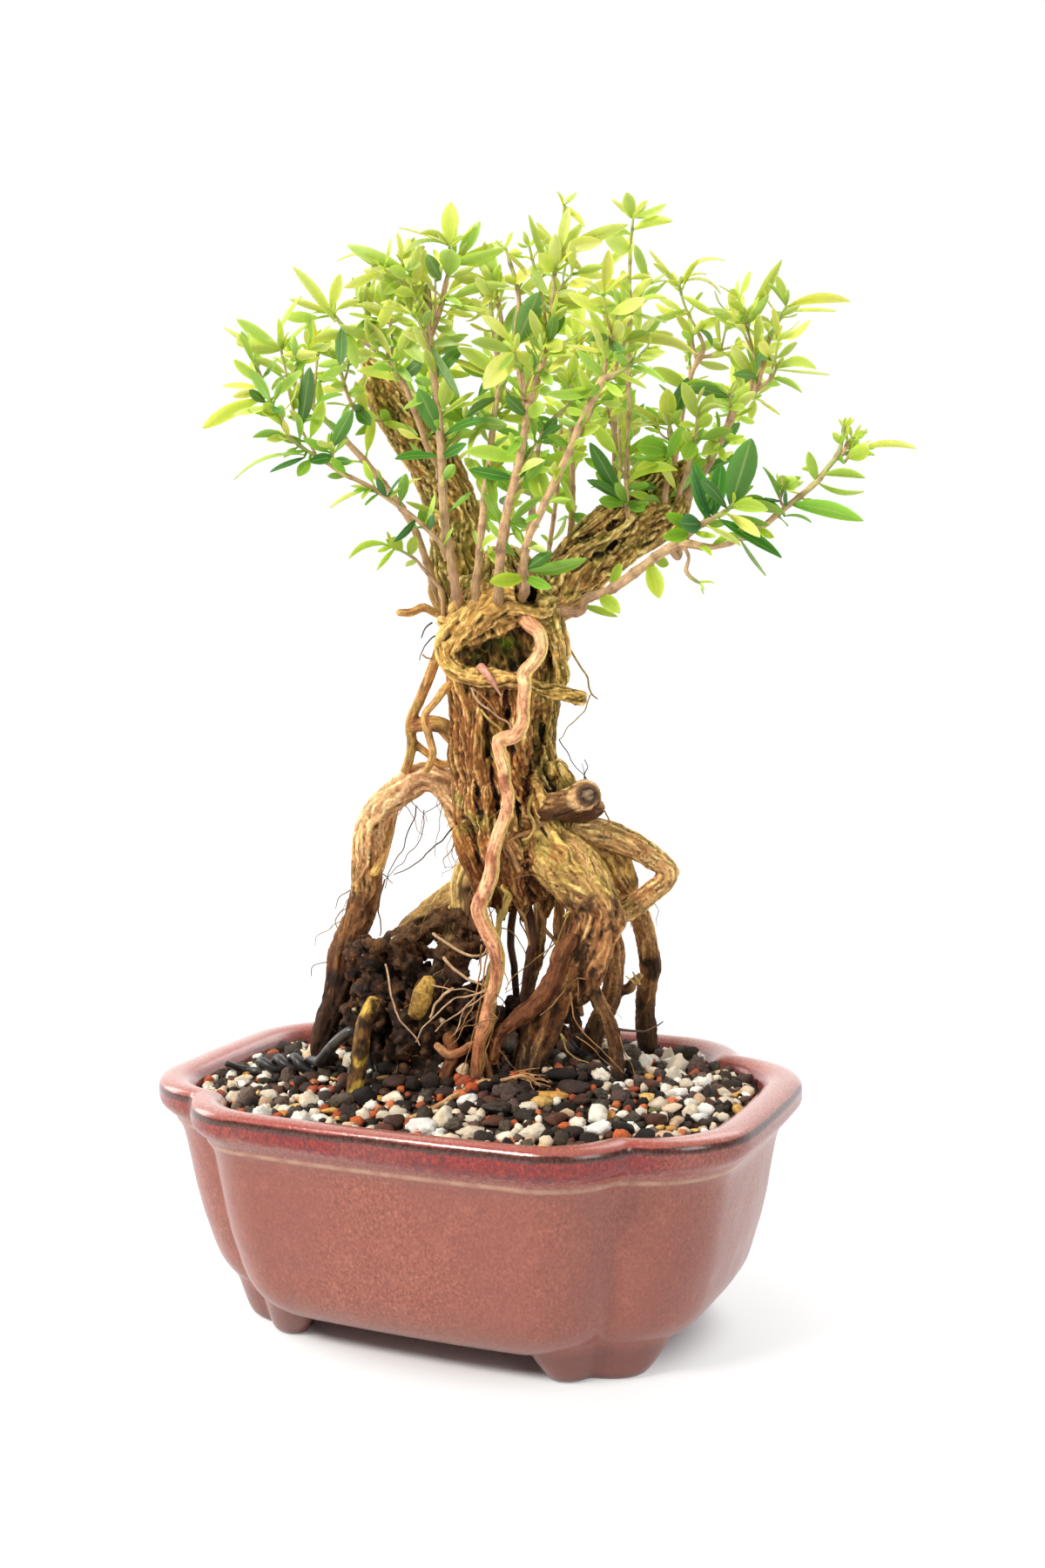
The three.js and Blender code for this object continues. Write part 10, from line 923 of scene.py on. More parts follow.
# crumbs of the dark clump: x, y, z, radius
CRUMBS = [(1.4, 3.3, 122.3, 1.5), (-7.6, 8.6, 87.2, 3.3), (-36.2, 4.3, 74.3, 3.2), (-5, -6, 86.2, 3.9), (-34.2, -2.9, 75.3, 4.2), (-0.7, -10.6, 93.2, 1.8), (0.7, 2.9, 127.8, 2.8), (-26.9, -5.9, 109.4, 2.6), (-24.6, -8.1, 105.8, 4.2), (-35.2, 3.5, 95.3, 3.5), (-31.9, 3.9, 79.3, 4.2), (-40.4, 1.6, 80.8, 2.2), (-8.5, -1.2, 104.4, 4.1), (-14.9, -11.3, 95.8, 1.5), (-26.1, -4.4, 87.1, 4.2), (-23.7, 0.5, 112.4, 4.1), (5.9, -1.6, 75.3, 4.1), (-14.4, -0.1, 81.7, 3.7), (1.1, -6.8, 100.9, 3.5), (-1.5, -6.6, 78.2, 4), (-7.2, -13.8, 91.7, 2.8), (-9.1, 4.6, 72.4, 1.7), (-16.4, -6.4, 79.3, 2.1), (-20.1, -5.7, 72.2, 3.8), (-16.9, -2.2, 81, 3.6), (-28.1, -5.1, 99.9, 3.1), (-32.5, 6, 86.2, 2.5), (-35.7, -12.7, 95, 2), (-17.7, -6.5, 113.2, 3), (-41.4, 1.5, 80.4, 3.4), (-40.9, -4.5, 94.6, 3), (1.3, -7.1, 123.4, 3.6), (-6, -11.5, 96.2, 1.6), (-29.8, -2.3, 102.1, 4.2), (-38.1, 4.1, 72.8, 3), (-15.2, 6.7, 105.8, 3), (4.5, -2.5, 82.7, 3.8), (-28.4, -5.3, 101, 2.2), (-4.2, -0.6, 85.9, 3.4), (-23.9, -7.4, 118.3, 4.2), (-44.6, -1, 98.8, 3.4), (-16.3, -14, 121.4, 1.6), (-29.1, -10.6, 117.7, 3.7), (-11, -0.4, 72.6, 3.8), (5.8, 1.3, 84.7, 2), (-30.3, 0, 73.8, 1.6), (-29.4, -8.5, 101.1, 2.8), (-34.7, 1.1, 83, 2.3), (-7, -11.2, 108.7, 2.8), (-5.8, -5.6, 111.9, 4.1), (-4.9, -2.7, 130.3, 3), (-9.5, -4.9, 93.8, 3.5), (-22.6, 1.9, 106.2, 4.4), (-35.3, -6.3, 83.1, 3.7), (-15.4, -1.1, 103.4, 1.7), (-10.9, 1.4, 98.5, 4.2), (0.5, -8, 131.9, 1.7), (-34.4, -4.8, 83.3, 3.8), (-20.7, -7, 121.9, 3), (-39.5, 4.7, 105.4, 1.5), (-24.8, 1.4, 73.2, 2.6), (-35.1, -3.6, 84.4, 1.7), (-0.1, -5.9, 78.4, 2.1), (-35.6, -9, 96.1, 3.3), (-13.8, -14.2, 85.5, 1.6), (-3, -2.3, 85.6, 2.7), (-11.5, -2.6, 95.6, 2.4), (-26, -5.8, 114.8, 2.9), (-23.4, -2.9, 86.1, 1.8), (-14.7, -18.4, 83.1, 2.1), (-38.2, 3.9, 83.1, 3), (-20.3, -14.8, 73.7, 2.3), (-6.1, 11.6, 70.4, 3.2), (-40, 5.4, 88.3, 3.6), (-13.6, -4, 97.9, 3.5), (-18.2, -4.1, 99.9, 3.8), (-11.9, 0.1, 93.4, 3.5), (-27.3, 1.6, 99.3, 2.5), (-40.3, -9.3, 88.1, 4), (-6.3, -6.6, 95.3, 1.8), (-42.9, 2.3, 87.4, 3), (-23.4, 2, 81.8, 3.6), (-31.6, 5.8, 90.9, 3.3), (-0.3, -5.5, 95.1, 3.3), (-18.9, 3.3, 93.2, 3.4), (-37.2, -3.4, 108.5, 1.8), (-32.7, -5.2, 90, 2.9), (-6.2, -0.3, 115.8, 2.7), (-32.1, 4.2, 68.8, 2.5), (-40.1, 1.5, 78.9, 2.6), (-1.1, 6.8, 99.6, 3.1), (-0.3, -9, 112.3, 3.6), (1.3, 12.8, 78.9, 4), (-11.4, -7, 108.6, 2.8), (-31, -11.5, 75.4, 3), (-23.3, -4.6, 112, 2.9), (-41.6, -3.2, 96.5, 3.7), (-39, 3, 100.7, 3.9), (-36.2, 2.2, 69.8, 3.2), (-20.7, -4.1, 72.8, 3.2), (-18.2, -0.5, 78.6, 1.9), (-6.4, -11.7, 86.3, 2.9), (-8.2, -7.2, 94.2, 2.1), (-2.9, -11.8, 87.4, 2.5), (-24.3, -0.2, 69.2, 3), (-1.3, 3.8, 95.5, 3.8), (-31.8, -2.1, 103.9, 2), (-39.3, 3.1, 76.3, 4.4), (-20.3, -13.9, 74.4, 3), (-9, -8.8, 91.5, 2.4), (-34.6, 5.3, 67, 3.3), (1.3, -9.4, 86.5, 1.7), (-3.7, -0.3, 94.9, 2.3), (-1.6, -9.4, 121.3, 2.1), (-19.4, -14.2, 87.1, 4.3), (-6.4, 1.7, 85.9, 3.9), (-21.3, 3.4, 81.7, 2.5), (-35.3, -1.2, 86.5, 3.9), (-20.7, -8.8, 120.3, 3.2), (-15.9, -1.9, 76.1, 1.9), (-26.6, 1.2, 110.7, 3), (-10.7, -8.7, 126, 2.6), (-7.6, -3.4, 86.7, 3.6), (-1, 7.7, 86.3, 2.7), (-28.8, -0.3, 91.1, 2.6), (-35.5, 0.5, 83.1, 2.7), (-6.5, 8, 94.6, 1.5), (-21.4, 1.8, 87.1, 3.8), (-38.1, 3.7, 114.2, 2), (-15, 7, 87.3, 3.9), (-12.4, -4.3, 103.5, 1.9), (1.8, 13.3, 77.2, 2.4), (-35.5, -2.1, 111.2, 4.2), (-3.7, -9.3, 77.2, 2), (-6.6, 8.5, 98.3, 3.1), (8.5, -7.5, 77.4, 1.5), (-38.2, -3.7, 98.5, 3.4), (6, -8.8, 83.9, 1.5), (-19.2, -17.1, 77.9, 2.1), (4.4, -4.2, 77.9, 1.8), (-8.2, -9.4, 103.6, 2.4), (-37.2, -8.6, 116.5, 3.5), (-1.6, 12.1, 93.5, 3.2), (-29.6, -8.5, 92.9, 2.5), (-33, -1.5, 115.1, 2.8), (-35.4, -5.3, 79.3, 3.3), (-14.6, -14.2, 104.2, 2.1), (-14.7, -7, 124.3, 2), (-22, -7.5, 119.5, 2.5), (-40.6, 0.9, 98.5, 4.4), (-0.1, -6.8, 129.1, 1.6), (-13.4, 9.1, 77, 1.9), (-34.2, -4.8, 97.3, 1.8), (-13.6, -14.4, 125.9, 2.3), (-19.5, -10.7, 115.9, 4.2), (-14.6, -11.5, 86.6, 3.5), (-10, -2.8, 99.2, 1.9), (0.5, -3.2, 126.8, 2.1), (-11.3, -5.2, 104.1, 1.6), (-36.9, 4.3, 82.3, 2.3), (-2, 1, 72.3, 3.8), (-37.4, 6.5, 80.5, 4.3), (-14.9, -9.5, 103.2, 2.8), (-8, -11, 78.6, 2.1), (-10.8, 5.4, 79.4, 2.9), (-20.3, 2.8, 97.4, 3), (-13.9, -8.9, 86.8, 3.9), (-23.2, 0.4, 98.4, 3.7), (-5.5, -2.7, 122.2, 3.4), (-0.6, -0.5, 123.7, 1.8), (-9.7, -3.5, 128.4, 1.8), (-4.4, -4.7, 103, 3.7), (-22, 4.9, 85, 2.8), (-33.4, 8.5, 90.4, 2.5), (-5.6, 7.7, 86.1, 1.7), (-33.8, 4, 105.7, 2.4), (-6.7, -5.1, 104.2, 3.1), (-4.5, -3.9, 104.6, 2.4), (1.4, 1.3, 74.5, 2.3), (-35.9, -12, 89.5, 1.6), (-43, 2.1, 90.7, 1.9), (-11.1, -12, 96.2, 3.4), (-7.1, -14.9, 82.2, 4.1), (-17.9, -7.8, 120.6, 1.6), (-10.7, -10.8, 102.9, 3.2), (-35.1, -3.4, 108, 2.1), (-27, -4.9, 74.6, 4), (-24, -3.5, 89, 2.8), (-19.1, 3.2, 83, 4.3), (-43.6, -1.5, 82.5, 1.9), (-14.3, -2.2, 74.4, 2.9), (-18.9, -9.9, 117.6, 3.8), (-23.6, -18, 121.7, 3.1), (-28.9, -7.9, 95.6, 1.6), (-3.1, -4, 83.2, 3.2), (-5.7, 11.5, 74.6, 4.1), (-2.8, 6.2, 85.9, 2.2), (-37.5, -11.7, 84.6, 1.8), (-32, -6.2, 110.6, 3.8), (-41, 3.7, 112.2, 2.6), (-36.9, -1.2, 82.3, 2.2), (-4.3, 2, 79.6, 3.9), (-18, -18.3, 81.3, 2.1), (-15, -17.1, 92, 3.8), (-20.7, -4.8, 72.9, 2.7), (-8.9, 10.7, 99.1, 2.1), (1.5, 4.2, 84.2, 2.3), (-14.3, -12.1, 94.8, 2.3), (-16.8, 3.2, 103, 2.3), (-2, 14.4, 77.4, 2.4), (3.6, 3.3, 95.8, 1.9), (1, 12.7, 76.5, 1.6), (-12.7, -3.6, 98.2, 3.6), (7.1, 1.8, 84.9, 2.6), (-16.2, -12.8, 116.8, 2.3), (-22.7, -7.2, 122.5, 3.4), (-31.6, -8.1, 99.6, 3.9), (-36.8, -4.7, 89.9, 1.6), (-17.8, -1.7, 104.1, 4.1), (-3.9, -3.4, 76.8, 2.9), (-29.9, -5.4, 101.3, 3.6), (-5.4, -11.8, 110.3, 2.6), (-23.9, -1.6, 99.9, 3.9), (-33.1, -11, 104.2, 3.9), (-22.7, -7.7, 115.8, 2.3), (-9.6, 1, 90.4, 2.5), (-17.9, 1.2, 98.1, 3.9), (-3.6, -8.1, 130.4, 2.2), (-22.5, 4.3, 70, 2.6), (-0.9, -1.6, 124.9, 3.1), (-5.2, 11.3, 70.7, 2.2), (-13.7, -0.9, 78.7, 4.2), (-22.1, 4.1, 87.1, 3.5), (-38.7, -5.5, 110.5, 3.8), (-39.1, -4.8, 106.2, 1.7), (-38.4, -8.3, 86.8, 2.5), (-36.8, -8.9, 117, 3.3), (-31.6, -3.3, 90.2, 2.6), (-30.2, -0.7, 72.7, 1.8), (-34.2, 6, 69.5, 3.1), (-16.9, -15.3, 91.3, 3.2), (-22.2, -2, 86.9, 2), (-31.9, -7.4, 107.7, 4.3), (-7.2, -13.3, 86.5, 3.2), (-17.9, 2.8, 104.7, 1.7), (-16.9, -2.7, 71, 3.6), (-16.3, -13.9, 121.4, 2.1), (-4.4, -3.5, 122.4, 3.5), (-16.2, -10.9, 97.2, 2.8), (-2.2, -12, 120, 3.6), (0.4, 2.8, 80, 1.7), (-4.7, 1.6, 114.2, 2), (-30.9, -9.4, 106.9, 3.5), (6.9, -6.1, 80.1, 4), (-0.1, -1.9, 103.3, 3), (-27.5, 0.4, 84.3, 4.1), (-15.2, -9.7, 89.2, 2.3), (2.5, 4.2, 77.1, 3.3), (-18.7, -5.3, 108.5, 2.3), (-11.6, -16.7, 76.7, 1.9), (-17, 3.6, 105.4, 2.2), (-0.3, -2, 81.3, 4.4), (-6.9, -5.1, 125.9, 2.4), (4.4, 8.9, 80.4, 1.6), (-5.6, -4.1, 116.2, 2.7), (-32.4, 1.9, 83.8, 4.4), (-2.4, 1.6, 77.5, 2.9), (-38.6, -13.5, 99.5, 1.8), (-11.2, -11.9, 85.5, 3.5), (-3.5, -6.4, 117.7, 4.1), (-8.7, -6.1, 107.7, 4.2), (-38.2, 4.4, 103.8, 2.8), (-30.3, -1.4, 81.7, 2.8), (-22, 2.6, 85.5, 3.1), (-42.5, -4.4, 83.9, 2.2), (-17, -16.1, 98.5, 3.7), (-39, 3.5, 99.6, 2), (-6.2, -7.1, 81.8, 1.6), (-11.5, 0.3, 97.9, 2.4), (2.8, -0.2, 105.7, 3.4), (-2.7, 11.8, 96.6, 4.2), (-19.5, 4.1, 70.1, 3.4), (-26.1, -11.4, 120.6, 2.1), (-38.2, -0.3, 112.6, 1.7), (-41.7, -0.7, 106.6, 1.9), (1.7, 1.2, 128.3, 1.5), (-18.3, -4.8, 125, 1.8), (-0.3, 0.2, 119.8, 2.2), (0.2, 8.5, 71.8, 3.8), (-4.5, -2.8, 99.8, 3.8), (-12, -12.7, 79.3, 2.9), (-15.4, -13.3, 86.3, 1.9), (-1.2, 0.1, 76.3, 2.5), (4.2, -3.6, 123.4, 4), (-29, -3.9, 113.3, 2.9), (3.9, -8.5, 103.6, 3.1), (-2.2, -0.7, 129.2, 1.6), (-28.3, -6.6, 96.7, 2.1), (-32.4, -0.6, 77.2, 3), (4.2, 4.7, 80.3, 3.8), (-38.5, -7.9, 102.7, 2.5), (-17.6, -8.1, 110.6, 3.5), (5, -4.1, 81.7, 3.5), (-37.3, 6.1, 102.5, 1.5), (-31.2, -2.1, 103.3, 3.2), (-17.6, -10.2, 120.4, 2.7), (-3, 5.4, 89.7, 2.1), (-6, -2.3, 87.9, 3.9), (-9.7, 2.4, 101.9, 2.9), (-8.3, -2.3, 77.9, 1.7), (-26.9, -2.9, 88.7, 2.4), (-14.3, 0.6, 77.4, 3.8), (-24, -5.9, 72, 2.1), (-37.8, -10.1, 87.7, 2.4), (-6.3, -10.2, 101.8, 1.6), (-35.4, -5, 103.6, 2.4), (-28.1, -10.3, 74.2, 3.6), (-35.8, -9.1, 95.6, 3.4), (-9.9, -4.3, 111.6, 2.2), (-0.5, -1.1, 125.2, 2.9), (-1.7, -9.8, 118.4, 3.8), (0.7, 2, 83.4, 4.3), (-5.9, -4.9, 103.1, 2.6), (-11.9, -16.1, 81, 1.6), (-33.3, 1, 109.9, 1.5), (0.9, 6.5, 81.7, 3.6), (-8.7, -6.9, 113.5, 2.3), (-29.4, 0.4, 87.2, 2.3), (-28.2, -10.2, 116.7, 3.6), (-4.5, -1.6, 83.5, 4.3), (-39.3, 3.9, 69.4, 2.4), (-32.7, 5.4, 69.7, 3.8), (-18, -4.5, 71.4, 2.1), (-7.7, -5.7, 103.9, 2.2), (-12.3, -3, 84.1, 2.1), (1.7, 1.4, 104.2, 2.3), (6.8, -4.5, 92.5, 4.4), (-17, -10.8, 110.6, 1.7), (-0.7, 0.8, 118.3, 3.8), (-5.2, -10.5, 130, 2.1), (2, 0.9, 128, 1.7), (-37.5, -5.2, 98, 3.8), (-33.6, -8.2, 76, 4.3), (-6.5, 4.3, 76.4, 2.2), (-39.6, -0.8, 89, 3.2), (-21.6, -5.2, 117.2, 4.2), (7.8, -5.7, 98, 4.2), (-40.6, 4.9, 94.5, 1.7), (-27.3, -9.8, 102, 2.9), (-40.7, 2.5, 97.3, 3.3), (-9.5, 3.5, 110.6, 2.8), (1, -9.4, 88, 1.7), (-12.7, -0.9, 84.1, 4.2), (-35, -4.2, 102.3, 3.5), (-33.4, -6.3, 107.9, 2.7), (-27.2, -6.4, 105.2, 2), (-3.2, -10.3, 102.2, 3.7), (2.9, 2, 79, 3.3), (-32.7, 0.3, 87.7, 3.3), (-3.5, -3.9, 109.8, 2), (-18, 2.1, 71.1, 2.7), (1, -8.3, 120.6, 2.4), (-39.7, 3.9, 109.3, 1.9), (-1, -9.5, 79.9, 3), (-12.5, -9.2, 110.3, 3.3), (-2.2, -1.2, 125.9, 2), (-45.4, 1.7, 86.9, 3.9), (0, -3.8, 130.5, 2.7), (-18.8, -14.3, 86.1, 1.8), (-2.7, -2.7, 78.1, 4.1), (-31.7, -8.1, 72.9, 2.5), (-32.2, 0.9, 115.8, 4.1), (-3.4, -13.1, 94.9, 2.2), (-18.5, 2.3, 103.4, 2.1), (-9.5, 3.2, 105.2, 2.3), (-7.4, -3.7, 90.9, 3.7), (-33.5, 3.5, 101.5, 3), (-22, -2.4, 96.8, 1.8), (-39.2, -10.9, 98.9, 2.4), (-35.9, -7.2, 105.1, 4.2), (-31.2, 5.7, 107, 2.2), (-22, -9.4, 73.5, 1.7), (-21.7, -7, 82.4, 2.6), (1.2, 4.8, 86, 4.1), (-8.9, -14.6, 108.2, 3.5), (-40.9, 1.3, 84.6, 2.1), (-5.1, -14, 96.9, 2.7), (6.3, -7.5, 88, 3.4), (6.3, -3.7, 96.8, 1.8), (-9.5, -4.8, 112.2, 2.5), (-19.6, -5.8, 114.6, 2.3), (-18, 3.5, 83.7, 3.4), (-16.1, 7.8, 106.6, 2.8), (-11.5, -4.8, 95.7, 2.9), (-19.6, -12.5, 100.2, 4.2), (-42.7, 1.9, 95, 2.5), (-44.8, -1.3, 101.6, 3.6), (-5, -7.5, 91, 4.3), (6.4, -2.2, 90.4, 2), (-10.1, -3.5, 97.1, 2.2), (5.6, -5.1, 84.3, 3.8), (-14.5, -13.1, 126.5, 1.9), (8.6, 0.4, 83.6, 3.3), (-4.8, 2.6, 94.7, 3.6), (-24.9, 1.7, 115.6, 4.1), (5.9, -5.8, 128.8, 2.5), (-17.6, -13.3, 117.6, 1.7), (-1.9, -7.4, 76.8, 4.3), (-22.2, -10.6, 85.9, 3), (4.9, 6.3, 79.4, 3.5), (-10, -9, 93.5, 4.1), (-5.2, 8.9, 72.5, 3.4), (-35, 1.5, 69.9, 2.8), (-9.6, 2.9, 80.6, 4.2), (-16.4, -10.1, 100.5, 4.3), (-33.5, -0.9, 113, 2.9), (-18.5, 1.5, 71.3, 2.9), (-9, -5.7, 115, 1.6), (-0.5, -0.3, 100.5, 2.4), (0.9, -8.4, 122.3, 2.6), (18.8, 20, 95.6, 2.2), (8.7, 23.1, 96.8, 3.1), (19.2, 29, 73.6, 2.6), (19.8, 18.6, 98.7, 1.7), (19.6, 19.2, 85.9, 3.8), (4.4, 17.9, 84.8, 1.8), (9, 19, 84.9, 3.3), (22.7, 18.5, 73.2, 3.6), (7.3, 22.3, 92, 3.3), (22.9, 22, 79.1, 2.6), (0.7, 20.9, 71.7, 3.9), (10.8, 19.2, 69.1, 1.7), (6.2, 14.6, 89.1, 2.1), (0.9, 7.3, 78.8, 3.7), (4.4, 16, 72.3, 2.8), (9.9, 13, 93.5, 2.6), (-0.7, 20.5, 90.9, 2.9), (8, 12.5, 95, 2.5), (4.3, 15, 74.1, 3.8), (2.6, 22, 80.2, 3.9), (6.5, 9.3, 79.7, 2.9), (14.9, 23.5, 80.6, 2.1), (-1.2, 17.6, 75.7, 3.8), (8.3, 25.7, 82.9, 3.8), (13.1, 19.7, 69.7, 2.3), (18.2, 16.3, 70.8, 2.4), (3, 7.8, 78.8, 3.5), (8.6, 25, 66.8, 2.1), (18.9, 25.6, 70.2, 3.2), (9.9, 15, 84.9, 1.9), (-1.2, 12.1, 77.3, 1.7), (19.3, 30.5, 68, 1.7), (14.6, 23.1, 97.6, 1.8), (14.6, 23.4, 83.3, 2.6), (17.4, 26.5, 85.8, 3.6), (2.3, 9.2, 82, 2.7), (13.8, 19.3, 90.8, 2.1), (10.5, 20.4, 94, 3.2), (4.6, 12.6, 80.2, 2), (10.2, 17.5, 73.4, 2.7), (14.2, 27.1, 66.6, 2), (3.7, 19, 92.8, 1.9), (2.4, 16.3, 81.8, 2.2), (2.3, 16.1, 78.6, 2), (15.5, 20.8, 80.2, 1.8), (3.1, 17.1, 71.1, 2.7), (14.5, 16.6, 72.1, 3.9), (21.2, 20, 84.2, 3.9), (1.9, 16, 80.7, 2.9), (21.4, 24.2, 80.5, 1.8), (0.4, 16.4, 79.2, 3.7), (10.2, 17, 70.6, 2.2), (5.8, 21.3, 89.5, 2.7), (13.7, 27.4, 92.2, 4), (20.5, 27.8, 76.7, 2.9), (5.4, 15.8, 76.4, 2.9), (5.1, 12.8, 75.8, 1.9), (2.5, 20.4, 83.4, 3.3), (1.7, 16.3, 91, 3.5), (13, 16.8, 87.3, 2.1), (20.7, 25.6, 85.1, 4), (0.5, 20.1, 80, 1.8), (8.1, 24, 77, 2.7), (2.2, 20.1, 81.8, 2.1), (22.3, 23.1, 69.3, 3.6), (1.5, 9.9, 86, 3.7), (-3.1, 15.2, 84.5, 1.7), (1.2, 10.6, 69, 1.8), (0.5, 8.5, 84.5, 3.5), (15.8, 28.4, 73, 2), (12.7, 13.5, 95.4, 2.8), (11, 26.8, 69, 1.7), (10.2, 17, 78, 3.1), (-2.5, 20.5, 75.3, 3.6), (15.6, 26.3, 79.3, 3), (2.9, 7.9, 89.2, 3.1), (5.8, 17.6, 92.4, 1.7), (-2.3, 12.8, 90.9, 2.8), (-3.3, 20, 67.5, 3.1), (6.7, 17.7, 83.6, 2.8), (5.1, 9.3, 70.5, 2.5), (17.6, 19.2, 87.2, 3.8), (18.9, 23.1, 85.7, 2.7), (10.9, 26.2, 69.2, 1.7), (18.1, 14.7, 99.5, 3.4), (4.9, 19.5, 87.6, 3.1), (22.4, 18.3, 77.4, 2.3), (11.7, 15.4, 68.9, 3.1), (13.3, 25.8, 66.8, 3.4), (2.5, 8.8, 91.1, 2.9), (1.3, 14.7, 95.9, 2.5), (4.8, 19.7, 69.9, 2.4), (-1.6, 18.8, 87.1, 2.8), (13.3, 25.3, 93, 2.1), (-4.5, 17.9, 81.6, 1.7), (4.3, 20.3, 73.4, 1.8), (22.8, 22, 91.1, 1.8), (5, 20.3, 74.3, 2.6), (22.1, 23.9, 78.9, 1.6), (-0.6, 13.4, 91.5, 2.5), (11, 21.6, 66.9, 2.6), (10.9, 19.1, 91.1, 2.2), (-1.5, 10.2, 89.9, 2), (17.2, 28.4, 74.2, 2.6), (15.8, 16.7, 86.1, 3.9), (7.8, 23.8, 80.1, 3.2), (14.2, 19.3, 97.2, 2), (12.4, 27.3, 88.2, 3.4), (13.4, 11.9, 97.7, 3.7), (11.2, 13.6, 78, 3.1), (22, 16.5, 97.1, 3.4), (11.3, 19.6, 70.9, 3), (9, 24.2, 75.5, 3.5), (3.3, 22.9, 76.3, 3), (18.3, 25.5, 72.1, 1.9), (-2.7, 14, 92.2, 2), (5.3, 15, 84.3, 2.2), (4.7, 13.8, 69.6, 2.2), (18.4, 21.8, 70, 3.1), (20.2, 26.3, 67.4, 2)]
BARE_PATCH = [(-10.6, -18.2, 101.1, 2.6), (-8.4, -18.3, 106.3, 3.4), (-6.5, -16.9, 111.4, 2.2)]

# ---------------------------------------------------------------- noise
def _lat(ix, iy, iz, seed):
    n = (ix * 73856093) ^ (iy * 19349663) ^ (iz * 83492791) ^ (seed * 6542989)
    n = (n ^ (n >> 13)) & 0xFFFFFFFF
    n = (n * 1274126177) & 0xFFFFFFFF
    n = n ^ (n >> 15)
    return (n & 0xFFFF) / 32767.5 - 1.0


def noise(p, seed=0):
    """Smooth value noise, about -1 to 1, at points p (n, 3)."""
    p = np.asarray(p, float)
    i = np.floor(p).astype(np.int64)
    f = p - i
    f = f * f * f * (f * (f * 6 - 15) + 10)
    out = np.zeros(len(p))
    for dx in (0, 1):
        wx = f[:, 0] if dx else 1 - f[:, 0]
        for dy in (0, 1):
            wy = f[:, 1] if dy else 1 - f[:, 1]
            for dz in (0, 1):
                wz = f[:, 2] if dz else 1 - f[:, 2]
                out += wx * wy * wz * _lat(i[:, 0] + dx, i[:, 1] + dy, i[:, 2] + dz, seed)
    return out


def fbm(p, octaves=4, seed=0, gain=0.5):
    p = np.asarray(p, float)
    total, amp, norm = np.zeros(len(p)), 1.0, 0.0
    for k in range(octaves):
        total += amp * noise(p * (2.03 ** k) + 17.3 * k, seed + 31 * k)
        norm += amp
        amp *= gain
    return total / norm


def ridge(p, octaves=3, seed=0, gain=0.55):
    """Ridged noise, 0 in the valleys to 1 on the crests."""
    p = np.asarray(p, float)
    total, amp, norm = np.zeros(len(p)), 1.0, 0.0
    for k in range(octaves):
        total += amp * (1 - np.abs(noise(p * (2.03 ** k) + 9.1 * k, seed + 31 * k)) * 1.6)
        norm += amp
        amp *= gain
    return np.clip(total / norm, -0.6, 1)


def unit(v):
    return v / np.maximum(np.linalg.norm(v, axis=-1, keepdims=True), 1e-12)


def step(x, a, b):
    t = np.clip((x - a) / (b - a), 0, 1)
    return t * t * (3 - 2 * t)


# ---------------------------------------------------------------- paths and tubes
def smooth_path(q, gap):
    """Centripetal Catmull-Rom through rows [x, y, z, r], about one point every gap mm."""
    q = np.asarray(q, float)
    if len(q) == 2:
        n = max(2, int(np.linalg.norm(q[1, :3] - q[0, :3]) / gap) + 1)
        return q[0] + (q[1] - q[0]) * np.linspace(0, 1, n)[:, None]
    ext = np.vstack([2 * q[0] - q[1], q, 2 * q[-1] - q[-2]])
    ext[0, 3], ext[-1, 3] = q[0, 3], q[-1, 3]
    knots = np.concatenate([[0], np.cumsum(np.maximum(np.linalg.norm(np.diff(ext[:, :3], axis=0), axis=1), 1e-3) ** 0.5)])
    out = []
    for i in range(1, len(ext) - 2):
        p0, p1, p2, p3 = ext[i - 1:i + 3]
        t0, t1, t2, t3 = knots[i - 1:i + 3]
        n = max(1, int(round(np.linalg.norm(p2[:3] - p1[:3]) / gap)))
        t = (t1 + (t2 - t1) * np.arange(n) / n)[:, None]
        a1 = (t1 - t) / (t1 - t0) * p0 + (t - t0) / (t1 - t0) * p1
        a2 = (t2 - t) / (t2 - t1) * p1 + (t - t1) / (t2 - t1) * p2
        a3 = (t3 - t) / (t3 - t2) * p2 + (t - t2) / (t3 - t2) * p3
        b1 = (t2 - t) / (t2 - t0) * a1 + (t - t0) / (t2 - t0) * a2
        b2 = (t3 - t) / (t3 - t1) * a2 + (t - t1) / (t3 - t1) * a3
        c = (t2 - t) / (t2 - t1) * b1 + (t - t1) / (t2 - t1) * b2
        c[:, 3] = np.clip(c[:, 3], min(p1[3], p2[3]), max(p1[3], p2[3]))
        out.append(c)
    out.append(q[-1:])
    return np.vstack(out)


def frames(p):
    """Tangent, u, w at each path point, with as little twist as can be."""
    p = p[:, :3]
    t = unit(np.vstack([p[1] - p[0], p[2:] - p[:-2], p[-1] - p[-2]]) if len(p) > 2 else np.vstack([p[1] - p[0]] * 2))
    u = np.zeros_like(t)
    ref = np.array([0.31, 0.77, 0.55])
    for i in range(len(t)):
        ref = ref - t[i] * ref.dot(t[i])
        if np.linalg.norm(ref) < 1e-4:
            ref = np.cross(t[i], [1, 0, 0])
        ref = ref / np.linalg.norm(ref)
        u[i] = ref
    return t, u, np.cross(t, u)


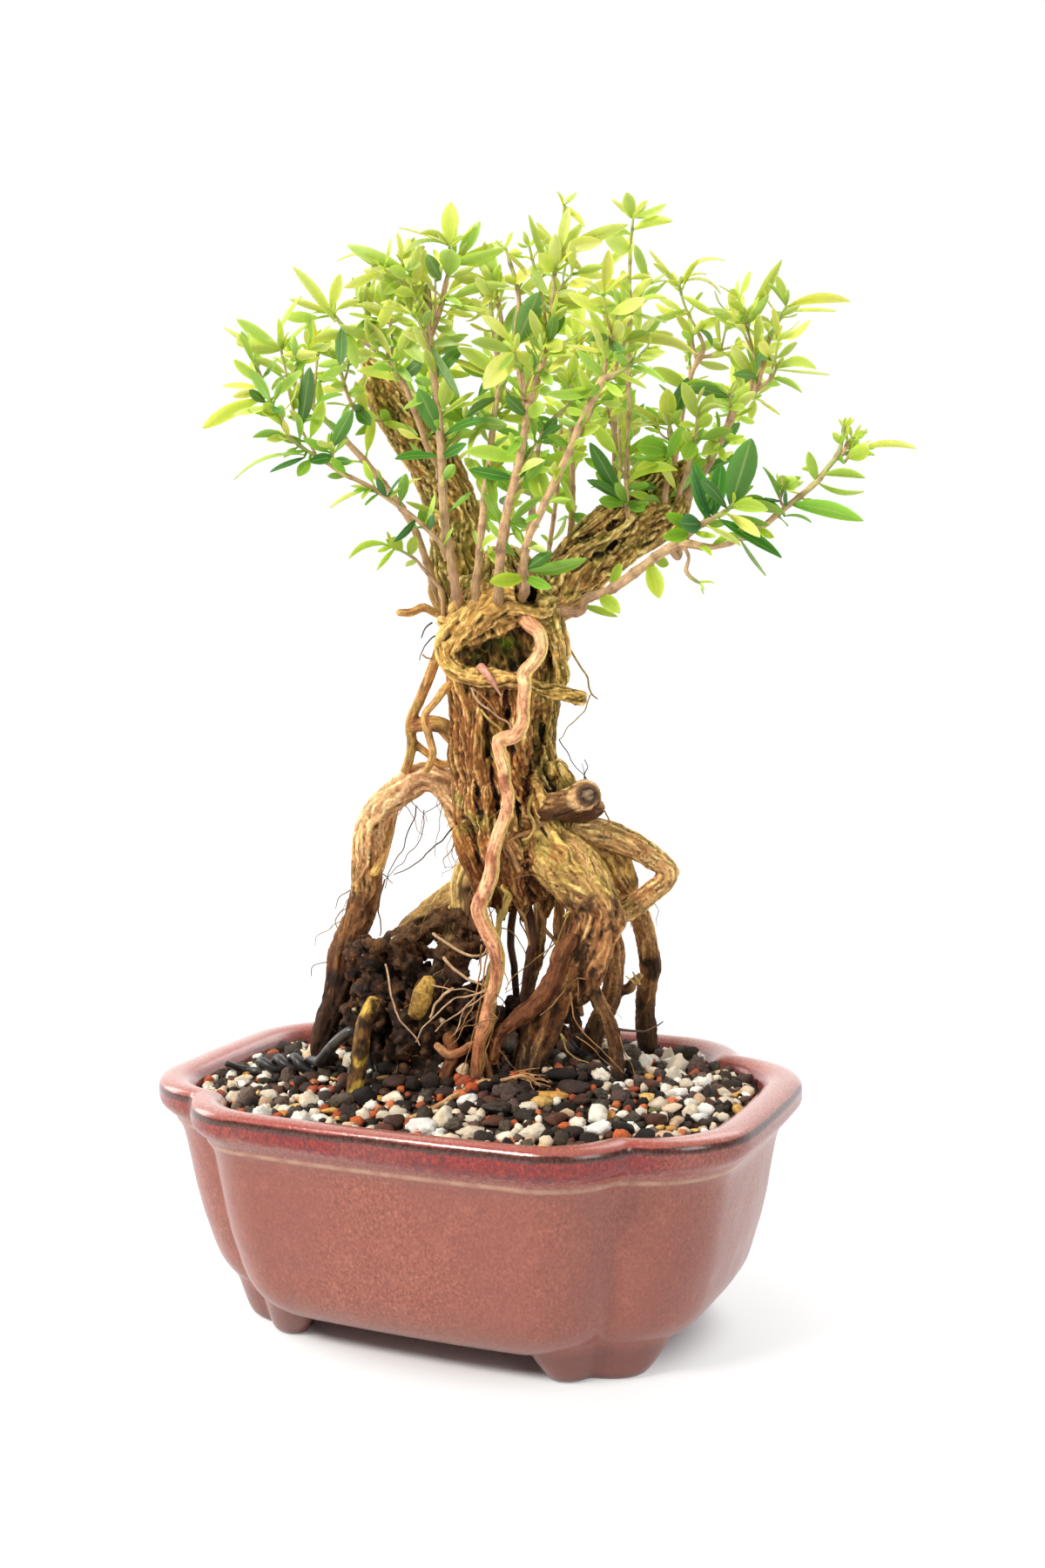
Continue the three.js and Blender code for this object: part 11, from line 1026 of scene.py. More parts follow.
def tube(path, sides, ends="round", shape=None):
    """Closed tube: vertices (n, 3), faces list, per-vertex (distance along, angle, radius). shape(s, angle) multiplies the radius."""
    path = np.asarray(path, float)
    t, u, w = frames(path)
    s = np.concatenate([[0], np.cumsum(np.linalg.norm(np.diff(path[:, :3], axis=0), axis=1))])
    a = np.linspace(0, 2 * np.pi, sides, endpoint=False)
    r = np.repeat(path[:, 3], sides).reshape(-1, sides)
    if shape is not None:
        r = r * shape(np.repeat(s, sides), np.tile(a, len(s)), path[:, 3].repeat(sides)).reshape(-1, sides)
    ring = path[:, None, :3] + r[:, :, None] * (np.cos(a)[None, :, None] * u[:, None, :] + np.sin(a)[None, :, None] * w[:, None, :])
    rows, places = [ring[i] for i in range(len(path))], list(s)
    first, last = path[0, :3].copy(), path[-1, :3].copy()
    if ends == "round":
        def cap(i, sign):
            made = []
            for f in (0.45, 0.8):
                c = path[i, :3] + sign * t[i] * path[i, 3] * math.sin(f * math.pi / 2) * 0.8
                made.append(c + (ring[i] - path[i, :3]) * math.cos(f * math.pi / 2))
            return made
        a0, a1 = cap(0, -1), cap(-1, 1)
        rows = a0[::-1] + rows + a1
        places = [s[0]] * 2 + places + [s[-1]] * 2
        first = path[0, :3] - t[0] * path[0, 3] * 0.8
        last = path[-1, :3] + t[-1] * path[-1, 3] * 0.8
    n = len(rows)
    v = np.vstack(rows + [first[None], last[None]])
    faces = []
    for i in range(n - 1):
        for k in range(sides):
            p, q = i * sides + k, i * sides + (k + 1) % sides
            faces.append((p, q, q + sides, p + sides))
    for k in range(sides):
        faces.append((n * sides, (k + 1) % sides, k))
        o = (n - 1) * sides
        faces.append((n * sides + 1, o + k, o + (k + 1) % sides))
    along = np.concatenate([np.repeat(places, sides), [s[0], s[-1]]])
    angle = np.concatenate([np.tile(a, n), [0, 0]])
    return v, faces, along, angle


# ---------------------------------------------------------------- meshes
class Build:
    """Gathers vertices, faces, materials and per-vertex colours of one piece."""

    def __init__(self):
        self.v, self.idx, self.len, self.m, self.at, self.n = [], [], [], [], {}, 0

    def add(self, v, faces, mat=0, **attrs):
        v = np.asarray(v, float)
        self.v.append(v)
        o = self.n
        if isinstance(faces, np.ndarray):
            ln, idx = np.full(len(faces), faces.shape[1]), faces.ravel()
        else:
            ln = np.fromiter((len(f) for f in faces), np.int64, len(faces))
            idx = np.fromiter((i for f in faces for i in f), np.int64, int(ln.sum()))
        self.idx.append(idx + o)
        self.len.append(ln)
        self.m.append(np.full(len(ln), mat))
        for k, x in attrs.items():
            x = np.asarray(x, float)
            if x.ndim == 1:
                x = np.repeat(x[None], len(v), 0)
            self.at.setdefault(k, []).append((o, x))
        self.n += len(v)

    def finish(self, name, mats, slot=None, nodes=(), smooth=True, sharp=None):
        me = quick_mesh(name, (np.vstack(self.v) + SHIFT) * 0.001, np.concatenate(self.idx), np.concatenate(self.len))
        for k, rows in self.at.items():
            a = me.attributes.new(k, "FLOAT_COLOR" if k == "col" else "FLOAT_VECTOR", "POINT")
            w = 4 if k == "col" else 3
            data = np.zeros((self.n, w), np.float32)
            if w == 4:
                data[:, 3] = 1
            for o, x in rows:
                data[o:o + len(x), :3] = x[:, :3]
            a.data.foreach_set("color" if w == 4 else "vector", data.ravel())
        return put(name, me, mats, slot, nodes, smooth, sharp, np.concatenate(self.m))


def quick_mesh(name, v, idx, ln):
    me = bpy.data.meshes.new(name)
    me.vertices.add(len(v))
    me.vertices.foreach_set("co", np.asarray(v, np.float32).ravel())
    me.loops.add(len(idx))
    me.loops.foreach_set("vertex_index", np.asarray(idx, np.int32))
    me.polygons.add(len(ln))
    me.polygons.foreach_set("loop_start", np.concatenate([[0], np.cumsum(ln)[:-1]]).astype(np.int32))
    me.update(calc_edges=True)
    return me


# the share of its faces that a dense piece keeps, so that all of it stays under a million triangles
KEEP = {"root_peat_clump": 0.22, "trunk_wood": 0.40, "dressing_lava": 0.25, "dressing_bark": 0.25, "dressing_pumice": 0.28, "pot_body": 0.5, "soil_surface": 0.4}


def thin_out(o, share):
    m = o.modifiers.new("fewer", "DECIMATE")
    m.ratio = share
    out = bpy.data.meshes.new_from_object(o.evaluated_get(bpy.context.evaluated_depsgraph_get()))
    o.modifiers.clear()
    old = o.data
    o.data = out
    bpy.data.meshes.remove(old)
    return out


def put(name, me, mats, slot, nodes, smooth=True, sharp=None, face_mats=None):
    for m in mats:
        me.materials.append(m)
    if face_mats is not None and len(mats) > 1:
        me.polygons.foreach_set("material_index", np.array(face_mats, np.int32))
    me.polygons.foreach_set("use_smooth", np.full(len(me.polygons), smooth))
    me.validate()
    me.update()
    o = bpy.data.objects.new(name, me)
    bpy.context.scene.collection.objects.link(o)
    share = KEEP.get(name, 0.34 if name.endswith("_wood") else 1.0)
    if share < 1:
        me = thin_out(o, share)
    if sharp:
        me.set_sharp_from_angle(angle=math.radians(sharp))
    if slot:
        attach(o, "root")
    if nodes:
        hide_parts(*nodes)
    return o


def remesh(v, faces, size):
    """Voxel union of closed surfaces, in mm. Returns vertices and quads."""
    ln = np.fromiter((len(f) for f in faces), np.int64, len(faces))
    me = quick_mesh("tmp", np.asarray(v), np.fromiter((i for f in faces for i in f), np.int64, int(ln.sum())), ln)
    o = bpy.data.objects.new("tmp", me)
    bpy.context.scene.collection.objects.link(o)
    m = o.modifiers.new("r", "REMESH")
    m.mode, m.voxel_size, m.adaptivity = "VOXEL", size, 0.0
    dg = bpy.context.evaluated_depsgraph_get()
    out = bpy.data.meshes.new_from_object(o.evaluated_get(dg))
    co = np.zeros(len(out.vertices) * 3, np.float32)
    out.vertices.foreach_get("co", co)
    idx = np.zeros(len(out.loops), np.int32)
    out.loops.foreach_get("vertex_index", idx)
    tot = np.zeros(len(out.polygons), np.int32)
    out.polygons.foreach_get("loop_total", tot)
    start = np.zeros(len(out.polygons), np.int32)
    out.polygons.foreach_get("loop_start", start)
    ed = np.zeros(len(out.edges) * 2, np.int32)
    out.edges.foreach_get("vertices", ed)
    if (tot == 4).all():
        f = idx.reshape(-1, 4)
    else:
        f = [tuple(idx[a:a + n]) for a, n in zip(start, tot)]
    bpy.data.objects.remove(o)
    bpy.data.meshes.remove(me)
    bpy.data.meshes.remove(out)
    return co.reshape(-1, 3).astype(float), f, ed.reshape(-1, 2)


def spread(x, ed, n, times=1, share=0.5):
    """Laplacian smoothing of per-vertex values x over edges."""
    x = np.asarray(x, float)
    flat = x.ndim == 1
    if flat:
        x = x[:, None]
    deg = np.bincount(ed.ravel(), minlength=n).astype(float)[:, None]
    for _ in range(times):
        s = np.stack([np.bincount(ed[:, 0], x[ed[:, 1], k], n) + np.bincount(ed[:, 1], x[ed[:, 0], k], n) for k in range(x.shape[1])], 1)
        x = x * (1 - share) + share * s / np.maximum(deg, 1)
    return x[:, 0] if flat else x


def keep_big(v, f, ed, least=None):
    """Drops all but the largest connected body, or all that are smaller than least."""
    n = len(v)
    a = np.concatenate([ed[:, 0], ed[:, 1]])
    b = np.concatenate([ed[:, 1], ed[:, 0]])
    b = b[np.argsort(a, kind="stable")]
    first = np.concatenate([[0], np.cumsum(np.bincount(a, minlength=n))])
    lab, k, best, size = np.full(n, -1), 0, 0, 0
    left, stay = n, []
    while left > (least or size):
        edge = np.array([int(np.argmax(lab < 0))])
        lab[edge] = k
        count = 1
        while len(edge):
            cnt = first[edge + 1] - first[edge]
            at = np.repeat(first[edge] - np.concatenate([[0], np.cumsum(cnt)[:-1]]), cnt) + np.arange(cnt.sum())
            nxt = b[at]
            nxt = np.unique(nxt[lab[nxt] < 0])
            lab[nxt] = k
            count += len(nxt)
            edge = nxt
        if count > size:
            best, size = k, count
        if least and count >= least:
            stay.append(k)
        left -= count
        k += 1
    keep = np.isin(lab, stay) if least else lab == best
    at = np.cumsum(keep) - 1
    f = np.asarray(f)
    return v[keep], at[f[keep[f[:, 0]]]], at[ed[keep[ed[:, 0]]]]


def normals(v, f):
    f = np.asarray(f)
    a, b, c, d = (v[f[:, k]] for k in range(4))
    fn = np.cross(c - a, d - b)
    out = np.stack([sum(np.bincount(f[:, j], fn[:, k], len(v)) for j in range(4)) for k in range(3)], 1)
    return unit(out)


def nearest(v, samples, chunk=20000):
    """For each vertex, the index of the centreline sample whose skin is nearest."""
    out = np.zeros(len(v), np.int64)
    c, r = samples[:, :3], samples[:, 3]
    for i in range(0, len(v), chunk):
        p = v[i:i + chunk]
        d = np.sqrt(np.maximum((p * p).sum(1)[:, None] + (c * c).sum(1)[None] - 2 * p @ c.T, 0)) / (r + 1.0)[None]
        out[i:i + chunk] = d.argmin(1)
    return out

# ---------------------------------------------------------------- materials
def srgb(r, g, b):
    return tuple(((c / 255) / 12.92 if c / 255 <= 0.04045 else ((c / 255 + 0.055) / 1.055) ** 2.4) for c in (r, g, b))


class Mat:
    """A small helper to wire up one node material."""

    def __init__(self, name, rough=0.6, **inputs):
        self.m = bpy.data.materials.new(name)
        self.m.use_nodes = True
        self.nt = self.m.node_tree
        self.bsdf = self.nt.nodes["Principled BSDF"]
        self.out = self.nt.nodes["Material Output"]
        self.bsdf.inputs["Roughness"].default_value = rough
        for k, v in inputs.items():
            self.bsdf.inputs[k.replace("_", " ")].default_value = v
        self.co = None

    def node(self, kind, **props):
        n = self.nt.nodes.new(kind)
        for k, v in props.items():
            setattr(n, k, v)
        return n

    def link(self, a, b):
        self.nt.links.new(a, b)

    def put(self, socket, value):
        if hasattr(value, "is_output"):
            self.link(value, socket)
        else:
            socket.default_value = value

    def place(self):
        if self.co is None:
            self.co = self.node("ShaderNodeTexCoord").outputs["Object"]
        return self.co

    def attr(self, name):
        n = self.node("ShaderNodeAttribute", attribute_name=name)
        return n.outputs["Color"] if name == "col" else n.outputs["Vector"]

    def split(self, vec):
        n = self.node("ShaderNodeSeparateXYZ")
        self.link(vec, n.inputs[0])
        return n.outputs

    def math(self, op, a, b=0.0, c=None, clamp=False):
        n = self.node("ShaderNodeMath", operation=op, use_clamp=clamp)
        self.put(n.inputs[0], a)
        self.put(n.inputs[1], b)
        if c is not None:
            self.put(n.inputs[2], c)
        return n.outputs[0]

    def noise(self, scale, detail=3.0, rough=0.55, vec=None, distortion=0.0):
        n = self.node("ShaderNodeTexNoise")
        self.link(vec if vec is not None else self.place(), n.inputs["Vector"])
        n.inputs["Scale"].default_value = scale
        n.inputs["Detail"].default_value = detail
        n.inputs["Roughness"].default_value = rough
        n.inputs["Distortion"].default_value = distortion
        return n.outputs[0]

    def cells(self, scale, feature="F1", vec=None, smooth=False):
        n = self.node("ShaderNodeTexVoronoi", feature="SMOOTH_F1" if smooth else feature)
        self.link(vec if vec is not None else self.place(), n.inputs["Vector"])
        n.inputs["Scale"].default_value = scale
        return n.outputs

    def stretch(self, vec, x, y, z):
        n = self.node("ShaderNodeVectorMath", operation="MULTIPLY")
        self.link(vec, n.inputs[0])
        n.inputs[1].default_value = (x, y, z)
        return n.outputs[0]

    def range(self, v, a, b, c=0.0, d=1.0, smooth=True):
        n = self.node("ShaderNodeMapRange", interpolation_type="SMOOTHSTEP" if smooth else "LINEAR")
        self.put(n.inputs["Value"], v)
        for k, x in (("From Min", a), ("From Max", b), ("To Min", c), ("To Max", d)):
            n.inputs[k].default_value = x
        return n.outputs["Result"]

    def mix(self, f, a, b, how="MIX"):
        n = self.node("ShaderNodeMix", data_type="RGBA", blend_type=how)
        self.put(n.inputs[0], f)
        for i, x in ((6, a), (7, b)):
            self.put(n.inputs[i], x if hasattr(x, "is_output") else (*x[:3], 1.0))
        return n.outputs[2]

    def ramp(self, v, stops):
        n = self.node("ShaderNodeValToRGB")
        self.put(n.inputs[0], v)
        e = n.color_ramp.elements
        while len(e) < len(stops):
            e.new(0.5)
        for k, (p, c) in zip(e, stops):
            k.position, k.color = p, (*c[:3], 1.0)
        return n.outputs[0]

    def bump(self, height, strength=0.5, distance=0.0004, after=None):
        n = self.node("ShaderNodeBump")
        n.inputs["Strength"].default_value = strength
        n.inputs["Distance"].default_value = distance
        self.link(height, n.inputs["Height"])
        if after is not None:
            self.link(after, n.inputs["Normal"])
        return n.outputs[0]

    def done(self, color=None, normal=None, rough=None):
        if color is not None:
            self.put(self.bsdf.inputs["Base Color"], color)
        if normal is not None:
            self.link(normal, self.bsdf.inputs["Normal"])
        if rough is not None:
            self.link(rough, self.bsdf.inputs["Roughness"])
        return self.m


def grey(v):
    return (v, v, v)


def wood_material(name, fine, rough):
    """Bark: the painted colour, streaked along the fibre, with fine fibre relief."""
    m = Mat(name, rough)
    m.bsdf.inputs["Specular IOR Level"].default_value = 0.3
    fib = m.attr("fib")
    streak = m.noise(2.6 * fine, 4, 0.62, fib)
    fleck = m.noise(900, 4, 0.65)
    tone = m.math("ADD", m.range(streak, 0.3, 0.72, 0.56, 1.34), m.range(fleck, 0.3, 0.7, -0.22, 0.22))
    col = m.mix(1.0, m.attr("col"), tone, "MULTIPLY")
    h = m.math("ADD", m.math("MULTIPLY", streak, 1.0), m.math("MULTIPLY", fleck, 0.5))
    nrm = m.bump(h, 0.75, 0.00045)
    return m.done(col, nrm, m.range(fleck, 0.3, 0.7, rough - 0.1, rough + 0.08))


def glaze_material():
    """Speckled rose-brown glaze, streaked downwards: satin wall, a pale line, a dusky cove and a glossy red lip."""
    m = Mat("pot_glaze", 0.4)
    m.bsdf.inputs["Coat Weight"].default_value = 0.5
    m.bsdf.inputs["Coat Roughness"].default_value = 0.16
    x, y, z = m.split(m.place())
    wide = m.noise(20, 3, 0.5)
    mid = m.noise(170, 4, 0.6)
    grain = m.noise(1, 4, 0.66, m.stretch(m.place(), 1150, 1150, 860))
    long_ = m.noise(1, 2, 0.5, m.stretch(m.place(), 620, 620, 110))
    spot = m.cells(560)
    body = m.ramp(grain, [(0.28, srgb(104, 50, 38)), (0.44, srgb(140, 71, 53)), (0.56, srgb(156, 84, 64)), (0.74, srgb(186, 116, 92))])
    body = m.mix(m.range(long_, 0.52, 0.74, 0.0, 0.12), body, srgb(130, 72, 57))
    body = m.mix(m.range(long_, 0.46, 0.26, 0.0, 0.10), body, srgb(178, 100, 80))
    body = m.mix(m.range(wide, 0.40, 0.64, 0.0, 0.62), body, srgb(140, 74, 60))
    body = m.mix(m.range(mid, 0.46, 0.30, 0.0, 0.24), body, srgb(180, 108, 86))
    body = m.mix(m.range(mid, 0.56, 0.70, 0.0, 0.3), body, srgb(122, 62, 48))
    dots = m.range(spot[0], 0.13, 0.03, 0.0, 1.0)
    few = m.range(m.noise(240, 1), 0.57, 0.62, 0.0, 0.6)
    body = m.mix(m.math("MULTIPLY", dots, few), body, srgb(84, 42, 38))
    # painted shade: a greyer, browner foot of the wall
    body = m.mix(m.range(z, 0.024, 0.011, 0.0, 0.35), body, srgb(128, 76, 62))
    warp = m.math("MULTIPLY", m.math("SUBTRACT", m.noise(60, 3), 0.5), 0.0016)
    fray = m.math("MULTIPLY", m.math("SUBTRACT", m.noise(1, 4, 0.6, m.stretch(m.place(), 420, 420, 60)), 0.5), 0.0044)
    zz = m.math("ADD", z, warp)
    zf = m.math("ADD", zz, fray)
    along = m.math("ADD", m.math("MULTIPLY", m.math("ADD", x, 0.0181), 0.9057), m.math("MULTIPLY", m.math("ADD", y, 0.018), 0.4239))
    deep = m.math("MULTIPLY", m.range(along, 0.066, 0.046, 0.30, 1.0), m.range(m.noise(28, 2), 0.3, 0.5, 0.7, 1.0))
    cove = m.mix(m.range(grain, 0.36, 0.66), srgb(134, 68, 56), srgb(172, 102, 86))
    col = m.mix(m.range(zz, 0.0652, 0.0664), body, cove)
    # pale line where the glaze thins on the edge of the cove
    thin = m.math("ADD", z, m.math("MULTIPLY", warp, 0.4))
    line = m.math("MULTIPLY", m.range(thin, 0.0640, 0.0650), m.range(thin, 0.0664, 0.0654))
    col = m.mix(m.math("MULTIPLY", line, m.range(mid, 0.3, 0.6, 0.25, 0.7)), col, srgb(190, 152, 124))
    # the lip: deep red under its edge, fraying downwards, then thin grey-brown glaze on the edge, rose on the top
    red = m.ramp(grain, [(0.30, srgb(70, 10, 9)), (0.5, srgb(130, 24, 17)), (0.7, srgb(170, 52, 38))])
    red = m.mix(m.range(mid, 0.54, 0.70, 0.0, 0.5), red, srgb(60, 22, 26))
    # the red band narrows towards the left
    zr = m.math("SUBTRACT", zf, m.range(along, -0.015, -0.075, 0.0, 0.0026))
    under = m.math("MULTIPLY", m.range(zr, 0.0676, 0.0694), deep)
    col = m.mix(under, col, red)
    edge = m.mix(m.range(grain, 0.35, 0.65), srgb(58, 27, 25), srgb(96, 56, 46))
    col = m.mix(m.range(zz, 0.0742, 0.0748), col, edge)
    top = m.ramp(grain, [(0.3, srgb(140, 78, 68)), (0.5, srgb(166, 100, 88)), (0.72, srgb(194, 134, 118))])
    rosy = m.mix(m.range(m.noise(40, 3), 0.40, 0.58, 0.0, 0.9), srgb(150, 72, 62), srgb(154, 34, 26))
    top = m.mix(m.math("MULTIPLY", m.range(zz, 0.0784, 0.0774, 0.0, 0.6), deep), top, rosy)
    col = m.mix(m.range(zz, 0.0762, 0.0768), col, top)
    # inside: a darker glaze colour, painted as the shade within the pot; underside and feet: darker still towards the
    # ground, as painted shade
    place = m.attr("fib")
    inside = m.split(place)[0]
    col = m.mix(m.range(inside, 0.4, 0.6), col, m.ramp(mid, [(0.3, srgb(110, 50, 48)), (0.7, srgb(156, 84, 78))]))
    col = m.mix(m.range(z, 0.0135, 0.0085, 0.0, 0.62), col, srgb(104, 52, 43))
    col = m.mix(m.range(zz, 0.0030, 0.0008, 0.0, 0.7), col, srgb(88, 50, 40))
    pit = m.math("ADD", m.math("MULTIPLY", grain, 1.0), m.math("MULTIPLY", spot[0], 0.35))
    smoothness = m.range(z, 0.0705, 0.0745, 0.42, 0.17)
    nrm = m.bump(pit, 0.4, 0.0002)
    return m.done(col, nrm, smoothness)


def leaf_material():
    m = Mat("leaf_blade", 0.36)
    m.bsdf.inputs["Specular IOR Level"].default_value = 0.45
    luv = m.split(m.attr("luv"))
    u, v = luv[0], luv[1]
    a = m.math("ABSOLUTE", v)
    col = m.attr("col")
    mottle = m.noise(520, 3, 0.6)
    col = m.mix(m.range(mottle, 0.35, 0.7, 0.0, 0.28), col, m.mix(1.0, col, srgb(225, 236, 150), "MULTIPLY"))
    # side veins run forwards from the midrib
    wave = m.math("SINE", m.math("MULTIPLY", m.math("SUBTRACT", u, m.math("MULTIPLY", a, 0.16)), 46.0))
    vein = m.math("MULTIPLY", m.range(wave, 0.72, 1.0, 0.0, 0.03), m.range(a, 0.72, 0.2, 0.0, 1.0))
    pale = m.mix(0.5, col, srgb(226, 236, 150))
    col = m.mix(vein, col, pale)
    rib = m.range(a, 0.15, 0.03, 0.0, 0.62)
    col = m.mix(rib, col, pale)
    h = m.math("SUBTRACT", m.math("MULTIPLY", mottle, 0.35), m.math("ADD", m.math("MULTIPLY", rib, 0.9), vein))
    nrm = m.bump(h, 0.14, 0.0002)
    m.done(col, nrm, m.range(mottle, 0.3, 0.7, 0.3, 0.46))
    thin = m.node("ShaderNodeBsdfTranslucent")
    m.link(m.mix(1.0, col, srgb(250, 250, 150), "MULTIPLY"), thin.inputs["Color"])
    m.link(nrm, thin.inputs["Normal"])
    both = m.node("ShaderNodeMixShader")
    both.inputs[0].default_value = 0.46
    m.link(m.bsdf.outputs[0], both.inputs[1])
    m.link(thin.outputs[0], both.inputs[2])
    m.link(both.outputs[0], m.out.inputs["Surface"])
    return m.m


def stem_material():
    m = Mat("shoot_stem", 0.6)
    fib = m.attr("fib")
    streak = m.noise(2.2, 3, 0.6, fib)
    fleck = m.noise(1500, 2, 0.5)
    tone = m.math("ADD", m.range(streak, 0.3, 0.7, 0.72, 1.18), m.range(fleck, 0.3, 0.7, -0.1, 0.1))
    col = m.mix(1.0, m.attr("col"), tone, "MULTIPLY")
    return m.done(col, m.bump(m.math("ADD", streak, m.math("MULTIPLY", fleck, 0.4)), 0.5, 0.00025), m.range(fleck, 0.3, 0.7, 0.5, 0.7))


def stone_material(name, rough, speck, bump_scale, depth, pits):
    """Grains: colour from the mesh, mottled, with pores that are darkened as painted shade."""
    m = Mat(name, rough)
    m.bsdf.inputs["Specular IOR Level"].default_value = 0.3
    a = m.noise(bump_scale, 4, 0.65)
    b = m.cells(bump_scale * 1.3)[0]
    col = m.attr("col")
    tone = m.range(a, 0.3, 0.72, 1 - speck, 1 + speck * 0.55)
    col = m.mix(1.0, col, tone, "MULTIPLY")
    hole = m.range(b, 0.16, 0.02, 0.0, pits)
    # the pores are darkened and browned, as painted shade
    col = m.mix(hole, col, m.mix(1.0, col, srgb(150, 120, 92), "MULTIPLY"))
    return m.done(col, m.bump(m.math("SUBTRACT", a, hole), 0.8, depth), m.range(a, 0.3, 0.7, rough - 0.12, rough + 0.05))


def painted(name, rough, scale, spread_, bump_d, coat=0.0):
    m = Mat(name, rough)
    if coat:
        m.bsdf.inputs["Coat Weight"].default_value = coat
        m.bsdf.inputs["Coat Roughness"].default_value = 0.25
    a = m.noise(scale, 4, 0.6)
    col = m.mix(1.0, m.attr("col"), m.range(a, 0.3, 0.7, 1 - spread_, 1 + spread_), "MULTIPLY")
    return m.done(col, m.bump(a, 0.6, bump_d), m.range(a, 0.3, 0.7, max(0.05, rough - 0.12), min(1.0, rough + 0.1)))

# ---------------------------------------------------------------- pot
POT = dict(halfX=102.5, halfY=69.79, notchX=76.48, notchY=50.75, corner=26.25, blend=2.26, bowX=3.68, bowY=3.16)


FOOT_A = math.radians(32.3)


def pot_radius(a):
    """Plan radius of the four-lobed outline at angles a."""
    c, s = np.cos(a), np.sin(a)

    def box(x, y, hx, hy, r):
        qx, qy = np.abs(x) - hx + r, np.abs(y) - hy + r
        return np.hypot(np.maximum(qx, 0), np.maximum(qy, 0)) + np.minimum(np.maximum(qx, qy), 0) - r

    def sd(x, y):
        xa = x + np.sign(x) * POT["bowX"] * (y / POT["notchY"]) ** 2
        yb = y + np.sign(y) * POT["bowY"] * (x / POT["notchX"]) ** 2
        d1 = box(xa, y, POT["halfX"], POT["notchY"], POT["corner"])
        d2 = box(x, yb, POT["notchX"], POT["halfY"], POT["corner"])
        h = np.clip(0.5 + 0.5 * (d2 - d1) / POT["blend"], 0, 1)
        return d2 * (1 - h) + d1 * h - POT["blend"] * h * (1 - h)
    lo, hi = np.full(len(a), 10.0), np.full(len(a), 200.0)
    for _ in range(40):
        mid = (lo + hi) / 2
        out = sd(mid * c, mid * s) > 0
        hi = np.where(out, mid, hi)
        lo = np.where(out, lo, mid)
    return (lo + hi) / 2


ROUND = np.linspace(0, 2 * np.pi, 1441)
ROUND_R = pot_radius(ROUND)


def rim_radius(a):
    """The same radius read off a table."""
    return np.interp(np.mod(a, 2 * np.pi), ROUND, ROUND_R)


def curve2(pts, gap):
    """Smooth dense curve through 2-D points, rows [a, b]."""
    q = np.array([[p[0], p[1], 0, 1] for p in pts], float)
    return smooth_path(q, gap)[:, :2]


# height and inset in percent of the plan radius, as one section: outside wall, lip, inside wall
WALL_OUT = [(8.0, 34), (8.2, 32), (8.9, 29.5), (10.2, 26.2), (12, 23.2), (14.6, 20.2), (18, 17.8), (23, 15.7), (28, 14.2), (34, 12.4), (42, 10.7), (50, 9.3), (57, 8.1), (61, 7.2), (63.9, 6.1)]
GROOVE = [(64.7, 5.55), (65.3, 5.25), (65.9, 5.2), (66.8, 4.5), (68.0, 3.0), (69.2, 1.55)]
LIP = [(70.3, 0.65), (71.8, 0.15), (73.6, 0.05), (75.3, 0.1), (76.6, 0.5), (77.7, 1.5), (78.35, 3.2), (78.55, 5.2), (78.35, 7.4), (77.7, 9.3), (76.4, 11.1), (74.6, 12.4)]
WALL_IN = [(70, 13.0), (60, 13.4), (50, 14.2), (36, 17.6), (24, 22.0), (16.5, 27.0), (14.2, 31.0)]


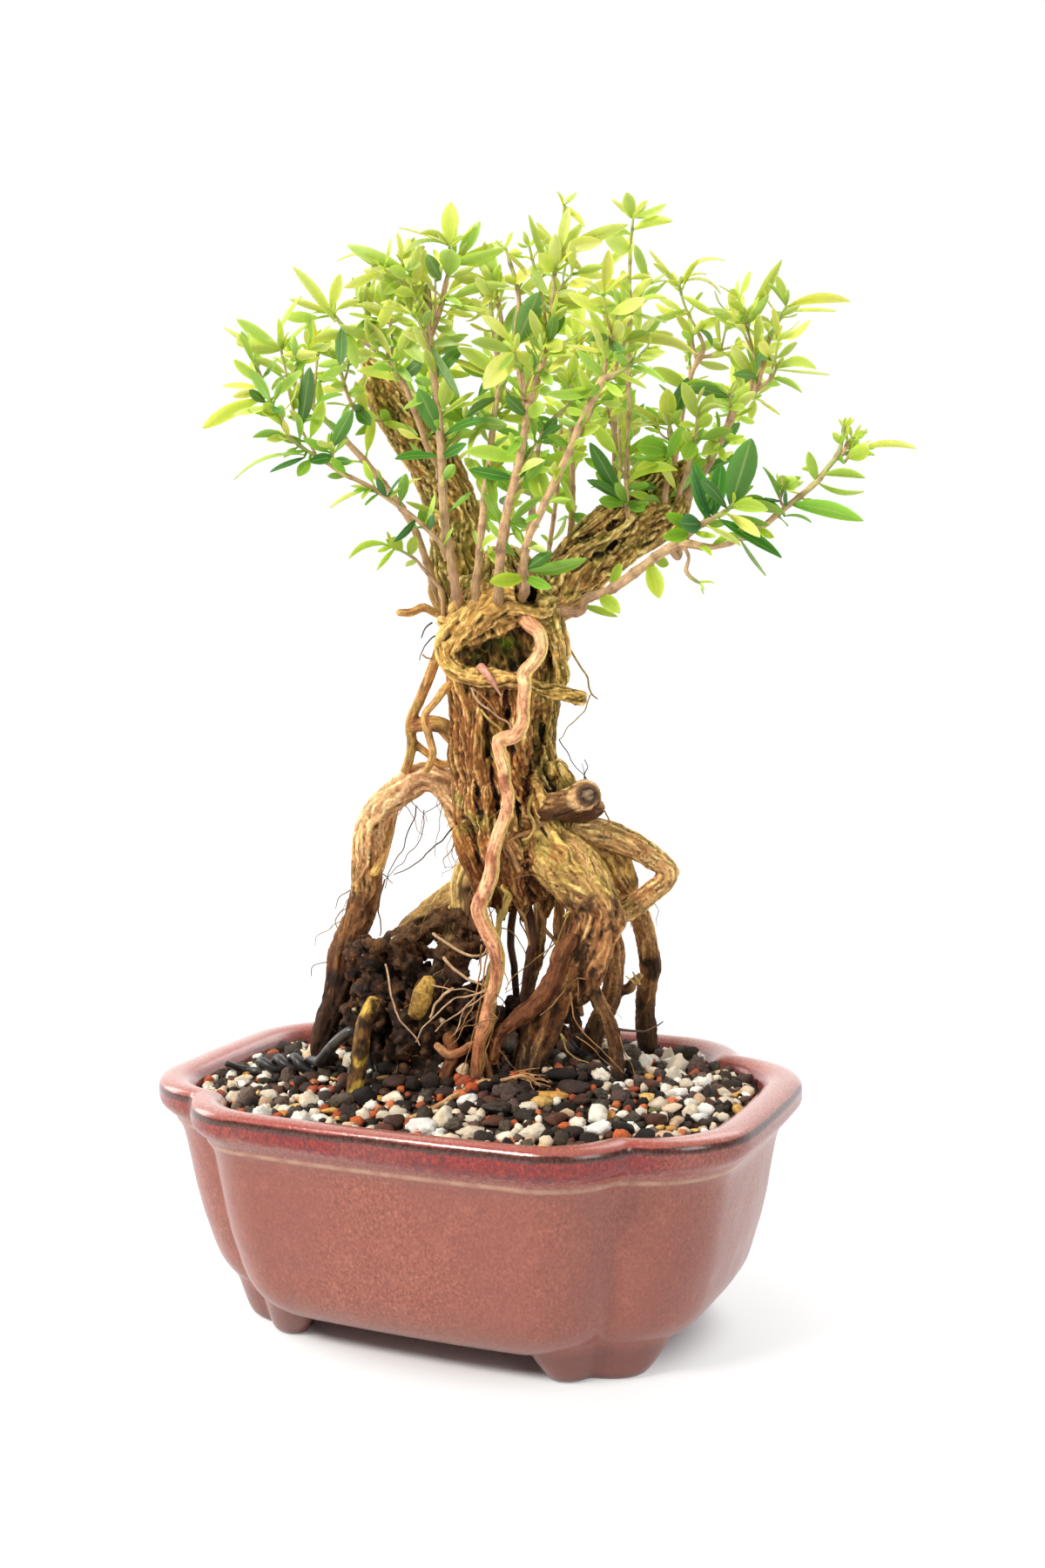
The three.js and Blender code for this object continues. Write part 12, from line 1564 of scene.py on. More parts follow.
def make_pot(mat):
    b = Build()
    # more points round the four notches, where the outline turns hard
    base = np.linspace(0, 2 * np.pi, 361)[:-1]
    extra = [q + d for q in (0.583, math.pi - 0.583, math.pi + 0.583, 2 * math.pi - 0.583) for d in np.linspace(-0.09, 0.09, 28)]
    ang = np.array(sorted(list(base) + extra))
    ang = ang[np.concatenate([[True], np.diff(ang) > 0.0015])]
    rad = pot_radius(ang)
    sec = [(8.0, 99.0), (8.0, 60.0)]
    sec += [tuple(p) for p in curve2(WALL_OUT, 1.5)] + [tuple(p) for p in curve2(GROOVE, 0.35)] + [tuple(p) for p in curve2(LIP, 0.55)] + [tuple(p) for p in curve2(WALL_IN, 2.4)]
    sec += [(14.0, 60.0), (14.0, 99.0)]
    sec = np.array(sec)
    keep = np.concatenate([[True], np.abs(np.diff(sec, axis=0)).sum(1) > 1e-4])
    sec = sec[keep]
    n, m = len(ang), len(sec)
    lobe = 1 - sec[:, 1] / 100
    # wheel marks and hand wobble, never past the outline
    z = np.repeat(sec[:, 0], n)
    x = (rad[None] * lobe[:, None] * np.cos(ang)[None]).ravel()
    y = (rad[None] * lobe[:, None] * np.sin(ang)[None]).ravel()
    p = np.stack([x, y, z], 1)
    body = step(z, 9, 16) * (1 - step(z, 62, 65)) + 0.2 * step(z, 68, 70)
    wob = fbm(p / 24.0, 3, 5) * 0.34 + noise(p / 5.5, 9) * 0.05
    fall = noise(np.stack([x / 1.6, y / 1.6, z / 4.5], 1), 14) * 0.035
    away = unit(np.stack([x, y, np.zeros_like(x)], 1))
    p += away * ((wob + fall) * body - 0.25 * body)[:, None]
    # soften the lip a little: the rim dips and swells
    lipz = step(z, 70, 74)
    p[:, 2] += lipz * (fbm(np.stack([x / 34, y / 34, z * 0], 1), 2, 3) * 0.3 - 0.25)
    faces = []
    for j in range(m - 1):
        a = j * n + np.arange(n)
        c = j * n + (np.arange(n) + 1) % n
        faces.append(np.stack([a, c, c + n, a + n], 1))
    faces = np.vstack(faces)
    inner = np.zeros(m)
    top = int(np.argmax(sec[:, 0]))
    inner[top:] = step(sec[top:, 1], 9.5, 11.5)
    fl = [tuple(f) for f in faces]
    fl += [tuple(range(n))[::-1]] + [tuple((m - 1) * n + np.arange(n))]
    at = np.stack([np.repeat(inner, n), z, z], 1)
    b.add(p, fl, 0, fib=at)
    ob = b.finish("pot_body", [mat], "glaze")
    # drain holes
    cut = []
    for sx in (-1, 1):
        c = Build()
        path = np.array([[sx * 42, 0, -2, 8.0], [sx * 42, 0, 22, 8.0]])
        v, f, _, _ = tube(path, 48, ends="flat")
        c.add(v, f, 0, fib=(1, 0, 0))
        o = c.finish("cutter", [mat])
        mod = ob.modifiers.new("hole", "BOOLEAN")
        mod.operation, mod.object, mod.solver = "DIFFERENCE", o, "EXACT"
        cut.append(o)
    feet = []
    for ang0 in (FOOT_A, math.pi - FOOT_A, math.pi + FOOT_A, -FOOT_A):
        fo = make_foot(ang0, mat)
        feet.append(fo)
    bake(ob)
    for o in cut:
        bpy.data.objects.remove(o)
    return ob, feet


def bake(ob):
    """Applies the modifiers of ob."""
    dg = bpy.context.evaluated_depsgraph_get()
    me = bpy.data.meshes.new_from_object(ob.evaluated_get(dg))
    old = ob.data
    ob.modifiers.clear()
    ob.data = me
    me.polygons.foreach_set("use_smooth", np.full(len(me.polygons), True))
    bpy.data.meshes.remove(old)
    me.update()


def make_foot(a0, mat):
    """One cloud foot: a slab that hugs a corner notch, narrower at the ground, with a rounded foot edge."""
    n = 40
    sec = [(0.0, 0.722, 0.600, 0.175), (0.3, 0.733, 0.600, 0.186), (1.0, 0.742, 0.598, 0.196), (2.2, 0.749, 0.597, 0.208), (4.0, 0.755, 0.595, 0.228), (6, 0.760, 0.59, 0.25), (8.2, 0.766, 0.59, 0.272), (10.4, 0.772, 0.59, 0.292), (12.4, 0.779, 0.59, 0.31), (13.8, 0.783, 0.60, 0.32)]
    rows = []
    for z, so, si, k in sec:
        f = np.linspace(0, 1, n)
        a = a0 - k + 2 * k * f
        e = 1 - 0.05 * np.abs(2 * f - 1) ** 4
        e2 = 1 + 0.06 * np.abs(2 * f - 1) ** 2
        ro, ri = pot_radius(a) * so * e, pot_radius(a[::-1]) * si * e2
        out = np.stack([ro * np.cos(a), ro * np.sin(a), np.full(n, z)], 1)
        inn = np.stack([ri * np.cos(a[::-1]), ri * np.sin(a[::-1]), np.full(n, z)], 1)
        # round the two ends
        mids = []
        for p, q in ((out[-1], inn[0]), (inn[-1], out[0])):
            t = np.linspace(0, 1, 8)[1:-1, None]
            w = p + (q - p) * t
            side = unit(np.cross(q - p, [0, 0, 1.0]))
            mids.append(w + side * (np.sin(np.pi * t) * np.linalg.norm(q - p) * 0.16))
        rows.append(np.vstack([out, mids[0], inn, mids[1]]))
    m = len(rows[0])
    v = np.vstack(rows)
    faces = []
    for j in range(len(rows) - 1):
        for i in range(m):
            a, b_ = j * m + i, j * m + (i + 1) % m
            faces.append((a, b_, b_ + m, a + m))
    faces.append(tuple(range(m))[::-1])
    faces.append(tuple((len(rows) - 1) * m + i for i in range(m)))
    v[:, 2] = np.maximum(v[:, 2], 0)
    b = Build()
    b.add(v, faces, 0, fib=(0, 0, 0))
    k = "abcd"[int(round((a0 % (2 * math.pi)) / (math.pi / 2) - 0.5)) % 4]
    return b.finish("pot_foot_" + k, [mat], "glaze", sharp=50)

# ---------------------------------------------------------------- soil
def soil_top(x, y):
    return 72.5 + 13 * np.exp(-((x - 6) / 58) ** 2 - ((y - 6) / 40) ** 2) + 0.7 * np.sin(x * 0.31 + 1.1) * np.cos(y * 0.37)


def soil_edge(a):
    return rim_radius(a) * 0.872


def make_soil(mat):
    """The compost under the dressing: rough, dark and closed below."""
    b = Build()
    n, m = 300, 70
    a = np.linspace(0, 2 * np.pi, n, endpoint=False)
    r = soil_edge(a) - 0.3
    rows = []
    for f in np.linspace(0.02, 1, m):
        x, y = r * f * np.cos(a), r * f * np.sin(a)
        z = soil_top(x, y)
        rows.append(np.stack([x, y, z], 1))
    top = np.vstack(rows)
    rough = fbm(top / 3.1, 4, 2) * 1.3 + ridge(top / 6.0, 2, 8) * 0.5 - 0.9
    top[:, 2] += rough
    skirt = []
    for z, s in ((62, 0.985), (45, 0.96), (24, 0.86), (15, 0.78)):
        skirt.append(np.stack([r * s * np.cos(a), r * s * np.sin(a), np.full(n, z)], 1))
    v = np.vstack([top] + skirt)
    faces = []
    total = m + len(skirt)
    for j in range(total - 1):
        i = np.arange(n)
        p, q = j * n + i, j * n + (i + 1) % n
        faces.extend(np.stack([p, p + n, q + n, q], 1).tolist())
    faces.append(tuple(range(n)))
    faces.append(tuple((total - 1) * n + i for i in range(n))[::-1])
    h = np.concatenate([rough, np.zeros(n * len(skirt))])
    # lighter on the bumps and darker in the dips, as painted light and shade
    col = np.array(srgb(46, 31, 23))[None] * (0.75 + 0.8 * step(h, -1.2, 0.6))[:, None]
    patch = step(fbm(v / 9.0, 2, 12), 0.05, 0.4)[:, None]
    col = col * (1 - patch) + np.array(srgb(74, 46, 30)) * patch
    b.add(v, faces, 0, col=col)
    return b.finish("soil_surface", [mat], "soil", ["soil_bed"])


def ico(level):
    t = (1 + 5 ** 0.5) / 2
    v = [(-1, t, 0), (1, t, 0), (-1, -t, 0), (1, -t, 0), (0, -1, t), (0, 1, t), (0, -1, -t), (0, 1, -t), (t, 0, -1), (t, 0, 1), (-t, 0, -1), (-t, 0, 1)]
    f = [(0, 11, 5), (0, 5, 1), (0, 1, 7), (0, 7, 10), (0, 10, 11), (1, 5, 9), (5, 11, 4), (11, 10, 2), (10, 7, 6), (7, 1, 8), (3, 9, 4), (3, 4, 2), (3, 2, 6), (3, 6, 8), (3, 8, 9), (4, 9, 5), (2, 4, 11), (6, 2, 10), (8, 6, 7), (9, 8, 1)]
    v = [np.array(p) / np.linalg.norm(p) for p in v]
    for _ in range(level):
        mid, out = {}, []

        def m(i, j):
            k = (min(i, j), max(i, j))
            if k not in mid:
                p = v[i] + v[j]
                v.append(p / np.linalg.norm(p))
                mid[k] = len(v) - 1
            return mid[k]
        for a, b_, c in f:
            x, y, z = m(a, b_), m(b_, c), m(c, a)
            out += [(a, x, z), (b_, y, x), (c, z, y), (x, y, z)]
        f = out
    return np.array(v), f


ICO = {k: ico(k) for k in (1, 2, 3)}
# kind: colours, width-to-thickness spread, angularity, noise size
KINDS = {
    "w": ([(236, 228, 212), (226, 214, 192), (240, 236, 228), (216, 200, 176)], (0.72, 1.0), 0.20, 1.5),
    "t": ([(214, 186, 150), (204, 172, 140), (222, 198, 170)], (0.7, 1.0), 0.18, 1.5),
    "l": ([(78, 68, 58), (60, 50, 43), (94, 82, 68), (66, 56, 42)], (0.75, 1.0), 0.24, 2.0),
    "r": ([(104, 82, 72), (92, 74, 66), (112, 92, 82)], (0.75, 1.0), 0.24, 2.0),
    "k": ([(38, 29, 24), (29, 22, 18), (50, 37, 29)], (0.55, 1.0), 0.16, 1.3),
    "o": ([(196, 98, 50), (178, 82, 44), (206, 116, 66), (160, 74, 44)], (0.7, 1.0), 0.16, 1.5),
    "b": ([(70, 46, 35), (86, 52, 38), (58, 42, 36)], (0.4, 0.9), 0.16, 1.2),
    "y": ([(214, 164, 84), (222, 180, 104), (198, 146, 72)], (0.22, 0.7), 0.12, 1.1),
    "g": ([(34, 122, 92), (28, 110, 84)], (0.95, 1.0), 0.02, 1.0),
    "g2": ([(108, 110, 52)], (0.7, 1.0), 0.12, 1.3),
}


def turn(rng):
    q = rng.normal(size=4)
    q /= np.linalg.norm(q)
    w, x, y, z = q
    return np.array([[1 - 2 * (y * y + z * z), 2 * (x * y - z * w), 2 * (x * z + y * w)], [2 * (x * y + z * w), 1 - 2 * (x * x + z * z), 2 * (y * z - x * w)], [2 * (x * z - y * w), 2 * (y * z + x * w), 1 - 2 * (x * x + y * y)]])


def grain(rng, kind, r, level, fit=None):
    """One stone of the dressing about the origin: vertices, faces, colours. fit gives the half sizes seen from the front."""
    cols, flat, ang, freq = KINDS[kind]
    v, f = ICO[level]
    off = rng.uniform(0, 50, 3)
    d = 1 + ang * 1.6 * noise(v * freq + off, 3) + ang * 0.7 * noise(v * freq * 2.3 + off, 4)
    if level > 1 and kind in ("l", "r", "w"):
        d += ang * 0.85 * noise(v * freq * 5 + off, 6)
    p = v * d[:, None]
    # knock off some flats, so that it reads as crushed rather than rolled
    for _ in range(5 if kind != "g" else 0):
        n = unit(rng.normal(size=3))
        h = rng.uniform(0.55, 0.85)
        over = np.maximum(p @ n - h, 0)
        p -= n * (over * 0.85)[:, None]
    s = np.array([1, rng.uniform(0.72, 1.0), rng.uniform(*flat)])
    a = rng.uniform(0, 2 * np.pi)
    p = p * s
    tilt = rng.normal(0, 0.25, 2)
    cz, sz = math.cos(a), math.sin(a)
    rot = np.array([[cz, -sz, 0], [sz, cz, 0], [0, 0, 1]])
    cx, sx = math.cos(tilt[0]), math.sin(tilt[0])
    rot = rot @ np.array([[1, 0, 0], [0, cx, -sx], [0, sx, cx]])
    if kind in ("w", "t", "l", "r", "o") and fit is None:
        rot = turn(rng)
    p = p @ rot.T
    if fit is None:
        p *= r / np.abs(p).max(0)[:2].mean()
    else:
        side = np.array([0.9057, 0.4231, 0])
        depth = np.array([-0.4231, 0.9057, 0])
        x, y, z = p @ side, p @ depth, p[:, 2]
        w, h = fit
        x = (x - (x.max() + x.min()) / 2) / ((x.max() - x.min()) / 2) * w
        y = (y - (y.max() + y.min()) / 2) / ((y.max() - y.min()) / 2) * min(max(w * 0.85, h * 0.7), w * 1.0)
        z = (z - (z.max() + z.min()) / 2) / ((z.max() - z.min()) / 2) * h
        p = x[:, None] * side + y[:, None] * depth + z[:, None] * [0, 0, 1]
    c = np.array(srgb(*cols[rng.integers(len(cols))])) * rng.uniform(0.88, 1.1)
    n2 = noise(v * 2.2 + off, 8)
    col = c[None] * (1 + 0.16 * n2)[:, None]
    if kind == "w":
        tan = np.array(srgb(206, 176, 138))
        k = (0.5 * step(noise(v * 1.6 + off, 11), 0.15, 0.7))[:, None]
        col = col * (1 - k) + tan * k
    return p, f, col


def make_dressing(mats, wood):
    """The dressing: the stones that show, then others over the rest, then grit in between."""
    rng = np.random.default_rng(5)
    taken = []

    def clear(x, y, r, slack=0.8):
        for (a, b_, c) in taken:
            if (x - a) ** 2 + (y - b_) ** 2 < ((r + c) * slack) ** 2:
                return False
        return True

    def in_wood(x, y, r):
        z = soil_top(np.array([x]), np.array([y]))[0]
        near = wood[np.abs(wood[:, 2] - z) < 6]
        if not len(near):
            return False
        return bool((np.hypot(near[:, 0] - x, near[:, 1] - y) < near[:, 3] + r * 0.75).any())
    groups = {"dressing_pumice": (Build(), ("w", "t")), "dressing_lava": (Build(), ("l", "r", "k")), "dressing_bark": (Build(), ("b", "y", "o", "g", "g2"))}
    where = {k: b for b, ks in groups.values() for k in ks}

    def drop(x, y, z, kind, r, level, fit=None):
        p, f, col = grain(rng, kind, r, level, fit)
        where[kind].add(p + [x, y, z], f, 0, col=col)
    for x, y, w, h, kind in STONES:
        z = soil_top(np.array([x]), np.array([y]))[0]
        drop(x, y, z + 0.25 * 2 * h, kind, w, 3 if w > 2.6 else 2, (w, h))
        taken.append((x, y, w * 0.8))
    sizes = [(3.2, 5.0, 90), (2.1, 3.2, 260), (1.4, 2.1, 700)]
    kinds = ["w", "w", "w", "t", "l", "l", "r", "k", "o", "b", "b", "y"]
    for lo, hi, count in sizes:
        made = tries = 0
        while made < count and tries < count * 30:
            tries += 1
            a, f = rng.uniform(0, 2 * np.pi), math.sqrt(rng.uniform(0, 1))
            r = rng.uniform(lo, hi)
            e = float(rim_radius(a)) * 0.868 - r * 0.9
            x, y = e * f * math.cos(a), e * f * math.sin(a)
            if not clear(x, y, r) or in_wood(x, y, r):
                continue
            mid = min(math.hypot((x - 2) / 48, (y - 4) / 34), math.hypot((x + 14) / 42, (y + 22) / 20))
            kind = kinds[rng.integers(len(kinds))]
            if mid < 1 and rng.uniform() < 0.85:
                kind = ["k", "b", "l", "k", "b", "o"][rng.integers(6)]
            if lo > 3 and kind in ("o", "y"):
                kind = "w"
            z = soil_top(np.array([x]), np.array([y]))[0]
            drop(x, y, z + r * rng.uniform(0.05, 0.45), kind, r, 2 if r > 1.9 else 1)
            taken.append((x, y, r * 0.85))
            made += 1
    for _ in range(1500):
        a, f = rng.uniform(0, 2 * np.pi), math.sqrt(rng.uniform(0, 1))
        r = rng.uniform(0.5, 1.2)
        e = float(rim_radius(a)) * 0.868 - r
        x, y = e * f * math.cos(a), e * f * math.sin(a)
        kind = ["k", "b", "l", "t", "o", "r", "w", "k", "b"][rng.integers(9)]
        z = soil_top(np.array([x]), np.array([y]))[0]
        drop(x, y, z + rng.uniform(-0.3, 0.6), kind, r, 1)
    out = []
    for name, (b, ks) in groups.items():
        out.append(b.finish(name, [mats[name]], "soil"))
    return out

# ---------------------------------------------------------------- wood
# the near-black colour is painted shade for furrows, crevices and shaded sides; the palest colour is a painted
# highlight for crests and bulges
OLIVE, TAN, SHADE_DARK, MOSS, PALE_HIGHLIGHT = srgb(142, 112, 56), srgb(190, 146, 88), srgb(30, 19, 11), srgb(112, 114, 38), srgb(240, 218, 168)
REDDISH, PEATY, PINK, STRAW = srgb(142, 84, 42), srgb(38, 26, 18), srgb(206, 152, 124), srgb(222, 190, 118)


def centreline(rows, gap=1.0):
    """Dense samples of several tubes: position, radius, tangent, u, w, distance along, tube number."""
    out = []
    for k, q in enumerate(rows):
        p = smooth_path(q, gap)
        t, u, w = frames(p)
        s = np.concatenate([[0], np.cumsum(np.linalg.norm(np.diff(p[:, :3], axis=0), axis=1))])
        out.append(np.hstack([p, t, u, w, s[:, None], np.full((len(p), 1), k)]))
    return np.vstack(out)


def lumpy(seed, amount, wave):
    def shape(s, a, r):
        p = np.stack([np.cos(a) * 1.1 + seed, np.sin(a) * 1.1, s / wave], 1)
        return 1 + amount * fbm(p, 3, seed)
    return shape


# how each kind is cut: lump share, lump length, (width and depth of the main furrows, of the fine ones), grit, twist
STYLE = {
    "bark": dict(lump=0.15, wave=12, across=2.3, along=14, deep=1.35, fine=0.6, grit=0.5, twist=0.02),
    "cord": dict(lump=0.28, wave=5.5, across=1.1, along=9, deep=0.7, fine=0.42, grit=0.36, twist=0.03),
    "burl": dict(lump=0.16, wave=8, across=2.6, along=11, deep=2.1, fine=0.6, grit=0.36, twist=0.05),
    "knot": dict(lump=0.2, wave=8, across=1.5, along=8, deep=0.95, fine=0.5, grit=0.34, twist=0.05),
    "sawn": dict(lump=0.06, wave=9, across=1.5, along=9, deep=0.2, fine=0.2, grit=0.12, twist=0.0),
    "root": dict(lump=0.14, wave=10, across=1.5, along=12, deep=0.8, fine=0.42, grit=0.28, twist=0.02),
    "thread": dict(lump=0.24, wave=6, across=0.9, along=9, deep=0.42, fine=0.26, grit=0.2, twist=0.02),
    "aerial": dict(lump=0.12, wave=7, across=1.2, along=10, deep=0.16, fine=0.1, grit=0.05, twist=0.02),
    "pale": dict(lump=0.12, wave=8, across=1.4, along=10, deep=0.3, fine=0.18, grit=0.1, twist=0.0),
    "twig": dict(lump=0.16, wave=5, across=1.0, along=8, deep=0.2, fine=0.12, grit=0.06, twist=0.0),
}
FRONT, ACROSS = np.array([0.4258, -0.9048, 0.0]), np.array([0.9048, 0.4258, 0.0])


def cords(rows, seed, gap, rad, length, kind, out=0.93, drift=0.10, of=("bark", "root")):
    """Cords of fibre that run along the skin of the given tubes and cross a little, as further tubes."""
    rng = np.random.default_rng(seed)
    made = []
    for k, q in rows:
        if k not in of:
            continue
        p = smooth_path(q, 2.5)
        t, u, w = frames(p)
        s = np.concatenate([[0], np.cumsum(np.linalg.norm(np.diff(p[:, :3], axis=0), axis=1))])
        total, r = s[-1], float(p[:, 3].mean())
        for _ in range(int(2 * math.pi * r / gap * (total / length) * 1.15)):
            ln = length * rng.uniform(0.5, 1.6)
            s0 = rng.uniform(-0.3 * ln, total - 0.5 * ln)
            a, b_ = max(s0, 0.0), min(s0 + ln, total)
            if b_ - a < 6:
                continue
            n = max(4, int((b_ - a) / 3.5))
            ss = np.linspace(a, b_, n)
            th = rng.uniform(0, 2 * math.pi) + np.cumsum(rng.normal(0, drift * 3.5 / max(r, 3) * 3.0, n))
            c = np.stack([np.interp(ss, s, p[:, j]) for j in range(4)], 1)
            uu = unit(np.stack([np.interp(ss, s, u[:, j]) for j in range(3)], 1))
            ww = unit(np.stack([np.interp(ss, s, w[:, j]) for j in range(3)], 1))
            off = c[:, 3] * (out + rng.normal(0, 0.025))
            f = np.linspace(0, 1, n)
            w_ = rad * rng.uniform(0.55, 1.45) * np.sin(np.pi * np.clip(f, 0.07, 0.93)) ** 0.6
            at = c[:, :3] + off[:, None] * (np.cos(th)[:, None] * uu + np.sin(th)[:, None] * ww)
            made.append((kind, np.column_stack([at, w_])))
    return made


def outline(p, edge):
    """Distance of plane points p inside the closed outline, negative outside."""
    p, edge = np.asarray(p, float), np.asarray(edge, float)
    d, within = np.full(len(p), 1e9), np.zeros(len(p), bool)
    for i in range(len(edge)):
        a, b_ = edge[i], edge[(i + 1) % len(edge)]
        e = b_ - a
        t = np.clip(((p - a) @ e) / (e @ e), 0, 1)
        d = np.minimum(d, np.linalg.norm(p - a - t[:, None] * e, axis=1))
        if abs(e[1]) > 1e-9:
            span = (a[1] > p[:, 1]) != (b_[1] > p[:, 1])
            within ^= span & (p[:, 0] < a[0] + (p[:, 1] - a[1]) * e[0] / e[1])
    return np.where(within, d, -d)


def wood_piece(name, groups, size, mat, slot, painter, extra=(), seed=1, push=None, skin=None, replaces=None):
    """One piece of wood: tubes and cords joined as a volume, then furrowed along the fibre and painted by height, with
    painted highlight on the crests and painted shade in the furrows.
    """
    rows = [(k, q) for g, k, q in TUBES if g in groups] + list(extra)
    if skin:
        rows = rows + cords(rows, seed + 900, **skin)
    vs, fs, o = [], [], 0
    for i, (k, q) in enumerate(rows):
        st = STYLE[k]
        p = smooth_path(q, 1.5)
        rmax = float(p[:, 3].max())
        v, f, _, _ = tube(p, int(min(28, max(9, rmax * 4))), "flat" if k == "sawn" else "round", lumpy(seed * 7 + i, st["lump"], st["wave"]))
        vs.append(v)
        fs.extend([tuple(int(j) + o for j in g) for g in f])
        o += len(v)
    v, f, ed = remesh(np.vstack(vs), fs, size * (1.15 if push else 1.0))
    v, f, ed = keep_big(v, f, ed)
    if push is not None:
        v = push(v)
        v, f, ed = remesh(v, f, size)
        v, f, ed = keep_big(v, f, ed)
    v = spread(v, ed, len(v), 3, 0.5)
    cl = centreline([q for _, q in rows], 1.6)
    near = cl[nearest(v, cl)]
    kinds = [k for k, _ in rows]
    par = {key: np.array([STYLE[k][key] for k in kinds])[near[:, -1].astype(int)] for key in ("across", "along", "deep", "fine", "grit", "twist")}
    d = v - near[:, :3]
    t, u, w = near[:, 4:7], near[:, 7:10], near[:, 10:13]
    ds = (d * t).sum(1)
    s = near[:, 13] + ds
    th = np.arctan2((d * w).sum(1), (d * u).sum(1)) + par["twist"] * s
    # one value of the radius for each tube keeps the fibres continuous
    mean_r = np.array([np.mean([x[3] for x in q]) for _, q in rows])[near[:, -1].astype(int)]
    k = mean_r / par["across"]
    warp = fbm(v / 9.0, 2, seed + 40) * 0.9
    fib = np.stack([np.cos(th) * k + near[:, -1] * 7.7, np.sin(th) * k, s / par["along"] + warp * 0.35], 1)
    fib[:, :2] += (fbm(v / 5.0, 2, seed + 3) * 0.55)[:, None]
    main = ridge(fib, 2, seed)
    fine = ridge(fib * np.array([2.3, 2.3, 2.0]), 2, seed + 5)
    grit = fbm(v / 1.3, 3, seed + 9)
    lump = fbm(v / 7.5, 2, seed + 15)
    h = par["deep"] * (main - 0.55) * 1.25 + par["fine"] * (fine - 0.5) + par["grit"] * grit * (0.7 + lump)
    h += par["deep"] * 0.5 * lump
    cap = near[:, 3] * 0.34 + 0.3
    h = np.clip(h, -cap * 1.3, cap)
    h = spread(h, ed, len(v), 1, 0.3)
    n = normals(v, f)
    base = v.copy()
    v = v + n * h[:, None]
    # how far each point lies under its surroundings, closely and widely
    av = spread(v, ed, len(v), 6, 0.6)
    cav = ((v - av) * n).sum(1)
    wide = spread(av, ed, len(v), 26, 0.6)
    hn = np.clip(((v - wide) * n).sum(1) / (0.55 + 0.34 * par["deep"]), -1.6, 1.6)
    col = painter(base, near, hn, cav, n, kinds, fib)
    # more contrast in the painted colour, which deepens the painted shade in the furrows and brightens the painted
    # highlights on the crests
    lum = col @ np.array([0.3, 0.6, 0.1])
    col = col * (np.clip(lum, 0.01, 0.6) / 0.15)[:, None] ** 0.3 * (np.array([1.10, 0.99, 0.80]) if slot == "bark" else np.array([1.12, 1.02, 0.86]))
    b = Build()
    b.add(v, f, 0, col=np.clip(col, 0.002, 1), fib=fib)
    return b.finish(name, [mat], slot, replaces or groups)


def lerp(a, b, k):
    return a * (1 - k[:, None]) + np.asarray(b) * k[:, None]


def paint_bark(v, near, hn, cav, n, kinds, fib):
    """Old bark: straw crests, paler at their tops as painted highlight, near-black furrows and crevices as painted
    shade, red-brown fibre on the shank, moss in broad patches.
    """
    c = np.tile(np.array(OLIVE), (len(v), 1))
    tone = fbm(v / 11.0, 3, 61)
    c = lerp(c, TAN, step(tone, -0.05, 0.45) * 0.7)
    shank = step(v[:, 2], 207, 199) * step(v @ ACROSS, 25, 19)
    c = lerp(c, REDDISH, np.clip(shank * 0.75 + step(fbm(v / 14.0, 2, 67), 0.1, 0.5) * 0.4 * step(v[:, 2], 250, 215), 0, 0.85))
    right = step(v @ ACROSS, 19, 27) * step(v[:, 2], 212, 200) * step(v[:, 2], 150, 162)
    moss = step(fbm(v / 7.0, 3, 63) + 0.25 * n[:, 2] + 0.1 * (v[:, 2] > 228) + 0.42 * right, 0.05, 0.4)
    c = lerp(c, MOSS, moss * 0.72)
    # straw and pale on the crests, as painted highlight; near black in the furrows and crevices, as painted shade
    c = lerp(c, STRAW, step(hn, 0.05, 0.8) * (0.7 - 0.45 * shank))
    c = lerp(c, PALE_HIGHLIGHT, step(hn, 0.55, 1.2) * 0.45 * (1 - 0.6 * shank))
    c = lerp(c, SHADE_DARK, step(hn, -0.08, -0.75) * 0.93)
    c = lerp(c, SHADE_DARK, step(cav, -0.06, -0.3) * 0.8)
    c = lerp(c, PALE_HIGHLIGHT, step(cav, 0.08, 0.3) * 0.45)
    # the fold at the top front is straw coloured, lighter on its crests as painted highlight
    burl = step(v @ FRONT, 8, 13) * step(v[:, 2], 202, 208) * step(v[:, 2], 240, 232) * step(v @ ACROSS, 28, 22)
    c = lerp(c, srgb(188, 148, 84), burl * 0.42 * step(hn, -0.5, 0.2))
    c = lerp(c, srgb(216, 184, 124), burl * 0.42 * step(hn, 0.2, 0.8))
    # the hollow: brown crumbs and moss, with painted shade near black in its crevices
    p = np.stack([v @ ACROSS, v[:, 2]], 1)
    deep = step(outline(p, HOLLOW_EDGE), -0.6, 1.3) * step(v @ FRONT, 4, 7) * step(v @ FRONT, 19, 16)
    floor = lerp(np.tile(np.array(srgb(104, 80, 38)), (len(v), 1)), srgb(160, 126, 66), step(fbm(v / 2.6, 3, 66), 0.0, 0.4))
    floor = lerp(floor, srgb(104, 112, 30), step(fbm(v / 3.6, 3, 68), 0.05, 0.4) * 0.7)
    floor = lerp(floor, SHADE_DARK, step(cav, 0.03, -0.25) * 0.85)
    floor = lerp(floor, srgb(104, 140, 20), np.exp(-(((v - MOSS_SPOT) / [2.6, 4.5, 1.9]) ** 2).sum(1)) * 0.8)
    c = c * (1 - deep[:, None]) + floor * deep[:, None]
    # the gap above the hollow is painted near black, as painted shade
    gap = step(outline(p, GAP_EDGE), -0.3, 0.9) * step(v @ FRONT, -3, 1)
    c = lerp(c, srgb(30, 20, 13), gap * 0.92)
    c = lerp(c, c * np.array([0.72, 0.60, 0.40]), step(v[:, 2], 212, 198) * step(fbm(v / 8.0, 3, 69), -0.3, 0.25) * 0.85)
    # the ragged foot is dark and red-brown
    low = step(v[:, 2] + fbm(v / 5.0, 3, 62) * 8, 160, 142)
    c = lerp(c, c * np.array([0.62, 0.5, 0.42]), low * 0.9)
    return c


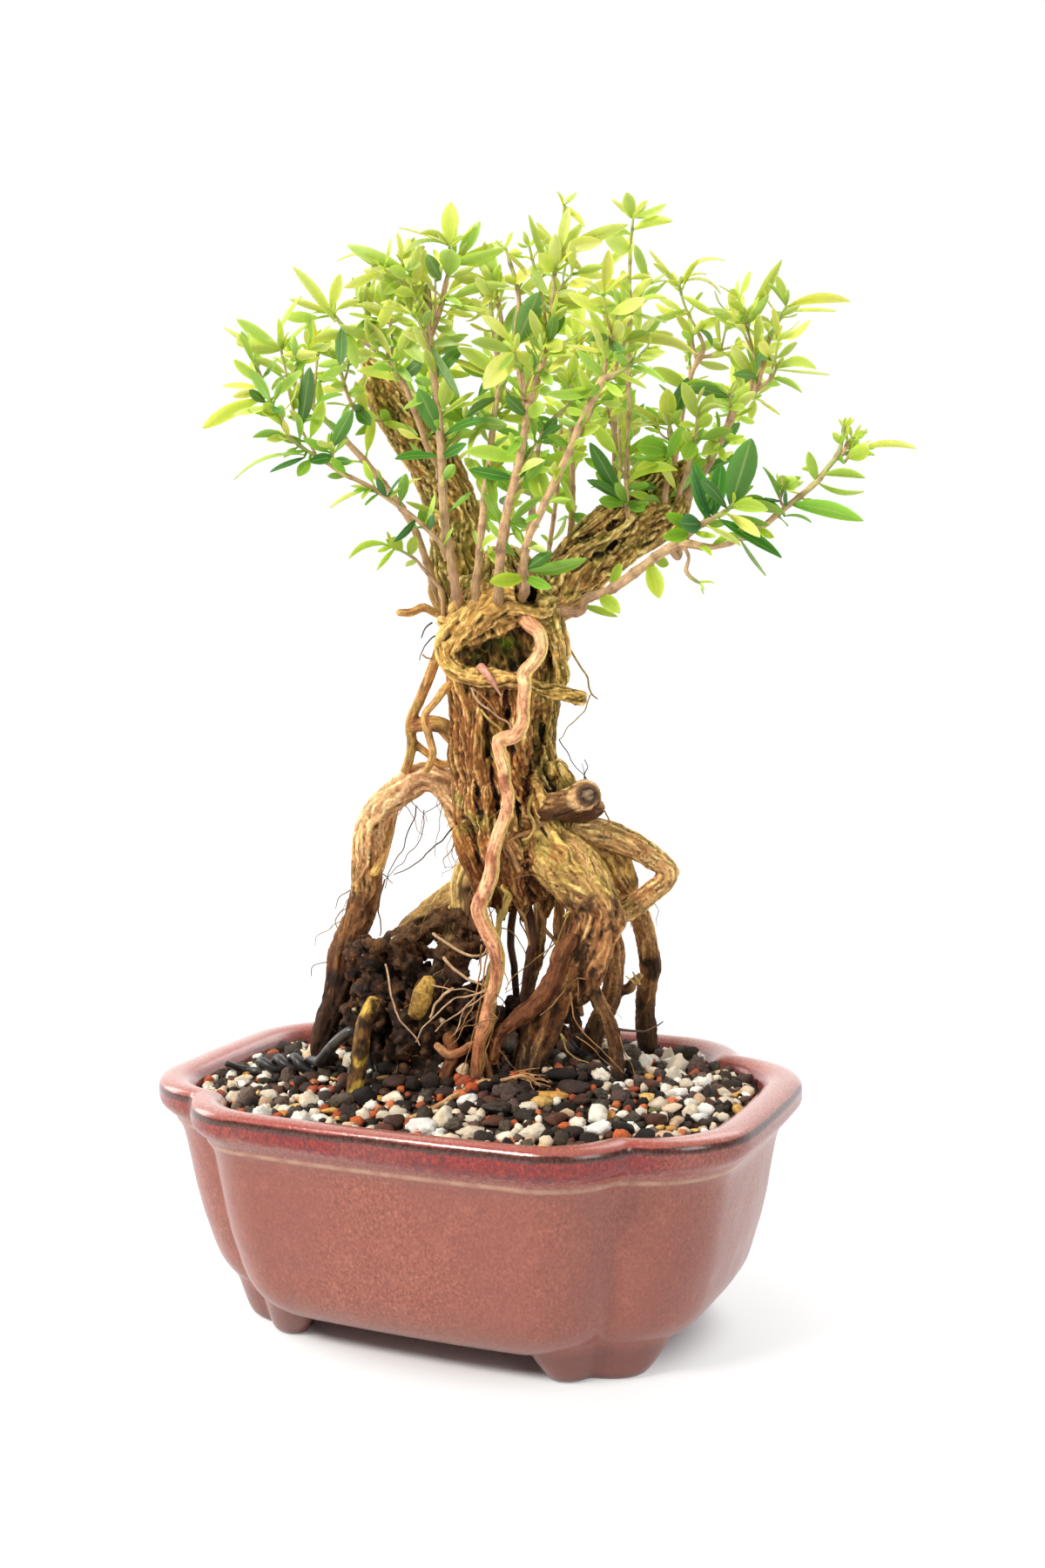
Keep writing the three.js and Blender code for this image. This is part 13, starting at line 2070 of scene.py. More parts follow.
def paint_root(v, near, hn, cav, n, kinds, fib):
    c = np.tile(np.array(srgb(198, 156, 108)), (len(v), 1))
    tone = fbm(v / 10.0, 3, 71)
    c = lerp(c, OLIVE, step(tone, 0.0, 0.45) * 0.5)
    c = lerp(c, REDDISH, step(fbm(v / 7.0, 3, 73), 0.0, 0.36) * 0.75)
    c = lerp(c, srgb(120, 76, 42), step(fbm(fib * [0.55, 0.55, 0.35], 3, 74), 0.06, 0.3) * 0.6)
    moss = step(fbm(v / 7.0, 3, 83) + 0.3 * n[:, 2], 0.16, 0.5) * step(v[:, 2], 118, 142)
    c = lerp(c, MOSS, moss * 0.55)
    # crests painted straw and pale, as painted highlight; furrows and crevices painted near black, as painted shade
    c = lerp(c, STRAW, step(hn, 0.08, 0.7) * 0.6)
    c = lerp(c, PALE_HIGHLIGHT, step(hn, 0.5, 1.1) * 0.5)
    c = lerp(c, SHADE_DARK, step(hn, -0.1, -0.8) * 0.86)
    c = lerp(c, SHADE_DARK, step(cav, -0.05, -0.26) * 0.75)
    c = lerp(c, PALE_HIGHLIGHT, step(cav, 0.07, 0.26) * 0.5)
    # soil stains the feet of the roots, and each fades at its own height
    z = v[:, 2] + fbm(v / 7.0, 3, 77) * 13 - 16 * step(v[:, 0], -8, -24)
    wet = step(z, 140, 100)
    c = lerp(c, srgb(112, 64, 36), wet * 0.66)
    c = lerp(c, PEATY, step(z, 110, 82) * 0.72)
    blot = step(fbm(v / 4.5, 3, 79), 0.14, 0.42) * step(v[:, 2], 156, 108)
    c = lerp(c, PEATY, blot * 0.8)
    return c


def paint_arch(v, near, hn, cav, n, kinds, fib):
    """The arching left root: smoother and paler on its back, with painted highlight on the crests there, brown at its
    foot.
    """
    c = paint_root(v, near, hn, cav, n, kinds, fib)
    back = step(v[:, 2] + fbm(v / 6.0, 2, 86) * 8, 138, 168)
    c = lerp(c, srgb(206, 162, 130), back * 0.5 * step(hn, -0.9, -0.1))
    # the crests on its upper part are paler still, as painted highlight
    c = lerp(c, srgb(232, 202, 172), back * 0.5 * step(hn, 0.1, 0.8))
    return lerp(c, c * np.array([0.66, 0.54, 0.46]), step(v[:, 2] + fbm(v / 6.0, 2, 84) * 10, 150, 132) * 0.8)


def paint_buried(v, near, hn, cav, n, kinds, fib):
    """Roots that the dark clump clings to."""
    c = paint_root(v, near, hn, cav, n, kinds, fib)
    shade = step(n @ ACROSS - 0.5 * n[:, 2], -0.75, 0.1)
    z = v[:, 2] + fbm(v / 5.0, 3, 87) * 12
    # yellower on the sides that face left and up, as painted light; browner and patched near black on the sides that
    # face right and down, as painted shade
    c = lerp(c, srgb(168, 146, 88), (1 - shade) * 0.5)
    c = lerp(c, srgb(86, 54, 28), shade * step(z, 166, 140) * 0.8)
    c = lerp(c, SHADE_DARK, shade * step(fbm(v / 2.4, 3, 90), 0.02, 0.3) * 0.75)
    return lerp(c, srgb(36, 25, 18), step(z - 10 * (1 - shade), 124, 104) * 0.85)


def paint_thick(v, near, hn, cav, n, kinds, fib):
    """The stout right root: yellow-green ridges on top, broken red-brown bark with dark scabs lower down."""
    c = paint_root(v, near, hn, cav, n, kinds, fib)
    up = step(v[:, 2] + fbm(v / 5.0, 2, 85) * 6, 136, 143)
    c = lerp(c, srgb(188, 176, 84), up * 0.5 * step(hn, -0.2, 0.5))
    mid = step(v[:, 2] + fbm(v / 5.0, 3, 88) * 9, 142, 132) * step(v[:, 2], 88, 100)
    c = lerp(c, srgb(164, 106, 64), mid * 0.5 * step(hn, -0.5, 0.2))
    scab = step(fbm(v / [3.0, 3.0, 6.0], 3, 89), 0.02, 0.22) * mid
    c = lerp(c, srgb(46, 27, 16), scab * 0.85)
    # pale on the bulges, as painted highlight
    return lerp(c, srgb(204, 172, 120), step(cav, 0.1, 0.35) * 0.4)


def paint_stub(v, near, hn, cav, n, kinds, fib):
    """The sawn stub: rough brown, darker on its underside as painted shade, a dark cut face with a pale rim."""
    c = paint_root(v, near, hn, cav, n, kinds, fib)
    # brown all over, darker on the faces that look down, and near black in crevices: painted shade
    c = lerp(c, srgb(92, 60, 30), 0.64 + 0.35 * step(n[:, 2], 0.3, -0.4))
    c = lerp(c, SHADE_DARK, step(cav, -0.05, -0.28) * 0.7)
    end, face = np.array(EXTRA_STUB[0][1][-1][:3]), unit(np.array(EXTRA_STUB[0][1][-1][:3]) - np.array(EXTRA_STUB[0][1][-2][:3]))
    d = v - end
    off = np.linalg.norm(d - (d @ face)[:, None] * face, axis=1) + 0.5 * noise(v / 1.8, 81)
    cut = step(n @ face, 0.3, 0.7) * step(d @ face, -1.6, -0.6) * step(off, 6.4, 5.6)
    disc = lerp(np.tile(np.array(srgb(196, 162, 122)), (len(v), 1)), srgb(112, 84, 64), step(off, 4.3, 3.5))
    disc = lerp(disc, srgb(142, 124, 104), step(off, 2.2, 1.4) * 0.8)
    disc = lerp(disc, srgb(50, 38, 32), step(np.abs(off - 2.2), 0.6, 0.2) * 0.8)
    return c * (1 - cut[:, None]) + disc * cut[:, None]


def paint_pink(v, near, hn, cav, n, kinds, fib):
    """The young aerial root: smooth, pinkish tan with dark corky flecks and a yellow-green flank that is painted light
    on the side facing right.
    """
    c = np.tile(np.array(srgb(204, 150, 120)), (len(v), 1))
    c = lerp(c, srgb(222, 184, 142), step(fbm(v / 6.0, 3, 91), -0.05, 0.4) * 0.8)
    c = lerp(c, srgb(150, 98, 70), step(ridge(fib * 0.9, 2, 93), 0.62, 0.2) * 0.45)
    blot = step(fbm(v / [2.4, 2.4, 4.6], 3, 97), 0.1, 0.4)
    c = lerp(c, srgb(150, 88, 62), blot * 0.75)
    c = lerp(c, srgb(84, 58, 46), step(noise(v / [1.0, 1.0, 1.8], 95), 0.55, 0.85) * 0.6)
    # the side that faces right is painted yellow-green, as light falling on it; pale crests and dark furrows are
    # painted highlight and shade
    c = lerp(c, srgb(212, 196, 116), step(n @ ACROSS, 0.35, 0.85) * 0.7)
    c = lerp(c, PALE_HIGHLIGHT, step(hn, 0.3, 1.0) * 0.4)
    c = lerp(c, SHADE_DARK, step(hn, -0.5, -1.2) * 0.45)
    for spot in LIME_SPOTS:
        c = lerp(c, srgb(176, 196, 40), np.exp(-(((v - spot) / [3.4, 6.0, 2.4]) ** 2).sum(1)) * 0.85)
    c = lerp(c, REDDISH, step(v[:, 2] + fbm(v / 6, 2, 98) * 8, 116, 92) * 0.6)
    return lerp(c, PEATY, step(v[:, 2] + fbm(v / 6, 2, 99) * 8, 94, 78) * 0.55)


def paint_thin(v, near, hn, cav, n, kinds, fib):
    """Older thin roots: brown, with yellow-green light on their ridges."""
    c = np.tile(np.array(srgb(152, 106, 68)), (len(v), 1))
    c = lerp(c, srgb(128, 108, 52), step(fbm(v / 8.0, 3, 111), -0.05, 0.35) * 0.75)
    c = lerp(c, srgb(96, 58, 36), step(fbm(v / 3.0, 3, 113), 0.1, 0.4) * 0.7)
    c = lerp(c, STRAW, step(hn, 0.1, 0.8) * 0.5)
    # near black in the furrows, as painted shade
    return lerp(c, SHADE_DARK, step(hn, -0.2, -0.9) * 0.7)


def paint_red(v, near, hn, cav, n, kinds, fib):
    """A wet red-brown root."""
    c = np.tile(np.array(srgb(108, 64, 38)), (len(v), 1))
    # lighter on the crests as painted highlight, near black in the furrows as painted shade
    c = lerp(c, srgb(146, 98, 60), step(hn, 0.0, 0.7) * 0.7)
    c = lerp(c, srgb(70, 36, 20), step(fbm(v / 3.0, 3, 117), 0.05, 0.4) * 0.7)
    return lerp(c, SHADE_DARK, step(hn, -0.1, -0.8) * 0.8)


def paint_yellow(v, near, hn, cav, n, kinds, fib):
    """Roots whose bark has gone, showing yellow-green wood under dark rags."""
    c = np.tile(np.array(srgb(178, 148, 66)), (len(v), 1))
    rag = step(fbm(v / 4.0, 3, 101), -0.16, 0.1)
    c = lerp(c, srgb(96, 64, 34), rag * 0.9)
    c = lerp(c, PEATY, step(fbm(v / 3.0, 3, 103), 0.05, 0.32) * 0.85)
    # near black in the furrows, as painted shade
    return lerp(c, SHADE_DARK, step(hn, -0.1, -0.8) * 0.7)


def push_trunk(v):
    """Sinks the mossy hollow, the gap (painted near black as shade) and the clefts into the front of the trunk."""
    p = np.stack([v @ ACROSS, v[:, 2]], 1)
    out = v @ FRONT
    inn = outline(p, HOLLOW_EDGE)
    bed = 13.2 + 2.4 * fbm(v / 3.2, 3, 55) + 1.2 * noise(v / 1.7, 56)
    k = step(inn, -0.5, 1.1) * (out > 2)
    v = v - FRONT * (np.maximum(out - bed, 0) * k)[:, None]
    k = step(outline(p, GAP_EDGE), -0.3, 0.9) * (out > -4)
    v = v - FRONT * (np.maximum(v @ FRONT - 2.5, 0) * k)[:, None]
    for x0, z0, x1, z1, w, deep in CLEFTS:
        a, b_ = np.array([x0, z0]), np.array([x1, z1])
        f = np.clip(((p - a) @ (b_ - a)) / ((b_ - a) ** 2).sum(), 0, 1)
        q = np.linalg.norm(p - a - f[:, None] * (b_ - a), axis=1) + 0.8 * noise(v / 3.0, 57)
        k = deep * step(q, w, w * 0.2) * np.sin(np.pi * np.clip(f, 0.05, 0.95)) ** 0.6 * (out > 3)
        v = v - FRONT * k[:, None]
    return v


# along the front and height of the two ends, half width, depth
CLEFTS = [(24.0, 200, 23.0, 176, 2.3, 5.0), (21.5, 184, 18.5, 166, 1.8, 4.6), (13.5, 203, 15.0, 178, 1.1, 2.6), (6.5, 200, 9.5, 170, 1.3, 3.0), (28.5, 198, 29.0, 170, 1.3, 2.8), (16.0, 170, 19.0, 148, 2.0, 4.0), (10.0, 172, 12.0, 150, 1.5, 3.2), (3.5, 176, 5.5, 156, 1.2, 2.6), (25.0, 166, 24.0, 148, 1.8, 3.4)]


def push_branch(v):
    """Splits the right branch lengthwise with dark clefts."""
    p = np.stack([v @ ACROSS, v[:, 2]], 1)
    out = v @ FRONT
    for x0, z0, x1, z1, w, deep in ((30, 243, 60, 259, 0.8, 1.5), (36, 241, 66, 254, 0.8, 1.6), (28, 236, 52, 247, 0.8, 1.5), (44, 254, 62, 263, 0.7, 1.4), (24, 240, 50, 256, 0.7, 1.4)):
        a, b_ = np.array([x0, z0]), np.array([x1, z1])
        f = np.clip(((p - a) @ (b_ - a)) / ((b_ - a) ** 2).sum(), 0, 1)
        q = np.linalg.norm(p - a - f[:, None] * (b_ - a), axis=1) + 1.1 * noise(v / 3.6, 58)
        k = deep * step(q, w, w * 0.2) * np.sin(np.pi * np.clip(f, 0.05, 0.95)) ** 0.6
        v = v - FRONT * k[:, None]
    return v


# ---------------------------------------------------------------- shoots
UPPER, VIEW = np.array([0, 0, 1.0]), np.array([0.4234, -0.8999, 0.1052])
# per tone: near the base, near the tip
TONES = [
    (srgb(234, 240, 118), srgb(248, 250, 168)),
    (srgb(194, 224, 66), srgb(220, 238, 104)),
    (srgb(138, 194, 50), srgb(172, 216, 70)),
    (srgb(62, 140, 40), srgb(90, 164, 48)),
    (srgb(58, 130, 72), srgb(86, 158, 88)),
]
LEAF_F = np.array([0.03, 0.10, 0.22, 0.36, 0.50, 0.64, 0.78, 0.90, 0.97])


def leaf_profile(f):
    w = f ** 0.88 * (1 - f) ** 0.78
    return w / 0.3171


def add_leaf(b, L, rng, thick=0.24):
    """One blade as a thin closed shell, keeled along its midrib, with its petiole."""
    A, B, T = np.array(L[1:4]), np.array(L[4:7]), np.array(L[7:10])
    w, roll, tone, bow = L[10] / 2 * 0.98, math.radians(L[11]), int(L[12]), L[13]
    ax = T - B
    ln = np.linalg.norm(ax)
    ax = ax / ln
    nrm = VIEW - ax * VIEW.dot(ax)
    if np.linalg.norm(nrm) < 0.05:
        nrm = UPPER - ax * ax[2]
    nrm = nrm / np.linalg.norm(nrm)
    c, s = math.cos(roll), math.sin(roll)
    nrm = nrm * c + np.cross(ax, nrm) * s
    side = np.cross(ax, nrm)
    up = UPPER - ax * ax[2]
    # the upper face is the one that looks up
    if nrm[2] < -0.15:
        face = -1
    else:
        face = 1
    fold = rng.uniform(0.10, 0.34)
    curl = rng.normal(0, 0.05) * ln
    twist = rng.normal(0, 0.22)
    wave = rng.uniform(0, 6.28)
    ripple = rng.uniform(0.0, 0.05)
    f = LEAF_F
    hw = w * leaf_profile(f)
    mid = B + ax * (ln * f)[:, None] + up * (bow * 4 * f * (1 - f))[:, None] + nrm * (face * curl * 4 * f * (1 - f))[:, None]
    rows = []
    vs = [-1, -0.55, 0, 0.55, 1]
    luv, shade = [], []
    for i, fi in enumerate(f):
        tw = twist * (fi - 0.5)
        sd = side * math.cos(tw) + nrm * math.sin(tw)
        nn = (nrm * math.cos(tw) - side * math.sin(tw)) * face
        for v in vs:
            lift = fold * abs(v) ** 1.4 * hw[i] + ripple * hw[i] * math.sin(9 * fi + wave + 1.3 * v) * abs(v)
            rows.append(mid[i] + sd * (v * hw[i]) + nn * lift)
            luv.append((fi, v, 1.0))
        for v in (0.55, 0, -0.55):
            lift = fold * abs(v) ** 1.4 * hw[i] + ripple * hw[i] * math.sin(9 * fi + wave + 1.3 * v) * abs(v)
            rows.append(mid[i] + sd * (v * hw[i]) + nn * (lift - thick * (1.25 if v == 0 else 0.9)))
            luv.append((fi, v, -1.0))
    base, tip = B - ax * 0.1, T
    n = len(rows)
    rows += [base - nrm * face * thick * 0.5, tip]
    luv += [(0, 0, 0), (1, 0, 0)]
    faces = []
    m = 8
    for i in range(len(f) - 1):
        for k in range(m):
            a, c2 = i * m + k, i * m + (k + 1) % m
            faces.append((a, c2, c2 + m, a + m))
    for k in range(m):
        faces.append((n, (k + 1) % m, k))
        o = (len(f) - 1) * m
        faces.append((n + 1, o + k, o + (k + 1) % m))
    if face * np.dot(np.cross(side, ax), nrm) > 0:
        pass
    v = np.array(rows)
    # outward faces: the first face of the top side should look along nn
    a, b_, c_ = v[faces[0][0]], v[faces[0][1]], v[faces[0][2]]
    if np.dot(np.cross(b_ - a, c_ - a), nrm * face) < 0:
        faces = [g[::-1] for g in faces]
    luv = np.array(luv)
    c0, c1 = (np.array(x) for x in TONES[tone])
    # the top of the tree is younger and more yellow
    lime = float(step(np.array([B[2]]), 262, 326)[0]) * (0.6 if tone < 3 else 0.2)
    c0, c1 = c0 * (1 - lime) + np.array(TONES[0][0]) * lime, c1 * (1 - lime) + np.array(TONES[0][1]) * lime
    vary = rng.uniform(0.86, 1.16)
    warm = rng.normal(0, 0.06)
    tint = np.array([1 + warm, 1.0, 1 - warm])
    k = luv[:, 0:1] ** 1.2
    col = (c0 * (1 - k) + c1 * k) * vary * tint
    edge = np.abs(luv[:, 1:2])
    col = col * (1 - 0.10 * (1 - edge)) + np.array(TONES[0][1]) * 0.10 * edge ** 3
    under = luv[:, 2:3] < 0
    col = np.where(under, col * 0.82 + np.array(srgb(190, 210, 140)) * 0.16, col)
    b.add(v, faces, 0, col=np.clip(col, 0.003, 0.95), luv=luv)
    far = np.linalg.norm(B - A)
    if far > 0.5:
        p = np.array([[*A, 0.42], [*(A * 0.5 + B * 0.5 + UPPER * 0.03 * far), 0.36], [*(B + ax * 0.3), 0.34]])
        v, g, _, _ = tube(smooth_path(p, 1.4), 5)
        b.add(v, g, 0, col=np.array(TONES[min(tone, 2)][0]) * 1.02, luv=(0.1, 0.5, 1.0))


def stem_colour(r, z, tip, rng_v):
    """Pinkish tan while woody, green at the soft end."""
    woody = np.array(srgb(204, 166, 120)) * rng_v
    soft = np.array(srgb(168, 178, 92))
    k = step(tip, 0.62, 0.95) * step(r, 1.25, 0.7)
    return lerp(np.tile(woody, (len(r), 1)), soft, k)


def add_stem(b, q, rng, mat=1):
    p = smooth_path(q, 1.1)
    p[:, 3] *= 0.70
    s = np.concatenate([[0], np.cumsum(np.linalg.norm(np.diff(p[:, :3], axis=0), axis=1))])
    total = s[-1]
    nodes = np.arange(rng.uniform(3, 7), total, rng.uniform(6.5, 9.5))
    swell = np.zeros(len(s))
    for x in nodes:
        swell += 0.22 * np.exp(-((s - x) / 0.9) ** 2)
    p[:, 3] *= 1 + swell
    seed = int(rng.integers(1000))
    sides = 9 if p[:, 3].max() > 1.2 else 7
    v, f, along, ang = tube(p, sides, "round", lambda a, t, r: 1 + 0.13 * fbm(np.stack([np.cos(t) + seed, np.sin(t), a / 4.0], 1), 2, seed))
    r = np.interp(along, s, p[:, 3])
    tip = along / max(total, 1e-6)
    col = stem_colour(r, v[:, 2], tip, rng.uniform(0.86, 1.12))
    near = np.zeros(len(along))
    for x in nodes:
        near += np.exp(-((along - x) / 0.8) ** 2)
    col = lerp(col, srgb(120, 82, 56), np.clip(near, 0, 1) * 0.55)
    old = step(along, 30, 4) * step(r, 0.8, 1.4)
    col = lerp(col, srgb(142, 108, 62), old * 0.6)
    pink = step(fbm(v / 9.0, 2, seed + 2), -0.1, 0.35)
    col = lerp(col, srgb(206, 150, 124), pink * 0.35 * (1 - tip))
    peel = step(fbm(v / [1.6, 1.6, 4.0], 3, seed + 4), 0.05, 0.3)
    col = lerp(col, srgb(112, 82, 54), peel * 0.45 * (1 - tip))
    b.add(v, f, mat, col=col, fib=np.stack([np.cos(ang) * 1.4, np.sin(ang) * 1.4, along / 7.0], 1))
    return p, nodes, s


def make_shoot(name, mats, rng):
    b = Build()
    groups = [q for g, k, q in TUBES if g == name]
    for q in groups:
        p, nodes, s = add_stem(b, q, rng)
        end = p[-1]
        # a tuft of small leaves closes the soft ends
        if end[3] < 0.95:
            t = unit(p[-1, :3] - p[-3, :3])
            spin = rng.uniform(0, 6.28)
            for k in range(4):
                a = spin + k * math.pi / 2 + rng.normal(0, 0.25)
                u = unit(np.cross(t, [0.3, 0.2, 1.0]))
                w = np.cross(t, u)
                d = unit(t * rng.uniform(0.6, 1.6) + (u * math.cos(a) + w * math.sin(a)) * 1.0)
                ln = rng.uniform(3.2, 6.5)
                B = end[:3] + t * rng.uniform(-0.8, 0.3)
                add_leaf(b, [name, *B, *(B + d * 0.3), *(B + d * ln), ln * rng.uniform(0.26, 0.38), rng.uniform(-60, 60), rng.choice([0, 0, 1, 1]), rng.normal(0, 0.3)], rng, 0.18)
        # short side twigs with their own pairs
        for i, x in enumerate(nodes):
            j = int(np.searchsorted(s, x))
            if j < 3 or j >= len(p) - 1 or p[j, 2] < 262 or rng.uniform() > 0.10 + 0.24 * (p[j, 2] > 288):
                continue
            t = unit(p[j + 1, :3] - p[j - 1, :3])
            u = unit(np.cross(t, [0.3, 0.2, 1.0]))
            a = rng.uniform(0, 2 * math.pi)
            side = u * math.cos(a) + np.cross(t, u) * math.sin(a)
            d = unit(side + t * rng.uniform(0.5, 1.4) + UPPER * 0.4)
            ln = rng.uniform(4, 13)
            r = min(0.62, p[j, 3] * 0.7)
            q2 = np.array([[*p[j, :3], r], [*(p[j, :3] + d * ln * 0.5 + rng.normal(0, 0.5, 3)), r * 0.9], [*(p[j, :3] + d * ln + UPPER * 0.12 * ln), r * 0.7]])
            if (q2[-1, :3] + SHIFT + 11 > BOX_HIGH).any() or (q2[-1, :3] + SHIFT - 11 < BOX_LOW).any():
                continue
            v2, f2, al, an = tube(smooth_path(q2, 1.3), 6)
            b.add(v2, f2, 1, col=lerp(np.tile(np.array(srgb(176, 148, 96)), (len(v2), 1)), srgb(176, 190, 88), step(al, 1, ln)), fib=np.stack([np.cos(an), np.sin(an), al / 6], 1))
            spin = rng.uniform(0, 3)
            for pair, g in enumerate((0.5, 0.95)):
                at = q2[0, :3] + (q2[2, :3] - q2[0, :3]) * g
                uu = unit(np.cross(d, [0.2, 0.4, 1.0]))
                for k in range(2 if g < 0.9 else 4):
                    an2 = spin + pair * math.pi / 2 + k * (math.pi if g < 0.9 else math.pi / 2)
                    dd = unit(d * rng.uniform(0.4, 1.3) + uu * math.cos(an2) + np.cross(d, uu) * math.sin(an2))
                    size = rng.uniform(5.5, 12.5)
                    A = at + dd * r
                    tone = rng.choice([0, 1, 1, 2, 2, 3]) if at[2] < 295 else rng.choice([0, 0, 1, 1, 2])
                    add_leaf(b, [name, *A, *(A + dd * 0.9), *(A + dd * (0.9 + size)), size * rng.uniform(0.26, 0.36), rng.uniform(-75, 75), tone, rng.normal(0, 0.4)], rng, 0.2)
        # small leaves in crossed pairs at the joints
        turn0 = rng.uniform(0, math.pi)
        for i, x in enumerate(nodes):
            j = int(np.searchsorted(s, x))
            if j < 2 or j >= len(p) - 1:
                continue
            at, r = p[j, :3], p[j, 3]
            if rng.uniform() > float(step(np.array([at[2]]), 236, 272)[0]) * 0.9 or r > 1.7:
                continue
            t = unit(p[j + 1, :3] - p[j - 1, :3])
            u = unit(np.cross(t, [0.3, 0.2, 1.0]))
            w = np.cross(t, u)
            a = turn0 + i * math.pi / 2 + rng.normal(0, 0.3)
            for k in (0, 1):
                if rng.uniform() < 0.2:
                    continue
                side = u * math.cos(a + k * math.pi) + w * math.sin(a + k * math.pi)
                d = unit(t * rng.uniform(0.3, 1.2) + side + UPPER * rng.uniform(-0.1, 0.3))
                ln = rng.uniform(4.0, 12.5)
                A = at + side * r * 0.7
                B = A + d * rng.uniform(0.8, 1.8)
                T = B + d * ln
                lo, hi = T + SHIFT - 2, T + SHIFT + 2
                if (lo < BOX_LOW).any() or (hi > BOX_HIGH).any():
                    continue
                tone = rng.choice([0, 1, 1, 1, 2, 2]) if at[2] < 300 else rng.choice([0, 0, 0, 1, 1])
                add_leaf(b, [name, *A, *B, *T, ln * rng.uniform(0.24, 0.36), rng.uniform(-70, 70), tone, rng.normal(0, 0.4)], rng, 0.2)
    for L in LEAVES:
        if L[0] == name:
            add_leaf(b, L, rng)
    ob = b.finish(name + "_leafy", mats, "foliage", [name], sharp=65)
    return ob


# ---------------------------------------------------------------- small things
def hair(b, pts, r0, r1, rng, col, sides=5, wob=0.35, mat=0):
    q = np.array([[*p[:3], r0 + (r1 - r0) * i / max(1, len(pts) - 1)] for i, p in enumerate(pts)], float)
    p = smooth_path(q, 1.0)
    n = len(p)
    off = rng.uniform(0, 99)
    for k in range(3):
        p[:, k] += wob * noise(np.stack([np.arange(n) / 3.1 + off, np.full(n, k * 5.1), np.zeros(n)], 1), 3) * np.sin(np.pi * np.linspace(0, 1, n)) ** 0.5
    v, f, along, ang = tube(p, sides)
    c = np.array(col)[None] * (1 + 0.22 * noise(np.stack([along / 4 + off, along * 0, along * 0], 1), 5))[:, None]
    b.add(v, f, mat, col=c, fib=np.stack([np.cos(ang), np.sin(ang), along / 6], 1))


def make_hairs(mat):
    """The fine roots: those that can be made out one by one, and a thin fill of others."""
    rng = np.random.default_rng(11)
    b = Build()
    tints = {"t": srgb(178, 130, 82), "y": srgb(190, 160, 84), "d": srgb(84, 54, 34), "p": srgb(206, 168, 128), "k": srgb(206, 146, 126)}
    for pts, r0, r1, kind in HAIRS:
        hair(b, pts, r0, r1, rng, tints[kind])
    for pts, r0, r1, kind in HAIRS_MORE:
        hair(b, pts, r0, r1, rng, tints[kind], 8 if r0 > 0.8 else 6, 0.5 if r0 < 1.4 else 0.15)
    cl = centreline([q for g, k, q in TUBES if g in ("trunk", "right_thick_root", "left_arch_root", "left_mid_root", "centre_left_root", "elbow_root", "front_aerial_root")], 2.0)
    made = 0
    while made < 90:
        c = cl[rng.integers(len(cl))]
        if not 90 < c[2] < 178:
            continue
        a = rng.uniform(0, 2 * np.pi)
        out = c[7:10] * math.cos(a) + c[10:13] * math.sin(a)
        if out[2] > 0.5:
            continue
        p = c[:3] + out * c[3] * 0.85
        d = unit(out + [0, 0, -0.5])
        pts = [p]
        for _ in range(int(rng.integers(3, 7))):
            d = unit(d + rng.normal(0, 0.42, 3) + [0, 0, -0.35])
            p = p + d * rng.uniform(2.2, 4.6)
            pts.append(p)
        if min(q[2] for q in pts) < 76:
            continue
        r = rng.uniform(0.14, 0.3)
        hair(b, pts, r, r * 0.5, rng, srgb(*[(176, 132, 88), (150, 112, 70), (110, 76, 50)][rng.integers(3)]), 4)
        made += 1
    return b.finish("hair_roots", [mat], "root_bark")


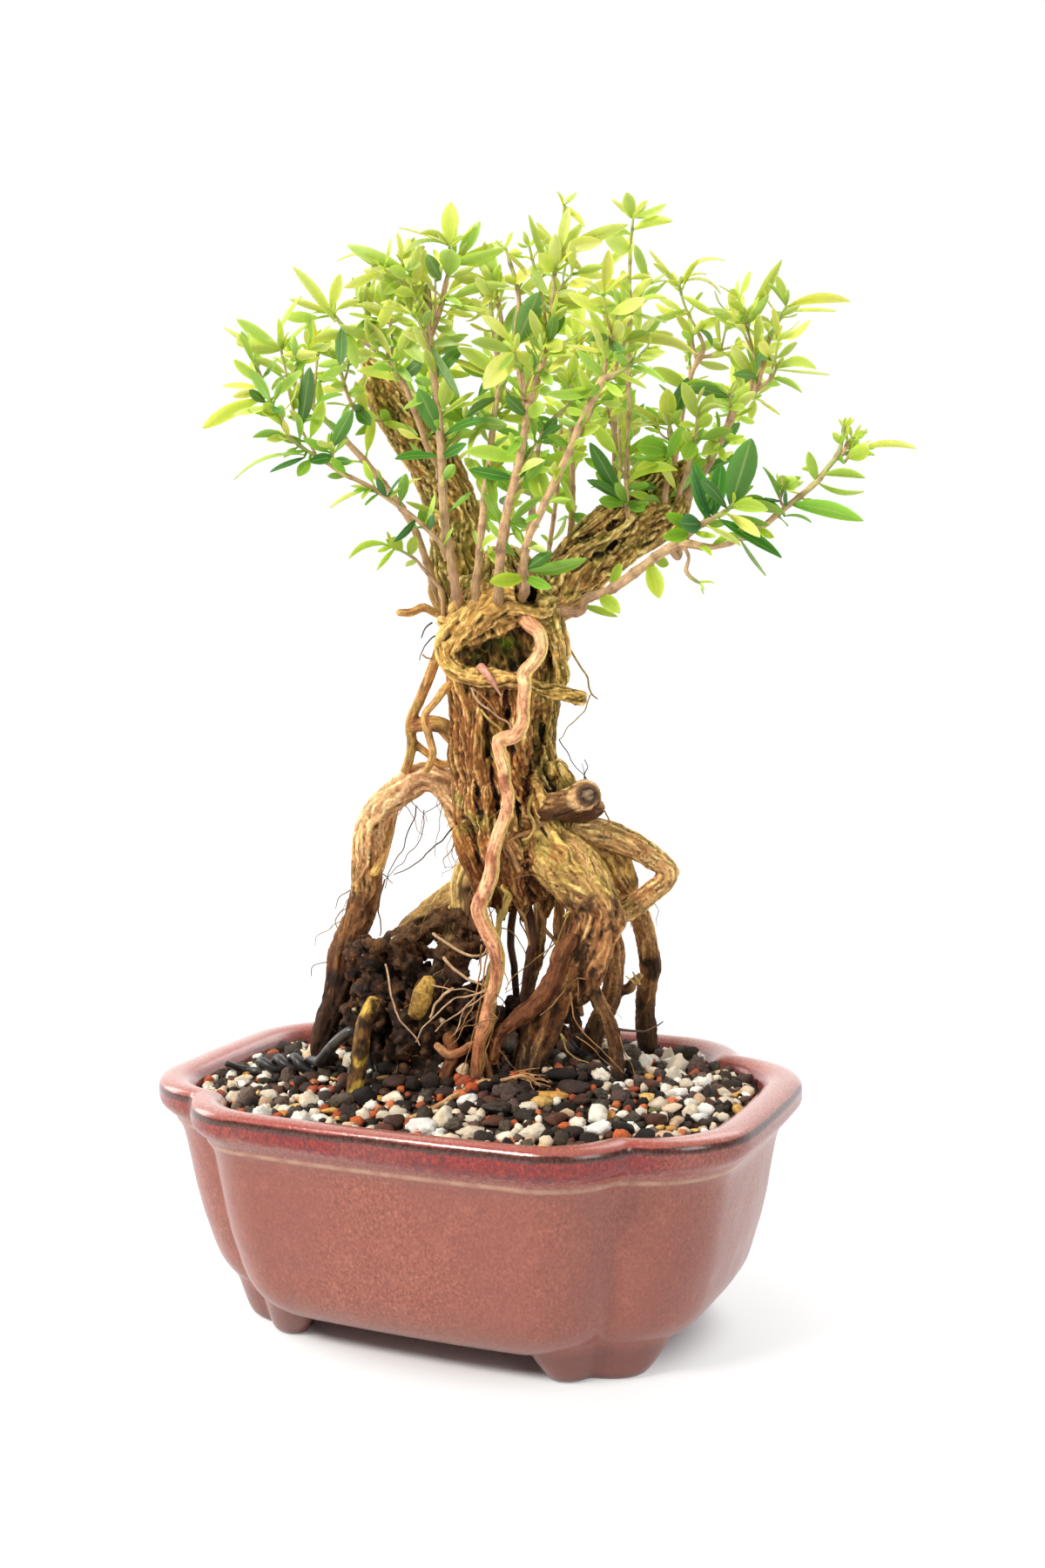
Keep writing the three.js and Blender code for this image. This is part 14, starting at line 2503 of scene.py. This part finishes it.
def make_peat(mats):
    """The dark clump that hangs in the roots: a crumbly mass with grit, threads and a bare yellow patch in it."""
    rng = np.random.default_rng(31)
    vs, fs, o = [], [], 0
    for made, (x, y, z, r) in enumerate(CRUMBS):
        for k in range(3):
            # each crumb is a few smaller ones pressed together
            v, f = ICO[1]
            size = r * (0.86 if k == 0 else rng.uniform(0.4, 0.75))
            v = v * (1 + 0.5 * noise(v * 1.6 + made * 3.1 + k, 3))[:, None] * size
            v = v @ turn(rng).T * rng.uniform(0.75, 1.3, 3) + [x, y, z] + (0 if k == 0 else rng.normal(0, 0.62 * r, 3))
            vs.append(v)
            fs.extend([tuple(int(j) + o for j in g) for g in f])
            o += len(v)
    v, f, ed = remesh(np.vstack(vs), fs, 0.58)
    v, f, ed = keep_big(v, f, ed, 1500)
    v = spread(v, ed, len(v), 1, 0.5)
    n = normals(v, f)
    h = fbm(v / 2.6, 4, 3) * 1.7 + (ridge(v / 3.0, 3, 5) - 0.5) * 1.1 + fbm(v / 0.9, 2, 6) * 0.5
    v = v + n * h[:, None]
    cav = ((v - spread(v, ed, len(v), 8, 0.6)) * n).sum(1)
    c = np.tile(np.array(srgb(42, 28, 19)), (len(v), 1))
    c = lerp(c, srgb(108, 66, 36), step(fbm(v / 2.6, 4, 7), -0.02, 0.34) * 0.78)
    c = lerp(c, srgb(122, 82, 46), step(v[:, 2] + fbm(v / 6.0, 3, 29) * 12, 112, 130) * 0.5)
    # lighter on the bumps, as painted highlight, and near black in the hollows between the crumbs, as painted shade
    c = lerp(c, srgb(132, 92, 52), step(cav, 0.12, 0.5) * step(fbm(v / 4.0, 3, 27), -0.05, 0.3) * 0.6)
    c = lerp(c, srgb(12, 8, 6), step(cav, 0.0, -0.5) * 0.85)
    c = lerp(c, srgb(98, 72, 40), step(fbm(v / 5.0, 3, 17) + (v[:, 2] - 112) * 0.012, 0.22, 0.5) * 0.6)
    c = lerp(c, srgb(70, 64, 60), step(v[:, 0], -24, -32) * step(fbm(v / 2.6, 3, 19), -0.1, 0.3) * 0.4)
    b = Build()
    b.add(v, f, 0, col=c)
    face = np.flatnonzero(n @ FRONT > -0.2)
    for _ in range(150):
        k = rng.choice(face)
        kind = ["o", "k", "w", "t", "b", "l", "k", "b", "o"][rng.integers(9)]
        p, g, col = grain(rng, kind, rng.uniform(0.4, 1.0) * (0.75 if kind in "wo" else 1.4), 1)
        b.add(p + v[k], g, 0, col=col)
    # fine brown threads lie over the clump
    for _ in range(120):
        p = v[rng.choice(face)]
        d = unit(rng.normal(0, 1, 3) * [1, 1, 0.7])
        pts = [p + FRONT * 0.2]
        for _ in range(int(rng.integers(3, 6))):
            d = unit(d + rng.normal(0, 0.5, 3) + [0, 0, -0.1])
            pts.append(pts[-1] + d * rng.uniform(1.5, 3.4))
        if min(q[2] for q in pts) > 78:
            hair(b, pts, rng.uniform(0.14, 0.3), 0.1, rng, srgb(*[(150, 104, 62), (112, 72, 42), (74, 46, 28)][rng.integers(3)]), 4, 0.35)
    q = smooth_path(np.array(BARE_PATCH), 1.0)
    p, g, al, an = tube(q, 16, "round", lambda s, a, r: 1 + 0.25 * fbm(np.stack([np.cos(a), np.sin(a), s / 4], 1), 3, 8))
    col = lerp(np.tile(np.array(srgb(206, 164, 80)), (len(p), 1)), srgb(116, 82, 36), step(fbm(p / 2.2, 3, 9), 0.05, 0.3) * 0.8)
    b.add(p, g, 0, col=col)
    return b.finish("root_peat_clump", [mats["peat"]], "peat", ["root_peat"])


def make_wires(mat):
    b = Build()

    def twisted(phase, n=60):
        ax = smooth_path(np.array([[*p, 1.0] for p in WIRE_AXIS]), 0.4)[:, :3]
        t, _, _ = frames(ax)
        s = np.linspace(0, 1, len(ax))
        u = unit(UPPER - t * t[:, 2:3])
        w = np.cross(t, u)
        a = phase + 2 * np.pi * TW["turns"] * s
        return ax + TW["off"] * (np.cos(a)[:, None] * u + np.sin(a)[:, None] * w)

    def run(parts, name, node):
        b = Build()
        q = np.vstack(parts)
        p = smooth_path(q, 0.6)
        v, f, along, ang = tube(p, 14, "round", lambda s, a, r: 1 + 0.03 * noise(np.stack([np.cos(a), np.sin(a), s / 5], 1), 3))
        c = np.tile(np.array(srgb(34, 32, 31)), (len(v), 1))
        dust = step(fbm(v / 3.5, 3, 5), 0.1, 0.5)
        c = lerp(c, srgb(92, 84, 70), dust * 0.45)
        b.add(v, f, 0, col=c)
        return b.finish(name, [mat], "wire", [node])
    one = twisted(0.4)[::4]
    two = twisted(0.4 + np.pi)[::4]
    a = run([np.array(WIRE_A), np.hstack([one, np.full((len(one), 1), TW["r"])]), np.array(WIRE_END)], "tie_wire_a", "anchor_wire_a")
    c = run([np.array(WIRE_B), np.hstack([two, np.full((len(two), 1), TW["r"])])], "tie_wire_b", "anchor_wire_b")
    return a, c


def make_drain(mat):
    out = []
    for sx, side in ((-1, "left"), (1, "right")):
        b = Build()
        x0, r = sx * 42.0, 11.0
        for k in np.linspace(-r + 0.5, r - 0.5, 9):
            for flip in (0, 1):
                n = 23
                t = np.linspace(-r, r, n)
                z = 14.3 + 0.62 + 0.18 * np.sin((t + r) * 1.2 + flip * np.pi)
                q = np.stack([x0 + (t if flip else np.full(n, k)), (np.full(n, k) if flip else t), z, np.full(n, 0.34)], 1)
                v, f, _, _ = tube(q, 6, "flat")
                b.add(v, f, 0, col=srgb(40, 44, 42))
        # a moulded rim binds the strands
        q = [[x0 - r, -r, 15.0, 0.5], [x0 + r, -r, 15.0, 0.5], [x0 + r, r, 15.0, 0.5], [x0 - r, r, 15.0, 0.5]]
        for i in range(4):
            v, f, _, _ = tube(np.array([q[i], q[(i + 1) % 4]]), 8)
            v[:, 2] = np.clip(v[:, 2], 14.35, 15.45)
            b.add(v, f, 0, col=srgb(36, 38, 37))
        out.append(b.finish("drain_net_" + side, [mat], "drain_mesh", ["drain_mesh_" + side]))
    return out


def make_litter(mat):
    """Loose things on the dressing: the frayed root twig, the wood chips' splinters and a dry leaf sliver on the rim."""
    rng = np.random.default_rng(41)
    b = Build()
    hair(b, TWIG, 0.85, 0.6, rng, srgb(206, 158, 108), 8, 0.2)
    end = np.array(TWIG[-1])
    for k in range(16):
        d = unit(np.array([0.9, -0.25, 0.0]) + rng.normal(0, 0.3, 3) * [1, 1, 0.4])
        ln = rng.uniform(4, 12)
        p0 = end - np.array([1, 0, 0]) * rng.uniform(0, 8) + rng.normal(0, 0.5, 3)
        p1 = p0 + d * ln * 0.5 + [0, 0, rng.uniform(-0.4, 0.9)]
        p2 = p0 + d * ln + [0, 0, rng.uniform(-1.4, 0.5)]
        hair(b, [p0, p1, p2], 0.3, 0.14, rng, srgb(196, 146, 98), 5, 0.3)
    for pts, r0, r1 in LITTER:
        hair(b, pts, r0, r1, rng, srgb(96, 64, 44), 6, 0.3)
    return b.finish("loose_twigs", [mat], "root_bark")


# ---------------------------------------------------------------- the object
def build_all():
    glaze = glaze_material()
    pot, feet = make_pot(glaze)
    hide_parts("pot")
    stone = {
        "dressing_pumice": stone_material("pumice", 0.9, 0.10, 900, 0.0005, 0.45),
        "dressing_lava": stone_material("lava", 0.85, 0.5, 1100, 0.0007, 0.6),
        "dressing_bark": stone_material("bark_and_clay", 0.75, 0.35, 800, 0.0005, 0.3),
    }
    compost = stone_material("compost", 0.95, 0.6, 700, 0.0009, 0.5)
    make_soil(compost)
    wood = centreline([q for g, k, q in TUBES if k in ("root", "aerial", "pale")], 2.0)
    make_dressing(stone, wood)
    bark = wood_material("old_bark", 1.0, 0.86)
    rootm = wood_material("root_bark", 0.8, 0.8)
    pink = wood_material("young_root", 0.6, 0.66)
    strap = dict(gap=3.6, rad=1.75, length=34, kind="cord", of=("bark",))
    fibre = dict(gap=2.6, rad=0.95, length=26, kind="thread", of=("root",), out=0.95)
    wood_piece("trunk_wood", ["trunk"], 0.5, bark, "bark", paint_bark, EXTRA_TRUNK, 1, push_trunk, strap)
    wood_piece("left_branch_wood", ["left_main_branch"], 0.46, bark, "bark", paint_bark, EXTRA_LEFT, 3, None, dict(strap, gap=2.8, rad=1.2, length=22, out=0.9))
    wood_piece("right_branch_wood", ["right_main_branch"], 0.46, bark, "bark", paint_bark, EXTRA_RIGHT, 4, push_branch, dict(strap, gap=2.6, rad=1.45, length=26, out=0.92))
    wood_piece("right_thick_root_wood", ["right_thick_root"], 0.5, rootm, "root_bark", paint_thick, EXTRA_THICK, 10, None, dict(fibre, rad=1.1))
    wood_piece("left_arch_root_wood", ["left_arch_root"], 0.5, rootm, "root_bark", paint_arch, EXTRA_ARCH, 11, None, fibre)
    wood_piece("left_mid_root_wood", ["left_mid_root"], 0.5, rootm, "root_bark", paint_buried, (), 12, None, fibre)
    wood_piece("centre_left_root_wood", ["centre_left_root"], 0.5, rootm, "root_bark", paint_buried, (), 13, None, fibre)
    for i, g in enumerate(("elbow_root", "stub_root", "back_root_a", "back_root_b", "far_right_root", "middle_right_root", "front_right_root")):
        stub = g == "stub_root"
        wood_piece(g + "_wood", [g], 0.44, rootm, "root_bark", paint_stub if stub else paint_root, EXTRA_STUB if stub else (), 20 + i, None, dict(fibre, rad=0.6, gap=2.2, length=20) if i < 2 or i > 3 else None)
    wood_piece("front_aerial_root_wood", ["front_aerial_root"], 0.4, pink, "root_bark", paint_pink, (), 30)
    wood_piece("crossing_root_wood", ["crossing_root"], 0.4, rootm, "root_bark", paint_red, (), 31)
    for i, g in enumerate(("left_thin_root_a", "left_thin_root_b")):
        wood_piece(g + "_wood", [g], 0.4, rootm, "root_bark", paint_thin, (), 32 + i)
    for i, g in enumerate(("lower_left_root", "small_brown_root", "small_pale_root")):
        wood_piece(g + "_wood", [g], 0.38, rootm, "root_bark", (paint_yellow, paint_red, paint_pink)[i], (), 40 + i)
    wood_piece("dead_twig_left_wood", ["dead_twig_left"], 0.36, rootm, "root_bark", paint_thin, (), 50)
    leaf, stem = leaf_material(), stem_material()
    rng = np.random.default_rng(77)
    for name in sorted({g for g, k, q in TUBES if g.startswith("shoot_")}):
        make_shoot(name, [leaf, stem], rng)
    make_peat({"peat": compost})
    make_wires(painted("wire_sheath", 0.42, 400, 0.3, 0.0002))
    make_drain(painted("net_plastic", 0.5, 900, 0.2, 0.0001))
    make_hairs(pink)
    make_litter(pink)


T0 = time.time()
build_all()
print("built in", round(time.time() - T0, 1), "s")

# ---------------------------------------------------------------- floor, light and camera
def make_floor():
    """A white sheet that brightens into the white room away from the object, through a painted glow that grows with
    distance from it.
    """
    m = Mat("floor_white", 0.8)
    m.bsdf.inputs["Specular IOR Level"].default_value = 0.1
    x, y, z = m.split(m.place())
    u, w = m.math("ADD", x, 0.0181), m.math("MULTIPLY", m.math("ADD", y, 0.018), 1.35)
    far = m.math("SQRT", m.math("ADD", m.math("MULTIPLY", u, u), m.math("MULTIPLY", w, w)))
    weave = m.noise(900, 2)
    # painted light: the floor glows more the farther it lies from the object
    glow = m.math("ADD", m.range(far, 0.062, 0.088, 0.0, 0.66), m.range(far, 0.085, 0.16, 0.0, 0.40))
    pale = m.mix(weave, grey(0.80), grey(0.86))
    m.done(m.mix(glow, pale, grey(0.06)))
    m.bsdf.inputs["Emission Color"].default_value = (1, 1, 1, 1)
    m.link(glow, m.bsdf.inputs["Emission Strength"])
    me = bpy.data.meshes.new("floor")
    s = 6.0
    me.from_pydata([(-s, -s, 0), (s, -s, 0), (s, s, 0), (-s, s, 0)], [], [(0, 1, 2, 3)])
    me.materials.append(m.m)
    o = bpy.data.objects.new("floor", me)
    bpy.context.scene.collection.objects.link(o)


def area(name, at, to, size, power, color=(1, 1, 1)):
    d = bpy.data.lights.new(name, "AREA")
    d.shape, d.size, d.size_y, d.energy, d.color = "RECTANGLE", size[0], size[1], power, color
    o = bpy.data.objects.new(name, d)
    o.location = at
    o.rotation_mode = "QUATERNION"
    o.rotation_quaternion = (Vector(to) - Vector(at)).to_track_quat("-Z", "Y")
    bpy.context.scene.collection.objects.link(o)


make_floor()
world = bpy.data.worlds.new("studio")
bpy.context.scene.world = world
world.use_nodes = True
wt = world.node_tree
room = wt.nodes["Background"]
room.inputs[0].default_value = (1.0, 0.99, 0.975, 1.0)
# the room is brighter behind the object than around the camera
turned, ahead, level = wt.nodes.new("ShaderNodeTexCoord"), wt.nodes.new("ShaderNodeVectorMath"), wt.nodes.new("ShaderNodeMapRange")
ahead.operation = "DOT_PRODUCT"
ahead.inputs[1].default_value = (-0.4256, 0.9049, 0.0)
for k, x in (("From Min", -0.25), ("From Max", 0.6), ("To Min", 0.24), ("To Max", 1.5)):
    level.inputs[k].default_value = x
wt.links.new(turned.outputs["Generated"], ahead.inputs[0])
wt.links.new(ahead.outputs["Value"], level.inputs["Value"])
wt.links.new(level.outputs["Result"], room.inputs[1])
wall = wt.nodes.new("ShaderNodeBackground")
wall.inputs[0].default_value = (1.0, 1.0, 1.0, 1.0)
wall.inputs[1].default_value = 1.05
which, path = wt.nodes.new("ShaderNodeMixShader"), wt.nodes.new("ShaderNodeLightPath")
wt.links.new(path.outputs["Is Camera Ray"], which.inputs[0])
wt.links.new(room.outputs[0], which.inputs[1])
wt.links.new(wall.outputs[0], which.inputs[2])
wt.links.new(which.outputs[0], wt.nodes["World Output"].inputs[0])
area("key", (-0.55, -1.15, 1.25), (0, 0, 0.15), (0.5, 0.4), 29, (1.0, 0.97, 0.92))
area("fill", (1.25, -0.75, 0.85), (0, 0, 0.15), (0.7, 0.7), 7, (0.95, 0.98, 1.0))
area("side", (-1.1, -0.05, 0.5), (0, 0, 0.1), (0.5, 0.6), 5, (1.0, 0.97, 0.94))
area("back", (0.2, 1.3, 1.4), (0, 0, 0.2), (1.2, 0.7), 6)
scene = bpy.context.scene
scene.view_settings.view_transform = "Standard"
scene.view_settings.look = "None"
scene.view_settings.exposure = 0.0
scene.view_settings.gamma = 1.0

cam = bpy.data.cameras.new("camera")
cam.lens, cam.sensor_width, cam.sensor_fit = 40.83, 36.0, "AUTO"
cam.clip_start, cam.clip_end = 0.01, 20.0
co = bpy.data.objects.new("camera", cam)
az, el = math.radians(25.2), math.radians(6.04)
right = Vector((0.90568976, 0.42314112, -0.02603163))
up = Vector((-0.0211007, 0.10632136, 0.99410791))
back = Vector((math.sin(az) * math.cos(el), -math.cos(az) * math.cos(el), math.sin(el)))
rot = Matrix((right, up, back)).transposed().to_4x4()
co.matrix_world = Matrix.Translation(Vector((0.237654, -0.519042, 0.231062))) @ rot
scene.collection.objects.link(co)
scene.camera = co
